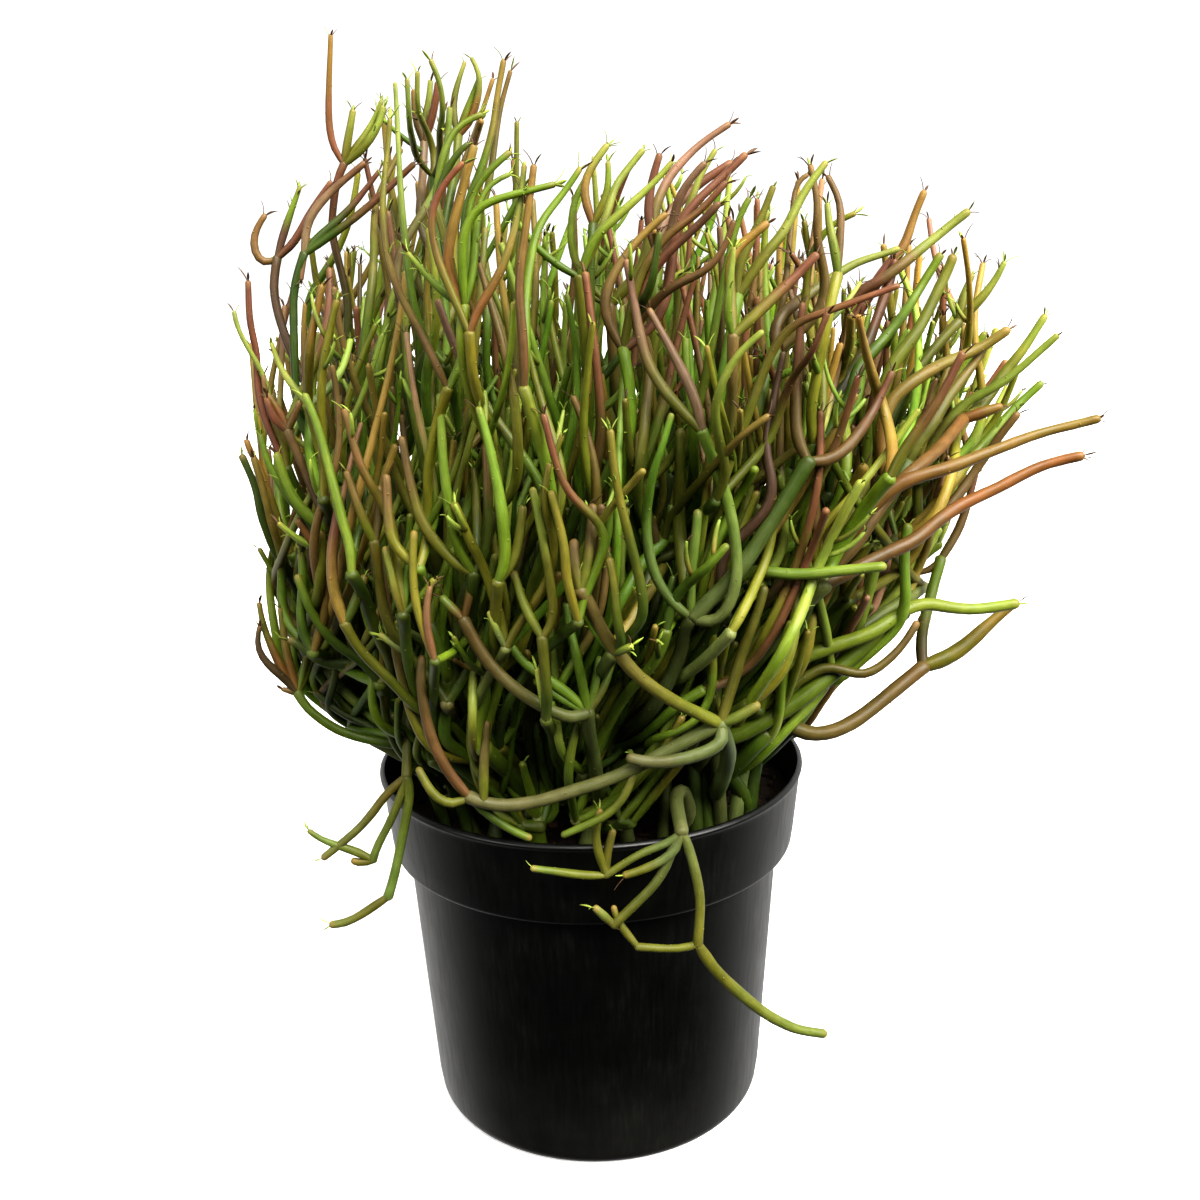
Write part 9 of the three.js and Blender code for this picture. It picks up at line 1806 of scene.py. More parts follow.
    "stem_back_1": """
p-- 238 221 354,1065,3818 293,973,3608 186,859,3332 83,780,3134 -118,658,2832 -169,612,2708 -167,591,2641 -145,566,2576 -12,446,2257
p-- 185 172 828,856,5509 731,923,5293 658,945,5059 568,917,4660 464,898,4439 454,890,4358 471,881,4277 506,872,4202
p-- 185 172 405,504,3419 258,465,3142 151,434,2938 67,403,2734 12,388,2463 -11,410,2191
p-- 221 205 256,757,5045 288,733,4895 327,690,4751 425,555,4489 439,527,4416 432,525,4339 419,545,4266 416,579,4196 455,654,4063
p-- 183 170 213,1130,5336 259,1066,5109 275,958,4895 272,863,4767 249,696,4601 241,651,4537 233,636,4461 211,651,4386 167,670,4327 104,685,4281
p-- 182 169 567,1475,5032 571,1490,4795 576,1478,4557 580,1431,4325 582,1379,4175 582,1197,3823 561,1179,3749 489,1157,3610 449,1123,3550 419,1065,3506 400,992,3477
p-- 207 192 457,608,5153 450,623,4914 428,650,4758 388,696,4611 303,784,4405 282,792,4328 254,767,4092 248,774,4012 239,797,3935 214,891,3802
p-- 218 203 491,838,5096 402,853,4789 379,847,4631 372,832,4473 377,824,4393 409,832,4322 463,855,4268 506,872,4202
p-- 193 180 372,1054,3377 286,977,3077 226,882,2864 159,712,2606 113,579,2420 46,411,2168
p-- 207 193 313,288,5713 224,373,5512 152,458,5305 103,543,5091 85,599,4945 81,705,4650 46,719,4498 40,708,4420 61,695,4346 104,685,4281
p-- 220 205 383,549,5411 344,558,5093 275,584,4863 181,621,4644 138,600,4409 124,630,4337 104,685,4281
p-- 191 177 180,475,5174 132,540,4877 110,588,4651 97,648,4348 104,685,4281
p-- 200 186 -94,931,3818 -124,859,3417 -114,832,3172 -64,836,3021 -13,847,2964 34,838,2903 59,800,2844 66,745,2806
p-- 228 212 70,1038,5011 82,1098,4703 130,1151,4478 215,1209,4266 290,1248,4136 419,1303,3956 442,1307,3884 437,1290,3809 414,1255,3747 372,1159,3637 366,1104,3583 400,992,3477
p-- 244 227 453,590,4460 382,602,4236 303,589,3933 182,539,3565 56,479,3201 46,482,3043 30,492,2967 -44,508,2830
p-- 200 186 388,697,3139 299,705,2914 240,684,2686 177,602,2472 114,517,2260
p-- 205 191 463,1165,5376 421,1229,5238 375,1276,5093 324,1301,4945 242,1298,4722 187,1277,4575 152,1251,4422 147,1223,4266 163,1162,4037 148,1132,3965 115,1098,3902 13,1029,3803
p-- 204 190 393,1396,4699 376,1309,4481 395,1248,4338 443,1186,4201 508,1121,4074 557,1013,3971
p-- 189 176 19,735,2731 84,619,2461 114,517,2260
p-- 228 212 264,889,5623 212,832,5319 170,806,5089 125,797,4858 60,812,4551 52,803,4474 59,775,4401 104,685,4281
p-- 185 172 671,1234,5152 650,1160,4770 645,1136,4382 615,1127,4310 535,1093,4180 515,1067,4109 524,1039,4037 557,1013,3971
p-- 195 181 775,910,3031 585,846,2895 477,799,2787 347,715,2609 230,619,2432 114,517,2260
p-- 182 170 230,1393,4090 223,1250,3888 211,1098,3692 193,938,3504 164,770,3324 156,725,3256 169,686,3186
p-- 185 172 309,409,4147 307,400,3909 286,401,3673 246,412,3438 192,430,3207 126,454,2980 76,471,2922 9,492,2886 -44,508,2830
p-- 232 216 666,945,4394 585,879,4182 517,827,4050 398,738,3866 241,600,3633 205,587,3564 161,591,3499 33,592,3410
p-- 201 187 359,1077,4678 280,1016,4365 218,934,4142 160,820,3934 67,586,3625 44,559,3554 29,563,3478 33,592,3410
p-- 197 183 313,1011,4325 304,945,4088 294,885,3850 294,830,3528 302,761,3127 291,745,3048 251,726,2978 -5,661,2754
p-- 225 209 301,927,5196 318,924,4881 309,922,4645 283,917,4332 248,917,4020 204,903,3872 214,891,3802
p-- 239 222 206,383,3125 139,389,2825 84,402,2609 -12,446,2257
p-- 230 214 620,1070,4948 581,1011,4724 553,994,4571 527,997,4416 502,1027,4184 496,1013,4107 463,900,3905 440,870,3838 408,863,3767 370,885,3702 332,929,3645
p-- 208 194 34,497,3599 5,485,3194 -14,449,2873 -23,418,2565 -11,410,2191
p-- 156 145 183,880,4639 107,950,4255 16,964,3948 11,984,3871 13,1029,3803
p-- 243 226 1032,1293,4561 896,1307,4271 759,1274,4080 561,1155,3863 478,1078,3751 434,1030,3707 332,929,3645
p-- 234 217 65,1160,4606 75,1127,4288 85,1057,3975 92,924,3599 81,896,3526 7,831,3310 36,786,3168
p-- 197 183 644,1025,5422 655,1025,5023 694,1079,4709 698,1094,4630 684,1102,4551 655,1097,4477 584,1039,4349 552,990,4295 506,872,4202
p-- 171 159 555,632,5693 565,597,5373 573,587,5132 582,590,4891 591,607,4650 579,606,4571 549,598,4497 439,582,4284 424,596,4207 432,622,4132 455,654,4063
p-- 175 163 795,858,5142 729,800,4834 649,754,4445 616,755,4372 577,777,4307 506,872,4202
p-- 206 191 -284,1485,4494 -244,1501,4337 -199,1499,4183 -147,1469,4034 -90,1412,3894 -29,1336,3765 34,1245,3650 124,1086,3505 140,1037,3447 125,1003,3381 81,972,3329 30,925,3300
p-- 239 222 43,1408,4659 -6,1393,4263 -37,1345,4030 -57,1292,3879 -83,1180,3667 -95,1038,3472 30,925,3300
s-- 253 245 506,872,4202 417,871,3995 340,872,3784 332,929,3645
s-- 265 257 104,685,4281 63,675,4041 20,665,3802 -2,647,3643 -1,633,3563 33,592,3410
s-- 256 248 455,654,4063 414,681,3834 329,708,3535 300,708,3463 183,679,3262 169,686,3186
s-- 261 253 214,891,3802 155,840,3510 104,795,3295 71,778,3231 36,786,3168
s-- 245 237 557,1013,3971 418,926,3701 402,933,3624 400,992,3477
s-- 238 231 13,1029,3803 53,967,3583 64,924,3437 48,865,3297 36,786,3168
s-- 293 285 332,929,3645 275,872,3411 154,773,3034 66,745,2806
s-- 284 275 400,992,3477 266,896,3208 163,828,3006 66,745,2806
s-- 307 298 33,592,3410 9,572,3243 -40,547,2994 -44,508,2830
s-- 303 294 36,786,3168 -88,748,2964 -126,715,2815 -130,693,2740 -123,666,2666 -70,569,2454 -12,446,2257
s-- 293 284 169,686,3186 35,673,3002 -56,633,2806 -70,591,2670 -42,514,2465 -12,446,2257
s-- 277 269 30,925,3300 15,863,3152 -46,736,2866 -35,700,2803 -5,661,2754
s-- 340 330 66,745,2806 69,646,2678 57,565,2542 -12,446,2257
s-- 357 346 -44,508,2830 -1,473,2538 46,411,2168
s-- 317 307 -5,661,2754 20,620,2532 114,517,2260
s-- 395 383 -12,446,2257 -11,410,2191
s-- 367 356 114,517,2260 46,411,2168
s-- 441 427 -11,410,2191 46,411,2168
s-- 511 496 46,411,2168 39,390,1849 38,384,1528
y-- 211 200 466,991,4332 484,920,4234 506,872,4202
y-- 146 138 519,683,3962 494,707,3904 426,774,3810 384,821,3786 340,872,3784
y-- 191 182 240,965,3444 151,938,3350 30,925,3300
y-- 212 202 769,903,4162 697,924,4058 652,943,4015 604,971,3984 557,1013,3971
y-- 181 172 242,1167,3688 288,1093,3595 400,992,3477
y-- 195 185 251,1006,3729 297,957,3663 332,929,3645
y-- 190 181 679,851,4177 615,904,4053 557,1013,3971
y-- 197 188 191,1318,4048 160,1249,3951 110,1168,3873 13,1029,3803
y-- 179 170 116,877,3896 176,883,3826 214,891,3802
y-- 185 176 572,745,3819 479,808,3735 332,929,3645
y-- 191 181 511,1162,3734 489,1131,3684 430,1053,3604 353,960,3567 314,910,3567
""",
    "stem_left_1": """
p-- 217 202 -930,490,5657 -929,553,5338 -928,575,5096 -945,560,4772 -958,536,4529 -956,524,4449 -937,499,4375 -813,386,4200
p-- 205 190 -549,172,5699 -598,148,5458 -664,111,5223 -782,42,4927 -924,-32,4655 -934,-24,4577 -970,-7,4506
p-- 187 174 -1312,702,4930 -1239,696,4612 -1159,690,4379 -1085,697,4145 -1033,713,3994 -937,749,3780 -905,723,3717 -883,665,3673 -844,464,3563
p-- 224 209 -941,948,4523 -903,938,4207 -887,907,4051 -873,855,3901 -863,782,3760 -855,646,3564 -836,588,3418 -830,549,3264 -871,488,3124 -952,399,3022
p-- 241 224 -928,-190,3606 -978,-178,3366 -1001,-148,3208 -1013,-99,3055 -1012,-34,2909 -996,45,2774 -957,125,2646 -764,269,2323
p-- 191 178 -1343,256,2863 -1139,210,2624 -909,206,2411 -731,209,2257
p-- 176 164 -997,88,3873 -1096,73,3484 -1184,129,3106 -1171,127,3033 -1158,96,2971
p-- 213 198 -1030,11,2644 -831,84,2431 -586,189,2169
p-- 164 152 -974,184,3476 -897,127,3177 -828,125,2953 -755,156,2735 -665,216,2453 -602,256,2240
p-- 195 181 -818,328,5615 -892,342,5383 -982,355,5156 -1122,353,4868 -1275,369,4600 -1286,370,4524 -1264,364,4450 -1168,349,4344
p-- 206 192 -962,298,4202 -982,339,3885 -1026,323,3650 -1097,264,3431 -1211,131,3175 -1207,99,3111 -1173,85,3042 -1158,96,2971
p-- 181 168 -709,338,5310 -744,353,4992 -755,358,4670 -781,370,4272 -813,386,4200
p-- 197 184 -1430,380,3768 -1361,367,3540 -1282,374,3314 -1192,400,3095 -1073,455,2811 -1014,462,2673 -888,373,2495 -764,269,2323
p-- 176 164 -1099,596,5816 -1101,594,5426 -1071,615,5117 -998,635,4815 -937,646,4590 -900,663,4523
p-- 222 207 -999,247,5587 -1024,252,5347 -1068,255,5192 -1133,254,5045 -1255,236,4839 -1277,223,4762 -1280,212,4683 -1266,210,4604 -1243,222,4528 -1216,252,4459 -1168,349,4344
p-- 160 149 -1273,-116,5157 -1239,-101,4842 -1232,-38,4531 -1251,44,4308 -1312,188,4032 -1320,216,3959 -1308,238,3804 -1277,265,3653 -1263,293,3582 -1248,375,3456
p-- 222 206 -681,519,4091 -718,520,3858 -782,516,3631 -843,507,3487 -995,479,3218 -997,474,3141 -975,450,3072 -952,399,3022
p-- 200 186 -1136,779,4172 -1126,723,3866 -1080,645,3567 -1022,576,3352 -965,496,3142 -961,461,3072 -952,399,3022
p-- 196 183 -943,270,4746 -922,204,4446 -908,139,4068 -941,124,3920 -925,135,3847
p-- 239 222 -715,-40,5703 -748,-42,5469 -788,-33,5235 -905,-15,4945 -922,-3,4869 -909,29,4715 -909,31,4637 -932,17,4566 -970,-7,4506
p-- 204 190 -1349,626,4036 -1331,575,3810 -1282,519,3589 -1232,471,3449 -1099,380,3186 -1099,373,3110 -1118,393,3039
p-- 196 182 -700,42,4835 -815,121,4534 -901,125,4301 -930,116,4224 -976,105,4157 -1099,70,4052
p-- 202 188 -1489,89,3892 -1445,179,3587 -1402,251,3361 -1341,330,3141 -1261,461,2858 -1222,467,2792 -1172,450,2739 -970,347,2545 -787,275,2312
p-- 227 211 -1125,-2,5497 -1069,-34,5103 -1047,-45,4864 -1029,-49,4624 -979,-46,4391 -970,-36,4312 -978,-18,4235 -1005,7,4164 -1099,70,4052
p-- 189 176 -959,458,3487 -994,429,3174 -1038,416,3023 -1129,394,2814 -1139,383,2738 -1118,369,2666 -983,314,2504 -731,209,2257
p-- 202 187 -860,287,3088 -915,283,2845 -918,277,2683 -787,275,2312
p-- 187 174 -1252,462,4203 -1223,508,3963 -1172,512,3722 -1124,486,3567 -1042,416,3345 -1031,399,3266 -1044,390,3185 -1118,393,3039
p-- 229 213 -1098,457,2662 -916,354,2443 -731,209,2257
p-- 196 182 -1134,-145,5778 -1084,-131,5465 -1011,-61,5165 -916,59,4887 -809,215,4632 -799,240,4557 -817,266,4402 -824,292,4327 -813,386,4200
p-- 224 209 -1076,262,6016 -1064,282,5629 -1010,301,5324 -965,313,5095 -976,309,5019 -1057,274,4894
p-- 195 181 -785,695,4388 -828,648,4151 -904,613,3920 -1010,591,3700 -1183,580,3429 -1205,578,3353 -1195,573,3273 -1165,554,3202 -1133,518,3138 -1116,462,3083 -1118,393,3039
p-- 202 187 -1255,498,3813 -1283,468,3577 -1283,436,3338 -1264,414,3181 -1220,387,3030 -1155,361,2887 -1035,350,2779 -908,320,2686 -862,282,2631 -807,181,2517
p-- 231 215 -976,188,5187 -990,227,4947 -1032,235,4707 -1075,221,4552 -1178,157,4253 -1165,143,4176 -1099,70,4052
p-- 189 176 -767,325,2721 -653,281,2454 -602,256,2240
p-- 204 190 -455,389,6207 -545,397,5982 -644,418,5763 -791,466,5481 -941,525,5203 -955,526,5124 -948,521,5044 -923,511,4969 -837,495,4835 -726,491,4720
p-- 172 160 -1059,5,4871 -1074,-19,4554 -1106,-20,4399 -1155,-11,4250 -1159,0,4172 -1135,27,4103 -1099,70,4052
p-- 184 171 -989,425,3918 -974,394,3677 -975,369,3435 -998,344,3197 -1045,311,2970 -1046,295,2893 -1016,276,2823 -866,218,2650 -807,181,2517
p-- 191 177 -643,489,3796 -671,494,3562 -712,465,3333 -769,390,3117 -809,317,2979 -815,284,2905 -807,256,2827 -777,223,2665 -769,236,2495 -764,269,2323
p-- 229 213 -1216,488,5602 -1190,500,5446 -1145,522,5295 -1078,559,5156 -955,630,4967 -935,631,4891 -943,606,4738 -943,607,4659 -928,627,4587 -900,663,4523
p-- 187 174 -618,-152,4098 -664,-158,3869 -746,-131,3653 -862,-60,3464 -1034,93,3252 -1074,107,3188 -1158,96,2971
s-- 265 257 -726,491,4720 -720,440,4326 -760,391,3935 -794,398,3782 -844,464,3563
s-- 260 252 -1057,274,4894 -1014,300,4594 -1028,309,4520 -1168,349,4344
s-- 266 258 -900,663,4523 -947,600,4227 -975,547,3926 -965,507,3779 -938,430,3651
s-- 277 269 -970,-7,4506 -935,57,4216 -930,135,3921 -925,135,3847
s-- 302 293 -1168,349,4344 -1231,401,4130 -1261,425,3904 -1257,423,3598 -1243,409,3524 -1248,375,3456
s-- 268 260 -1099,70,4052 -1126,10,3745 -1132,0,3431 -1135,22,3276 -1158,96,2971
s-- 252 244 -813,386,4200 -843,355,3868 -864,366,3788 -938,430,3651
s-- 308 299 -938,430,3651 -916,416,3414 -915,394,3177 -952,399,3022
s-- 308 298 -844,464,3563 -839,408,3319 -854,358,3077 -862,310,2842 -839,251,2703
s-- 323 313 -1248,375,3456 -1244,284,3147 -1224,248,2992 -1139,221,2860 -898,192,2645 -807,181,2517
s-- 316 307 -925,135,3847 -953,110,3532 -973,114,3217 -968,123,3139 -935,157,2988 -839,251,2703
s-- 358 347 -952,399,3022 -914,389,2795 -869,367,2650 -748,287,2380 -625,214,2199
s-- 311 302 -1158,96,2971 -1132,131,2824 -1068,154,2683 -931,171,2488 -727,191,2242
s-- 237 230 -1118,393,3039 -1084,335,2891 -1023,282,2750 -930,228,2626 -807,181,2517
s-- 367 356 -839,251,2703 -805,275,2641 -738,283,2509 -602,256,2240
s-- 375 363 -807,181,2517 -586,189,2169
s-- 279 271 -764,269,2323 -602,256,2240
s-- 235 228 -787,275,2312 -602,256,2240
s-- 266 258 -731,209,2257 -727,191,2242
s-- 361 350 -727,191,2242 -625,214,2199
s-- 426 413 -602,256,2240 -625,214,2199
s-- 494 479 -625,214,2199 -586,189,2169
s-- 560 543 -586,189,2169 -500,169,1945 -489,159,1865 -480,156,1541
y-- 207 197 -1065,427,3721 -986,427,3662 -938,430,3651
y-- 162 154 -870,679,3793 -895,560,3708 -938,430,3651
y-- 192 182 -1229,463,4567 -1207,422,4444 -1168,349,4344
y-- 183 174 -475,410,4939 -514,421,4882 -612,448,4787 -726,491,4720
y-- 207 196 -926,500,4291 -853,430,4219 -813,386,4200
y-- 146 139 -921,355,4278 -813,386,4200
y-- 179 170 -1010,313,3407 -960,306,3172 -940,283,3056 -916,227,2953 -911,179,2916
y-- 188 178 -1192,118,3716 -1108,117,3556 -1015,113,3478 -959,108,3453
y-- 155 148 -1048,415,4979 -906,422,4707 -823,438,4619 -719,469,4563
y-- 176 167 -868,201,4395 -838,270,4277 -813,386,4200
y-- 189 179 -838,572,4050 -870,517,3867 -882,485,3812 -901,398,3719
y-- 192 182 -811,787,3922 -798,740,3801 -795,676,3688 -808,581,3600 -822,524,3572 -844,464,3563
y-- 174 165 -1414,237,3924 -1369,237,3727 -1326,266,3603 -1303,292,3545 -1248,375,3456
y-- 191 182 -934,2,3966 -927,34,3915 -925,135,3847
y-- 167 159 -1021,320,4000 -979,242,3901 -956,191,3866 -925,135,3847
y-- 198 188 -814,195,4100 -816,228,3918 -832,278,3807 -872,349,3715 -938,430,3651
y-- 199 189 -905,569,4355 -848,505,4194 -781,444,4112 -737,407,4091
b-- 411 276 -764,269,2323 -729,271,2290 -722,282,2242 -734,299,2181 -756,318,2108 -780,336,2024 -799,352,1880
""",
    "stem_back_3": """
p-- 240 223 379,1566,3475 374,1436,3175 359,1309,2967 290,1086,2640 198,897,2396
p-- 188 175 682,1926,4355 596,1882,4130 476,1855,3750 425,1819,3603 378,1771,3461 300,1651,3215 238,1564,3020
p-- 242 225 901,1358,3973 819,1383,3747 739,1376,3520 650,1393,3302 453,1421,2972 420,1411,2900 383,1339,2767 367,1189,2602 364,1112,2478
p-- 192 178 531,1687,4349 451,1654,4119 373,1629,3887 268,1617,3576 190,1603,3338 175,1598,3255 189,1601,3174 222,1596,3101 238,1564,3020
p-- 161 150 672,1177,3376 506,1144,3021 370,1071,2757 306,1016,2633 258,919,2438 188,813,2258
p-- 236 220 560,953,3009 469,897,2791 351,860,2505 212,801,2156
p-- 217 202 496,1502,4422 427,1514,4190 364,1527,3956 312,1543,3720 268,1554,3483 247,1523,3412 243,1468,3353 264,1402,3306
p-- 202 188 666,1386,4764 707,1416,4534 739,1493,4315 753,1617,4116 747,1770,3945 728,1814,3883 688,1835,3821 635,1830,3764 491,1768,3593
p-- 164 152 673,1637,3820 650,1637,3583 618,1627,3415 569,1598,3232 533,1566,3137 370,1416,2854 311,1279,2630 238,1058,2355
p-- 235 219 86,1581,3582 73,1513,3362 55,1435,3143 16,1266,2788 20,1224,2719 89,1121,2508
p-- 189 176 813,1621,4542 733,1609,4229 629,1646,3842 603,1664,3769 491,1768,3593
p-- 225 210 -162,1054,2699 30,935,2395 206,798,2090
p-- 183 170 551,1553,3300 428,1533,3193 223,1520,3048 161,1503,3002 134,1455,2946 156,1321,2839
p-- 208 193 1113,1876,4400 992,1829,4090 829,1754,3698 747,1695,3473 691,1648,3358 504,1482,3132
p-- 191 178 1120,1499,4712 1166,1545,4482 1171,1575,4325 1149,1602,4171 1099,1625,4023 970,1642,3830 862,1638,3716 765,1615,3592 654,1571,3389 504,1482,3132
p-- 221 206 570,1319,3561 445,1308,3258 337,1300,3034 236,1286,2805 190,1307,2669 173,1283,2597
p-- 194 181 339,1632,4047 362,1681,3740 375,1674,3506 383,1641,3352 391,1587,3197 379,1537,3038 326,1416,2840 300,1335,2746 304,1087,2525
p-- 185 172 269,1046,2849 246,992,2708 234,884,2435 212,801,2156
p-- 188 175 1086,1403,3371 848,1322,3044 662,1216,2817 547,1150,2635 396,1016,2417 220,876,2218
p-- 193 180 684,1368,3041 556,1260,2879 448,1171,2694 419,1139,2630 337,1011,2452 259,886,2268
p-- 234 217 643,1405,4016 643,1453,3857 615,1491,3701 586,1503,3628 505,1516,3492 459,1513,3426 429,1481,3361 422,1372,3259
p-- 180 168 339,1308,3228 153,1316,2942 94,1333,2787 86,1338,2708 88,1318,2634 93,1260,2584 89,1121,2508
p-- 237 220 749,1556,4122 690,1537,3819 595,1524,3514 524,1505,3288 504,1482,3132
p-- 219 204 911,1824,4520 866,1692,4330 810,1571,4136 699,1441,3873 588,1375,3675 471,1321,3478 443,1323,3405 422,1372,3259
p-- 231 214 653,1752,4110 541,1700,3822 450,1613,3532 412,1506,3241 374,1420,2947 351,1335,2821 304,1087,2525
p-- 222 207 1161,1672,4089 1116,1610,3867 1039,1562,3649 887,1527,3370 696,1490,3109 614,1428,2978 476,1260,2683 364,1112,2478
p-- 207 193 885,1728,4237 810,1660,3941 710,1562,3663 646,1504,3534 531,1424,3350 484,1404,3291 422,1372,3259
p-- 177 164 471,1763,3842 467,1708,3693 444,1659,3541 336,1569,3250 270,1501,3113 156,1321,2839
p-- 200 186 451,1743,4788 487,1664,4400 476,1601,4170 431,1519,3950 306,1359,3607 287,1342,3532 274,1347,3453 264,1402,3306
p-- 220 205 356,1510,3072 298,1417,2888 272,1324,2783 261,1157,2645 304,1087,2525
p-- 208 194 546,1763,3507 453,1708,3361 372,1627,3219 344,1581,3145 277,1471,2909 242,1333,2693 236,1229,2555 238,1058,2355
p-- 183 170 26,1785,3652 21,1698,3440 16,1620,3215 18,1546,3073 -5,1434,2860 4,1329,2740 42,1207,2638 89,1121,2508
p-- 244 227 250,1393,3680 219,1400,3443 177,1370,3211 134,1289,2993 133,1206,2857 85,1123,2733
p-- 228 212 369,1226,2924 343,1086,2657 283,943,2405 212,801,2156
p-- 206 192 533,1915,4632 550,1811,4325 557,1718,4101 558,1611,3883 553,1449,3603 536,1411,3536 442,1367,3415 417,1365,3339 422,1372,3259
p-- 160 149 113,1210,2620 163,1011,2319 198,808,2032
p-- 242 225 479,1532,3779 479,1562,3538 469,1586,3298 467,1576,3223 472,1549,3154 490,1476,3005 484,1436,2930 465,1395,2868 371,1196,2690 304,1087,2525
p-- 231 215 815,1720,3741 774,1620,3505 726,1567,3342 659,1509,3181 542,1405,2938 400,1252,2621 238,1058,2355
p-- 188 175 812,1324,3088 675,1305,2879 558,1236,2695 418,1093,2502 259,886,2268
p-- 194 180 1371,1619,4394 1249,1582,4186 1165,1579,4047 941,1651,3709 834,1675,3588 585,1680,3361 292,1594,3090 238,1564,3020
p-- 242 225 765,1554,3459 706,1464,3238 652,1403,3096 510,1281,2824 400,1186,2627 364,1112,2478
p-- 212 197 258,1192,2588 236,1019,2351 200,799,2057
p-- 185 172 614,1686,4945 511,1724,4560 410,1771,4182 351,1823,3828 370,1823,3758 413,1811,3700 461,1788,3657 491,1768,3593
p-- 216 201 397,1608,5072 408,1728,4871 417,1794,4729 429,1843,4582 442,1874,4431 464,1886,4200 474,1876,4047 483,1819,3822 491,1768,3593
p-- 191 177 134,1622,3813 104,1609,3498 100,1562,3256 101,1501,2999 113,1446,2827 130,1352,2689 173,1283,2597
s-- 250 243 491,1768,3593 464,1706,3458 400,1571,3281 308,1450,3099 181,1358,2909 156,1321,2839
s-- 252 244 264,1402,3306 205,1319,3172 110,1214,2962 88,1181,2889 85,1123,2733
s-- 274 266 504,1482,3132 345,1333,2908 248,1190,2747 227,1139,2691 198,897,2396
s-- 225 218 238,1564,3020 237,1390,2910 188,1218,2779 170,1125,2652 172,1038,2513 188,832,2257
s-- 271 263 422,1372,3259 253,1276,2994 189,1209,2858 177,1160,2792 178,1056,2670 198,897,2396
s-- 290 282 156,1321,2839 191,1186,2645 225,1037,2458 259,886,2268
s-- 281 272 364,1112,2478 188,832,2257
s-- 280 272 304,1087,2525 220,876,2218
s-- 292 283 85,1123,2733 128,975,2496 197,789,2206
s-- 268 260 238,1058,2355 198,808,2032
s-- 318 309 198,897,2396 188,813,2258
s-- 273 265 89,1121,2508 141,967,2282 200,799,2057
s-- 257 249 173,1283,2597 191,1046,2405 197,789,2206
s-- 326 316 188,832,2257 197,789,2206
s-- 338 328 188,813,2258 197,789,2206
s-- 337 327 259,886,2268 220,876,2218
s-- 391 379 220,876,2218 212,801,2156
s-- 392 381 197,789,2206 212,801,2156
s-- 455 441 212,801,2156 206,798,2090
s-- 482 468 206,798,2090 200,799,2057
s-- 540 524 200,799,2057 198,808,2032
s-- 560 543 198,808,2032 208,782,1959 184,764,1886 178,748,1495
b-- 367 266 238,1058,2355 251,1011,2305 289,951,2248 344,885,2185 403,821,2112 456,766,2029 504,716,1880
b-- 306 249 264,1402,3306 231,1283,3153 250,1124,2984 303,944,2793 371,767,2575 438,614,2326 496,475,1880
""",
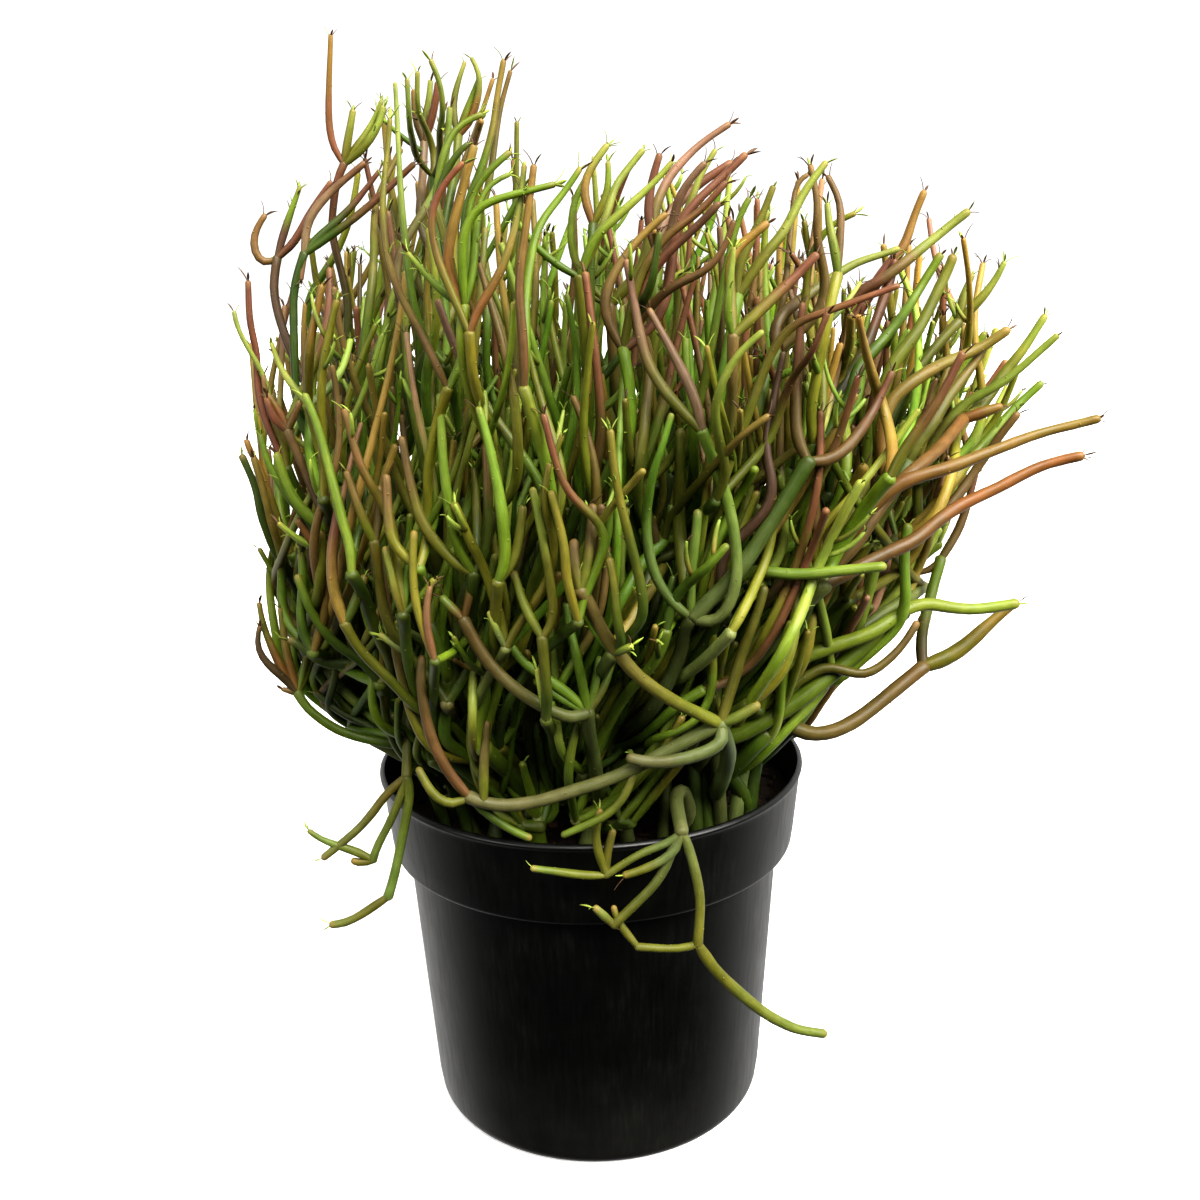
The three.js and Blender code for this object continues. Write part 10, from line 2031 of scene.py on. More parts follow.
    "stem_right_back_2": """
p-- 231 215 1008,1446,4174 996,1430,3933 952,1428,3696 837,1434,3397 749,1447,3174 722,1440,3099 691,1421,3029 625,1353,2904 561,1261,2796 483,1102,2639
p-- 234 218 1279,1218,3323 1228,1146,3197 1157,1091,3073 1010,1041,2895 852,971,2736 706,898,2581 529,785,2288
p-- 171 159 1379,1043,3963 1340,1037,3720 1268,1061,3485 1194,1089,3341 1053,1134,3147 968,1102,3015 930,1102,2952
p-- 194 180 1185,1443,4327 1078,1412,4109 955,1366,3902 857,1335,3777 744,1310,3666 701,1283,3605 685,1252,3534 698,1234,3459 728,1230,3387
p-- 237 220 1000,1249,3572 947,1280,3344 914,1248,3110 889,1189,2956 854,1094,2720 834,1062,2654 758,947,2491
p-- 205 191 1173,1445,5017 1156,1376,4631 1126,1295,4329 1113,1208,4111 1099,1192,4036 1078,1197,3961 1024,1270,3831
p-- 181 169 908,1159,4905 991,1185,4507 1003,1179,4265 950,1123,3951 938,1093,3713 898,1081,3645 833,1068,3598
p-- 215 200 940,1019,3223 809,958,3025 618,855,2778 526,817,2648 491,820,2478
p-- 199 185 1012,1350,4931 1036,1361,4694 1021,1351,4458 981,1325,4308 884,1274,4092 842,1288,4024 790,1317,3967
p-- 218 203 1483,1262,4103 1321,1262,3742 1140,1286,3383 1054,1298,3242 903,1294,3040 856,1283,2963 816,1243,2879 756,1118,2662
p-- 186 173 1002,908,5078 1005,943,4845 1007,982,4693 1007,1106,4405 997,1132,4335 968,1136,4259 950,1161,4187
p-- 196 183 1250,1114,3656 1204,1128,3337 1110,1125,3021 1073,1114,2944 891,1014,2654 758,947,2491
p-- 243 226 1091,1126,4366 1078,1075,4221 1042,1043,4075 981,1035,3935 856,1061,3745 835,1052,3672 833,1068,3598
p-- 209 194 881,1584,3779 869,1509,3470 826,1436,3251 690,1305,2995 590,1220,2797 506,1147,2696 483,1102,2639
p-- 216 201 1332,1751,4612 1336,1724,4371 1307,1686,4127 1263,1653,3967 1183,1614,3756 1077,1479,3540 1010,1336,3382 950,1180,3214 888,1080,3102
p-- 181 168 1215,1389,3676 1107,1254,3395 1025,1167,3179 949,1135,3040 739,1093,2700 702,1063,2636 612,922,2467 529,785,2288
p-- 183 170 550,1130,2706 527,971,2437 507,841,2240
p-- 188 175 1236,1180,4794 1220,1192,4483 1171,1235,4178 1115,1275,3955 1082,1269,3886 1024,1270,3831
p-- 209 194 1276,1531,3960 1149,1451,3680 1059,1348,3387 980,1262,3176 968,1232,3104 963,1150,2968 931,1065,2838 758,947,2491
p-- 241 224 1395,1401,5011 1368,1399,4777 1348,1376,4623 1326,1336,4473 1272,1204,4112 1235,1160,3885 1169,1133,3748 1119,1121,3692 1060,1116,3644 929,1121,3567
p-- 179 166 1026,522,3352 904,582,3157 726,691,2918 480,805,2659 373,800,2474
p-- 243 226 721,1457,3772 757,1434,3538 769,1396,3385 768,1245,3008 722,1163,2698 704,1131,2635 639,1008,2494 529,785,2288
p-- 205 191 1078,1787,4692 1094,1725,4466 1124,1687,4318 1172,1649,4175 1292,1575,3903 1309,1558,3828 1294,1483,3592 1261,1433,3455 1212,1383,3334
p-- 168 156 1654,1487,4672 1581,1485,4282 1508,1459,3961 1448,1418,3713 1396,1342,3468 1342,1286,3334 1277,1242,3238 1023,1141,3055 930,1102,2952
p-- 192 179 1520,1552,4149 1384,1520,4025 1326,1507,3955 1243,1488,3802 1221,1487,3722 1215,1498,3557 1221,1472,3475 1212,1383,3334
p-- 190 177 1638,1334,4182 1563,1310,3959 1494,1281,3726 1405,1276,3487 1303,1264,3338 1060,1209,3020 856,1157,2802 756,1118,2662
p-- 219 204 1426,1059,5117 1530,1135,4831 1632,1193,4541 1650,1200,4464 1648,1194,4386 1586,1165,4247 1489,1167,4124 1441,1187,4065 1359,1266,3956
p-- 199 185 1453,1521,4712 1449,1477,4394 1457,1434,4158 1485,1359,3849 1510,1302,3623 1501,1275,3550 1464,1236,3493 1365,1146,3410
p-- 186 173 814,1184,4583 798,1169,4180 758,1156,3860 707,1146,3624 642,1135,3393 591,1048,3176 583,1034,3099 577,1053,2948
p-- 242 225 904,1201,3149 814,1159,3020 723,1101,2900 495,895,2647 373,800,2474
p-- 187 174 1050,1675,4404 1051,1644,4244 1028,1602,4089 971,1546,3947 892,1483,3818 884,1448,3748 903,1400,3686
p-- 205 191 772,1507,5069 851,1531,4680 886,1511,4446 901,1478,4292 906,1433,4142 888,1411,4066 845,1373,4007 790,1317,3967
p-- 210 195 1032,1110,5170 1082,1139,4943 1093,1154,4710 1052,1150,4480 960,1141,4261 950,1161,4187
p-- 191 178 881,743,4148 747,835,3792 631,929,3507 491,1050,3183 481,1069,3115 502,1075,3054 547,1063,3008 577,1053,2948
p-- 185 172 1301,1660,4913 1294,1619,4673 1257,1553,4442 1214,1493,4298 1127,1389,4098 1097,1361,3942 1068,1326,3876 1024,1270,3831
p-- 188 175 1025,965,3624 898,920,3237 763,895,2855 735,883,2782 706,848,2714 672,838,2642
p-- 227 211 1036,1182,3877 1031,1188,3552 1012,1154,3312 984,1081,3083 939,912,2727 912,882,2660 721,769,2430 573,684,2260
p-- 222 207 1280,1765,4277 1243,1700,4126 1226,1628,3977 1281,1446,3615 1306,1417,3546 1300,1399,3468 1264,1388,3392 1212,1383,3334
p-- 197 183 763,1058,2826 749,1005,2687 722,936,2565 654,810,2410 573,684,2260
p-- 220 205 1340,1362,4791 1246,1327,4574 1192,1323,4424 1115,1338,4193 1053,1384,3965 1030,1385,3887 998,1371,3814 954,1374,3746 903,1400,3686
p-- 208 193 908,1456,4712 913,1458,4479 900,1418,4249 854,1308,3960 802,1244,3828 740,1196,3692 720,1188,3616 712,1192,3537 728,1230,3387
p-- 213 198 1850,1253,4195 1761,1248,4055 1607,1233,3862 1503,1202,3748 1403,1151,3637 1370,1140,3566 1365,1146,3410
p-- 219 204 1114,1111,3154 1051,1133,2994 1012,1134,2920 964,1120,2857 796,1046,2703 771,1019,2633 758,947,2491
p-- 185 172 1066,1595,3615 1044,1475,3343 1004,1383,3167 936,1288,3010 810,1183,2802 756,1118,2662
p-- 189 176 585,1042,2754 544,925,2462 507,841,2240
p-- 170 158 1005,1790,3983 1001,1729,3825 980,1639,3582 924,1535,3326 818,1394,3054 688,1260,2808 629,1182,2654 585,1022,2492 529,785,2288
s-- 238 231 790,1317,3967 791,1273,3666 780,1272,3512 759,1263,3441 728,1230,3387
s-- 254 247 1359,1266,3956 1281,1221,3734 1210,1178,3513 1116,1115,3305 1011,1065,3197 949,1062,3150 888,1080,3102
s-- 238 231 1024,1270,3831 988,1209,3612 957,1141,3393 888,1080,3102
s-- 243 236 950,1161,4187 884,1165,3796 881,1156,3717 929,1121,3567
s-- 282 274 929,1121,3567 884,1128,3348 806,1109,3140 764,1098,3077 577,1053,2948
s-- 276 268 728,1230,3387 638,1257,3181 539,1229,2980 477,1182,2849 459,1152,2781 483,1102,2639
s-- 255 248 903,1400,3686 857,1337,3389 820,1290,3248 768,1234,3115 686,1148,3015 577,1053,2948
s-- 282 274 833,1068,3598 708,1063,3306 607,1031,3095 577,1053,2948
s-- 258 250 1212,1383,3334 1152,1328,3262 989,1200,3140 853,1108,3007 742,1007,2833 630,917,2646 491,820,2478
s-- 295 286 888,1080,3102 681,1076,2932 557,1054,2808 517,1026,2737 506,982,2667 491,820,2478
s-- 247 239 1365,1146,3410 1084,1045,3118 935,960,2938 791,875,2753 672,838,2642
s-- 198 192 930,1102,2952 784,939,2739 635,751,2437 527,643,2261
s-- 328 318 577,1053,2948 591,959,2817 588,874,2682 549,747,2481 527,643,2261
s-- 320 311 483,1102,2639 463,874,2426 446,639,2216
s-- 286 277 672,838,2642 588,772,2441 435,633,2124
s-- 342 332 491,820,2478 446,639,2216
s-- 253 246 756,1118,2662 745,1098,2623 664,942,2465 529,785,2288
s-- 275 267 758,947,2491 573,684,2260
s-- 294 285 529,785,2288 453,644,2180
s-- 319 309 573,684,2260 453,644,2180
s-- 279 271 373,800,2474 446,639,2216
s-- 359 348 527,643,2261 446,639,2216
s-- 219 213 507,841,2240 426,632,2062
s-- 417 404 446,639,2216 453,644,2180
s-- 483 469 453,644,2180 435,633,2124
s-- 528 512 435,633,2124 426,632,2062
s-- 548 531 426,632,2062 410,607,1914 398,593,1537
y-- 175 166 1595,1464,4136 1538,1410,4037 1502,1375,3999 1409,1305,3951 1359,1266,3956
y-- 213 202 1282,1525,4113 1321,1378,4001 1359,1266,3956
y-- 171 162 992,1357,3597 885,1306,3451 784,1259,3392 728,1230,3387
y-- 203 193 884,1235,3838 893,1334,3724 903,1400,3686
y-- 148 141 1317,1328,3399 1248,1356,3346 1212,1383,3334
b-- 321 272 758,947,2491 715,909,2437 664,894,2368 610,896,2285 558,907,2187 513,921,2075 473,932,1880
b-- 316 283 672,838,2642 644,785,2554 631,691,2461 628,575,2360 631,455,2246 636,348,2116 640,252,1880
b-- 383 276 373,800,2474 357,760,2409 289,720,2337 188,683,2258 76,650,2168 -26,623,2065 -117,597,1880
""",
    "stem_left_3": """
p-- 236 220 -1187,780,5205 -1183,736,4962 -1193,697,4803 -1216,654,4646 -1272,605,4411 -1266,614,4162 -1274,600,4082 -1302,565,4015 -1342,516,3965
p-- 184 171 -1270,441,4905 -1384,527,4612 -1467,585,4392 -1593,664,4022 -1615,671,3945 -1658,632,3711
p-- 209 195 -1604,277,3047 -1473,259,2840 -1345,296,2624 -1250,301,2491 -1136,295,2380 -1009,275,2286 -1002,280,2240
p-- 243 226 -1556,452,4695 -1527,305,4337 -1518,223,4038 -1516,181,3808 -1516,145,3574 -1503,147,3499 -1459,155,3433
p-- 187 174 -1631,147,4673 -1592,94,4348 -1564,66,4104 -1524,53,3778 -1534,72,3703
p-- 234 218 -1676,-68,4155 -1648,38,3947 -1644,156,3745 -1672,285,3553 -1714,414,3369 -1709,435,3297 -1665,425,3147
p-- 210 195 -939,35,3003 -926,65,2691 -951,112,2465 -975,156,2239
p-- 228 212 -1361,62,3302 -1334,147,2989 -1280,179,2759 -1182,179,2547 -1027,165,2279
p-- 201 187 -1531,543,4230 -1583,519,3917 -1610,492,3682 -1623,449,3448 -1611,421,3293 -1629,420,3217 -1665,425,3147
p-- 155 144 -1193,728,3076 -1210,662,2934 -1204,593,2794 -1171,514,2662 -1113,435,2533 -1038,339,2323
p-- 233 217 -1369,367,3212 -1336,431,2908 -1297,433,2765 -1231,414,2633 -1038,339,2323
p-- 186 173 -1407,886,3713 -1375,841,3485 -1369,766,3263 -1389,659,3060 -1426,532,2884 -1403,485,2835 -1331,380,2758
p-- 184 171 -1548,617,5093 -1495,705,4693 -1495,792,4290 -1543,832,4054 -1542,816,3976 -1525,782,3912
p-- 228 212 -1417,550,3022 -1305,543,2809 -1229,514,2668 -1109,437,2461 -983,341,2257
p-- 220 205 -1631,33,3660 -1687,116,3364 -1688,142,3213 -1661,158,3060 -1598,170,2909 -1551,174,2834 -1368,183,2593 -1250,172,2408
p-- 209 195 -1716,691,4539 -1660,720,4311 -1664,731,4076 -1704,702,3846 -1689,673,3774 -1658,632,3711
p-- 182 169 -1789,217,3963 -1790,168,3733 -1774,114,3505 -1733,61,3280 -1663,10,3064 -1614,14,3003 -1512,70,2900 -1461,131,2776
p-- 195 181 -1321,304,3514 -1419,343,3306 -1476,331,3167 -1518,313,2954 -1503,274,2814 -1458,212,2674 -1367,162,2549 -1246,135,2444 -1042,97,2306 -1035,89,2262
p-- 189 176 -1432,621,4649 -1479,675,4507 -1507,723,4358 -1507,762,4205 -1479,792,4055 -1487,789,3977 -1525,782,3912
p-- 158 147 -1467,145,4252 -1480,251,3958 -1516,309,3820 -1571,372,3695 -1586,388,3623 -1572,391,3551 -1531,388,3494
p-- 206 192 -1665,440,3430 -1653,361,3108 -1600,298,2855 -1509,244,2695 -1250,172,2408
p-- 176 164 -1559,924,4039 -1567,849,3725 -1578,780,3492 -1588,696,3260 -1602,602,3027 -1584,535,2879 -1559,500,2806 -1512,465,2735 -1222,354,2466 -1001,282,2286
p-- 198 184 -1399,795,3110 -1285,661,2829 -1212,566,2621 -1103,465,2427 -983,341,2257
p-- 188 175 -1352,722,3577 -1444,681,3368 -1521,640,3164 -1560,609,3033 -1561,584,2965 -1534,551,2904 -1484,514,2861 -1331,380,2758
p-- 194 180 -1533,559,3935 -1487,598,3532 -1460,618,3123 -1444,616,2959 -1413,603,2799 -1390,589,2722 -1350,566,2649 -1172,464,2467 -984,355,2307 -983,341,2257
p-- 207 192 -1751,426,4352 -1725,434,4042 -1683,430,3812 -1615,428,3588 -1494,447,3297 -1461,433,3146 -1423,432,3082
p-- 229 213 -1695,663,3172 -1624,638,2998 -1538,581,2819 -1482,537,2733 -1352,454,2602 -1257,416,2496 -1162,400,2395
p-- 238 221 -1123,439,5382 -1231,389,5168 -1319,368,5032 -1571,357,4722 -1638,309,4583
p-- 220 205 -1718,251,3331 -1711,255,3165 -1686,242,3003 -1658,224,2925 -1575,175,2779 -1476,130,2647 -1368,107,2537 -1259,95,2439 -1041,91,2278 -1036,95,2240
p-- 198 184 -1596,821,4674 -1650,781,4450 -1694,742,4225 -1723,662,3848 -1731,623,3615
p-- 201 187 -1430,217,4996 -1452,207,4605 -1472,184,4450 -1529,109,4151 -1539,102,4073 -1529,139,3843 -1529,116,3768 -1534,72,3703
p-- 213 198 -1222,159,5713 -1273,148,5479 -1337,157,5332 -1426,180,5202 -1582,228,5027 -1602,234,4951 -1584,254,4714 -1603,278,4643 -1638,309,4583
p-- 160 149 -1637,248,4244 -1661,187,3940 -1702,145,3634 -1719,140,3558 -1790,153,3421 -1810,161,3347
p-- 212 198 -1479,261,3490 -1517,330,3259 -1553,402,3030 -1545,455,2886 -1514,478,2825 -1464,494,2772 -1406,506,2720 -1349,502,2651 -1162,400,2395
p-- 200 186 -1845,128,3268 -1762,126,3044 -1626,106,2827 -1498,85,2690 -1344,70,2555 -1186,72,2413 -1035,89,2262
p-- 197 183 -1507,121,2738 -1332,145,2595 -1121,179,2390 -961,207,2240
p-- 226 210 -1615,739,3910 -1594,666,3682 -1598,581,3452 -1620,528,3297 -1682,453,3068 -1694,419,2995 -1685,386,2923 -1655,356,2855 -1605,332,2794 -1459,296,2690
p-- 220 204 -1457,519,3481 -1521,492,3348 -1569,445,3215 -1593,379,3088 -1595,298,2971 -1582,272,2904 -1554,272,2829 -1459,296,2690
p-- 223 207 -1567,669,3407 -1531,550,3027 -1473,446,2815 -1421,386,2669 -1231,231,2400
p-- 232 216 -1634,538,3158 -1511,447,2958 -1433,410,2814 -1285,380,2609 -1173,342,2481 -1001,282,2286
p-- 238 222 -1777,411,4791 -1764,431,4558 -1736,479,4332 -1710,559,4116 -1656,697,3852 -1654,716,3784 -1678,704,3720 -1712,662,3676 -1731,623,3615
p-- 217 201 -1578,923,4385 -1608,857,4078 -1649,772,3777 -1696,672,3494 -1734,593,3291 -1745,504,3065 -1700,448,2932 -1631,395,2818 -1554,336,2738 -1459,296,2690
p-- 164 152 -1749,450,3817 -1763,453,3570 -1768,434,3320 -1759,403,3154 -1714,348,3000 -1581,235,2789 -1463,167,2659 -1242,114,2472 -1035,89,2262
p-- 212 197 -1817,320,3564 -1771,351,3265 -1688,368,3041 -1610,374,2886 -1502,358,2726 -1362,297,2564 -1231,231,2400
p-- 233 217 -1432,-39,2996 -1312,38,2697 -1182,62,2478 -1035,89,2262
p-- 188 175 -1447,317,4020 -1487,320,3776 -1526,309,3532 -1548,274,3210 -1523,207,2903 -1461,131,2776
p-- 214 199 -1491,125,3013 -1434,148,2863 -1357,169,2720 -1221,199,2514 -1126,241,2383
p-- 243 226 -1425,42,4674 -1416,70,4351 -1397,140,3952 -1338,160,3716 -1333,161,3634 -1354,160,3555 -1399,157,3488 -1459,155,3433
p-- 215 200 -1341,586,5272 -1406,611,4959 -1462,624,4726 -1536,633,4415 -1594,631,4183 -1631,629,3947 -1658,632,3711
p-- 182 170 -1406,557,2770 -1310,524,2653 -1173,430,2491 -1038,339,2323
p-- 179 167 -1294,100,5276 -1316,132,5033 -1333,188,4794 -1326,302,4487 -1322,487,4122 -1325,490,4040 -1342,516,3965
p-- 184 171 -1796,360,3093 -1695,312,2889 -1626,293,2794 -1402,255,2592 -1302,225,2499 -1039,108,2298 -1035,89,2262
p-- 191 178 -1402,288,4536 -1370,276,4221 -1370,283,3984 -1402,310,3751 -1459,358,3529 -1463,349,3451 -1436,304,3302 -1422,312,3224 -1417,358,3148 -1423,432,3082
p-- 238 221 -1290,43,2760 -1049,114,2476 -866,182,2240
p-- 238 221 -1270,416,2818 -1105,359,2561 -926,273,2316 -794,201,2132
s-- 276 267 -1638,309,4583 -1628,369,4349 -1624,393,4192 -1621,394,4032 -1618,350,3713 -1600,352,3636 -1531,388,3494
s-- 267 259 -1665,326,4311 -1591,346,4092 -1526,381,3795 -1519,373,3568 -1531,388,3494
s-- 274 266 -1342,516,3965 -1329,502,3802 -1344,462,3392 -1368,442,3232 -1423,432,3082
s-- 249 242 -1658,632,3711 -1674,554,3501 -1665,425,3147
s-- 233 226 -1534,72,3703 -1576,51,3462 -1596,61,3138 -1560,89,2986 -1461,131,2776
s-- 261 254 -1525,782,3912 -1541,653,3617 -1543,567,3391 -1534,484,3168 -1484,439,3027 -1331,380,2758
s-- 320 310 -1531,388,3494 -1490,387,3262 -1447,360,2956 -1423,365,2886 -1331,380,2758
s-- 282 274 -1459,155,3433 -1506,161,3208 -1523,167,2985 -1514,168,2912 -1461,131,2776
s-- 277 268 -1731,623,3615 -1620,596,3341 -1486,493,2996 -1331,380,2758
s-- 244 237 -1810,161,3347 -1713,197,3140 -1606,219,2936 -1448,217,2754 -1295,214,2563 -1126,241,2383
s-- 318 309 -1423,432,3082 -1352,336,2876 -1303,294,2731 -1197,278,2521 -1126,241,2383
s-- 289 280 -1665,425,3147 -1581,378,2944 -1500,353,2815 -1395,343,2696 -1274,319,2586 -1126,241,2383
s-- 262 254 -1459,296,2690 -1360,262,2624 -1191,232,2524 -983,206,2340 -824,192,2194
s-- 371 360 -1331,380,2758 -1222,342,2650 -1019,250,2416 -866,182,2240
s-- 327 317 -1461,131,2776 -1341,117,2669 -1163,119,2506 -866,182,2240
s-- 369 358 -1126,241,2383 -961,207,2240
s-- 269 261 -1001,282,2286 -1002,280,2240
s-- 259 251 -1231,231,2400 -1020,211,2290 -961,207,2240
s-- 264 257 -983,341,2257 -855,236,2044
s-- 255 248 -1250,172,2408 -1031,161,2299 -1027,165,2279
s-- 266 258 -1162,400,2395 -998,304,2298 -1002,280,2240
s-- 270 262 -1038,339,2323 -822,219,2086
s-- 271 263 -1035,89,2262 -1036,95,2240
s-- 312 303 -1002,280,2240 -921,218,2077
s-- 430 418 -866,182,2240 -824,192,2194
s-- 473 459 -824,192,2194 -794,201,2132
s-- 502 487 -794,201,2132 -822,219,2086
s-- 314 305 -1036,95,2240 -969,132,2153 -956,162,2094 -961,195,2036
s-- 296 287 -1027,165,2279 -975,156,2239
s-- 428 415 -961,207,2240 -921,218,2077
s-- 338 328 -975,156,2239 -886,216,2032
s-- 538 522 -822,219,2086 -855,236,2044
s-- 560 543 -855,236,2044 -961,195,2036
s-- 560 543 -961,195,2036 -921,218,2077
s-- 560 543 -921,218,2077 -886,216,2032
s-- 560 543 -886,216,2032 -844,229,1965 -813,220,1892 -795,213,1489
y-- 160 152 -1738,753,3688 -1730,671,3632 -1731,623,3615
y-- 188 179 -1741,469,3994 -1698,548,3810 -1658,632,3711
y-- 178 169 -1695,5,3839 -1534,72,3703
y-- 203 193 -1810,267,4176 -1773,276,4126 -1682,310,4048 -1628,331,4023 -1571,356,4018
y-- 156 148 -1520,480,4066 -1408,499,3982 -1342,516,3965
y-- 189 179 -1253,622,3468 -1258,582,3354 -1306,509,3194 -1375,456,3110 -1423,432,3082
y-- 199 189 -1476,-54,3800 -1490,-19,3757 -1534,72,3703
b-- 320 256 -1231,231,2400 -1169,242,2361 -1104,277,2305 -1042,327,2233 -985,382,2147 -937,432,2049 -894,476,1880
b-- 356 267 -1038,339,2323 -1001,342,2280 -963,382,2228 -927,444,2169 -894,516,2099 -867,582,2020 -842,640,1880
""",
    "stem_left_back_2": """
p-- 207 192 -844,716,3444 -892,740,3131 -926,702,2902 -938,640,2759 -930,572,2621 -843,462,2261
p-- 230 214 -1169,930,3316 -1171,861,3175 -1189,811,3027 -1202,772,2869 -1184,734,2711 -1110,697,2572 -1013,657,2442 -852,596,2251
p-- 213 199 -1080,641,2655 -960,625,2452 -827,631,2249
p-- 187 174 -1440,863,5256 -1453,863,5011 -1457,897,4769 -1457,937,4612 -1482,1065,4237 -1470,1058,3996 -1457,1052,3753
p-- 213 198 -1021,921,4145 -1026,972,3837 -1045,1040,3453 -1094,1079,3231 -1155,1116,3018 -1160,1106,2945 -1142,1073,2879
p-- 190 177 -1034,559,4988 -1011,616,4675 -1003,679,4362 -1013,750,4051 -1043,811,3740 -1062,814,3582 -1101,810,3429 -1165,831,3289 -1238,878,3166
p-- 204 190 -1063,1287,3190 -1028,1151,2912 -989,949,2644 -864,726,2326
p-- 210 196 -1134,1279,5601 -1246,1278,5223 -1340,1298,4854 -1341,1307,4699 -1293,1348,4387
p-- 221 206 -1266,1228,4995 -1352,1178,4690 -1416,1126,4381 -1428,1082,4146 -1429,1043,3910 -1457,1052,3753
p-- 182 169 -1284,782,4635 -1365,778,4320 -1423,812,4086 -1472,878,3858 -1519,998,3571 -1507,1003,3413 -1428,934,3209 -1365,919,3067
p-- 170 158 -992,933,3397 -1048,868,3104 -1156,745,2789 -1144,723,2715 -1109,702,2647 -944,640,2419 -814,595,2257
p-- 175 163 -1048,1128,4568 -1052,1103,4252 -1070,1085,4016 -1114,1063,3703 -1180,1042,3318 -1189,1005,3250 -1206,944,3202 -1238,878,3166
p-- 216 201 -1139,993,3657 -1227,839,3286 -1231,787,3132 -1215,735,2978 -1190,701,2907 -1137,659,2852 -1001,582,2762 -939,554,2706 -897,537,2639 -875,529,2569
p-- 245 228 -825,932,5928 -827,927,5609 -853,918,5371 -901,902,5137 -986,874,4830 -984,887,4752 -970,921,4682 -937,1018,4565
p-- 180 168 -954,946,5581 -1021,962,5351 -1084,996,5122 -1147,1049,4898 -1259,1156,4552 -1274,1145,4481 -1286,1075,4358
p-- 236 220 -1349,1010,4219 -1326,1100,3923 -1288,1140,3696 -1260,1166,3466 -1237,1166,3313 -1207,1150,3164 -1160,1102,2947 -1142,1073,2879
p-- 200 186 -1032,1426,4013 -1066,1270,3733 -1092,1090,3464 -1096,992,3336 -1070,838,3150 -1061,775,3005 -1099,701,2784
p-- 195 182 -758,467,5952 -866,598,5686 -924,705,5483 -967,857,5211 -979,1006,4940 -988,1012,4863 -993,973,4709 -972,982,4631 -937,1018,4565
p-- 243 226 -1192,634,3356 -1171,622,3123 -1153,610,2897 -1108,598,2697 -1058,588,2590 -968,579,2450 -849,603,2277 -834,621,2236
p-- 227 211 -1381,1083,3090 -1297,1027,2917 -1189,972,2754 -1014,867,2554 -864,726,2326
p-- 184 171 -1076,1124,3366 -1061,1093,3055 -1039,1028,2828 -1016,946,2692 -926,746,2442 -852,596,2251
p-- 199 185 -1176,1210,3811 -1197,1038,3451 -1152,905,3169 -1078,735,2915 -1077,708,2852 -1099,701,2784
p-- 238 222 -1633,665,3555 -1645,694,3242 -1631,697,3164 -1574,693,3007 -1445,677,2773 -1314,664,2658 -1184,688,2569
p-- 191 178 -1248,560,4471 -1176,584,4160 -1163,626,3922 -1198,694,3695 -1247,749,3557 -1309,810,3432 -1321,828,3360 -1303,832,3288 -1238,878,3166
p-- 165 154 -1387,827,4235 -1300,859,3935 -1224,882,3712 -1079,925,3345 -980,927,3128 -957,905,3055 -951,832,2919 -965,799,2854 -1015,758,2721
p-- 200 186 -750,1456,4231 -834,1421,4021 -905,1402,3886 -1025,1371,3693 -1155,1339,3510 -1220,1296,3381 -1258,1226,3254 -1263,1185,3195 -1232,996,2974 -1219,917,2852
p-- 235 218 -848,708,3057 -880,702,2842 -873,687,2699 -811,635,2424 -755,585,2223
p-- 224 209 -889,776,4837 -959,775,4609 -1018,784,4378 -1082,823,3989 -1101,855,3755 -1102,851,3598 -1088,855,3521 -1036,895,3382
p-- 229 213 -1095,1353,5274 -1110,1353,4960 -1105,1375,4805 -1083,1432,4578 -1063,1446,4504 -991,1420,4368
p-- 209 194 -1292,257,4247 -1360,412,3971 -1390,507,3751 -1380,560,3601 -1328,626,3375 -1200,676,3088 -1106,642,2961 -963,548,2780 -925,531,2710 -875,529,2569
p-- 190 177 -1118,900,5757 -1202,955,5363 -1284,983,4966 -1304,971,4805 -1298,946,4645 -1291,951,4565 -1286,977,4488 -1286,1075,4358
p-- 214 199 -1301,995,5084 -1354,1017,4851 -1375,1038,4694 -1381,1080,4457 -1383,1126,4222 -1406,1116,4064 -1457,1052,3753
p-- 228 212 -938,697,3869 -943,678,3631 -927,668,3393 -915,656,3158 -901,618,2781 -890,600,2709 -875,529,2569
p-- 224 209 -1215,687,3797 -1291,816,3525 -1371,940,3259 -1384,994,3121 -1372,1022,2976 -1347,995,2891 -1311,943,2812 -1184,688,2569
p-- 213 198 -1017,1303,4363 -1058,1245,4138 -1090,1185,3910 -1111,1079,3525 -1096,1029,3463 -1036,895,3382
p-- 200 186 -1240,1140,3031 -1105,933,2766 -958,742,2476 -852,596,2251
p-- 227 211 -1086,765,3560 -1018,778,3249 -988,836,2866 -969,832,2728 -961,823,2663 -939,798,2593 -827,631,2249
p-- 186 173 -1242,1278,4428 -1307,1282,4221 -1353,1265,4088 -1398,1221,3962 -1465,1113,3771 -1464,1102,3695 -1417,1127,3481
p-- 196 182 -683,1067,5517 -661,1126,5288 -664,1169,5135 -697,1239,4907 -758,1293,4681 -926,1350,4319 -935,1342,4240 -946,1264,4014 -976,1240,3944 -1083,1221,3828
p-- 236 220 -1129,1126,5370 -1155,1052,5055 -1235,1015,4740 -1237,997,4577 -1236,1005,4495 -1254,1034,4421 -1286,1075,4358
p-- 189 176 -1514,969,3259 -1451,991,3106 -1409,986,3030 -1305,944,2876 -1151,829,2628 -960,680,2379 -856,601,2292 -852,596,2251
p-- 231 214 -1555,964,3619 -1564,892,3230 -1557,827,2997 -1530,797,2916 -1434,747,2787 -1184,688,2569
p-- 180 167 -960,903,2907 -913,758,2718 -879,589,2454 -843,462,2261
p-- 226 210 -909,1018,5033 -992,1024,4648 -1012,1001,4416 -989,964,4105 -929,918,3800 -943,862,3654 -966,841,3583 -993,839,3511 -1036,895,3382
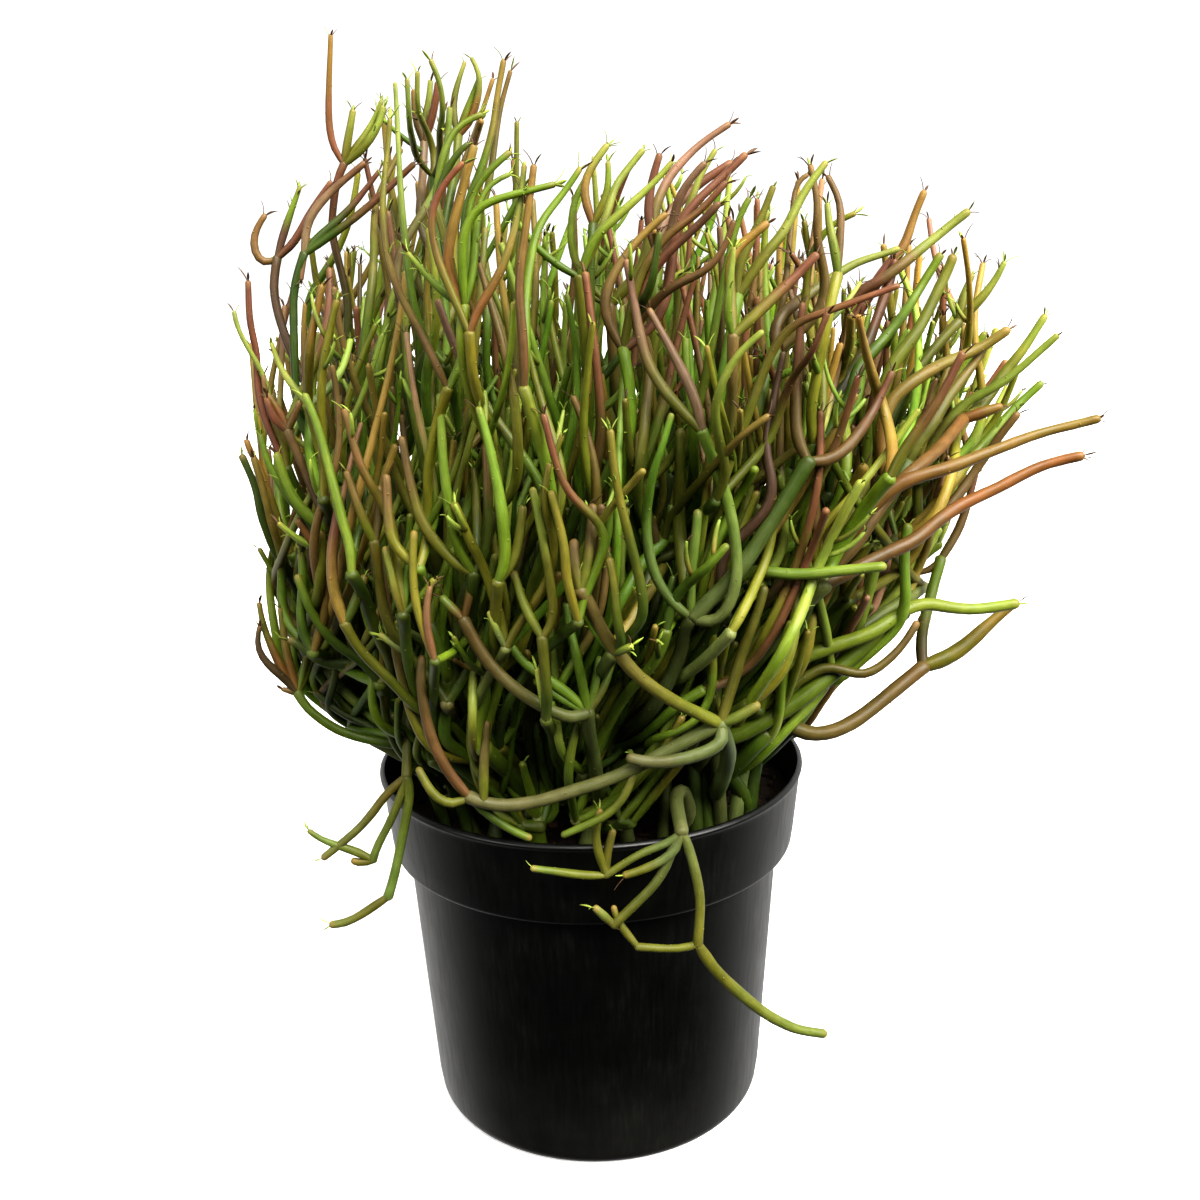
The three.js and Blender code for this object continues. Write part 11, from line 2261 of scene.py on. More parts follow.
p-- 191 178 -1195,1462,4931 -1194,1456,4718 -1216,1426,4414 -1276,1361,4213 -1342,1289,4009 -1360,1204,3671 -1388,1154,3545 -1417,1127,3481
p-- 193 179 -1142,1419,3668 -1149,1357,3429 -1150,1299,3271 -1112,1162,2950 -1065,1089,2794 -1006,1012,2658 -917,887,2502 -864,726,2326
p-- 168 156 -1381,1113,3876 -1398,1017,3567 -1417,986,3330 -1432,958,3100 -1421,947,3026 -1383,934,2968 -1219,917,2852
p-- 167 155 -1325,1247,3622 -1300,1137,3321 -1287,1060,3077 -1243,1006,2914 -1074,861,2615 -864,726,2326
p-- 196 183 -1159,939,4453 -1166,933,4133 -1186,934,3814 -1220,948,3497 -1228,958,3260 -1255,975,3192
p-- 241 224 -1571,1002,5190 -1527,1052,4793 -1483,1115,4482 -1430,1188,4181 -1425,1192,4103 -1418,1143,3959 -1457,1052,3753
p-- 198 184 -1317,919,3998 -1343,918,3762 -1343,922,3601 -1319,932,3359 -1294,941,3120 -1266,944,3050 -1218,945,2988 -1158,943,2928 -1093,923,2878 -1039,874,2836 -1014,813,2784 -1015,758,2721
p-- 221 205 -1339,1164,4520 -1352,1174,4289 -1364,1171,4058 -1387,1125,3681 -1419,1137,3556 -1417,1127,3481
p-- 164 152 -983,707,2650 -869,671,2475 -755,585,2223
p-- 217 202 -1287,1301,4036 -1341,1136,3684 -1428,1033,3499 -1565,832,3213 -1600,804,3153 -1613,779,3084 -1594,759,3015 -1552,747,2956 -1269,720,2703 -1184,688,2569
p-- 219 204 -779,1135,5965 -846,1149,5652 -875,1189,5417 -886,1258,5188 -879,1385,4895 -883,1386,4816 -926,1339,4584 -948,1347,4507 -991,1420,4368
p-- 204 190 -1471,819,4972 -1547,891,4664 -1569,962,4433 -1521,1063,4122 -1478,1119,3975 -1417,1179,3840 -1397,1193,3769 -1395,1184,3694 -1417,1127,3481
p-- 175 162 -939,1069,3721 -944,973,3501 -971,904,3274 -1004,879,3121 -1114,875,2765 -1123,861,2693 -1105,837,2621 -1021,775,2502 -932,705,2394 -838,621,2301 -814,595,2257
p-- 177 165 -631,1619,5604 -780,1643,5236 -890,1633,5031 -964,1612,4902 -1137,1503,4605 -1255,1369,4452 -1293,1348,4387
p-- 236 219 -1287,691,2770 -1200,643,2638 -1091,616,2522 -859,589,2305 -814,595,2257
s-- 284 275 -937,1018,4565 -933,1016,4242 -951,997,3919 -959,983,3840 -1015,883,3537 -1036,895,3382
s-- 274 266 -1286,1075,4358 -1282,1078,4054 -1268,1064,3827 -1263,1080,3753
s-- 265 257 -991,1420,4368 -1052,1357,4129 -1076,1314,3966 -1078,1277,3890 -1083,1221,3828
s-- 251 243 -1293,1348,4387 -1198,1266,4116 -1161,1236,3966 -1083,1221,3828
s-- 308 299 -1083,1221,3828 -1129,1163,3597 -1156,1082,3287 -1184,1020,3059 -1221,962,2920 -1219,917,2852
s-- 279 271 -1457,1052,3753 -1432,966,3523 -1401,889,3290 -1344,824,3053 -1287,766,2809 -1184,688,2569
s-- 318 308 -1263,1080,3753 -1272,1033,3423 -1280,983,3269 -1255,975,3192
s-- 256 248 -1417,1127,3481 -1340,1006,3267 -1332,975,3204 -1365,919,3067
s-- 329 319 -1036,895,3382 -1118,807,3166 -1153,763,3013 -1148,741,2934 -1099,701,2784
s-- 222 215 -1238,878,3166 -1164,865,3024 -1083,838,2802 -1027,801,2664 -878,684,2425 -715,565,2192
s-- 292 283 -1365,919,3067 -1282,855,2853 -1205,811,2722 -1008,708,2496 -814,595,2257
s-- 357 346 -1219,917,2852 -1139,819,2744 -1045,736,2637 -853,612,2400 -690,517,2238
s-- 350 340 -1255,975,3192 -1182,840,2882 -1133,803,2823 -1068,772,2779 -1015,758,2721
s-- 382 370 -1099,701,2784 -942,637,2628 -846,591,2510 -690,517,2238
s-- 395 383 -1015,758,2721 -911,743,2604 -820,705,2486 -627,518,2203
s-- 324 314 -1184,688,2569 -1053,636,2421 -868,585,2308 -834,621,2236
s-- 264 256 -875,529,2569 -805,511,2436 -690,517,2238
s-- 274 266 -1142,1073,2879 -1018,920,2733 -892,820,2542 -830,734,2412 -755,585,2223
s-- 339 329 -814,595,2257 -755,585,2223
s-- 263 255 -864,726,2326 -808,661,2306 -834,621,2236
s-- 267 259 -852,596,2251 -827,631,2249
s-- 310 300 -827,631,2249 -834,621,2236
s-- 240 232 -843,462,2261 -639,524,2136
s-- 393 381 -755,585,2223 -715,565,2192
s-- 425 412 -715,565,2192 -639,524,2136
s-- 443 430 -690,517,2238 -627,518,2203
s-- 376 365 -834,621,2236 -695,546,2110
s-- 514 499 -627,518,2203 -639,524,2136
s-- 560 543 -639,524,2136 -695,546,2110
s-- 560 543 -695,546,2110 -628,514,1960 -610,498,1880 -598,488,1464
y-- 214 204 -1376,663,3350 -1315,724,3253 -1287,768,3213 -1238,878,3166
y-- 146 139 -1199,1367,4646 -1132,1375,4521 -1044,1403,4413 -991,1420,4368
y-- 199 189 -1097,1123,4503 -1178,1097,4413 -1286,1075,4358
y-- 195 186 -1016,1239,4262 -1066,1194,4159 -1137,1144,4071 -1226,1099,4000 -1279,1076,3978
b-- 331 260 -864,726,2326 -818,703,2301 -757,712,2256 -690,742,2194 -624,782,2117 -567,822,2028 -515,856,1880
""",
    "stem_right_back_3": """
p-- 193 179 1881,1074,4488 1814,994,4272 1747,894,4065 1705,812,3935 1645,670,3752 1579,595,3628 1531,583,3565 1433,619,3447 1322,753,3286
p-- 200 186 1615,493,4542 1638,529,4311 1643,592,4086 1628,684,3873 1591,830,3611 1564,833,3542 1565,817,3470
p-- 177 165 1537,752,3545 1447,714,3233 1309,690,2932 1123,621,2600 915,503,2286 913,498,2237
p-- 216 201 1401,1370,4454 1364,1284,4237 1347,1199,4017 1375,1053,3651 1372,982,3508 1305,899,3387 1211,822,3282 1123,776,3160 1097,768,3089 1097,766,3014 1116,768,2938
p-- 230 214 1913,968,5218 1985,1026,4831 2046,1073,4443 2016,1073,4288 1957,1066,4140
p-- 182 169 2286,718,4624 2226,728,4401 2101,730,4106 2002,753,3806 1932,758,3678 1841,757,3571
p-- 180 167 1758,543,4128 1699,525,3890 1632,509,3655 1523,496,3349 1419,507,3130 1316,520,2911 1091,486,2578
p-- 206 192 1614,882,4116 1477,886,3751 1352,891,3469 1325,860,3402 1322,753,3286
p-- 236 220 1670,1213,3860 1549,1152,3549 1433,1096,3296 1276,1037,3042 1166,973,2894 1115,917,2786 1081,816,2637 1030,657,2531
p-- 229 213 1381,607,3179 1105,632,2888 951,679,2731 911,693,2672 889,668,2462
p-- 210 195 1952,845,4260 1819,878,4060 1719,910,3937 1488,983,3723 1428,991,3670 1373,983,3610 1333,954,3544 1311,911,3477 1306,860,3412 1322,753,3286
p-- 228 212 1746,878,4690 1711,880,4453 1647,857,4223 1589,826,4078 1485,768,3870 1400,736,3739 1327,721,3598 1303,731,3442 1322,753,3286
p-- 157 146 2166,680,4224 2069,603,3935 1998,514,3647 1960,494,3582 1819,478,3395 1605,530,3165 1442,578,2992
p-- 206 192 1576,1050,3961 1532,1079,3736 1510,1065,3584 1462,960,3292 1423,861,3077 1397,825,3007 1320,759,2886 1223,712,2784 1054,675,2636 889,668,2462
p-- 187 174 1610,1255,4497 1700,1263,4297 1716,1271,4155 1673,1287,3930 1634,1273,3771 1619,1255,3692 1630,1171,3553
p-- 222 206 700,1120,3779 740,1020,3570 783,957,3434 838,898,3300 964,805,3045 967,759,2986 976,700,2938
p-- 238 222 1863,579,3736 1851,554,3566 1818,530,3393 1753,504,3221 1704,490,3140 1519,463,2943 1395,448,2783 1306,429,2694 1150,428,2559 1003,451,2405
p-- 231 215 1051,487,2802 914,409,2522 837,399,2381 757,413,2240
p-- 180 167 1530,1010,3360 1453,853,3139 1306,691,2840 1141,586,2579 921,493,2292 913,498,2237
p-- 220 205 1645,1063,3607 1568,1004,3337 1481,949,3166 1278,798,2865 1170,706,2637 1030,657,2531
p-- 185 172 1059,682,2799 997,620,2598 892,523,2336 811,448,2140
p-- 232 215 2095,894,4558 2003,907,4346 1957,917,4196 1929,922,4041 1912,907,3884 1872,881,3731 1744,815,3447
p-- 172 160 1793,710,4857 1774,756,4711 1773,785,4558 1792,800,4403 1842,801,4174 1834,801,4097 1783,771,3954 1775,731,3888 1784,682,3829
p-- 187 174 2057,1191,4932 2022,1195,4687 2006,1178,4525 1988,1087,4212 1957,1066,4140
p-- 221 206 1922,660,5153 1856,748,4850 1809,809,4620 1745,860,4310 1682,879,3997 1550,819,3710 1539,810,3630 1565,817,3470
p-- 174 162 2006,673,4607 2000,644,4300 2013,642,4001 2028,643,3788 2013,603,3639
p-- 195 181 1499,591,3946 1432,716,3576 1375,792,3354 1333,824,3202 1313,826,3122 1206,793,2794 1141,751,2634 1064,697,2512 873,576,2308 868,573,2260
p-- 223 208 1497,760,3053 1414,657,2927 1289,564,2794 1091,486,2578
p-- 226 210 1499,876,4819 1495,902,4664 1510,929,4510 1553,956,4361 1643,1005,4141 1638,1006,4060 1544,929,3848 1546,918,3770 1574,926,3696
p-- 242 225 1409,1182,4606 1361,1172,4379 1333,1149,4229 1286,1062,3932 1265,1014,3704 1253,936,3491 1240,902,3424 1209,864,3363 1119,794,3251 1083,770,3185 1071,759,3107 1116,768,2938
p-- 239 222 1470,1062,3626 1325,1021,3447 1244,961,3328 1214,920,3267 1174,820,3148 1115,718,3040 1061,696,2985 976,700,2938
p-- 234 218 2120,859,5160 2107,874,4922 2111,873,4762 2130,851,4518 2152,801,4272 2148,742,4116 2087,641,3912 2013,603,3639
p-- 197 184 1704,860,3386 1541,809,3211 1375,761,3034 1123,752,2717 1083,738,2650 1030,657,2531
p-- 236 220 2044,1130,4499 1918,1047,4210 1848,968,3992 1829,905,3845 1809,826,3708 1841,757,3571
p-- 234 217 1758,802,4350 1742,798,4021 1779,768,3610 1775,789,3527 1744,815,3447
p-- 184 172 1629,1068,4700 1611,1060,4460 1590,1026,4224 1594,920,3923 1592,822,3622 1570,806,3548 1565,817,3470
p-- 241 224 1584,569,3208 1475,543,3090 1252,454,2756 1200,447,2693 1091,486,2578
p-- 192 179 2163,502,4352 2044,521,4061 1889,532,3788 1746,539,3601 1529,538,3375 1485,554,3314 1458,596,3255
p-- 211 196 1794,432,3374 1681,481,3198 1557,510,3014 1322,524,2710 1191,511,2540 927,482,2286 913,498,2237
p-- 228 212 1379,936,3070 1149,819,2807 1057,778,2670 961,679,2462 868,573,2260
p-- 222 206 2027,928,4131 1968,954,3980 1901,949,3842 1819,908,3725 1679,815,3571 1632,808,3510 1565,817,3470
p-- 226 210 2209,689,5002 2117,664,4784 2072,660,4632 2032,680,4398 2019,724,4169 1993,748,4016 1920,753,3792 1841,757,3571
p-- 234 218 1681,475,3769 1591,455,3383 1532,431,3069 1476,414,2922 1317,385,2661 1122,379,2449 969,389,2304 956,408,2257
p-- 188 175 2049,445,4846 1961,469,4542 1866,512,4242 1765,576,3948 1687,636,3731 1650,651,3662 1500,632,3480 1468,616,3409 1458,596,3255
p-- 195 181 1340,531,2817 1170,484,2569 956,408,2257
p-- 181 169 1143,1022,2923 1014,854,2646 940,717,2449 868,573,2260
p-- 223 208 1798,1082,3956 1718,1060,3715 1608,967,3386 1506,852,3147 1357,662,2857 1252,571,2637
p-- 194 181 1391,866,3829 1385,849,3496 1351,852,3337 1237,851,3118 1170,779,2993 1116,768,2938
p-- 213 199 1736,657,3485 1677,625,3332 1575,577,3104 1373,497,2847 1275,467,2629 1124,426,2463 966,398,2308 956,408,2257
p-- 233 217 1853,1451,4862 1904,1408,4637 1919,1359,4489 1910,1292,4345 1870,1153,4142 1878,1004,3841 1847,986,3724
p-- 217 202 1128,603,3064 934,623,2857 853,627,2753 837,606,2692 848,568,2645 897,478,2571
p-- 221 206 1840,724,3942 1808,681,3610 1730,654,3349 1581,618,3080 1390,573,2843 1252,571,2637
p-- 193 180 1932,886,4616 1936,806,4317 1924,743,4179 1884,633,3994 1857,628,3928 1784,682,3829
p-- 235 218 1500,1392,3754 1421,1333,3631 1356,1262,3500 1309,1153,3279 1243,964,3008 1147,827,2729 1030,657,2531
p-- 229 213 2154,1043,5078 2147,1097,4768 2083,1138,4440 2013,1149,4265 1868,1139,4016 1808,1128,3887 1687,1170,3668 1630,1171,3553
p-- 191 178 1873,1384,4525 1693,1303,4179 1644,1245,4036 1596,1157,3814 1577,1067,3591 1579,989,3452 1560,860,3367 1535,809,3316
p-- 192 178 2467,518,4625 2395,547,4475 2279,572,4246 2156,563,4009 2096,545,3849 2071,552,3771 2013,603,3639
p-- 233 216 1499,1213,4943 1537,1194,4635 1567,1208,4404 1601,1260,4030 1596,1305,3824 1598,1301,3752 1630,1171,3553
p-- 181 169 2073,489,4059 2017,457,3833 1947,435,3610 1853,425,3398 1739,426,3202 1691,433,3142 1625,453,3101 1494,533,3042 1442,578,2992
p-- 204 190 2170,860,4226 2001,872,4059 1669,885,3830 1628,899,3756 1574,926,3696
p-- 181 169 2125,271,4893 2077,365,4674 2058,436,4530 2045,592,4251 2037,706,4051 1996,808,3866 1932,845,3720 1880,846,3589 1692,772,3238
s-- 267 259 1957,1066,4140 1733,981,3814 1669,939,3671 1535,809,3316
s-- 224 218 1784,682,3829 1678,715,3625 1614,739,3416 1535,809,3316
s-- 263 255 1574,926,3696 1428,963,3415 1275,935,3136 1209,883,2999 1079,738,2739 889,668,2462
s-- 274 266 1841,757,3571 1723,713,3368 1628,669,3245 1520,630,3135 1461,624,3080 1355,633,2956 1274,619,2814 1195,563,2682 1091,486,2578
s-- 270 262 1630,1171,3553 1489,1054,3368 1314,891,3128 1116,768,2938
s-- 270 262 1847,986,3724 1705,924,3495 1582,872,3318 1376,791,3101 1206,722,2953
s-- 257 249 1565,817,3470 1329,779,3150 1255,741,3011 1206,722,2953
s-- 272 264 2013,603,3639 1988,615,3587 1874,611,3480 1833,626,3437 1741,753,3291 1692,772,3238
s-- 264 256 1322,753,3286 1251,680,3159 1124,593,2971 994,511,2692 897,478,2571
s-- 271 263 1744,815,3447 1523,754,3132 1492,709,3074 1480,640,3031 1442,578,2992
s-- 310 300 1535,809,3316 1263,712,3018 1206,722,2953
s-- 315 306 1692,772,3238 1637,737,3209 1510,689,3151 1324,627,3029 1171,555,2859 1079,517,2732 897,478,2571
s-- 223 216 1458,596,3255 1252,503,3043 991,433,2766 950,431,2703 897,478,2571
s-- 313 304 1116,768,2938 1044,730,2800 875,584,2469 758,425,2223
s-- 314 305 1442,578,2992 1252,567,2838 1141,560,2718 970,510,2441 786,416,2186
s-- 359 349 1206,722,2953 1042,594,2700 884,507,2427 758,425,2223
s-- 305 296 889,668,2462 758,425,2223
s-- 274 266 1030,657,2531 894,523,2328 786,416,2186
s-- 277 269 976,700,2938 912,675,2796 872,628,2650 812,519,2448 757,413,2240
s-- 366 355 897,478,2571 853,452,2448 786,416,2186
s-- 318 309 1091,486,2578 924,440,2412 757,413,2240
s-- 259 251 1252,571,2637 1136,529,2547 1003,451,2405
s-- 300 291 1003,451,2405 956,413,2287 956,408,2257
s-- 265 257 868,573,2260 913,498,2237
s-- 348 338 956,408,2257 786,416,2186
s-- 369 358 757,413,2240 758,425,2223
s-- 428 415 758,425,2223 786,416,2186
s-- 497 482 786,416,2186 811,448,2140
s-- 307 298 913,498,2237 811,448,2140
s-- 560 543 811,448,2140 720,418,1929 696,404,1543
y-- 194 184 1725,1168,3920 1645,1071,3785 1574,926,3696
y-- 197 187 1696,1035,3395 1667,887,3282 1692,772,3238
y-- 156 149 1668,715,4053 1712,697,3933 1784,682,3829
y-- 171 163 1900,1215,4348 1904,1146,4233 1957,1066,4140
b-- 375 302 889,668,2462 853,642,2406 802,657,2340 743,697,2261 685,750,2170 634,801,2065 588,846,1880
""",
    "stem_left_back_1": """
p-- 190 177 -303,135,5594 -298,233,5284 -282,348,5070 -250,492,4879 -196,709,4667 -201,742,4598 -228,749,4528 -274,760,4472 -328,787,4425
p-- 184 171 -210,1270,4400 -260,1283,4175 -324,1270,3953 -458,1202,3597 -487,1178,3530 -497,1151,3461 -478,1138,3387
p-- 200 186 15,1319,5059 16,1262,4746 -2,1240,4592 -82,1219,4286 -160,1198,3979 -177,1182,3902 -184,1149,3830 -211,1023,3630 -247,1000,3562 -299,1002,3501 -359,1021,3449
p-- 241 225 -432,676,3809 -425,699,3418 -386,664,3108 -395,659,3032 -423,677,2966
p-- 227 211 -159,713,5350 -148,795,5041 -157,867,4812 -189,958,4593 -260,1098,4315 -257,1121,4240 -221,1181,4100
p-- 237 220 -537,1303,4486 -615,1284,4345 -673,1254,4196 -707,1187,3967 -709,1077,3662 -691,1020,3512 -628,961,3376 -537,898,3258
p-- 209 195 -846,1165,4060 -849,1093,3824 -820,1009,3594 -730,874,3309 -622,773,3116 -599,746,3045 -596,722,2968 -642,680,2816
p-- 194 181 -707,836,5375 -635,909,5073 -604,1003,4768 -616,1087,4545 -662,1184,4331 -681,1206,4256 -699,1204,4178 -720,1152,4027 -701,1084,3883 -636,1042,3743 -540,1043,3617
p-- 193 180 -349,1353,5469 -387,1306,5235 -405,1289,4995 -402,1301,4834 -379,1342,4597 -383,1337,4517 -401,1300,4361 -397,1293,4280 -350,1326,4129
p-- 222 207 -236,960,5341 -312,848,4981 -374,730,4703 -389,721,4629 -389,734,4553 -328,787,4425
p-- 220 204 -254,1048,3537 -244,954,3319 -247,867,3099 -264,785,2879 -290,697,2669 -288,558,2402 -282,446,2207
p-- 198 184 -345,867,4360 -334,877,4121 -326,895,3882 -325,944,3481 -330,926,3403 -342,891,3332 -366,858,3262 -404,843,3190 -451,855,3118 -500,889,3051
p-- 187 174 -597,1025,4342 -568,955,4113 -559,893,3880 -581,843,3644 -666,796,3338 -676,779,3260 -619,696,2967 -642,680,2816
p-- 245 227 -115,458,4787 -142,549,4562 -217,653,4262 -276,697,4118 -394,752,3918 -413,754,3840 -442,770,3768
p-- 201 187 -232,1138,4996 -245,1208,4670 -285,1331,4277 -303,1324,4197 -350,1326,4129
p-- 182 169 -389,515,3066 -406,526,2906 -404,518,2746 -349,469,2444 -285,430,2146
p-- 225 209 39,1023,4229 -97,1005,3936 -197,967,3719 -330,883,3438 -510,754,3101 -582,724,2959 -642,680,2816
p-- 207 192 -682,1300,5132 -640,1249,4909 -587,1215,4683 -542,1207,4533 -433,1217,4236 -398,1154,4095 -397,1062,3964 -438,993,3826 -470,988,3753 -540,1043,3617
p-- 186 173 -540,929,3879 -586,902,3477 -634,880,3075 -637,865,2918 -626,848,2843 -594,800,2701 -569,768,2637 -459,644,2470 -324,465,2260
p-- 217 202 -360,1182,5678 -357,1120,5369 -363,1057,5140 -379,980,4917 -412,858,4628 -404,837,4553 -328,787,4425
p-- 239 222 77,1030,3412 12,1009,3271 -56,971,3136 -149,873,2944 -257,648,2653 -287,529,2458 -323,412,2260
p-- 216 201 -788,1117,4595 -765,1087,4359 -722,1072,4125 -656,1076,3896 -587,1087,3669 -592,1070,3591 -615,1002,3451 -607,962,3383 -537,898,3258
p-- 218 203 -21,1109,5397 -14,1152,5088 -23,1202,4858 -36,1265,4631 -33,1283,4554 -26,1283,4474 -24,1228,4325 -46,1193,4257 -90,1170,4195 -151,1167,4142 -221,1181,4100
p-- 166 154 -308,673,3419 -369,622,3101 -409,588,2865 -421,548,2637 -383,499,2422 -285,430,2146
p-- 243 226 -436,899,4614 -404,920,4297 -436,936,3897 -449,944,3818 -475,966,3745 -540,1043,3617
p-- 163 152 -317,1141,5300 -377,1153,5068 -399,1148,4828 -391,1135,4668 -359,1102,4432 -360,1046,4284 -387,1003,4134 -409,1007,4057 -457,1069,3921
p-- 165 153 -151,675,4440 -185,663,4197 -277,648,3882 -377,642,3657 -501,637,3444 -549,631,3289 -585,650,3219 -634,682,3163
p-- 230 214 -456,692,6061 -573,718,5671 -685,792,5285 -733,857,5054 -731,873,4974 -722,899,4896 -723,997,4766
s-- 277 269 -610,818,4602 -607,823,4353 -610,824,4105 -627,835,4025 -660,858,3952
s-- 267 259 -723,997,4766 -715,949,4434 -713,912,4101 -695,890,4022 -660,858,3952
s-- 258 250 -328,787,4425 -386,785,4096 -442,770,3768
s-- 233 226 -350,1326,4129 -378,1307,3895 -404,1259,3666 -453,1148,3461 -478,1138,3387
s-- 263 255 -221,1181,4100 -302,1102,3814 -357,1039,3599 -368,1023,3525 -359,1021,3449
s-- 256 248 -457,1069,3921 -438,1010,3688 -448,929,3464 -463,904,3391 -497,892,3323 -537,898,3258
s-- 321 312 -660,858,3952 -661,794,3632 -660,735,3312 -655,714,3234 -634,682,3163
s-- 282 273 -540,1043,3617 -516,989,3372 -516,913,3132 -500,889,3051
s-- 306 296 -359,1021,3449 -438,954,3329 -509,844,3129 -589,751,2824 -588,716,2666
s-- 299 290 -442,770,3768 -417,768,3606 -405,757,3362 -415,726,3120 -410,697,3043 -423,677,2966
s-- 297 288 -537,898,3258 -663,769,2983 -704,693,2844 -711,656,2773 -655,576,2644
s-- 368 357 -634,682,3163 -685,614,2868 -684,598,2793 -655,576,2644
s-- 270 262 -478,1138,3387 -532,1003,3185 -593,863,2988 -638,742,2875 -642,680,2816
s-- 321 311 -500,889,3051 -570,800,2817 -588,716,2666
s-- 313 304 -642,680,2816 -539,644,2684 -456,599,2547 -282,446,2207
s-- 347 337 -423,677,2966 -409,628,2751 -352,539,2473 -324,465,2260
s-- 426 414 -655,576,2644 -466,481,2424 -323,412,2260
s-- 372 361 -588,716,2666 -482,583,2452 -324,465,2260
s-- 432 419 -324,465,2260 -282,446,2207
s-- 461 447 -323,412,2260 -282,446,2207
s-- 534 518 -282,446,2207 -285,430,2146
s-- 556 539 -285,430,2146 -279,414,1977 -267,420,1893 -260,412,1553
y-- 169 160 -305,1097,4107 -356,1067,3996 -401,1064,3951 -457,1069,3921
y-- 208 198 -356,890,3681 -417,768,3606
y-- 152 144 -445,1465,4242 -386,1379,4154 -350,1326,4129
y-- 210 199 29,966,4456 -139,877,4269 -250,834,4207 -372,786,4178
y-- 179 170 -194,715,4089 -265,728,3923 -344,745,3833 -442,770,3768
y-- 162 154 -821,1056,3408 -761,913,3220 -718,823,3151 -651,665,3090
y-- 189 180 -869,804,4880 -809,799,4762 -727,800,4658 -610,818,4602
y-- 200 190 -235,855,3358 -302,801,3252 -350,769,3214 -410,740,3200
y-- 180 171 -770,913,3844 -688,941,3729 -644,969,3680 -540,1043,3617
y-- 181 172 -518,624,4681 -442,695,4532 -370,754,4453 -328,787,4425
y-- 184 175 -292,1010,4184 -334,1011,4060 -367,1024,4004 -408,1042,3955 -457,1069,3921
y-- 207 197 -301,1251,4199 -259,1205,4122 -221,1181,4100
y-- 200 190 -496,838,4083 -401,783,4014
b-- 322 422 -655,576,2644 -632,538,2567 -670,490,2478 -747,437,2375 -841,386,2257 -931,342,2121 -1010,302,1880
b-- 374 317 -500,889,3051 -490,837,2913 -394,779,2771 -246,721,2615 -78,666,2441 78,620,2242 216,578,1880
""",
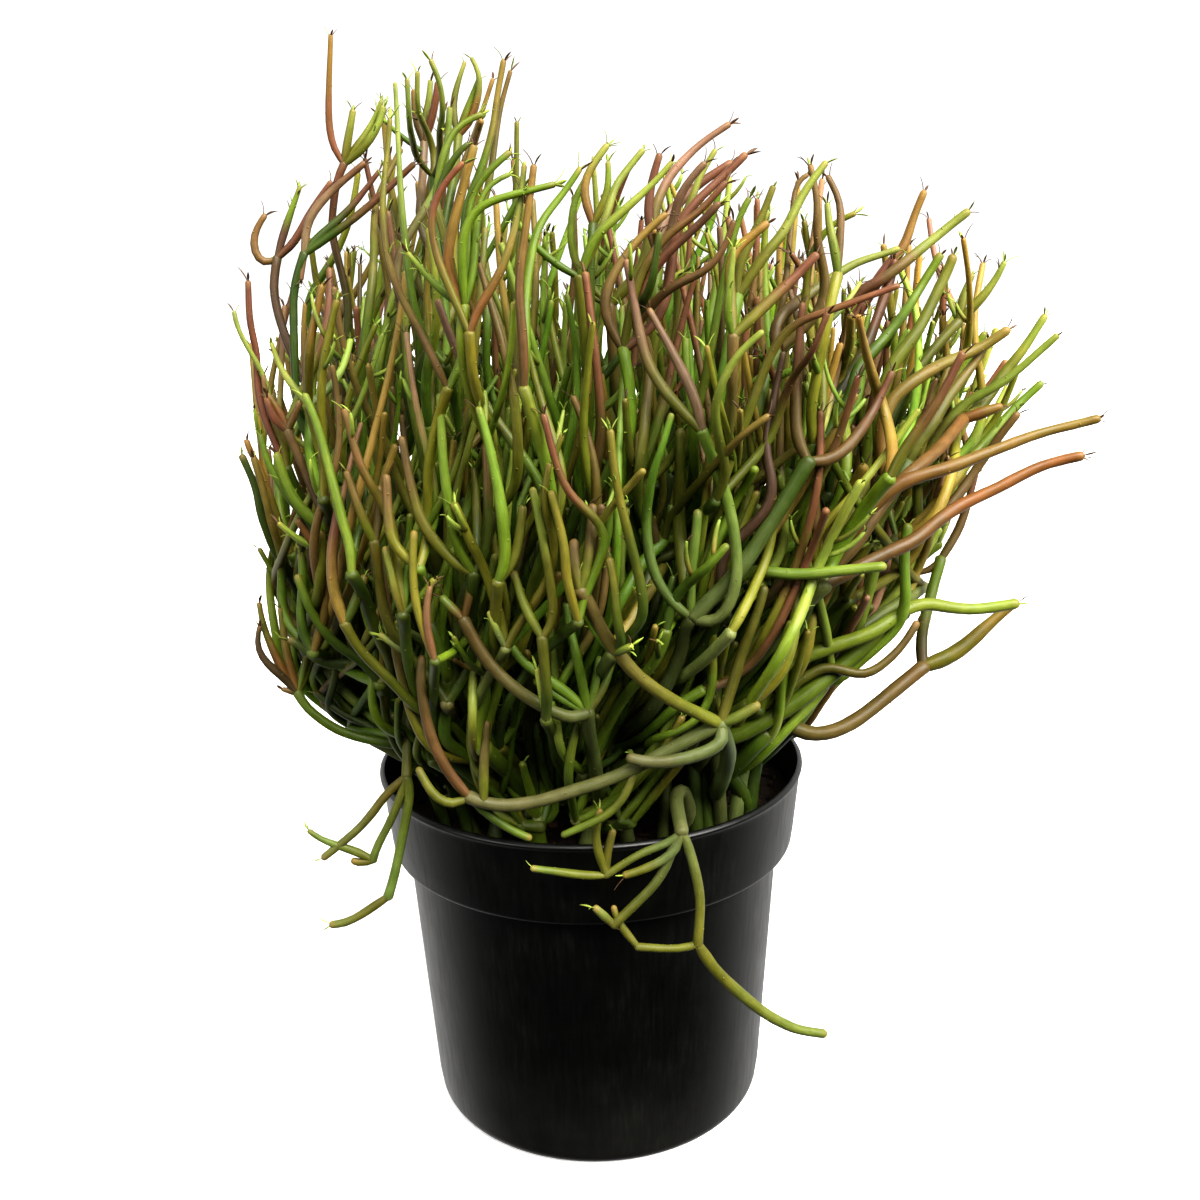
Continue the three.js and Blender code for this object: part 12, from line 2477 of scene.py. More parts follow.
    "stem_right_2": """
p-- 232 216 2187,354,4595 2118,337,4276 2061,317,4039 1957,273,3732 1824,217,3438 1776,201,3375 1595,160,3221 1552,153,3155 1524,147,3004
p-- 231 214 2325,-115,4151 2153,-32,3922 2102,18,3784 2057,92,3561 2016,111,3501 1824,129,3409 1766,130,3367
p-- 160 149 1717,83,3719 1593,39,3425 1514,-3,3290 1349,-112,3032 1330,-119,2952 1312,-107,2872 1268,-87,2810 1200,-69,2770
p-- 185 172 1623,-246,3815 1527,-226,3601 1438,-191,3387 1358,-139,3174 1265,-50,2897 1236,-44,2831 1200,-69,2770
p-- 237 221 2292,150,4254 2104,196,3993 1840,308,3703 1795,307,3635 1765,279,3564 1754,234,3496 1766,130,3367
p-- 244 227 2514,222,4566 2348,296,4261 2222,323,4023 2132,312,3790 2089,331,3636
p-- 196 182 1626,-311,3286 1494,-260,2991 1363,-232,2785 1225,-207,2591 1106,-167,2391
p-- 160 149 1931,341,3801 1839,338,3570 1743,320,3335 1627,286,3099 1450,246,2776 1330,208,2547
p-- 241 225 1850,-241,3446 1767,-224,3281 1626,-178,3023 1463,-110,2764 1392,-62,2633 1335,-10,2557 1230,45,2451 1040,74,2287 1016,78,2227
p-- 185 172 1972,-190,4597 1927,-170,4366 1906,-156,4131 1917,-139,3896 1942,-136,3586 1947,-145,3435 1932,-149,3360 1844,-147,3222 1648,-112,3051 1544,-66,2915
p-- 211 197 2363,-61,4781 2250,-25,4397 2180,25,4087 2122,112,3872 2084,225,3663 2074,245,3587 2053,247,3510
p-- 204 189 1452,100,3526 1443,77,3275 1417,95,3113 1361,133,2963 1240,194,2761 1191,190,2697 1151,167,2633 1101,68,2425
p-- 210 196 1459,195,3001 1379,168,2860 1220,105,2513 1039,82,2282 1016,78,2227
p-- 201 187 1898,39,3367 1806,16,3207 1693,-4,3047 1560,-13,2898 1473,-25,2773 1340,-77,2637 1204,-105,2491 1035,-103,2271
p-- 205 191 2092,99,5106 2091,100,4863 2108,109,4621 2140,130,4380 2171,163,4225
p-- 209 195 2000,343,3481 1865,314,3344 1735,307,3197 1499,356,2880 1446,351,2804 1409,329,2739 1330,208,2547
p-- 191 178 1822,-285,3840 1664,-235,3487 1523,-208,3209 1361,-199,2944 1191,-190,2689 1106,-167,2391
p-- 196 182 2167,427,5109 2177,465,4719 2215,476,4415 2240,468,4201 2239,460,4128 2153,403,3906 2089,331,3636
p-- 219 203 1645,-378,3609 1668,-342,3451 1669,-302,3291 1636,-260,3129 1572,-217,2968 1407,-132,2673 1365,-123,2616 1235,-104,2456 1035,-103,2271
p-- 211 196 2154,347,3979 1961,317,3717 1775,293,3448 1651,301,3236 1521,308,2935 1482,300,2864 1390,261,2738 1247,163,2579 1101,68,2425
p-- 196 182 1195,195,3500 1158,167,3270 1130,134,3121 1074,47,2912 1001,-35,2631 957,-127,2362
p-- 194 180 1645,133,3385 1440,196,3054 1365,199,2915 1241,195,2626 1163,164,2500 957,53,2202
p-- 202 188 1996,-335,4080 1888,-305,3783 1817,-263,3560 1727,-169,3265 1656,-68,3053 1612,-58,2979 1544,-66,2915
p-- 163 152 2276,139,4883 2227,138,4649 2196,130,4411 2185,99,4014 2173,75,3861 2144,30,3712 2077,-73,3533
p-- 161 150 1971,-16,3783 1894,-70,3561 1853,-88,3494 1748,-118,3375 1621,-147,3282 1340,-215,3149 1287,-213,3091 1258,-196,3021 1218,-128,2808 1192,-110,2738 1151,-96,2673 1030,-82,2575
p-- 216 200 2220,-170,4436 2085,-138,4176 1898,-56,3844 1801,-11,3635 1774,6,3563 1765,39,3493 1766,130,3367
p-- 242 225 2064,-11,4637 1960,42,4330 1917,68,4090 1922,78,3844 1950,61,3602 1970,30,3364 1937,28,3284 1828,40,3163 1671,52,3040 1566,35,2956
p-- 238 222 1690,-81,3209 1509,-79,2954 1328,-79,2693 1279,-64,2631 1100,13,2479
p-- 210 195 2129,-124,3925 2032,-32,3604 1969,-17,3428 1928,-24,3339 1816,-69,3166 1744,-95,3086 1628,-103,2978 1544,-66,2915
p-- 224 209 2262,-202,4775 2188,-199,4635 2118,-221,4495 2050,-213,4360 1980,-165,4234 1865,-66,4063 1821,-58,3999 1744,-88,3861 1719,-103,3786 1707,-100,3707 1710,-73,3634 1721,-27,3569
p-- 215 200 2420,-304,4569 2365,-228,4323 2333,-196,4245 2283,-172,4176 2221,-173,4116 2165,-201,4056 2124,-242,3990 2094,-273,3916 2079,-269,3840 2081,-234,3773 2096,-97,3603 2077,-73,3533
p-- 223 207 1305,-40,2585 1043,-64,2293 1038,-71,2235
p-- 240 223 2023,-182,4872 2058,-187,4638 2082,-136,4410 2120,-37,4202 2149,139,3958 2158,165,3886 2158,157,3809 2148,118,3746 2102,-35,3591 2077,-73,3533
p-- 198 184 1864,-233,4276 1750,-217,3983 1673,-193,3760 1585,-146,3462 1528,-101,3239 1475,-80,3016 1396,-76,2884 1337,-75,2834 1200,-69,2770
p-- 219 204 1703,852,3723 1573,728,3464 1521,602,3274 1473,398,3046 1474,109,2793 1442,70,2733 1394,55,2674 1101,68,2425
p-- 161 150 2169,555,4677 2168,435,4466 2186,322,4349 2210,187,4256 2239,-37,4150 2228,-93,4090 2206,-120,4014 2181,-123,3934 2077,-73,3533
p-- 176 164 2062,192,4606 2007,170,4372 1944,172,4054 1844,198,3662 1809,197,3589 1768,179,3520 1753,154,3445 1766,130,3367
p-- 218 203 1940,628,3722 1927,516,3491 1878,429,3338 1835,385,3261 1720,305,3104 1526,222,2876 1425,193,2719 1330,208,2547
p-- 202 187 2257,53,4574 2148,42,4270 2049,77,3964 1962,160,3667 1891,256,3461 1849,279,3396 1788,280,3343 1721,265,3299 1595,215,3210 1549,187,3150 1527,164,3080 1524,147,3004
p-- 233 216 1799,237,3213 1696,201,3091 1572,180,2985 1443,196,2890 1324,243,2795 1268,244,2741 1223,219,2680 1101,68,2425
p-- 234 217 1501,-193,3078 1395,-174,2873 1311,-177,2677 1236,-170,2558 1106,-167,2391
p-- 205 190 1819,-391,3255 1659,-341,3106 1400,-296,2943 1346,-276,2891 1210,-158,2646 957,-127,2362
p-- 234 218 1501,-490,3474 1444,-463,3238 1388,-421,3095 1276,-325,2908 1070,-164,2639 957,-127,2362
p-- 162 151 2080,133,4038 1924,116,3757 1798,96,3552 1712,104,3415 1614,123,3289 1523,117,3161 1496,97,3092 1474,25,2965
p-- 200 186 1356,-440,3835 1366,-336,3616 1363,-245,3392 1340,-177,3164 1313,-152,3011 1253,-136,2785 1222,-124,2715 1170,-108,2657 1030,-82,2575
p-- 196 182 2345,343,4390 2198,283,4029 2127,257,3723 2053,247,3510
p-- 183 170 2062,410,5382 2073,364,5231 2106,323,5082 2165,291,4940 2281,256,4738 2285,245,4661 2183,214,4451 2161,200,4377 2171,163,4225
p-- 191 178 2464,19,4441 2313,-14,4147 2204,-31,3923 2125,-72,3652 2077,-73,3533
p-- 233 216 2080,226,4351 2012,127,4145 1952,44,3931 1891,-8,3708 1838,-49,3483 1791,-83,3263 1718,-72,3118 1544,-66,2915
p-- 181 168 1368,38,2846 1280,12,2725 1174,-14,2624 957,-127,2362
p-- 232 216 1582,-109,4749 1582,-110,4514 1602,-94,4282 1625,-64,4132 1689,20,3845 1728,41,3704 1727,22,3630 1721,-27,3569
p-- 211 197 2049,-166,3602 1957,-185,3463 1813,-225,3255 1650,-284,3052 1482,-362,2858 1390,-385,2728 1315,-337,2618 1157,-207,2417 1035,-103,2271
s-- 238 231 2171,163,4225 1977,141,3967 1852,133,3760 1796,137,3608 1766,130,3367
s-- 283 275 2089,331,3636 2062,315,3578 1986,282,3481 1745,197,3246 1701,163,3197 1635,82,3088 1566,35,2956
s-- 279 270 2077,-73,3533 1906,-60,3374 1703,-21,3140 1566,35,2956
s-- 270 262 1721,-27,3569 1682,-35,3348 1606,-31,3136 1569,-28,3070 1519,-14,3015 1474,25,2965
s-- 276 268 1766,130,3367 1554,42,3129 1382,23,2965 1329,31,2906 1252,44,2765 1100,13,2479
s-- 245 238 2053,247,3510 1922,203,3337 1717,154,3123 1656,143,3077 1524,147,3004
s-- 284 276 1524,147,3004 1281,108,2807 1173,82,2696 1142,67,2626 1100,13,2479
s-- 295 287 1474,25,2965 1286,-16,2816 1125,-2,2642 996,0,2448 900,-33,2235
s-- 270 262 1544,-66,2915 1334,-14,2692 1101,68,2425
s-- 329 319 1566,35,2956 1314,-50,2762 1220,-89,2639 1084,-96,2443 880,-46,2204
s-- 230 223 1200,-69,2770 1105,-46,2461 1041,-57,2310 1038,-71,2235
s-- 232 225 1030,-82,2575 1030,0,2366 1016,78,2227
s-- 253 246 1330,208,2547 1164,138,2399 957,53,2202
s-- 313 304 1101,68,2425 1016,78,2227
s-- 272 264 957,-127,2362 900,-33,2235
s-- 330 320 1100,13,2479 900,-33,2235
s-- 271 263 1106,-167,2391 880,-46,2204
s-- 254 246 1035,-103,2271 1038,-71,2235
s-- 363 352 1016,78,2227 957,53,2202
s-- 383 371 900,-33,2235 880,-46,2204
s-- 444 431 880,-46,2204 884,-19,2151
s-- 421 409 957,53,2202 884,-19,2151
s-- 294 286 1038,-71,2235 884,-19,2151
s-- 515 500 884,-19,2151 802,-4,1853 788,-5,1463
y-- 189 180 2227,316,4727 2156,280,4560 2126,248,4444 2123,209,4328 2171,163,4225
y-- 169 161 1879,-158,3719 1805,-112,3622 1763,-74,3588 1721,-27,3569
y-- 184 175 2031,199,3808 2089,331,3636
y-- 169 161 1734,392,3561 1724,297,3466 1730,244,3426 1766,130,3367
b-- 398 229 1030,-82,2575 1005,-62,2491 938,-59,2406 847,-67,2314 749,-82,2211 659,-98,2094 580,-111,1880
b-- 377 310 1101,68,2425 1070,94,2360 1035,155,2293 998,238,2221 963,326,2141 934,406,2048 907,477,1880
""",
    "stem_right_1": """
p-- 186 173 1479,676,5040 1418,649,4725 1402,623,4484 1432,579,4167 1513,523,3860 1501,505,3783 1437,465,3645 1419,445,3571 1444,406,3419
p-- 232 216 1698,-105,3426 1560,-53,3243 1455,-15,3132 1279,45,2989 1102,110,2849 916,172,2730 861,174,2678 775,121,2566
p-- 200 186 1846,841,3912 1770,835,3774 1742,819,3706 1712,744,3577 1678,630,3469 1634,432,3328 1605,373,3280 1490,294,3185 1389,198,3103
p-- 184 171 2034,11,4383 1969,93,4174 1829,202,3914 1707,295,3740 1569,388,3591 1482,391,3477 1444,406,3419
p-- 186 173 1892,204,4261 1702,210,3896 1538,177,3613 1406,130,3410 1266,66,3216 1209,67,3157 1149,36,3108
p-- 174 162 1657,305,3633 1495,317,3274 1343,274,3002 1215,212,2815 1090,149,2632 887,122,2419 734,125,2260
p-- 210 196 1663,439,4996 1678,433,4672 1715,408,4351 1753,365,4116 1827,255,3740 1808,238,3664 1761,229,3600 1572,230,3448 1461,227,3330 1422,221,3259 1389,198,3103
p-- 215 200 1280,307,3056 1150,240,2862 996,173,2673 808,140,2383
p-- 239 223 1058,385,4222 1099,378,3984 1166,378,3751 1227,385,3602 1379,395,3318 1380,394,3239 1326,388,3087 1317,389,3007
p-- 173 161 995,597,3804 925,443,3438 896,338,3134 868,199,2761 853,181,2686 817,158,2620 775,121,2566
p-- 212 198 1707,-225,4851 1708,-226,4620 1709,-175,4388 1708,-114,4239 1693,54,3962 1662,62,3886 1610,84,3824
p-- 205 191 1876,68,5245 1855,10,4930 1824,-43,4615 1789,-80,4377 1738,-113,4137 1709,-116,4058 1672,-100,3983 1639,-57,3919 1619,7,3867 1610,84,3824
p-- 235 219 1805,15,4061 1714,-31,3845 1562,3,3567 1408,-1,3283 1206,14,2940 1107,-6,2728 1063,4,2667 968,61,2578
p-- 173 161 1936,-329,4852 1930,-250,4704 1871,-131,4421 1802,-20,4219 1706,98,4030 1669,123,3959 1636,118,3887 1610,84,3824
p-- 187 174 1477,162,3205 1286,113,2972 1089,56,2750 1019,49,2620 968,61,2578
p-- 192 179 1273,-80,3065 1091,-93,2920 942,-84,2740 901,-63,2672 808,140,2383
p-- 230 214 1312,241,4466 1315,241,4078 1328,245,3844 1342,259,3609 1332,278,3531 1291,376,3305
p-- 211 196 1098,-115,3595 1066,-86,3357 1029,-59,3202 930,-7,2897 846,22,2665 743,78,2346
p-- 219 203 1788,165,4731 1727,187,4413 1665,181,4094 1620,156,3856 1563,101,3543 1533,101,3468 1457,136,3327 1389,198,3103
p-- 171 159 822,228,2858 759,205,2634 672,139,2261
p-- 183 170 1560,-118,4211 1479,-116,3808 1387,-68,3496 1336,-27,3347 1295,-12,3278 1179,3,3172 1149,36,3108
p-- 221 205 1483,149,3905 1430,156,3753 1395,162,3598 1383,168,3443 1389,170,3291 1364,169,3220 1320,152,3168 1295,109,3109
p-- 212 197 1177,370,2757 1108,334,2639 1020,283,2537 880,205,2394 734,125,2260
p-- 182 169 1550,274,4996 1564,341,4757 1616,380,4518 1687,374,4285 1679,354,4123
p-- 210 195 1753,-32,4835 1640,-44,4448 1541,-40,4140 1436,-27,3835 1347,-2,3612 1176,21,3340 1155,26,3264 1149,36,3108
p-- 155 145 1882,539,4452 1813,464,4242 1740,433,4108 1649,418,3983 1434,398,3751 1340,366,3622 1294,349,3466 1291,376,3305
p-- 239 222 1189,-181,3881 1082,-152,3493 1030,-118,3260 988,-74,3024 941,24,2701 808,140,2383
p-- 226 210 918,122,3452 878,69,3224 808,50,2999 679,79,2713 671,94,2637 670,162,2499
p-- 214 199 1830,368,4080 1705,393,3783 1580,414,3485 1460,434,3184 1350,402,3076 1317,389,3007
p-- 228 212 1315,-147,5123 1324,-5,4846 1344,81,4628 1361,123,4479 1392,156,4248 1378,162,4094 1326,163,3946 1284,192,3798 1278,222,3725 1296,303,3591
p-- 228 212 1511,329,3399 1360,343,3218 1250,325,3106 1077,259,2957 903,163,2829 866,135,2766 826,125,2620 775,121,2566
p-- 239 222 1508,21,3189 1270,93,2885 1043,123,2700 1006,107,2634 968,61,2578
p-- 236 220 1597,286,4676 1606,402,4287 1605,458,4051 1585,492,3811 1558,504,3650 1519,510,3489 1472,506,3417 1407,484,3364 1344,438,3329 1291,376,3305
p-- 244 227 1464,466,4901 1363,508,4591 1319,510,4432 1286,490,4273 1264,450,4116 1229,343,3811 1238,331,3732 1296,303,3591
p-- 207 193 2086,-149,4296 1936,-94,4024 1801,-57,3834 1585,-46,3613 1423,-19,3450 1348,16,3317 1295,109,3109
p-- 203 189 1351,430,3617 1289,435,3382 1234,399,3147 1162,319,2842 1100,233,2630 895,176,2411 734,125,2260
p-- 195 181 657,312,3756 648,283,3518 654,255,3279 676,225,3041 710,192,2808 685,152,2658 670,162,2499
s-- 262 254 1679,354,4123 1476,361,3756 1423,346,3692 1296,303,3591
s-- 304 295 1296,303,3591 1164,237,3313 1058,187,3109 953,129,2822 880,120,2684 775,121,2566
s-- 246 239 1610,84,3824 1453,48,3565 1288,45,3297 1182,43,3181 1149,36,3108
s-- 215 209 1444,406,3419 1312,291,3245 1115,204,2999 1069,196,2932 952,200,2711 910,187,2638 743,78,2346
s-- 274 266 1291,376,3305 1169,334,3128 1030,296,2950 904,247,2758 829,218,2622 672,139,2261
s-- 254 246 1389,198,3103 1131,247,2932 974,264,2761 893,252,2630 799,192,2421 698,119,2219
s-- 286 277 1149,36,3108 963,104,2967 806,159,2789 719,179,2653 670,162,2499
s-- 256 249 1295,109,3109 1131,107,2945 918,63,2734 869,68,2677 775,121,2566
s-- 278 269 1317,389,3007 1233,304,2894 1142,239,2774 1043,198,2643 808,140,2383
s-- 352 342 775,121,2566 645,91,2178
s-- 250 242 743,78,2346 734,125,2260
s-- 277 269 968,61,2578 842,83,2391 698,119,2219
s-- 302 293 672,139,2261 645,91,2178
s-- 332 322 670,162,2499 645,91,2178
s-- 322 313 808,140,2383 734,125,2260
s-- 374 363 734,125,2260 698,119,2219
s-- 434 421 698,119,2219 645,91,2178
s-- 503 488 645,91,2178 564,115,1970 550,108,1742 543,107,1515
y-- 150 142 1634,310,3857 1588,230,3766 1565,181,3731 1532,61,3697
y-- 204 193 1578,233,4442 1581,255,4321 1597,272,4265 1644,322,4163 1679,354,4123
y-- 158 150 996,167,3451 1048,117,3329 1182,43,3181
b-- 377 213 1444,406,3419 1290,326,3268 1059,278,3091 787,256,2883 511,250,2642 270,252,2367 52,251,1880
b-- 411 274 968,61,2578 900,47,2500 802,-3,2416 690,-73,2323 577,-151,2218 479,-222,2097 390,-285,1880
b-- 345 247 743,78,2346 755,96,2292 794,95,2236 849,83,2174 910,64,2104 965,44,2024 1014,28,1880
b-- 320 328 670,162,2499 643,151,2422 584,150,2345 506,156,2264 423,165,2173 348,175,2070 281,183,1880
""",
    "stem_back_2": """
p-- 239 223 -326,1612,3827 -356,1606,3588 -423,1540,3194 -437,1499,3037 -452,1400,2814 -456,1357,2744 -428,1255,2629 -337,1102,2492 -272,1014,2389
p-- 194 181 -42,795,3310 -59,876,3079 -88,901,2923 -149,902,2692 -205,877,2466 -258,848,2240
p-- 226 211 226,1756,4454 146,1779,4226 39,1797,4014 -85,1796,3820 -257,1782,3578 -272,1773,3504 -260,1748,3435
p-- 224 208 -173,1312,5096 -209,1427,4712 -198,1502,4483 -161,1580,4258 -91,1653,4040 -41,1653,3977 83,1618,3870
p-- 183 170 -141,1467,4895 -66,1473,4674 -21,1496,4527 21,1540,4383 113,1658,4101 119,1659,4027 101,1629,3948 83,1618,3870
p-- 194 180 -40,1332,3031 -83,1260,2906 -219,1061,2617 -243,990,2493 -258,848,2240
p-- 180 168 231,1486,4954 215,1640,4595 187,1722,4295 182,1721,4216 177,1648,4074 160,1611,4003 127,1600,3933 83,1618,3870
p-- 207 193 -205,1728,4172 -248,1772,3890 -288,1772,3677 -330,1719,3393 -407,1629,3199
p-- 193 179 -130,1311,2736 -166,1096,2450 -143,880,2165
p-- 210 195 192,1854,3658 127,1771,3427 36,1638,3134 -66,1451,2893 -96,1314,2691 -83,1120,2405
p-- 230 214 135,1571,4193 66,1654,3981 41,1690,3831 0,1701,3601 -52,1672,3297 -101,1616,3078 -126,1587,3013 -155,1557,2968 -180,1523,2946 -235,1406,2906 -244,1373,2873
p-- 202 188 -388,1437,4993 -350,1409,4835 -299,1394,4679 -196,1404,4456 -77,1453,4245 -67,1477,4167 -68,1566,4023
p-- 157 146 -23,1756,4021 -75,1652,3632 -145,1549,3247 -169,1472,3020 -172,1412,2868 -154,1336,2710 -83,1120,2405
p-- 198 184 95,1961,4181 63,1915,3942 68,1806,3644 57,1743,3358 -51,1582,3005 -78,1414,2763
p-- 219 204 -645,1120,3288 -593,1092,3058 -458,1085,2695 -323,1005,2452 -143,880,2165
p-- 232 216 -81,1605,3708 -138,1587,3472 -199,1556,3232 -252,1494,2981 -265,1415,2811 -263,1320,2651 -236,1054,2352 -238,987,2255
p-- 226 210 132,1693,3321 53,1579,3212 12,1536,3151 -155,1451,2865 -187,1419,2799 -208,1372,2742 -231,1261,2642 -246,1169,2534 -238,987,2255
p-- 220 205 -278,1503,3315 -267,1428,3175 -231,1331,2962 -148,1201,2692 -104,1088,2503 -98,1010,2379 -113,836,2137
p-- 195 181 -527,1883,4857 -490,1850,4624 -432,1836,4392 -348,1857,4087 -279,1869,3865 -258,1832,3712 -260,1748,3435
p-- 229 213 210,1312,5125 192,1329,4963 150,1374,4811 85,1447,4679 6,1533,4563 -27,1552,4491 -58,1517,4333 -63,1497,4170 -64,1522,4092 -68,1566,4023
p-- 205 191 415,1075,5067 361,1220,4785 292,1352,4501 206,1466,4213 132,1541,3997 83,1618,3870
p-- 232 216 195,1469,2988 181,1410,2857 165,1371,2797 76,1247,2625 -10,1127,2450 -79,995,2284 -143,859,2124
p-- 192 179 -245,1333,3330 -183,1330,3025 -166,1297,2804 -181,1240,2671 -226,1106,2500 -272,1014,2389
p-- 206 191 15,1441,3951 -12,1374,3724 -43,1322,3577 -106,1243,3360 -215,1139,3078 -222,1104,3006 -189,1005,2783 -189,981,2703 -221,953,2541
p-- 188 175 -247,1241,3018 -266,1177,2879 -261,1140,2811 -160,971,2561 -67,812,2202
p-- 199 185 -10,1769,4793 -71,1806,4486 -118,1843,4178 -147,1857,3791 -182,1825,3641 -260,1748,3435
p-- 210 195 13,1948,4500 35,1972,4271 34,1965,4114 19,1936,3956 -11,1891,3802 -122,1771,3445 -165,1680,3252 -190,1559,3081 -244,1373,2873
p-- 232 216 -502,1683,3465 -492,1571,3250 -465,1454,3038 -408,1340,2827 -314,1167,2547 -238,987,2255
p-- 240 224 -295,1832,4065 -386,1755,3767 -430,1690,3528 -445,1644,3361 -431,1645,3282 -407,1629,3199
p-- 243 226 35,1438,3323 -38,1352,2948 -100,1240,2675 -123,1094,2432 -143,880,2165
p-- 207 193 -232,1769,3716 -312,1675,3413 -338,1584,3106 -338,1535,3042 -327,1385,2971
p-- 212 197 369,1954,4023 353,1857,3701 295,1771,3472 151,1650,3180 -27,1515,2908 -78,1414,2763
p-- 196 182 140,1605,4748 87,1559,4428 37,1496,4026 30,1463,3866 38,1399,3629 26,1384,3550 -8,1392,3475 -62,1460,3336
p-- 205 191 -296,1819,4509 -335,1816,4282 -348,1797,4129 -341,1733,3824 -316,1686,3599 -292,1610,3383 -308,1495,3181 -327,1385,2971
p-- 234 218 171,1697,5076 224,1672,4843 259,1649,4607 269,1609,4208 257,1594,4129 227,1582,4055 183,1582,3987 83,1618,3870
p-- 188 174 250,2015,4387 190,1988,4245 135,1943,4104 -4,1785,3765 -71,1578,3438 -74,1524,3380 -62,1460,3336
p-- 219 204 -217,1733,4847 -121,1742,4533 -57,1697,4300 -20,1647,4150 -35,1616,4077 -68,1566,4023
p-- 204 190 -182,1726,3396 -271,1557,3023 -312,1431,2816 -333,1293,2633 -336,1157,2484 -294,999,2306 -281,967,2240
p-- 181 169 -72,1503,3124 -149,1359,2836 -185,1259,2629 -212,1131,2461 -281,967,2240
p-- 157 146 193,1807,3968 112,1767,3667 50,1730,3436 1,1688,3282 -50,1617,3131 -113,1494,2887 -142,1382,2717 -162,1291,2599 -186,1136,2433 -238,987,2255
p-- 239 222 728,1873,4809 662,1890,4581 567,1920,4368 444,1945,4182 254,1947,3970 121,1889,3769 29,1832,3590 -87,1736,3375
p-- 238 221 -259,1934,4837 -312,1901,4611 -381,1886,4316 -440,1864,4039 -444,1833,3887 -412,1782,3661 -387,1730,3457
p-- 216 201 122,1268,3188 24,1286,2989 -11,1275,2925 -84,1226,2806 -152,1146,2688 -166,1084,2633 -221,953,2541
p-- 193 179 -207,914,3008 -202,875,2849 -210,854,2692 -237,849,2465 -258,848,2240
p-- 187 174 340,1838,4223 268,1853,4086 186,1850,3951 -49,1762,3626 -74,1757,3545 -77,1757,3461 -87,1736,3375
p-- 222 206 -472,1804,4429 -430,1820,4141 -388,1820,3835 -358,1781,3599 -387,1730,3457
p-- 188 175 -324,1488,2966 -280,1354,2803 -266,1257,2693 -253,995,2421 -258,848,2240
s-- 266 258 -68,1566,4023 -115,1571,3783 -153,1549,3542 -137,1527,3465 -62,1460,3336
s-- 272 263 83,1618,3870 52,1499,3522 27,1472,3456 -13,1456,3394 -62,1460,3336
s-- 276 267 -387,1730,3457 -386,1686,3391 -364,1598,3303 -300,1491,3063 -244,1373,2873
s-- 277 268 -87,1736,3375 -105,1652,3291 -110,1504,3162 -128,1458,3112 -235,1405,2936 -244,1373,2873
s-- 263 255 -260,1748,3435 -247,1519,3231 -327,1385,2971
s-- 315 306 -62,1460,3336 -131,1314,3162 -255,1097,2844 -264,1052,2773 -250,1010,2700 -228,976,2623 -221,953,2541
s-- 305 295 -327,1385,2971 -257,1156,2667 -179,985,2418 -95,810,2173
s-- 321 311 -244,1373,2873 -213,1221,2712 -134,1030,2490 -59,845,2264
s-- 246 239 -78,1414,2763 -63,1394,2739 -50,1360,2727 -46,1223,2663 -52,1042,2474 -59,845,2264
s-- 279 270 -407,1629,3199 -397,1589,3130 -383,1530,3082 -388,1407,2991 -379,1317,2899 -354,1236,2783 -319,1126,2587 -272,1014,2389
s-- 365 354 -221,953,2541 -166,900,2340 -113,836,2137
s-- 323 314 -272,1014,2389 -143,880,2165
s-- 270 262 -238,987,2255 -192,933,2163 -166,923,2100
s-- 243 236 -83,1120,2405 -113,836,2137
s-- 372 361 -59,845,2264 -67,812,2202
s-- 237 230 -281,967,2240 -206,923,2154 -166,923,2100
s-- 225 219 -258,848,2240 -143,859,2124
s-- 395 384 -67,812,2202 -95,810,2173
s-- 459 445 -95,810,2173 -143,880,2165
s-- 532 516 -143,880,2165 -143,859,2124
s-- 560 543 -143,859,2124 -113,836,2137
s-- 560 543 -113,836,2137 -166,923,2100
s-- 560 543 -166,923,2100 -129,860,1888 -127,841,1501
y-- 202 192 163,1380,3658 91,1448,3555 52,1499,3522
y-- 147 139 -241,1673,4214 -168,1620,4105 -68,1566,4023
y-- 205 195 -315,1692,3860 -238,1615,3692 -197,1587,3648 -142,1559,3622
""",
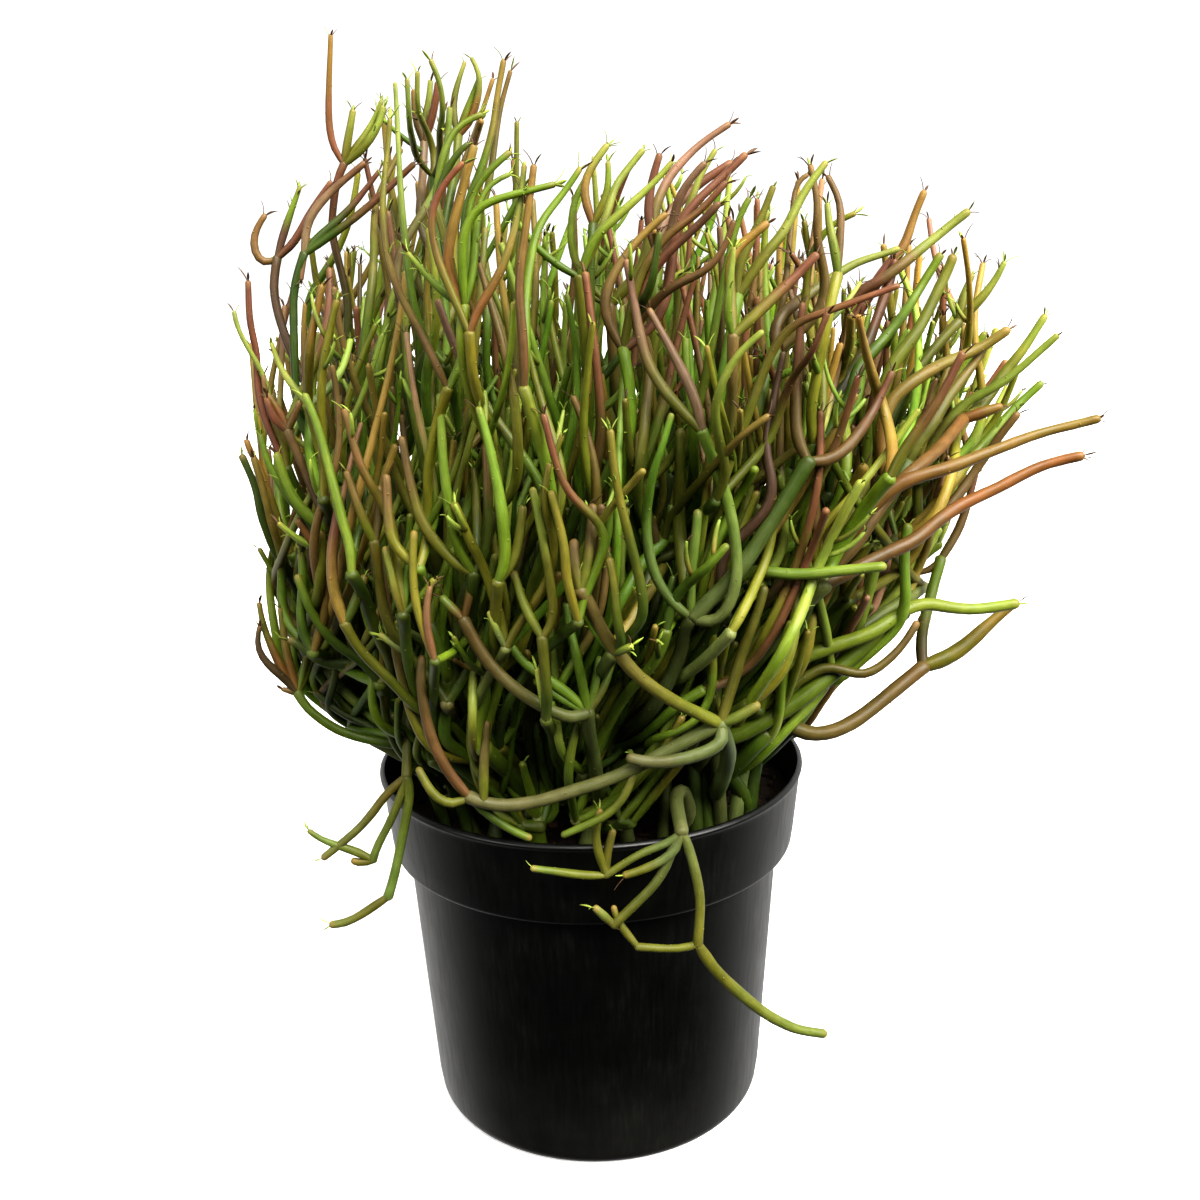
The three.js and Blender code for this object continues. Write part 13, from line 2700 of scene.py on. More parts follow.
    "stem_right_back_1": """
p-- 217 201 1211,746,4278 1111,742,3973 1010,757,3756 882,786,3556 632,869,3256 594,877,3187 573,860,3110 568,822,3038 563,716,2915 528,604,2803 454,508,2701
p-- 232 216 1128,725,4615 1104,748,4375 1115,776,4135 1167,806,3903 1255,837,3684 1271,838,3607 1257,801,3371 1214,744,3229 1176,713,3167 1070,657,3058 936,623,2965 714,617,2846
p-- 196 182 1384,212,5547 1402,281,5152 1403,293,4753 1377,296,4678 1250,322,4474 1222,333,4399 1213,345,4320 1249,368,4164
p-- 160 149 527,840,3687 484,838,3379 461,808,3227 439,761,3079 415,668,2864 426,634,2792 444,581,2736 454,508,2701
p-- 191 178 1165,855,3253 1010,789,3109 853,683,2980 683,576,2879 559,546,2800 454,508,2701
p-- 219 204 711,709,4569 781,656,4337 817,598,4188 848,472,3992 849,438,3921 843,438,3845 850,503,3720
p-- 201 187 1374,759,5330 1447,724,5015 1484,711,4693 1479,719,4613 1455,750,4543 1419,848,4422
p-- 208 194 626,532,2793 611,476,2657 563,386,2458 511,298,2260
p-- 197 183 669,610,3375 619,555,3060 575,504,2830 512,413,2539 422,311,2260
p-- 230 214 912,657,5154 924,682,4752 937,708,4513 948,738,4272 929,713,4116 958,700,4040
p-- 244 227 1109,213,3953 976,268,3660 888,299,3433 816,315,3199 747,313,2878 715,316,2802 665,337,2741 608,369,2693
p-- 165 153 735,561,5518 831,526,5134 933,504,4750 998,504,4521 1043,524,4370 1055,535,4293 1035,535,4136 1057,530,4060
p-- 205 191 520,871,5516 580,826,5204 655,783,4980 757,733,4767 926,659,4502 940,645,4425 908,646,4270 903,660,4191 921,679,4113 958,700,4040
p-- 176 164 1280,690,3626 1225,685,3472 1157,669,3324 1026,620,3122 869,543,2950 701,450,2800 608,369,2693
p-- 229 213 1219,1050,5112 1119,1015,4807 1006,936,4517 877,798,4256 764,619,4008 759,594,3930 779,576,3852 850,503,3720
p-- 190 177 1221,1233,4024 1118,1191,3718 1020,1112,3511 865,956,3268 718,741,3056 686,698,2990 684,660,2915 714,617,2846
p-- 182 170 1073,695,5319 1119,698,5161 1163,669,5006 1202,604,4860 1236,516,4725 1232,482,4650 1202,465,4574 1158,464,4504 1065,483,4367 1032,500,4292 1019,516,4212 1029,526,4133 1057,530,4060
p-- 161 150 1330,967,3395 1225,915,3189 1096,830,3008 991,688,2846 863,547,2699 687,420,2478 511,298,2260
p-- 211 196 1237,346,5303 1176,347,5068 1117,369,4752 1084,412,4435 1075,470,4121 1055,464,3961 1025,457,3886 977,460,3819 850,503,3720
p-- 220 205 1591,1086,4245 1431,1120,4064 1320,1120,3946 1207,1093,3834 1036,1029,3674 876,932,3522 753,846,3330 723,795,3273 673,658,3196
p-- 226 210 873,1019,4120 836,951,3893 776,912,3665 691,905,3441 588,926,3224 563,922,3147 551,899,3071 548,861,3000 542,753,2880 513,630,2782 454,508,2701
p-- 193 180 845,1072,5216 899,1028,4985 951,969,4757 1003,894,4534 1052,811,4311 1056,773,4154 1014,740,4002 983,711,3933 915,623,3813 850,503,3720
p-- 235 218 1301,592,5446 1231,653,5228 1216,742,5011 1250,817,4879 1316,896,4768 1345,923,4702 1361,920,4629 1390,867,4491 1419,848,4422
p-- 213 198 937,249,5435 1008,241,5125 1036,272,4890 1038,354,4582 1005,403,4348 1004,427,4271 1014,457,4197 1057,530,4060
p-- 225 210 1074,489,4831 1015,555,4440 934,619,4137 861,718,3933 789,847,3744 756,869,3675 717,861,3605 660,795,3473 645,717,3338 673,658,3196
p-- 232 216 974,730,4856 988,772,4628 999,781,4396 1006,758,4163 988,742,4095 958,700,4040
p-- 180 168 1552,894,4548 1457,843,4241 1267,764,3890 1237,724,3826 1208,661,3785
p-- 231 215 1301,1117,4290 1174,1149,3997 1104,1137,3853 1032,1099,3714 929,991,3524 863,883,3429 791,761,3359 703,708,3247 673,658,3196
p-- 224 208 1199,889,4881 1259,858,4740 1295,817,4594 1292,735,4376 1259,677,4236 1220,649,4175 1165,616,4130 1057,530,4060
p-- 237 220 800,497,3047 695,381,2870 566,311,2707 531,295,2646 511,298,2260
s-- 252 244 1249,368,4164 1150,446,3956 1036,518,3658 886,518,3372 833,530,3224
s-- 273 264 1419,848,4422 1307,762,4142 1225,726,3925 1212,701,3852 1208,661,3785
s-- 260 252 1057,530,4060 942,524,3768 870,518,3540 842,519,3383 833,530,3224
s-- 270 262 958,700,4040 832,637,3654 772,625,3503 711,633,3353 673,658,3196
s-- 316 307 1208,661,3785 1059,630,3510 944,598,3308 888,571,3260 833,530,3224
s-- 266 258 850,503,3720 850,439,3415 817,406,3185 778,378,2953 722,368,2808 608,369,2693
s-- 313 303 673,658,3196 453,570,2888 368,504,2683 370,414,2467 422,311,2260
s-- 367 356 833,530,3224 654,493,3053 548,473,2927 503,469,2858 454,508,2701
s-- 269 261 714,617,2846 556,462,2516 422,311,2260
s-- 425 413 454,508,2701 438,405,2487 422,311,2260
s-- 309 300 608,369,2693 493,330,2405 407,289,2188
s-- 493 479 422,311,2260 407,289,2188
s-- 275 266 511,298,2260 407,289,2188
s-- 560 543 407,289,2188 352,299,1961 348,293,1563
y-- 194 185 1231,1015,4695 1300,935,4538 1371,877,4452 1419,848,4422
y-- 214 203 813,613,3734 859,557,3645 893,521,3617
y-- 163 155 805,440,3430 806,462,3357 833,530,3224
y-- 205 195 1584,721,4041 1481,692,3888 1385,673,3811 1330,663,3784 1269,659,3774 1208,661,3785
y-- 205 195 1544,380,4334 1419,387,4205 1308,376,4162 1249,368,4164
y-- 169 161 794,477,3494 745,500,3377 724,524,3322 686,604,3229 673,658,3196
y-- 152 145 1298,458,4093 1260,487,3969 1241,515,3911 1214,601,3813 1208,661,3785
y-- 198 188 956,727,3441 904,636,3354 855,521,3299
y-- 199 189 917,569,4220 955,556,4159 1057,530,4060
y-- 213 203 1217,130,4418 1200,215,4252 1224,312,4178 1249,368,4164
y-- 159 151 1038,493,3593 923,463,3510 854,451,3492
y-- 206 196 602,514,4065 659,519,3891 720,519,3786 798,520,3693 893,521,3617
y-- 154 146 620,847,3309 673,658,3196
y-- 207 197 1045,994,4232 1002,871,4097 986,819,4067 958,700,4040
b-- 410 306 608,369,2693 600,353,2597 643,330,2497 718,304,2389 806,277,2269 889,254,2131 962,233,1880
""",
    "stem_middle_2": """
p-- 241 224 262,-10,4567 169,-37,4188 61,-61,3896 -74,-76,3615 -107,-58,3549 -154,-19,3501
p-- 219 204 -300,457,5588 -331,488,5351 -360,504,5028 -355,508,4867 -355,480,4709 -343,475,4631 -311,495,4556
p-- 187 174 -52,-105,4223 -177,-34,3938 -286,38,3738 -406,126,3554 -613,291,3289 -642,318,3227 -646,324,3156 -629,302,3090 -606,210,2993
p-- 209 194 -556,637,4784 -628,541,4408 -652,434,4112 -629,297,3828 -610,258,3677 -585,226,3609 -551,176,3554
p-- 243 226 -186,287,5297 -321,255,4922 -426,249,4623 -440,242,4467 -454,266,4393 -486,312,4334
p-- 217 202 6,224,4636 -131,229,4358 -238,247,4065 -288,273,3837 -309,324,3531 -322,327,3454 -362,312,3387 -500,285,3303
p-- 208 194 -177,38,5293 -190,14,4979 -172,-11,4743 -127,-40,4510 -30,-64,4217 -41,-58,4142 -33,-25,4070
p-- 187 174 -55,256,5032 -67,299,4726 -54,331,4498 -27,361,4278 -36,369,4203 -75,373,4140 -259,389,4023
p-- 219 204 51,336,5615 -98,392,5254 -244,402,4888 -337,387,4673 -445,342,4391 -486,312,4334
p-- 215 200 91,802,5279 51,766,4965 29,708,4734 20,622,4512 24,427,4168 16,402,4093 -32,378,3944 -69,358,3876 -111,325,3816 -195,225,3720
p-- 235 218 -333,463,5977 -350,453,5651 -372,468,5407 -399,506,5165 -422,563,4921 -446,580,4757 -433,566,4676 -386,535,4607 -311,495,4556
p-- 221 206 -104,148,3756 -160,236,3376 -226,308,3164 -298,381,2958 -305,367,2883 -305,325,2821 -308,275,2766 -341,178,2655
p-- 219 203 -388,-18,2682 -288,33,2410 -221,86,2206
p-- 158 147 -62,8,2997 -140,48,2682 -180,68,2444 -221,86,2206
p-- 237 220 -348,789,5566 -393,789,5331 -412,743,5098 -402,651,4879 -389,429,4546 -395,384,4391 -380,388,4230 -351,393,4155 -259,389,4023
p-- 182 169 -542,66,3399 -520,60,3090 -494,74,2793 -454,95,2596 -381,133,2351
p-- 221 205 19,354,4102 -29,327,3874 -106,332,3569 -197,368,3270 -295,445,2984 -320,442,2910 -427,293,2657
p-- 203 188 195,-61,5203 75,19,4833 -90,85,4476 -139,103,4416 -202,130,4373
p-- 202 188 -773,255,3926 -789,189,3609 -794,139,3371 -791,73,3052 -781,24,2808 -750,19,2731 -705,23,2665 -564,50,2482 -429,77,2293
p-- 204 190 -71,579,5004 -60,580,4752 -93,566,4505 -157,550,4353 -239,529,4210 -256,504,4134 -258,454,4071 -259,389,4023
p-- 223 208 -58,390,3227 -158,307,2920 -219,161,2632 -326,63,2432
p-- 204 190 -477,149,5051 -498,177,4727 -489,226,4406 -450,284,4173 -367,381,3875 -358,393,3795 -393,366,3642 -412,379,3563 -422,422,3491
p-- 208 193 -680,419,4569 -704,382,4342 -699,353,4192 -653,297,3973 -542,232,3693 -540,217,3617 -551,176,3554
p-- 204 190 -197,-163,3833 -211,-131,3589 -245,-90,3348 -299,-44,3112 -371,6,2881 -373,26,2803 -336,55,2660 -326,63,2432
p-- 219 204 -629,371,5672 -583,339,5438 -558,295,5286 -539,229,5142 -523,93,4943 -524,60,4871 -534,54,4791 -554,96,4556 -540,94,4477 -512,73,4405 -475,37,4342
p-- 206 191 -244,167,3279 -283,150,3132 -333,118,2992 -391,65,2867 -435,-3,2750 -434,-6,2683 -326,63,2432
p-- 193 180 -442,209,3773 -430,235,3361 -427,217,3031 -418,214,2950 -340,214,2809 -325,200,2731 -341,178,2655
p-- 180 168 -619,561,2817 -528,431,2632 -376,253,2406 -260,118,2238
p-- 194 181 42,348,5336 56,336,5176 58,311,5016 49,266,4861 12,179,4639 12,173,4562 43,172,4489
p-- 185 172 -389,429,4374 -400,477,3982 -420,493,3827 -459,508,3680 -469,498,3606 -455,467,3537 -422,422,3491
s-- 272 264 -311,495,4556 -322,480,4327 -339,465,4095 -385,433,3868 -423,398,3642 -422,422,3491
s-- 233 226 43,172,4489 16,183,4242 -52,193,3918 -86,199,3843 -195,225,3720
s-- 254 247 -475,37,4342 -538,107,3947 -550,119,3704 -549,139,3626 -551,176,3554
s-- 264 257 -202,130,4373 -255,200,3963 -247,205,3879 -195,225,3720
s-- 282 274 -486,312,4334 -558,317,4012 -582,313,3767 -569,301,3607 -500,285,3303
s-- 275 267 -259,389,4023 -330,346,3725 -405,310,3428 -442,298,3359 -500,285,3303
s-- 276 267 -33,-25,4070 -120,-29,3863 -186,-21,3648 -154,-19,3501
s-- 307 298 -195,225,3720 -203,223,3490 -229,219,3260 -287,210,2957 -341,178,2655
s-- 316 307 -422,422,3491 -435,300,3188 -506,214,2883 -513,197,2804 -482,174,2650 -381,133,2351
s-- 320 310 -154,-19,3501 -195,8,3259 -263,39,3024 -331,77,2789 -341,178,2655
s-- 295 286 -551,176,3554 -537,158,3223 -549,166,3142 -606,210,2993
s-- 327 318 -500,285,3303 -507,314,3057 -500,307,2893 -491,298,2811 -427,293,2657
s-- 327 317 -606,210,2993 -617,172,2849 -598,141,2706 -518,108,2498 -429,77,2293
s-- 371 360 -341,178,2655 -282,140,2430 -221,86,2206
s-- 368 357 -427,293,2657 -336,198,2413 -260,118,2238
s-- 259 251 -326,63,2432 -260,82,2158
s-- 343 333 -381,133,2351 -260,118,2238
s-- 360 349 -429,77,2293 -260,82,2158
s-- 427 415 -260,118,2238 -221,86,2206
s-- 496 481 -221,86,2206 -260,82,2158
s-- 560 543 -260,82,2158 -221,108,1918 -214,111,1501
b-- 346 339 -381,133,2351 -351,141,2306 -346,172,2251 -358,215,2188 -379,264,2114 -401,308,2029 -420,347,1880
b-- 416 367 -341,178,2655 -311,199,2561 -272,277,2465 -229,389,2362 -188,512,2248 -152,624,2118 -120,724,1880
b-- 311 364 -427,293,2657 -432,249,2567 -496,191,2473 -597,127,2370 -712,63,2254 -819,8,2120 -913,-42,1880
b-- 322 256 -326,63,2432 -328,52,2364 -358,15,2296 -407,-37,2223 -463,-94,2142 -515,-146,2049 -561,-193,1880
""",
    "stem_left_back_3": """
p-- 245 228 -692,1448,5464 -675,1388,5233 -677,1347,4997 -701,1330,4762 -762,1330,4457 -748,1324,4384
p-- 230 214 -901,1554,4597 -879,1594,4290 -845,1626,4060 -806,1662,3833 -684,1645,3484 -667,1628,3411 -675,1600,3338 -805,1473,3105
p-- 182 169 -863,1349,3566 -915,1293,3343 -959,1245,3120 -988,1175,2828 -973,1141,2753 -891,1051,2620 -763,944,2455 -617,844,2307 -595,853,2260
p-- 191 178 -491,1460,4254 -503,1574,3886 -589,1685,3573 -604,1683,3501 -627,1623,3352 -703,1490,3046
p-- 191 178 -378,1644,4643 -399,1594,4413 -428,1540,4185 -490,1478,3885 -555,1368,3600 -615,1279,3393 -652,1272,3327 -705,1288,3272
p-- 243 226 -647,895,3465 -652,931,3142 -634,963,2984 -597,1043,2750 -596,1066,2577
p-- 213 198 -257,1423,3753 -328,1378,3526 -404,1318,3304 -485,1239,3089 -562,1144,2884 -564,1101,2819 -486,995,2716 -461,956,2656 -461,935,2592
p-- 203 188 -592,1693,4271 -648,1674,3957 -692,1627,3730 -778,1587,3449 -808,1539,3319 -805,1473,3105
p-- 202 188 -794,1671,4169 -786,1621,3844 -822,1594,3605 -850,1560,3454 -858,1526,3389 -853,1426,3300 -856,1384,3242
p-- 201 187 -498,1419,3546 -561,1347,3337 -619,1257,3133 -655,1181,3002 -704,1040,2814 -702,995,2747 -630,885,2564 -574,818,2445 -476,740,2262
p-- 185 172 -639,1727,3766 -627,1647,3544 -623,1566,3320 -636,1470,3017 -650,1405,2873 -646,1308,2751 -630,1140,2609 -661,997,2448
p-- 188 175 -1009,1347,4894 -894,1421,4603 -733,1484,4332 -703,1480,4257 -698,1452,4183 -723,1383,4041 -734,1366,3963 -732,1376,3886 -716,1409,3817
p-- 227 211 -991,1277,3787 -1038,1329,3557 -1044,1351,3394 -1024,1356,3219 -971,1340,3029 -932,1319,2930 -882,1281,2834 -825,1228,2746 -714,1141,2604 -539,1040,2428 -473,878,2259
p-- 215 200 -521,1283,4885 -561,1294,4732 -586,1316,4576 -588,1370,4346 -531,1425,4126 -430,1473,3922 -366,1521,3793 -352,1530,3719 -363,1517,3645 -457,1464,3444 -475,1469,3368 -482,1488,3291
p-- 225 209 -568,1227,3017 -621,1124,2820 -632,1025,2703 -599,930,2584 -476,740,2262
p-- 215 200 -869,1687,5409 -887,1694,5172 -911,1682,4934 -959,1640,4620 -1001,1601,4383 -998,1600,4302 -931,1633,4011
p-- 226 210 -320,1069,3915 -370,954,3621 -384,921,3465 -395,909,3308 -408,913,3231 -455,939,3086 -588,1053,2737 -596,1066,2577
p-- 193 180 -806,1152,4933 -716,1164,4711 -626,1202,4491 -539,1273,4281 -460,1356,4075 -455,1351,3996 -487,1280,3762 -488,1275,3678 -457,1313,3516
p-- 186 173 -146,1665,4564 -227,1618,4350 -315,1595,4134 -407,1598,3918 -532,1634,3635 -538,1623,3559 -485,1523,3360 -482,1488,3291
p-- 235 218 -759,1125,5255 -745,1152,5012 -717,1192,4858 -673,1261,4719 -577,1393,4539 -551,1420,4468 -514,1397,4227 -442,1407,4081
p-- 210 195 -717,1483,3788 -707,1424,3554 -697,1361,3319 -656,1279,2923 -665,1251,2852 -707,1177,2723 -712,1121,2668
p-- 202 188 -389,1843,5129 -425,1836,4816 -445,1891,4531 -452,1892,4457 -548,1828,4076
p-- 206 191 -684,1297,4067 -718,1279,3764 -765,1277,3619 -830,1283,3483 -851,1270,3410 -846,1241,3344 -815,1202,3293
p-- 239 222 -864,1561,3635 -814,1492,3388 -817,1381,3047 -786,1306,2880 -696,1191,2649 -640,1097,2531 -548,887,2300 -547,869,2240
p-- 197 183 -818,1170,3017 -812,1026,2821 -754,899,2626 -629,813,2446 -502,773,2248
p-- 223 208 -718,1370,3216 -717,1337,3073 -737,1273,2942 -766,1174,2820 -781,1058,2702 -776,1014,2634 -732,954,2494
p-- 202 188 -844,1373,4550 -774,1355,4323 -712,1341,4177 -601,1331,3963 -469,1330,3757 -450,1318,3677 -463,1303,3598 -457,1313,3516
p-- 188 175 -576,1703,4789 -574,1655,4551 -550,1623,4394 -446,1563,4090 -357,1480,3870 -356,1463,3788 -425,1435,3637 -451,1384,3569 -457,1313,3516
p-- 238 221 -519,695,3179 -468,700,2788 -424,722,2483 -392,738,2258
p-- 203 189 -109,1513,4374 -170,1443,4147 -262,1393,3926 -343,1376,3788 -584,1373,3462 -645,1315,3322 -705,1288,3272
p-- 238 221 -520,1511,3953 -529,1547,3720 -555,1549,3564 -642,1498,3265 -692,1510,3122 -703,1490,3046
p-- 199 185 -1069,1508,4302 -864,1557,3947 -778,1569,3721 -751,1563,3565 -739,1562,3330 -805,1473,3105
p-- 169 157 -60,1244,3624 -135,1202,3399 -261,1145,3112 -363,1097,2913 -468,1041,2740 -483,1020,2684 -468,988,2627 -461,935,2592
p-- 232 216 -765,992,2845 -732,947,2691 -642,864,2479 -560,813,2348 -414,734,2165
p-- 201 187 -505,1132,2659 -489,994,2427 -473,878,2259
p-- 231 215 -687,958,2420 -572,871,2296 -547,869,2240
p-- 214 199 -957,1558,4893 -923,1611,4589 -853,1654,4296 -848,1660,4219 -910,1649,4084 -931,1633,4011
p-- 201 187 -387,1672,4242 -582,1623,3887 -675,1577,3667 -760,1474,3372 -788,1342,3085
p-- 199 185 -733,1160,3747 -748,1121,3515 -761,1121,3360 -793,1168,3135 -812,1227,2996 -807,1249,2921 -785,1240,2847 -712,1121,2668
p-- 188 175 -510,1480,4748 -549,1461,4594 -577,1466,4436 -589,1503,4281 -585,1562,4132 -584,1576,4053 -588,1558,3974 -608,1491,3828 -624,1474,3751 -641,1482,3674 -657,1511,3602
p-- 233 216 -403,1627,4987 -421,1577,4677 -466,1542,4447 -538,1509,4225 -674,1479,3944 -688,1456,3872 -716,1409,3817
p-- 196 182 -804,1118,5639 -800,1214,5417 -763,1323,5205 -685,1438,5006 -542,1603,4759 -524,1630,4684 -532,1679,4362 -516,1739,4216
p-- 167 155 -639,1517,3460 -634,1378,3176 -613,1224,2902 -529,999,2593 -462,842,2329
p-- 184 171 -511,1562,3121 -502,1439,2895 -508,1243,2623 -499,1043,2434 -482,800,2217
p-- 198 184 -303,1391,4135 -334,1421,3819 -369,1445,3584 -409,1466,3432 -482,1488,3291
p-- 163 151 -907,1469,3252 -901,1297,2953 -874,1213,2801 -791,1084,2598 -690,959,2424 -595,853,2260
p-- 193 180 -431,1356,3100 -485,1264,2874 -531,1162,2652 -561,1018,2451 -595,853,2260
p-- 217 202 -784,1391,4846 -806,1405,4534 -829,1428,4303 -859,1476,3996 -871,1518,3766 -873,1506,3611 -856,1384,3242
p-- 199 185 -1083,1506,4599 -1065,1547,4380 -1033,1563,4233 -983,1566,4090 -822,1548,3740 -803,1512,3593 -851,1403,3316 -856,1384,3242
p-- 201 187 -808,1736,4628 -819,1713,4321 -851,1685,4094 -880,1653,3945 -934,1560,3648 -939,1540,3565 -914,1512,3406 -805,1473,3105
p-- 232 216 -685,1824,5091 -618,1821,4699 -591,1821,4464 -576,1823,4230 -548,1828,4076
p-- 207 193 -562,947,2734 -461,806,2464 -408,728,2240
p-- 222 207 -419,1438,5786 -399,1456,5471 -371,1468,5235 -332,1478,5001 -284,1489,4771 -263,1472,4617 -269,1421,4471 -308,1372,4328 -373,1364,4193 -442,1407,4081
p-- 195 181 -617,1372,2872 -565,1291,2742 -508,1190,2628 -443,1015,2475 -365,712,2221
p-- 238 221 -470,1220,3376 -660,1185,3112 -807,1164,2929 -848,1168,2869 -875,1161,2798 -877,1135,2724 -851,1091,2659 -732,954,2494
p-- 214 199 -524,1277,3809 -603,1326,3593 -654,1380,3374 -679,1398,3229 -723,1402,2960 -725,1389,2892 -714,1347,2824 -684,1258,2732 -659,1124,2635 -661,997,2448
p-- 235 219 -497,1754,5382 -534,1726,5142 -579,1657,4912 -627,1540,4704 -691,1387,4522 -709,1359,4448 -748,1324,4384
s-- 284 275 -748,1324,4384 -740,1280,4149 -747,1232,3754 -780,1181,3525 -806,1181,3369 -815,1202,3293
s-- 231 224 -516,1739,4216 -666,1602,3886 -678,1552,3745 -657,1511,3602
s-- 272 264 -442,1407,4081 -492,1387,3836 -514,1347,3675 -496,1326,3593 -457,1313,3516
s-- 269 261 -548,1828,4076 -565,1711,3909 -585,1582,3731 -657,1511,3602
s-- 249 242 -931,1633,4011 -937,1608,3941 -928,1538,3816 -875,1398,3552 -865,1372,3479 -863,1367,3400 -856,1384,3242
s-- 270 262 -716,1409,3817 -734,1338,3421 -729,1314,3344 -705,1288,3272
s-- 316 306 -457,1313,3516 -454,1254,3297 -471,1168,3084 -478,1098,2947 -455,981,2742 -461,935,2592
s-- 313 303 -657,1511,3602 -718,1451,3291 -740,1425,3218 -788,1342,3085
s-- 289 280 -856,1384,3242 -855,1325,3015 -843,1257,2876 -755,1090,2632 -661,997,2448
s-- 326 316 -815,1202,3293 -871,1105,2980 -870,1048,2826 -856,1016,2752 -834,982,2681 -720,876,2491 -524,756,2257
s-- 249 242 -482,1488,3291 -545,1325,3041 -566,1213,2845 -477,980,2532 -462,842,2329
s-- 266 258 -805,1473,3105 -791,1436,3017 -746,1343,2932 -704,1250,2882 -669,1124,2836 -636,1002,2758 -577,925,2644 -488,838,2448 -392,738,2258
s-- 347 337 -788,1342,3085 -744,1180,2910 -712,1103,2772 -649,1032,2640 -462,842,2329
s-- 276 267 -703,1490,3046 -622,1249,2788 -557,1093,2631 -462,842,2329
s-- 313 304 -705,1288,3272 -735,1192,3143 -761,1115,3004 -752,1045,2777 -709,990,2635 -601,885,2446 -502,773,2248
s-- 366 355 -461,935,2592 -411,825,2407 -365,712,2221
s-- 243 236 -712,1121,2668 -570,895,2400 -476,740,2262
s-- 335 325 -661,997,2448 -473,878,2259
s-- 403 391 -462,842,2329 -408,728,2240
s-- 224 217 -595,853,2260 -482,800,2217
s-- 282 273 -596,1066,2577 -561,959,2438 -502,773,2248
s-- 282 274 -476,740,2262 -414,734,2165
s-- 276 268 -732,954,2494 -524,756,2257
s-- 309 300 -392,738,2258 -365,712,2221
s-- 389 377 -473,878,2259 -482,800,2217
s-- 363 352 -502,773,2248 -482,800,2217
s-- 378 367 -524,756,2257 -482,800,2217
s-- 451 438 -482,800,2217 -414,734,2165
s-- 425 412 -365,712,2221 -414,734,2165
s-- 278 269 -547,869,2240 -420,740,2122
s-- 523 508 -414,734,2165 -420,740,2122
s-- 429 416 -408,728,2240 -420,740,2122
s-- 560 543 -420,740,2122 -360,680,1891 -351,666,1563
y-- 165 156 -301,1621,4281 -369,1509,4127 -401,1460,4093 -442,1407,4081
y-- 183 174 -1073,1480,3426 -966,1410,3291 -856,1384,3242
y-- 199 189 -763,1022,3302 -786,1051,3234 -815,1097,3177 -849,1155,3137
y-- 199 189 -904,1400,3678 -791,1378,3603 -727,1371,3579
y-- 205 195 -295,1343,3753 -326,1316,3637 -356,1308,3584 -400,1308,3541 -457,1313,3516
y-- 168 160 -611,1567,4620 -649,1460,4467 -706,1371,4397 -748,1324,4384
y-- 175 167 -455,1178,4261 -487,1185,4200 -574,1203,4094 -626,1217,4050 -742,1263,3991
y-- 171 162 -272,1697,4363 -353,1698,4274 -404,1704,4242 -516,1739,4216
y-- 167 159 -1106,1506,3934 -1053,1508,3884 -928,1538,3816
b-- 356 399 -462,842,2329 -435,818,2290 -399,826,2240 -359,854,2179 -320,891,2107 -285,929,2024 -254,961,1880
""",
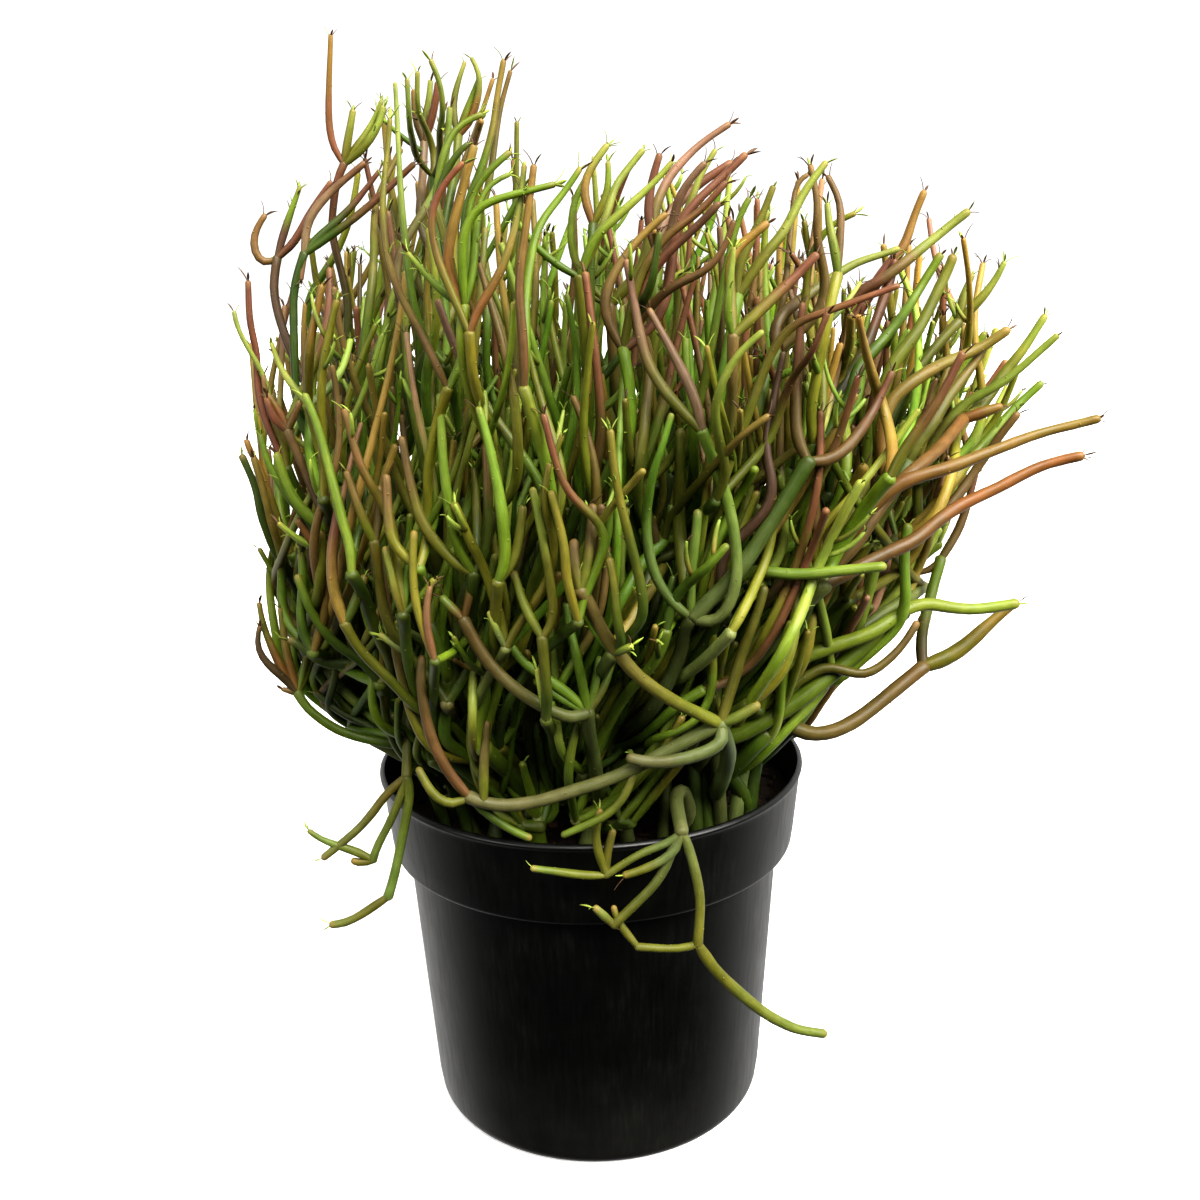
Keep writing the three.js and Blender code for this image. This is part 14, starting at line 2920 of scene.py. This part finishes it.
    "stem_middle_1": """
p-- 195 182 432,12,5357 432,-43,5120 435,-64,4958 443,-67,4796 455,-49,4635 472,-14,4478 491,15,4404 597,154,4236
p-- 190 177 149,567,5535 182,534,5225 272,498,4927 376,473,4717 552,448,4459 621,462,4319
p-- 172 160 681,30,5211 668,-49,4832 659,-168,4547 640,-172,4473 628,-152,4402 646,-144,4328
p-- 204 190 902,-198,5204 940,-124,4971 967,-33,4743 983,75,4522 979,195,4311 962,219,4235 921,222,4163 858,228,4113 786,254,4081
p-- 187 174 736,528,4811 684,378,4446 635,276,4236 576,164,4031 487,47,3838 451,20,3769 399,16,3617 379,-24,3545
p-- 215 200 214,525,3819 193,481,3590 169,436,3443 114,342,3237 18,177,2992 6,167,2915 -19,170,2842
p-- 211 196 -268,310,4019 -175,298,3618 -85,271,3301 -10,250,3066 8,239,2986 3,211,2910 -19,170,2842
p-- 185 172 588,151,5424 624,96,5186 630,58,5026 592,-25,4710 588,-60,4550 646,-144,4328
p-- 221 205 491,-94,5650 532,-14,5430 560,69,5210 573,215,4848 571,231,4772 559,229,4694 528,227,4621 481,240,4559 426,268,4508
p-- 221 205 525,271,3341 375,272,3061 244,237,2777 194,204,2635 148,113,2347
p-- 157 146 402,-257,5192 452,-238,4959 495,-215,4723 548,-170,4327 564,-113,4094 577,-49,3862 558,-38,3703 515,-36,3634 452,-31,3582 379,-24,3545
p-- 220 204 844,357,5656 819,385,5499 773,392,5344 666,364,5130 494,280,4873 486,274,4795 504,286,4641 479,282,4567 426,268,4508
p-- 211 197 183,109,4999 249,91,4772 315,83,4545 422,94,4166 424,98,4088 359,112,3861 359,115,3782 384,117,3707 427,118,3641
p-- 204 190 -129,-89,4782 -45,-28,4401 27,-6,4093 94,3,3866 104,20,3709 133,28,3637 182,34,3574
p-- 211 196 662,261,4171 530,231,3879 419,211,3578 326,200,3271 251,190,2959 169,149,2832
p-- 234 218 397,-125,4020 439,-32,3705 448,86,3397 439,117,3321 392,211,3195
p-- 210 195 596,309,4731 494,213,4445 364,111,4085 268,51,3789 227,49,3636 182,34,3574
p-- 206 192 200,404,4699 144,395,4387 121,356,4072 137,299,3841 184,217,3622 189,199,3545 184,204,3466 195,218,3389 227,229,3317
p-- 216 201 860,60,5637 824,14,5331 786,-36,5106 717,-124,4815 654,-206,4607 628,-222,4536 609,-206,4463 616,-174,4394 646,-144,4328
p-- 203 189 428,30,3155 337,62,2938 201,97,2679 151,121,2563 117,148,2447 96,191,2270
p-- 192 178 527,372,5657 615,387,5439 659,404,5290 689,428,5138 707,476,4908 706,492,4831 689,497,4755 588,464,4545 576,455,4468 590,455,4391 621,462,4319
p-- 230 214 642,-32,4204 624,-5,3975 582,38,3750 510,97,3538 412,164,3338 390,179,3265 392,211,3195
p-- 209 194 785,479,5189 780,365,4798 790,325,4556 820,284,4314 781,265,4160 786,254,4081
p-- 182 170 754,237,5320 787,200,5077 811,184,4832 819,189,4670 810,227,4435 779,224,4362 724,206,4307 597,154,4236
s-- 264 256 426,268,4508 423,225,4180 382,200,3855 335,185,3699 243,185,3473 227,229,3317
s-- 222 215 621,462,4319 468,412,3966 258,287,3777
s-- 260 252 646,-144,4328 517,-82,4137 376,-38,3857 351,-28,3701 379,-24,3545
s-- 227 220 597,154,4236 498,128,3942 457,120,3711 427,118,3641
s-- 266 258 786,254,4081 600,266,3717 441,249,3432 414,238,3355 392,211,3195
s-- 268 260 258,287,3777 208,291,3461 211,268,3385 227,229,3317
s-- 263 255 427,118,3641 375,110,3414 310,112,3190 237,129,2970 169,149,2832
s-- 301 292 379,-24,3545 335,-5,3241 200,30,2876 184,35,2800 172,48,2647 148,113,2347
s-- 243 236 182,34,3574 209,80,3244 168,128,2914 169,149,2832
s-- 311 302 227,229,3317 162,285,3177 97,321,3032 24,341,2804 16,308,2648 96,191,2270
s-- 309 300 392,211,3195 239,263,2908 185,274,2755 173,267,2676 191,169,2281
s-- 305 296 169,149,2832 207,150,2676 220,150,2517 191,169,2281
s-- 249 242 -19,170,2842 47,186,2515 96,191,2270
s-- 347 337 148,113,2347 147,137,2222
s-- 361 350 96,191,2270 124,150,2167
s-- 358 348 191,169,2281 147,137,2222
s-- 416 403 147,137,2222 124,150,2167
s-- 482 468 124,150,2167 138,132,1930 132,131,1531
y-- 158 150 422,354,3612 340,329,3436 270,272,3341 227,229,3317
y-- 186 177 797,435,4255 785,362,4150 786,254,4081
b-- 361 344 148,113,2347 157,104,2289 181,64,2231 213,4,2169 248,-63,2101 280,-125,2023 309,-180,1880
b-- 337 247 -19,170,2842 9,142,2722 44,56,2603 81,-64,2476 116,-195,2336 146,-314,2175 173,-421,1880
""",
}


# ---------------------------------------------------------------- building the pieces


def lathe(sheaf, profile, segments, tone, wobble=None):
    """Turns a closed profile, from the axis out and back to the axis, about Z."""
    profile = np.asarray(profile, float)
    a = np.arange(segments) * 2 * math.pi / segments
    r, z = profile[1:-1, 0], profile[1:-1, 1]
    ring = np.stack([r[:, None] * np.cos(a), r[:, None] * np.sin(a), np.repeat(z[:, None], segments, 1)], -1)
    if wobble is not None:
        ring = wobble(ring)
    sheaf.add(ring[:, ::-1], np.repeat(np.asarray(tone, float)[None], len(r), 0), ring[:, ::-1].copy(),
              np.array([0, 0, profile[0, 1]]), np.array([0, 0, profile[-1, 1]]), 0)


POT_HEIGHT, RIM_R = 223.0, 130.0
COLLAR_Z, COLLAR_R, NECK_R, BASE_R, CORNER = 171.7, 124.1, 115.1, 103.4, 9.0
WALL, BEAD = 2.2, 3.2


def body_r(z):
    return BASE_R + (NECK_R - BASE_R) * z / COLLAR_Z


def collar_r(z):
    return COLLAR_R + (RIM_R - 0.8 - COLLAR_R) * (z - COLLAR_Z) / (POT_HEIGHT - COLLAR_Z)


def arc(cx, cz, r, a0, a1, n):
    a = np.radians(np.linspace(a0, a1, n))
    return [(cx + r * math.cos(x), cz + r * math.sin(x)) for x in a]


def make_pot():
    p = [(0, 0), (12, 0), (29.5, 0), (30.4, 0.25), (32, 3.0), (45, 3.0), (64, 3.0), (82, 3.0), (83.6, 0.25), (84.5, 0), (90, 0)]
    p += arc(BASE_R - CORNER, CORNER, CORNER, -90, 0, 9)
    p += [(body_r(z), z) for z in np.linspace(CORNER + 8, COLLAR_Z - 6, 14)]
    p += [(body_r(COLLAR_Z) + 0.05, COLLAR_Z - 1.2), (body_r(COLLAR_Z) + 0.7, COLLAR_Z - 0.2), (body_r(COLLAR_Z) + 1.8, COLLAR_Z)]
    p += [(COLLAR_R - 4.0, COLLAR_Z)]
    p += arc(COLLAR_R - 3.4, COLLAR_Z + 3.5, 3.5, -78, 0, 7)
    p += [(collar_r(z), z) for z in np.linspace(COLLAR_Z + 9, POT_HEIGHT - 7, 7)]
    p += [(collar_r(POT_HEIGHT - 5.0), POT_HEIGHT - 5.0), (collar_r(POT_HEIGHT - 4.4) + 0.1, POT_HEIGHT - 4.4)]
    p += arc(RIM_R - 1.6, POT_HEIGHT - 2.1, 1.6, -60, 60, 7)
    p += [(RIM_R - 1.4, POT_HEIGHT - 0.15), (RIM_R - 2.0, POT_HEIGHT), (RIM_R - BEAD + 0.3, POT_HEIGHT - 0.1), (RIM_R - BEAD, POT_HEIGHT - 0.5)]
    p += [(RIM_R - BEAD - 0.2, POT_HEIGHT - 2.5), (collar_r(POT_HEIGHT - 6) - WALL, POT_HEIGHT - 6)]
    p += [(collar_r(z) - WALL, z) for z in np.linspace(POT_HEIGHT - 14, COLLAR_Z + 9, 4)]
    p += [(COLLAR_R - WALL - 0.2, COLLAR_Z + 5), (COLLAR_R - WALL - 2.4, COLLAR_Z + WALL + 0.1), (body_r(COLLAR_Z) - WALL, COLLAR_Z + WALL - 0.6)]
    p += [(body_r(z) - WALL, z) for z in (130, 90, 50, 22)]
    p += [(body_r(15) - WALL, 12.8), (body_r(6) - WALL - 2.5, 8.2), (body_r(6) - WALL - 6.3, 6.0), (82, 6.0), (64, 6.0), (40, 6.0), (0, 6.0)]
    sheaf = Sheaf()
    lathe(sheaf, p, 192, (0, 0, 0))
    pot = sheaf.object("nursery_pot", [])
    # the round drain holes in the recessed ring of the floor
    cutter = Sheaf()
    for i in range(8):
        c = (i + 0.5) / 8 * 2 * math.pi
        a = np.arange(28) * 2 * math.pi / 28
        ring = np.stack([64 * math.cos(c) + 7.5 * np.cos(a), 64 * math.sin(c) + 7.5 * np.sin(a), np.zeros(28)], -1)
        rings = np.stack([ring + [0, 0, 1.0], ring + [0, 0, 8.0]])
        mid = rings.mean(1)
        cutter.add(rings, np.zeros((2, 3)), rings.copy(), mid[0], mid[1])
    holes = cutter.object("drain_cut", [])
    mod = pot.modifiers.new("holes", "BOOLEAN")
    mod.operation, mod.solver, mod.object = "DIFFERENCE", "EXACT", holes
    dg = bpy.context.evaluated_depsgraph_get()
    cut = bpy.data.meshes.new_from_object(pot.evaluated_get(dg))
    pot.modifiers.clear()
    old = pot.data
    pot.data = cut
    bpy.data.meshes.remove(old)
    gone = holes.data
    bpy.data.objects.remove(holes)
    bpy.data.meshes.remove(gone)
    cut.name = "nursery_pot"
    cut.materials.clear()
    cut.materials.append(pot_material())
    # flat underside and crisp steps, smooth walls
    cut.polygons.foreach_set("use_smooth", np.ones(len(cut.polygons), bool))
    cut.set_sharp_from_angle(angle=math.radians(38))
    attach(pot, "root")
    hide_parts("pot")
    return pot


def lump(sheaf, centre, size, r, tone, stretch=1.0):
    """One crumb of bark or peat: an irregular closed pebble."""
    a = np.arange(6) * math.pi / 3 + r.uniform(0, 1)
    z = np.array([-0.45, 0.40])
    base = np.stack([np.cos(a), np.sin(a), np.zeros(6)], -1)
    rings = np.stack([base * 0.95 + [0, 0, z[0]], base * 0.80 + [0, 0, z[1]]])
    rings = rings * (1 + r.uniform(-0.22, 0.22, rings.shape[:2] + (1,)))
    rings = rings * [stretch, 1.0, 0.62]
    turn, lean = r.uniform(0, 2 * math.pi), r.normal(0, 0.35)
    c, s_ = math.cos(turn), math.sin(turn)
    cl, sl = math.cos(lean), math.sin(lean)
    m = np.array([[c, -s_, 0], [s_, c, 0], [0, 0, 1]]) @ np.array([[1, 0, 0], [0, cl, -sl], [0, sl, cl]])
    rings = rings @ m.T * size + centre
    low = m @ np.array([0, 0, -0.5]) * size + centre
    high = m @ np.array([0, 0, 0.42]) * size + centre
    sheaf.add(rings, np.repeat(tone[None], 2, 0), rings.copy(), low, high, 0)


def make_soil():
    r = np.random.default_rng(88)
    top_r = collar_r(197) - WALL - 1.2

    def surface(x, y):
        d = np.hypot(x, y) / top_r
        h = 197.0 + 2.5 * (1 - d ** 2)
        h = h + 1.1 * np.sin(x / 9.0 + 1.3) * np.sin(y / 11.0 + 0.4) + 0.7 * np.sin(x / 4.1 + 0.5 * y / 3.7)
        h = h + 0.5 * np.sin(x / 2.3 - y / 2.9 + 2.0) + 0.35 * np.sin(x / 1.7 + y / 1.4)
        return h - 1.6 * smooth(d, 0.90, 1.0)

    sides = 144
    a = np.arange(sides) * 2 * math.pi / sides
    low = [(body_r(6) - WALL - 8.5, 6.5), (body_r(15) - WALL - 1.4, 13.9), (NECK_R - WALL - 1.0, COLLAR_Z + 1.6),
           (COLLAR_R - WALL - 3.8, COLLAR_Z + 3.2), (COLLAR_R - WALL - 1.2, COLLAR_Z + 6.2), (top_r, 194.5)]
    rings = [np.stack([rr * np.cos(a), rr * np.sin(a), np.full(sides, zz)], -1) for rr, zz in low]
    for rr in np.concatenate([[top_r - 0.4], np.linspace(top_r - 3, 2.5, 44)]):
        x, y = rr * np.cos(a), rr * np.sin(a)
        rings.append(np.stack([x, y, surface(x, y)], -1))
    rings = np.array(rings)
    peat = lin((44, 34, 26))
    sheaf = Sheaf()
    sheaf.add(rings, np.repeat(peat[None], len(rings), 0), rings.copy(), np.array([0, 0, 6.5]), np.array([0, 0, float(surface(0.0, 0.0))]))
    kinds = [lin((58, 42, 30)), lin((78, 56, 38)), lin((36, 28, 22)), lin((96, 74, 52))]
    for i in range(760):
        rr = (top_r - 4.5) * math.sqrt(r.uniform(0.03, 1))
        c = r.uniform(0, 2 * math.pi)
        x, y = rr * math.cos(c), rr * math.sin(c)
        size = float(r.choice([1.3, 1.9, 2.7, 3.6], p=[0.4, 0.32, 0.2, 0.08]))
        tone = kinds[int(r.choice(4, p=[0.4, 0.22, 0.28, 0.10]))] * r.uniform(0.7, 1.2)
        lump(sheaf, np.array([x, y, float(surface(x, y)) + size * 0.12]), size, r, tone, r.uniform(1.0, 1.7))
    soil = sheaf.object("peat_soil", [soil_material()])
    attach(soil, "root")
    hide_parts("soil")
    return soil


def make_cuttings():
    skins = {"stem_green": skin_material("skin_green", 0.30, 0.22, 0.40),
             "stem_gold": skin_material("skin_gold", 0.16, 0.45, 0.38),
             "stem_waxy": skin_material("skin_waxy", 0.55, 0.16, 0.46)}
    leaf = leaf_material()
    slots = {p["node"]: p["material_slot"] for p in frame["record"]["subparts"]}
    chance = np.random.default_rng(311)
    seed = 1000
    for node, rows in BRANCHES.items():
        sheaf = Sheaf()
        for row in rows.strip().splitlines():
            bits = row.split()
            kind, a, b = bits[0]
            line = [[float(v) / 10 for v in p.split(",")] for p in bits[3:]]
            roll = chance.uniform(0, 1, 2)
            fill_b, fill_t = grown_codes(line[0], *roll)
            if kind in "sb":
                # a stem length is greener and waxier the lower it stands
                z = line[-1][2]
                fill_t = pick(dict(O=26, G=32, D=28, W=8, B=6) if z > 380 else dict(D=40, W=22, O=10, G=28), roll[0])
                if kind == "b":
                    fill_t, fill_b = "D" if roll[0] < 0.7 else "W", "D" if roll[1] < 0.6 else "W"
            elif kind == "y":
                fill_t = pick(dict(Y=44, G=34, O=14, K=8), roll[0])
                fill_b = pick(dict(G=50, Y=30, D=20), roll[1])
                fill_b = pick(dict(O=24, D=40, G=26, W=10) if z > 380 else dict(D=44, W=26, O=8, G=22), roll[1])
            code_a = a if a != "-" else fill_b
            code_b = b if b != "-" else fill_t
            branch(sheaf, line, kind, code_a, code_b, float(bits[1]) / 100, float(bits[2]) / 100, seed, a == "-")
            seed += 13
        slot = slots[node]
        piece = sheaf.object("grown_" + node, [skins[slot], leaf])
        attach(piece, "root")
        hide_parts(node)


make_camera()
make_studio()
make_floor()
make_pot()
make_soil()
make_cuttings()
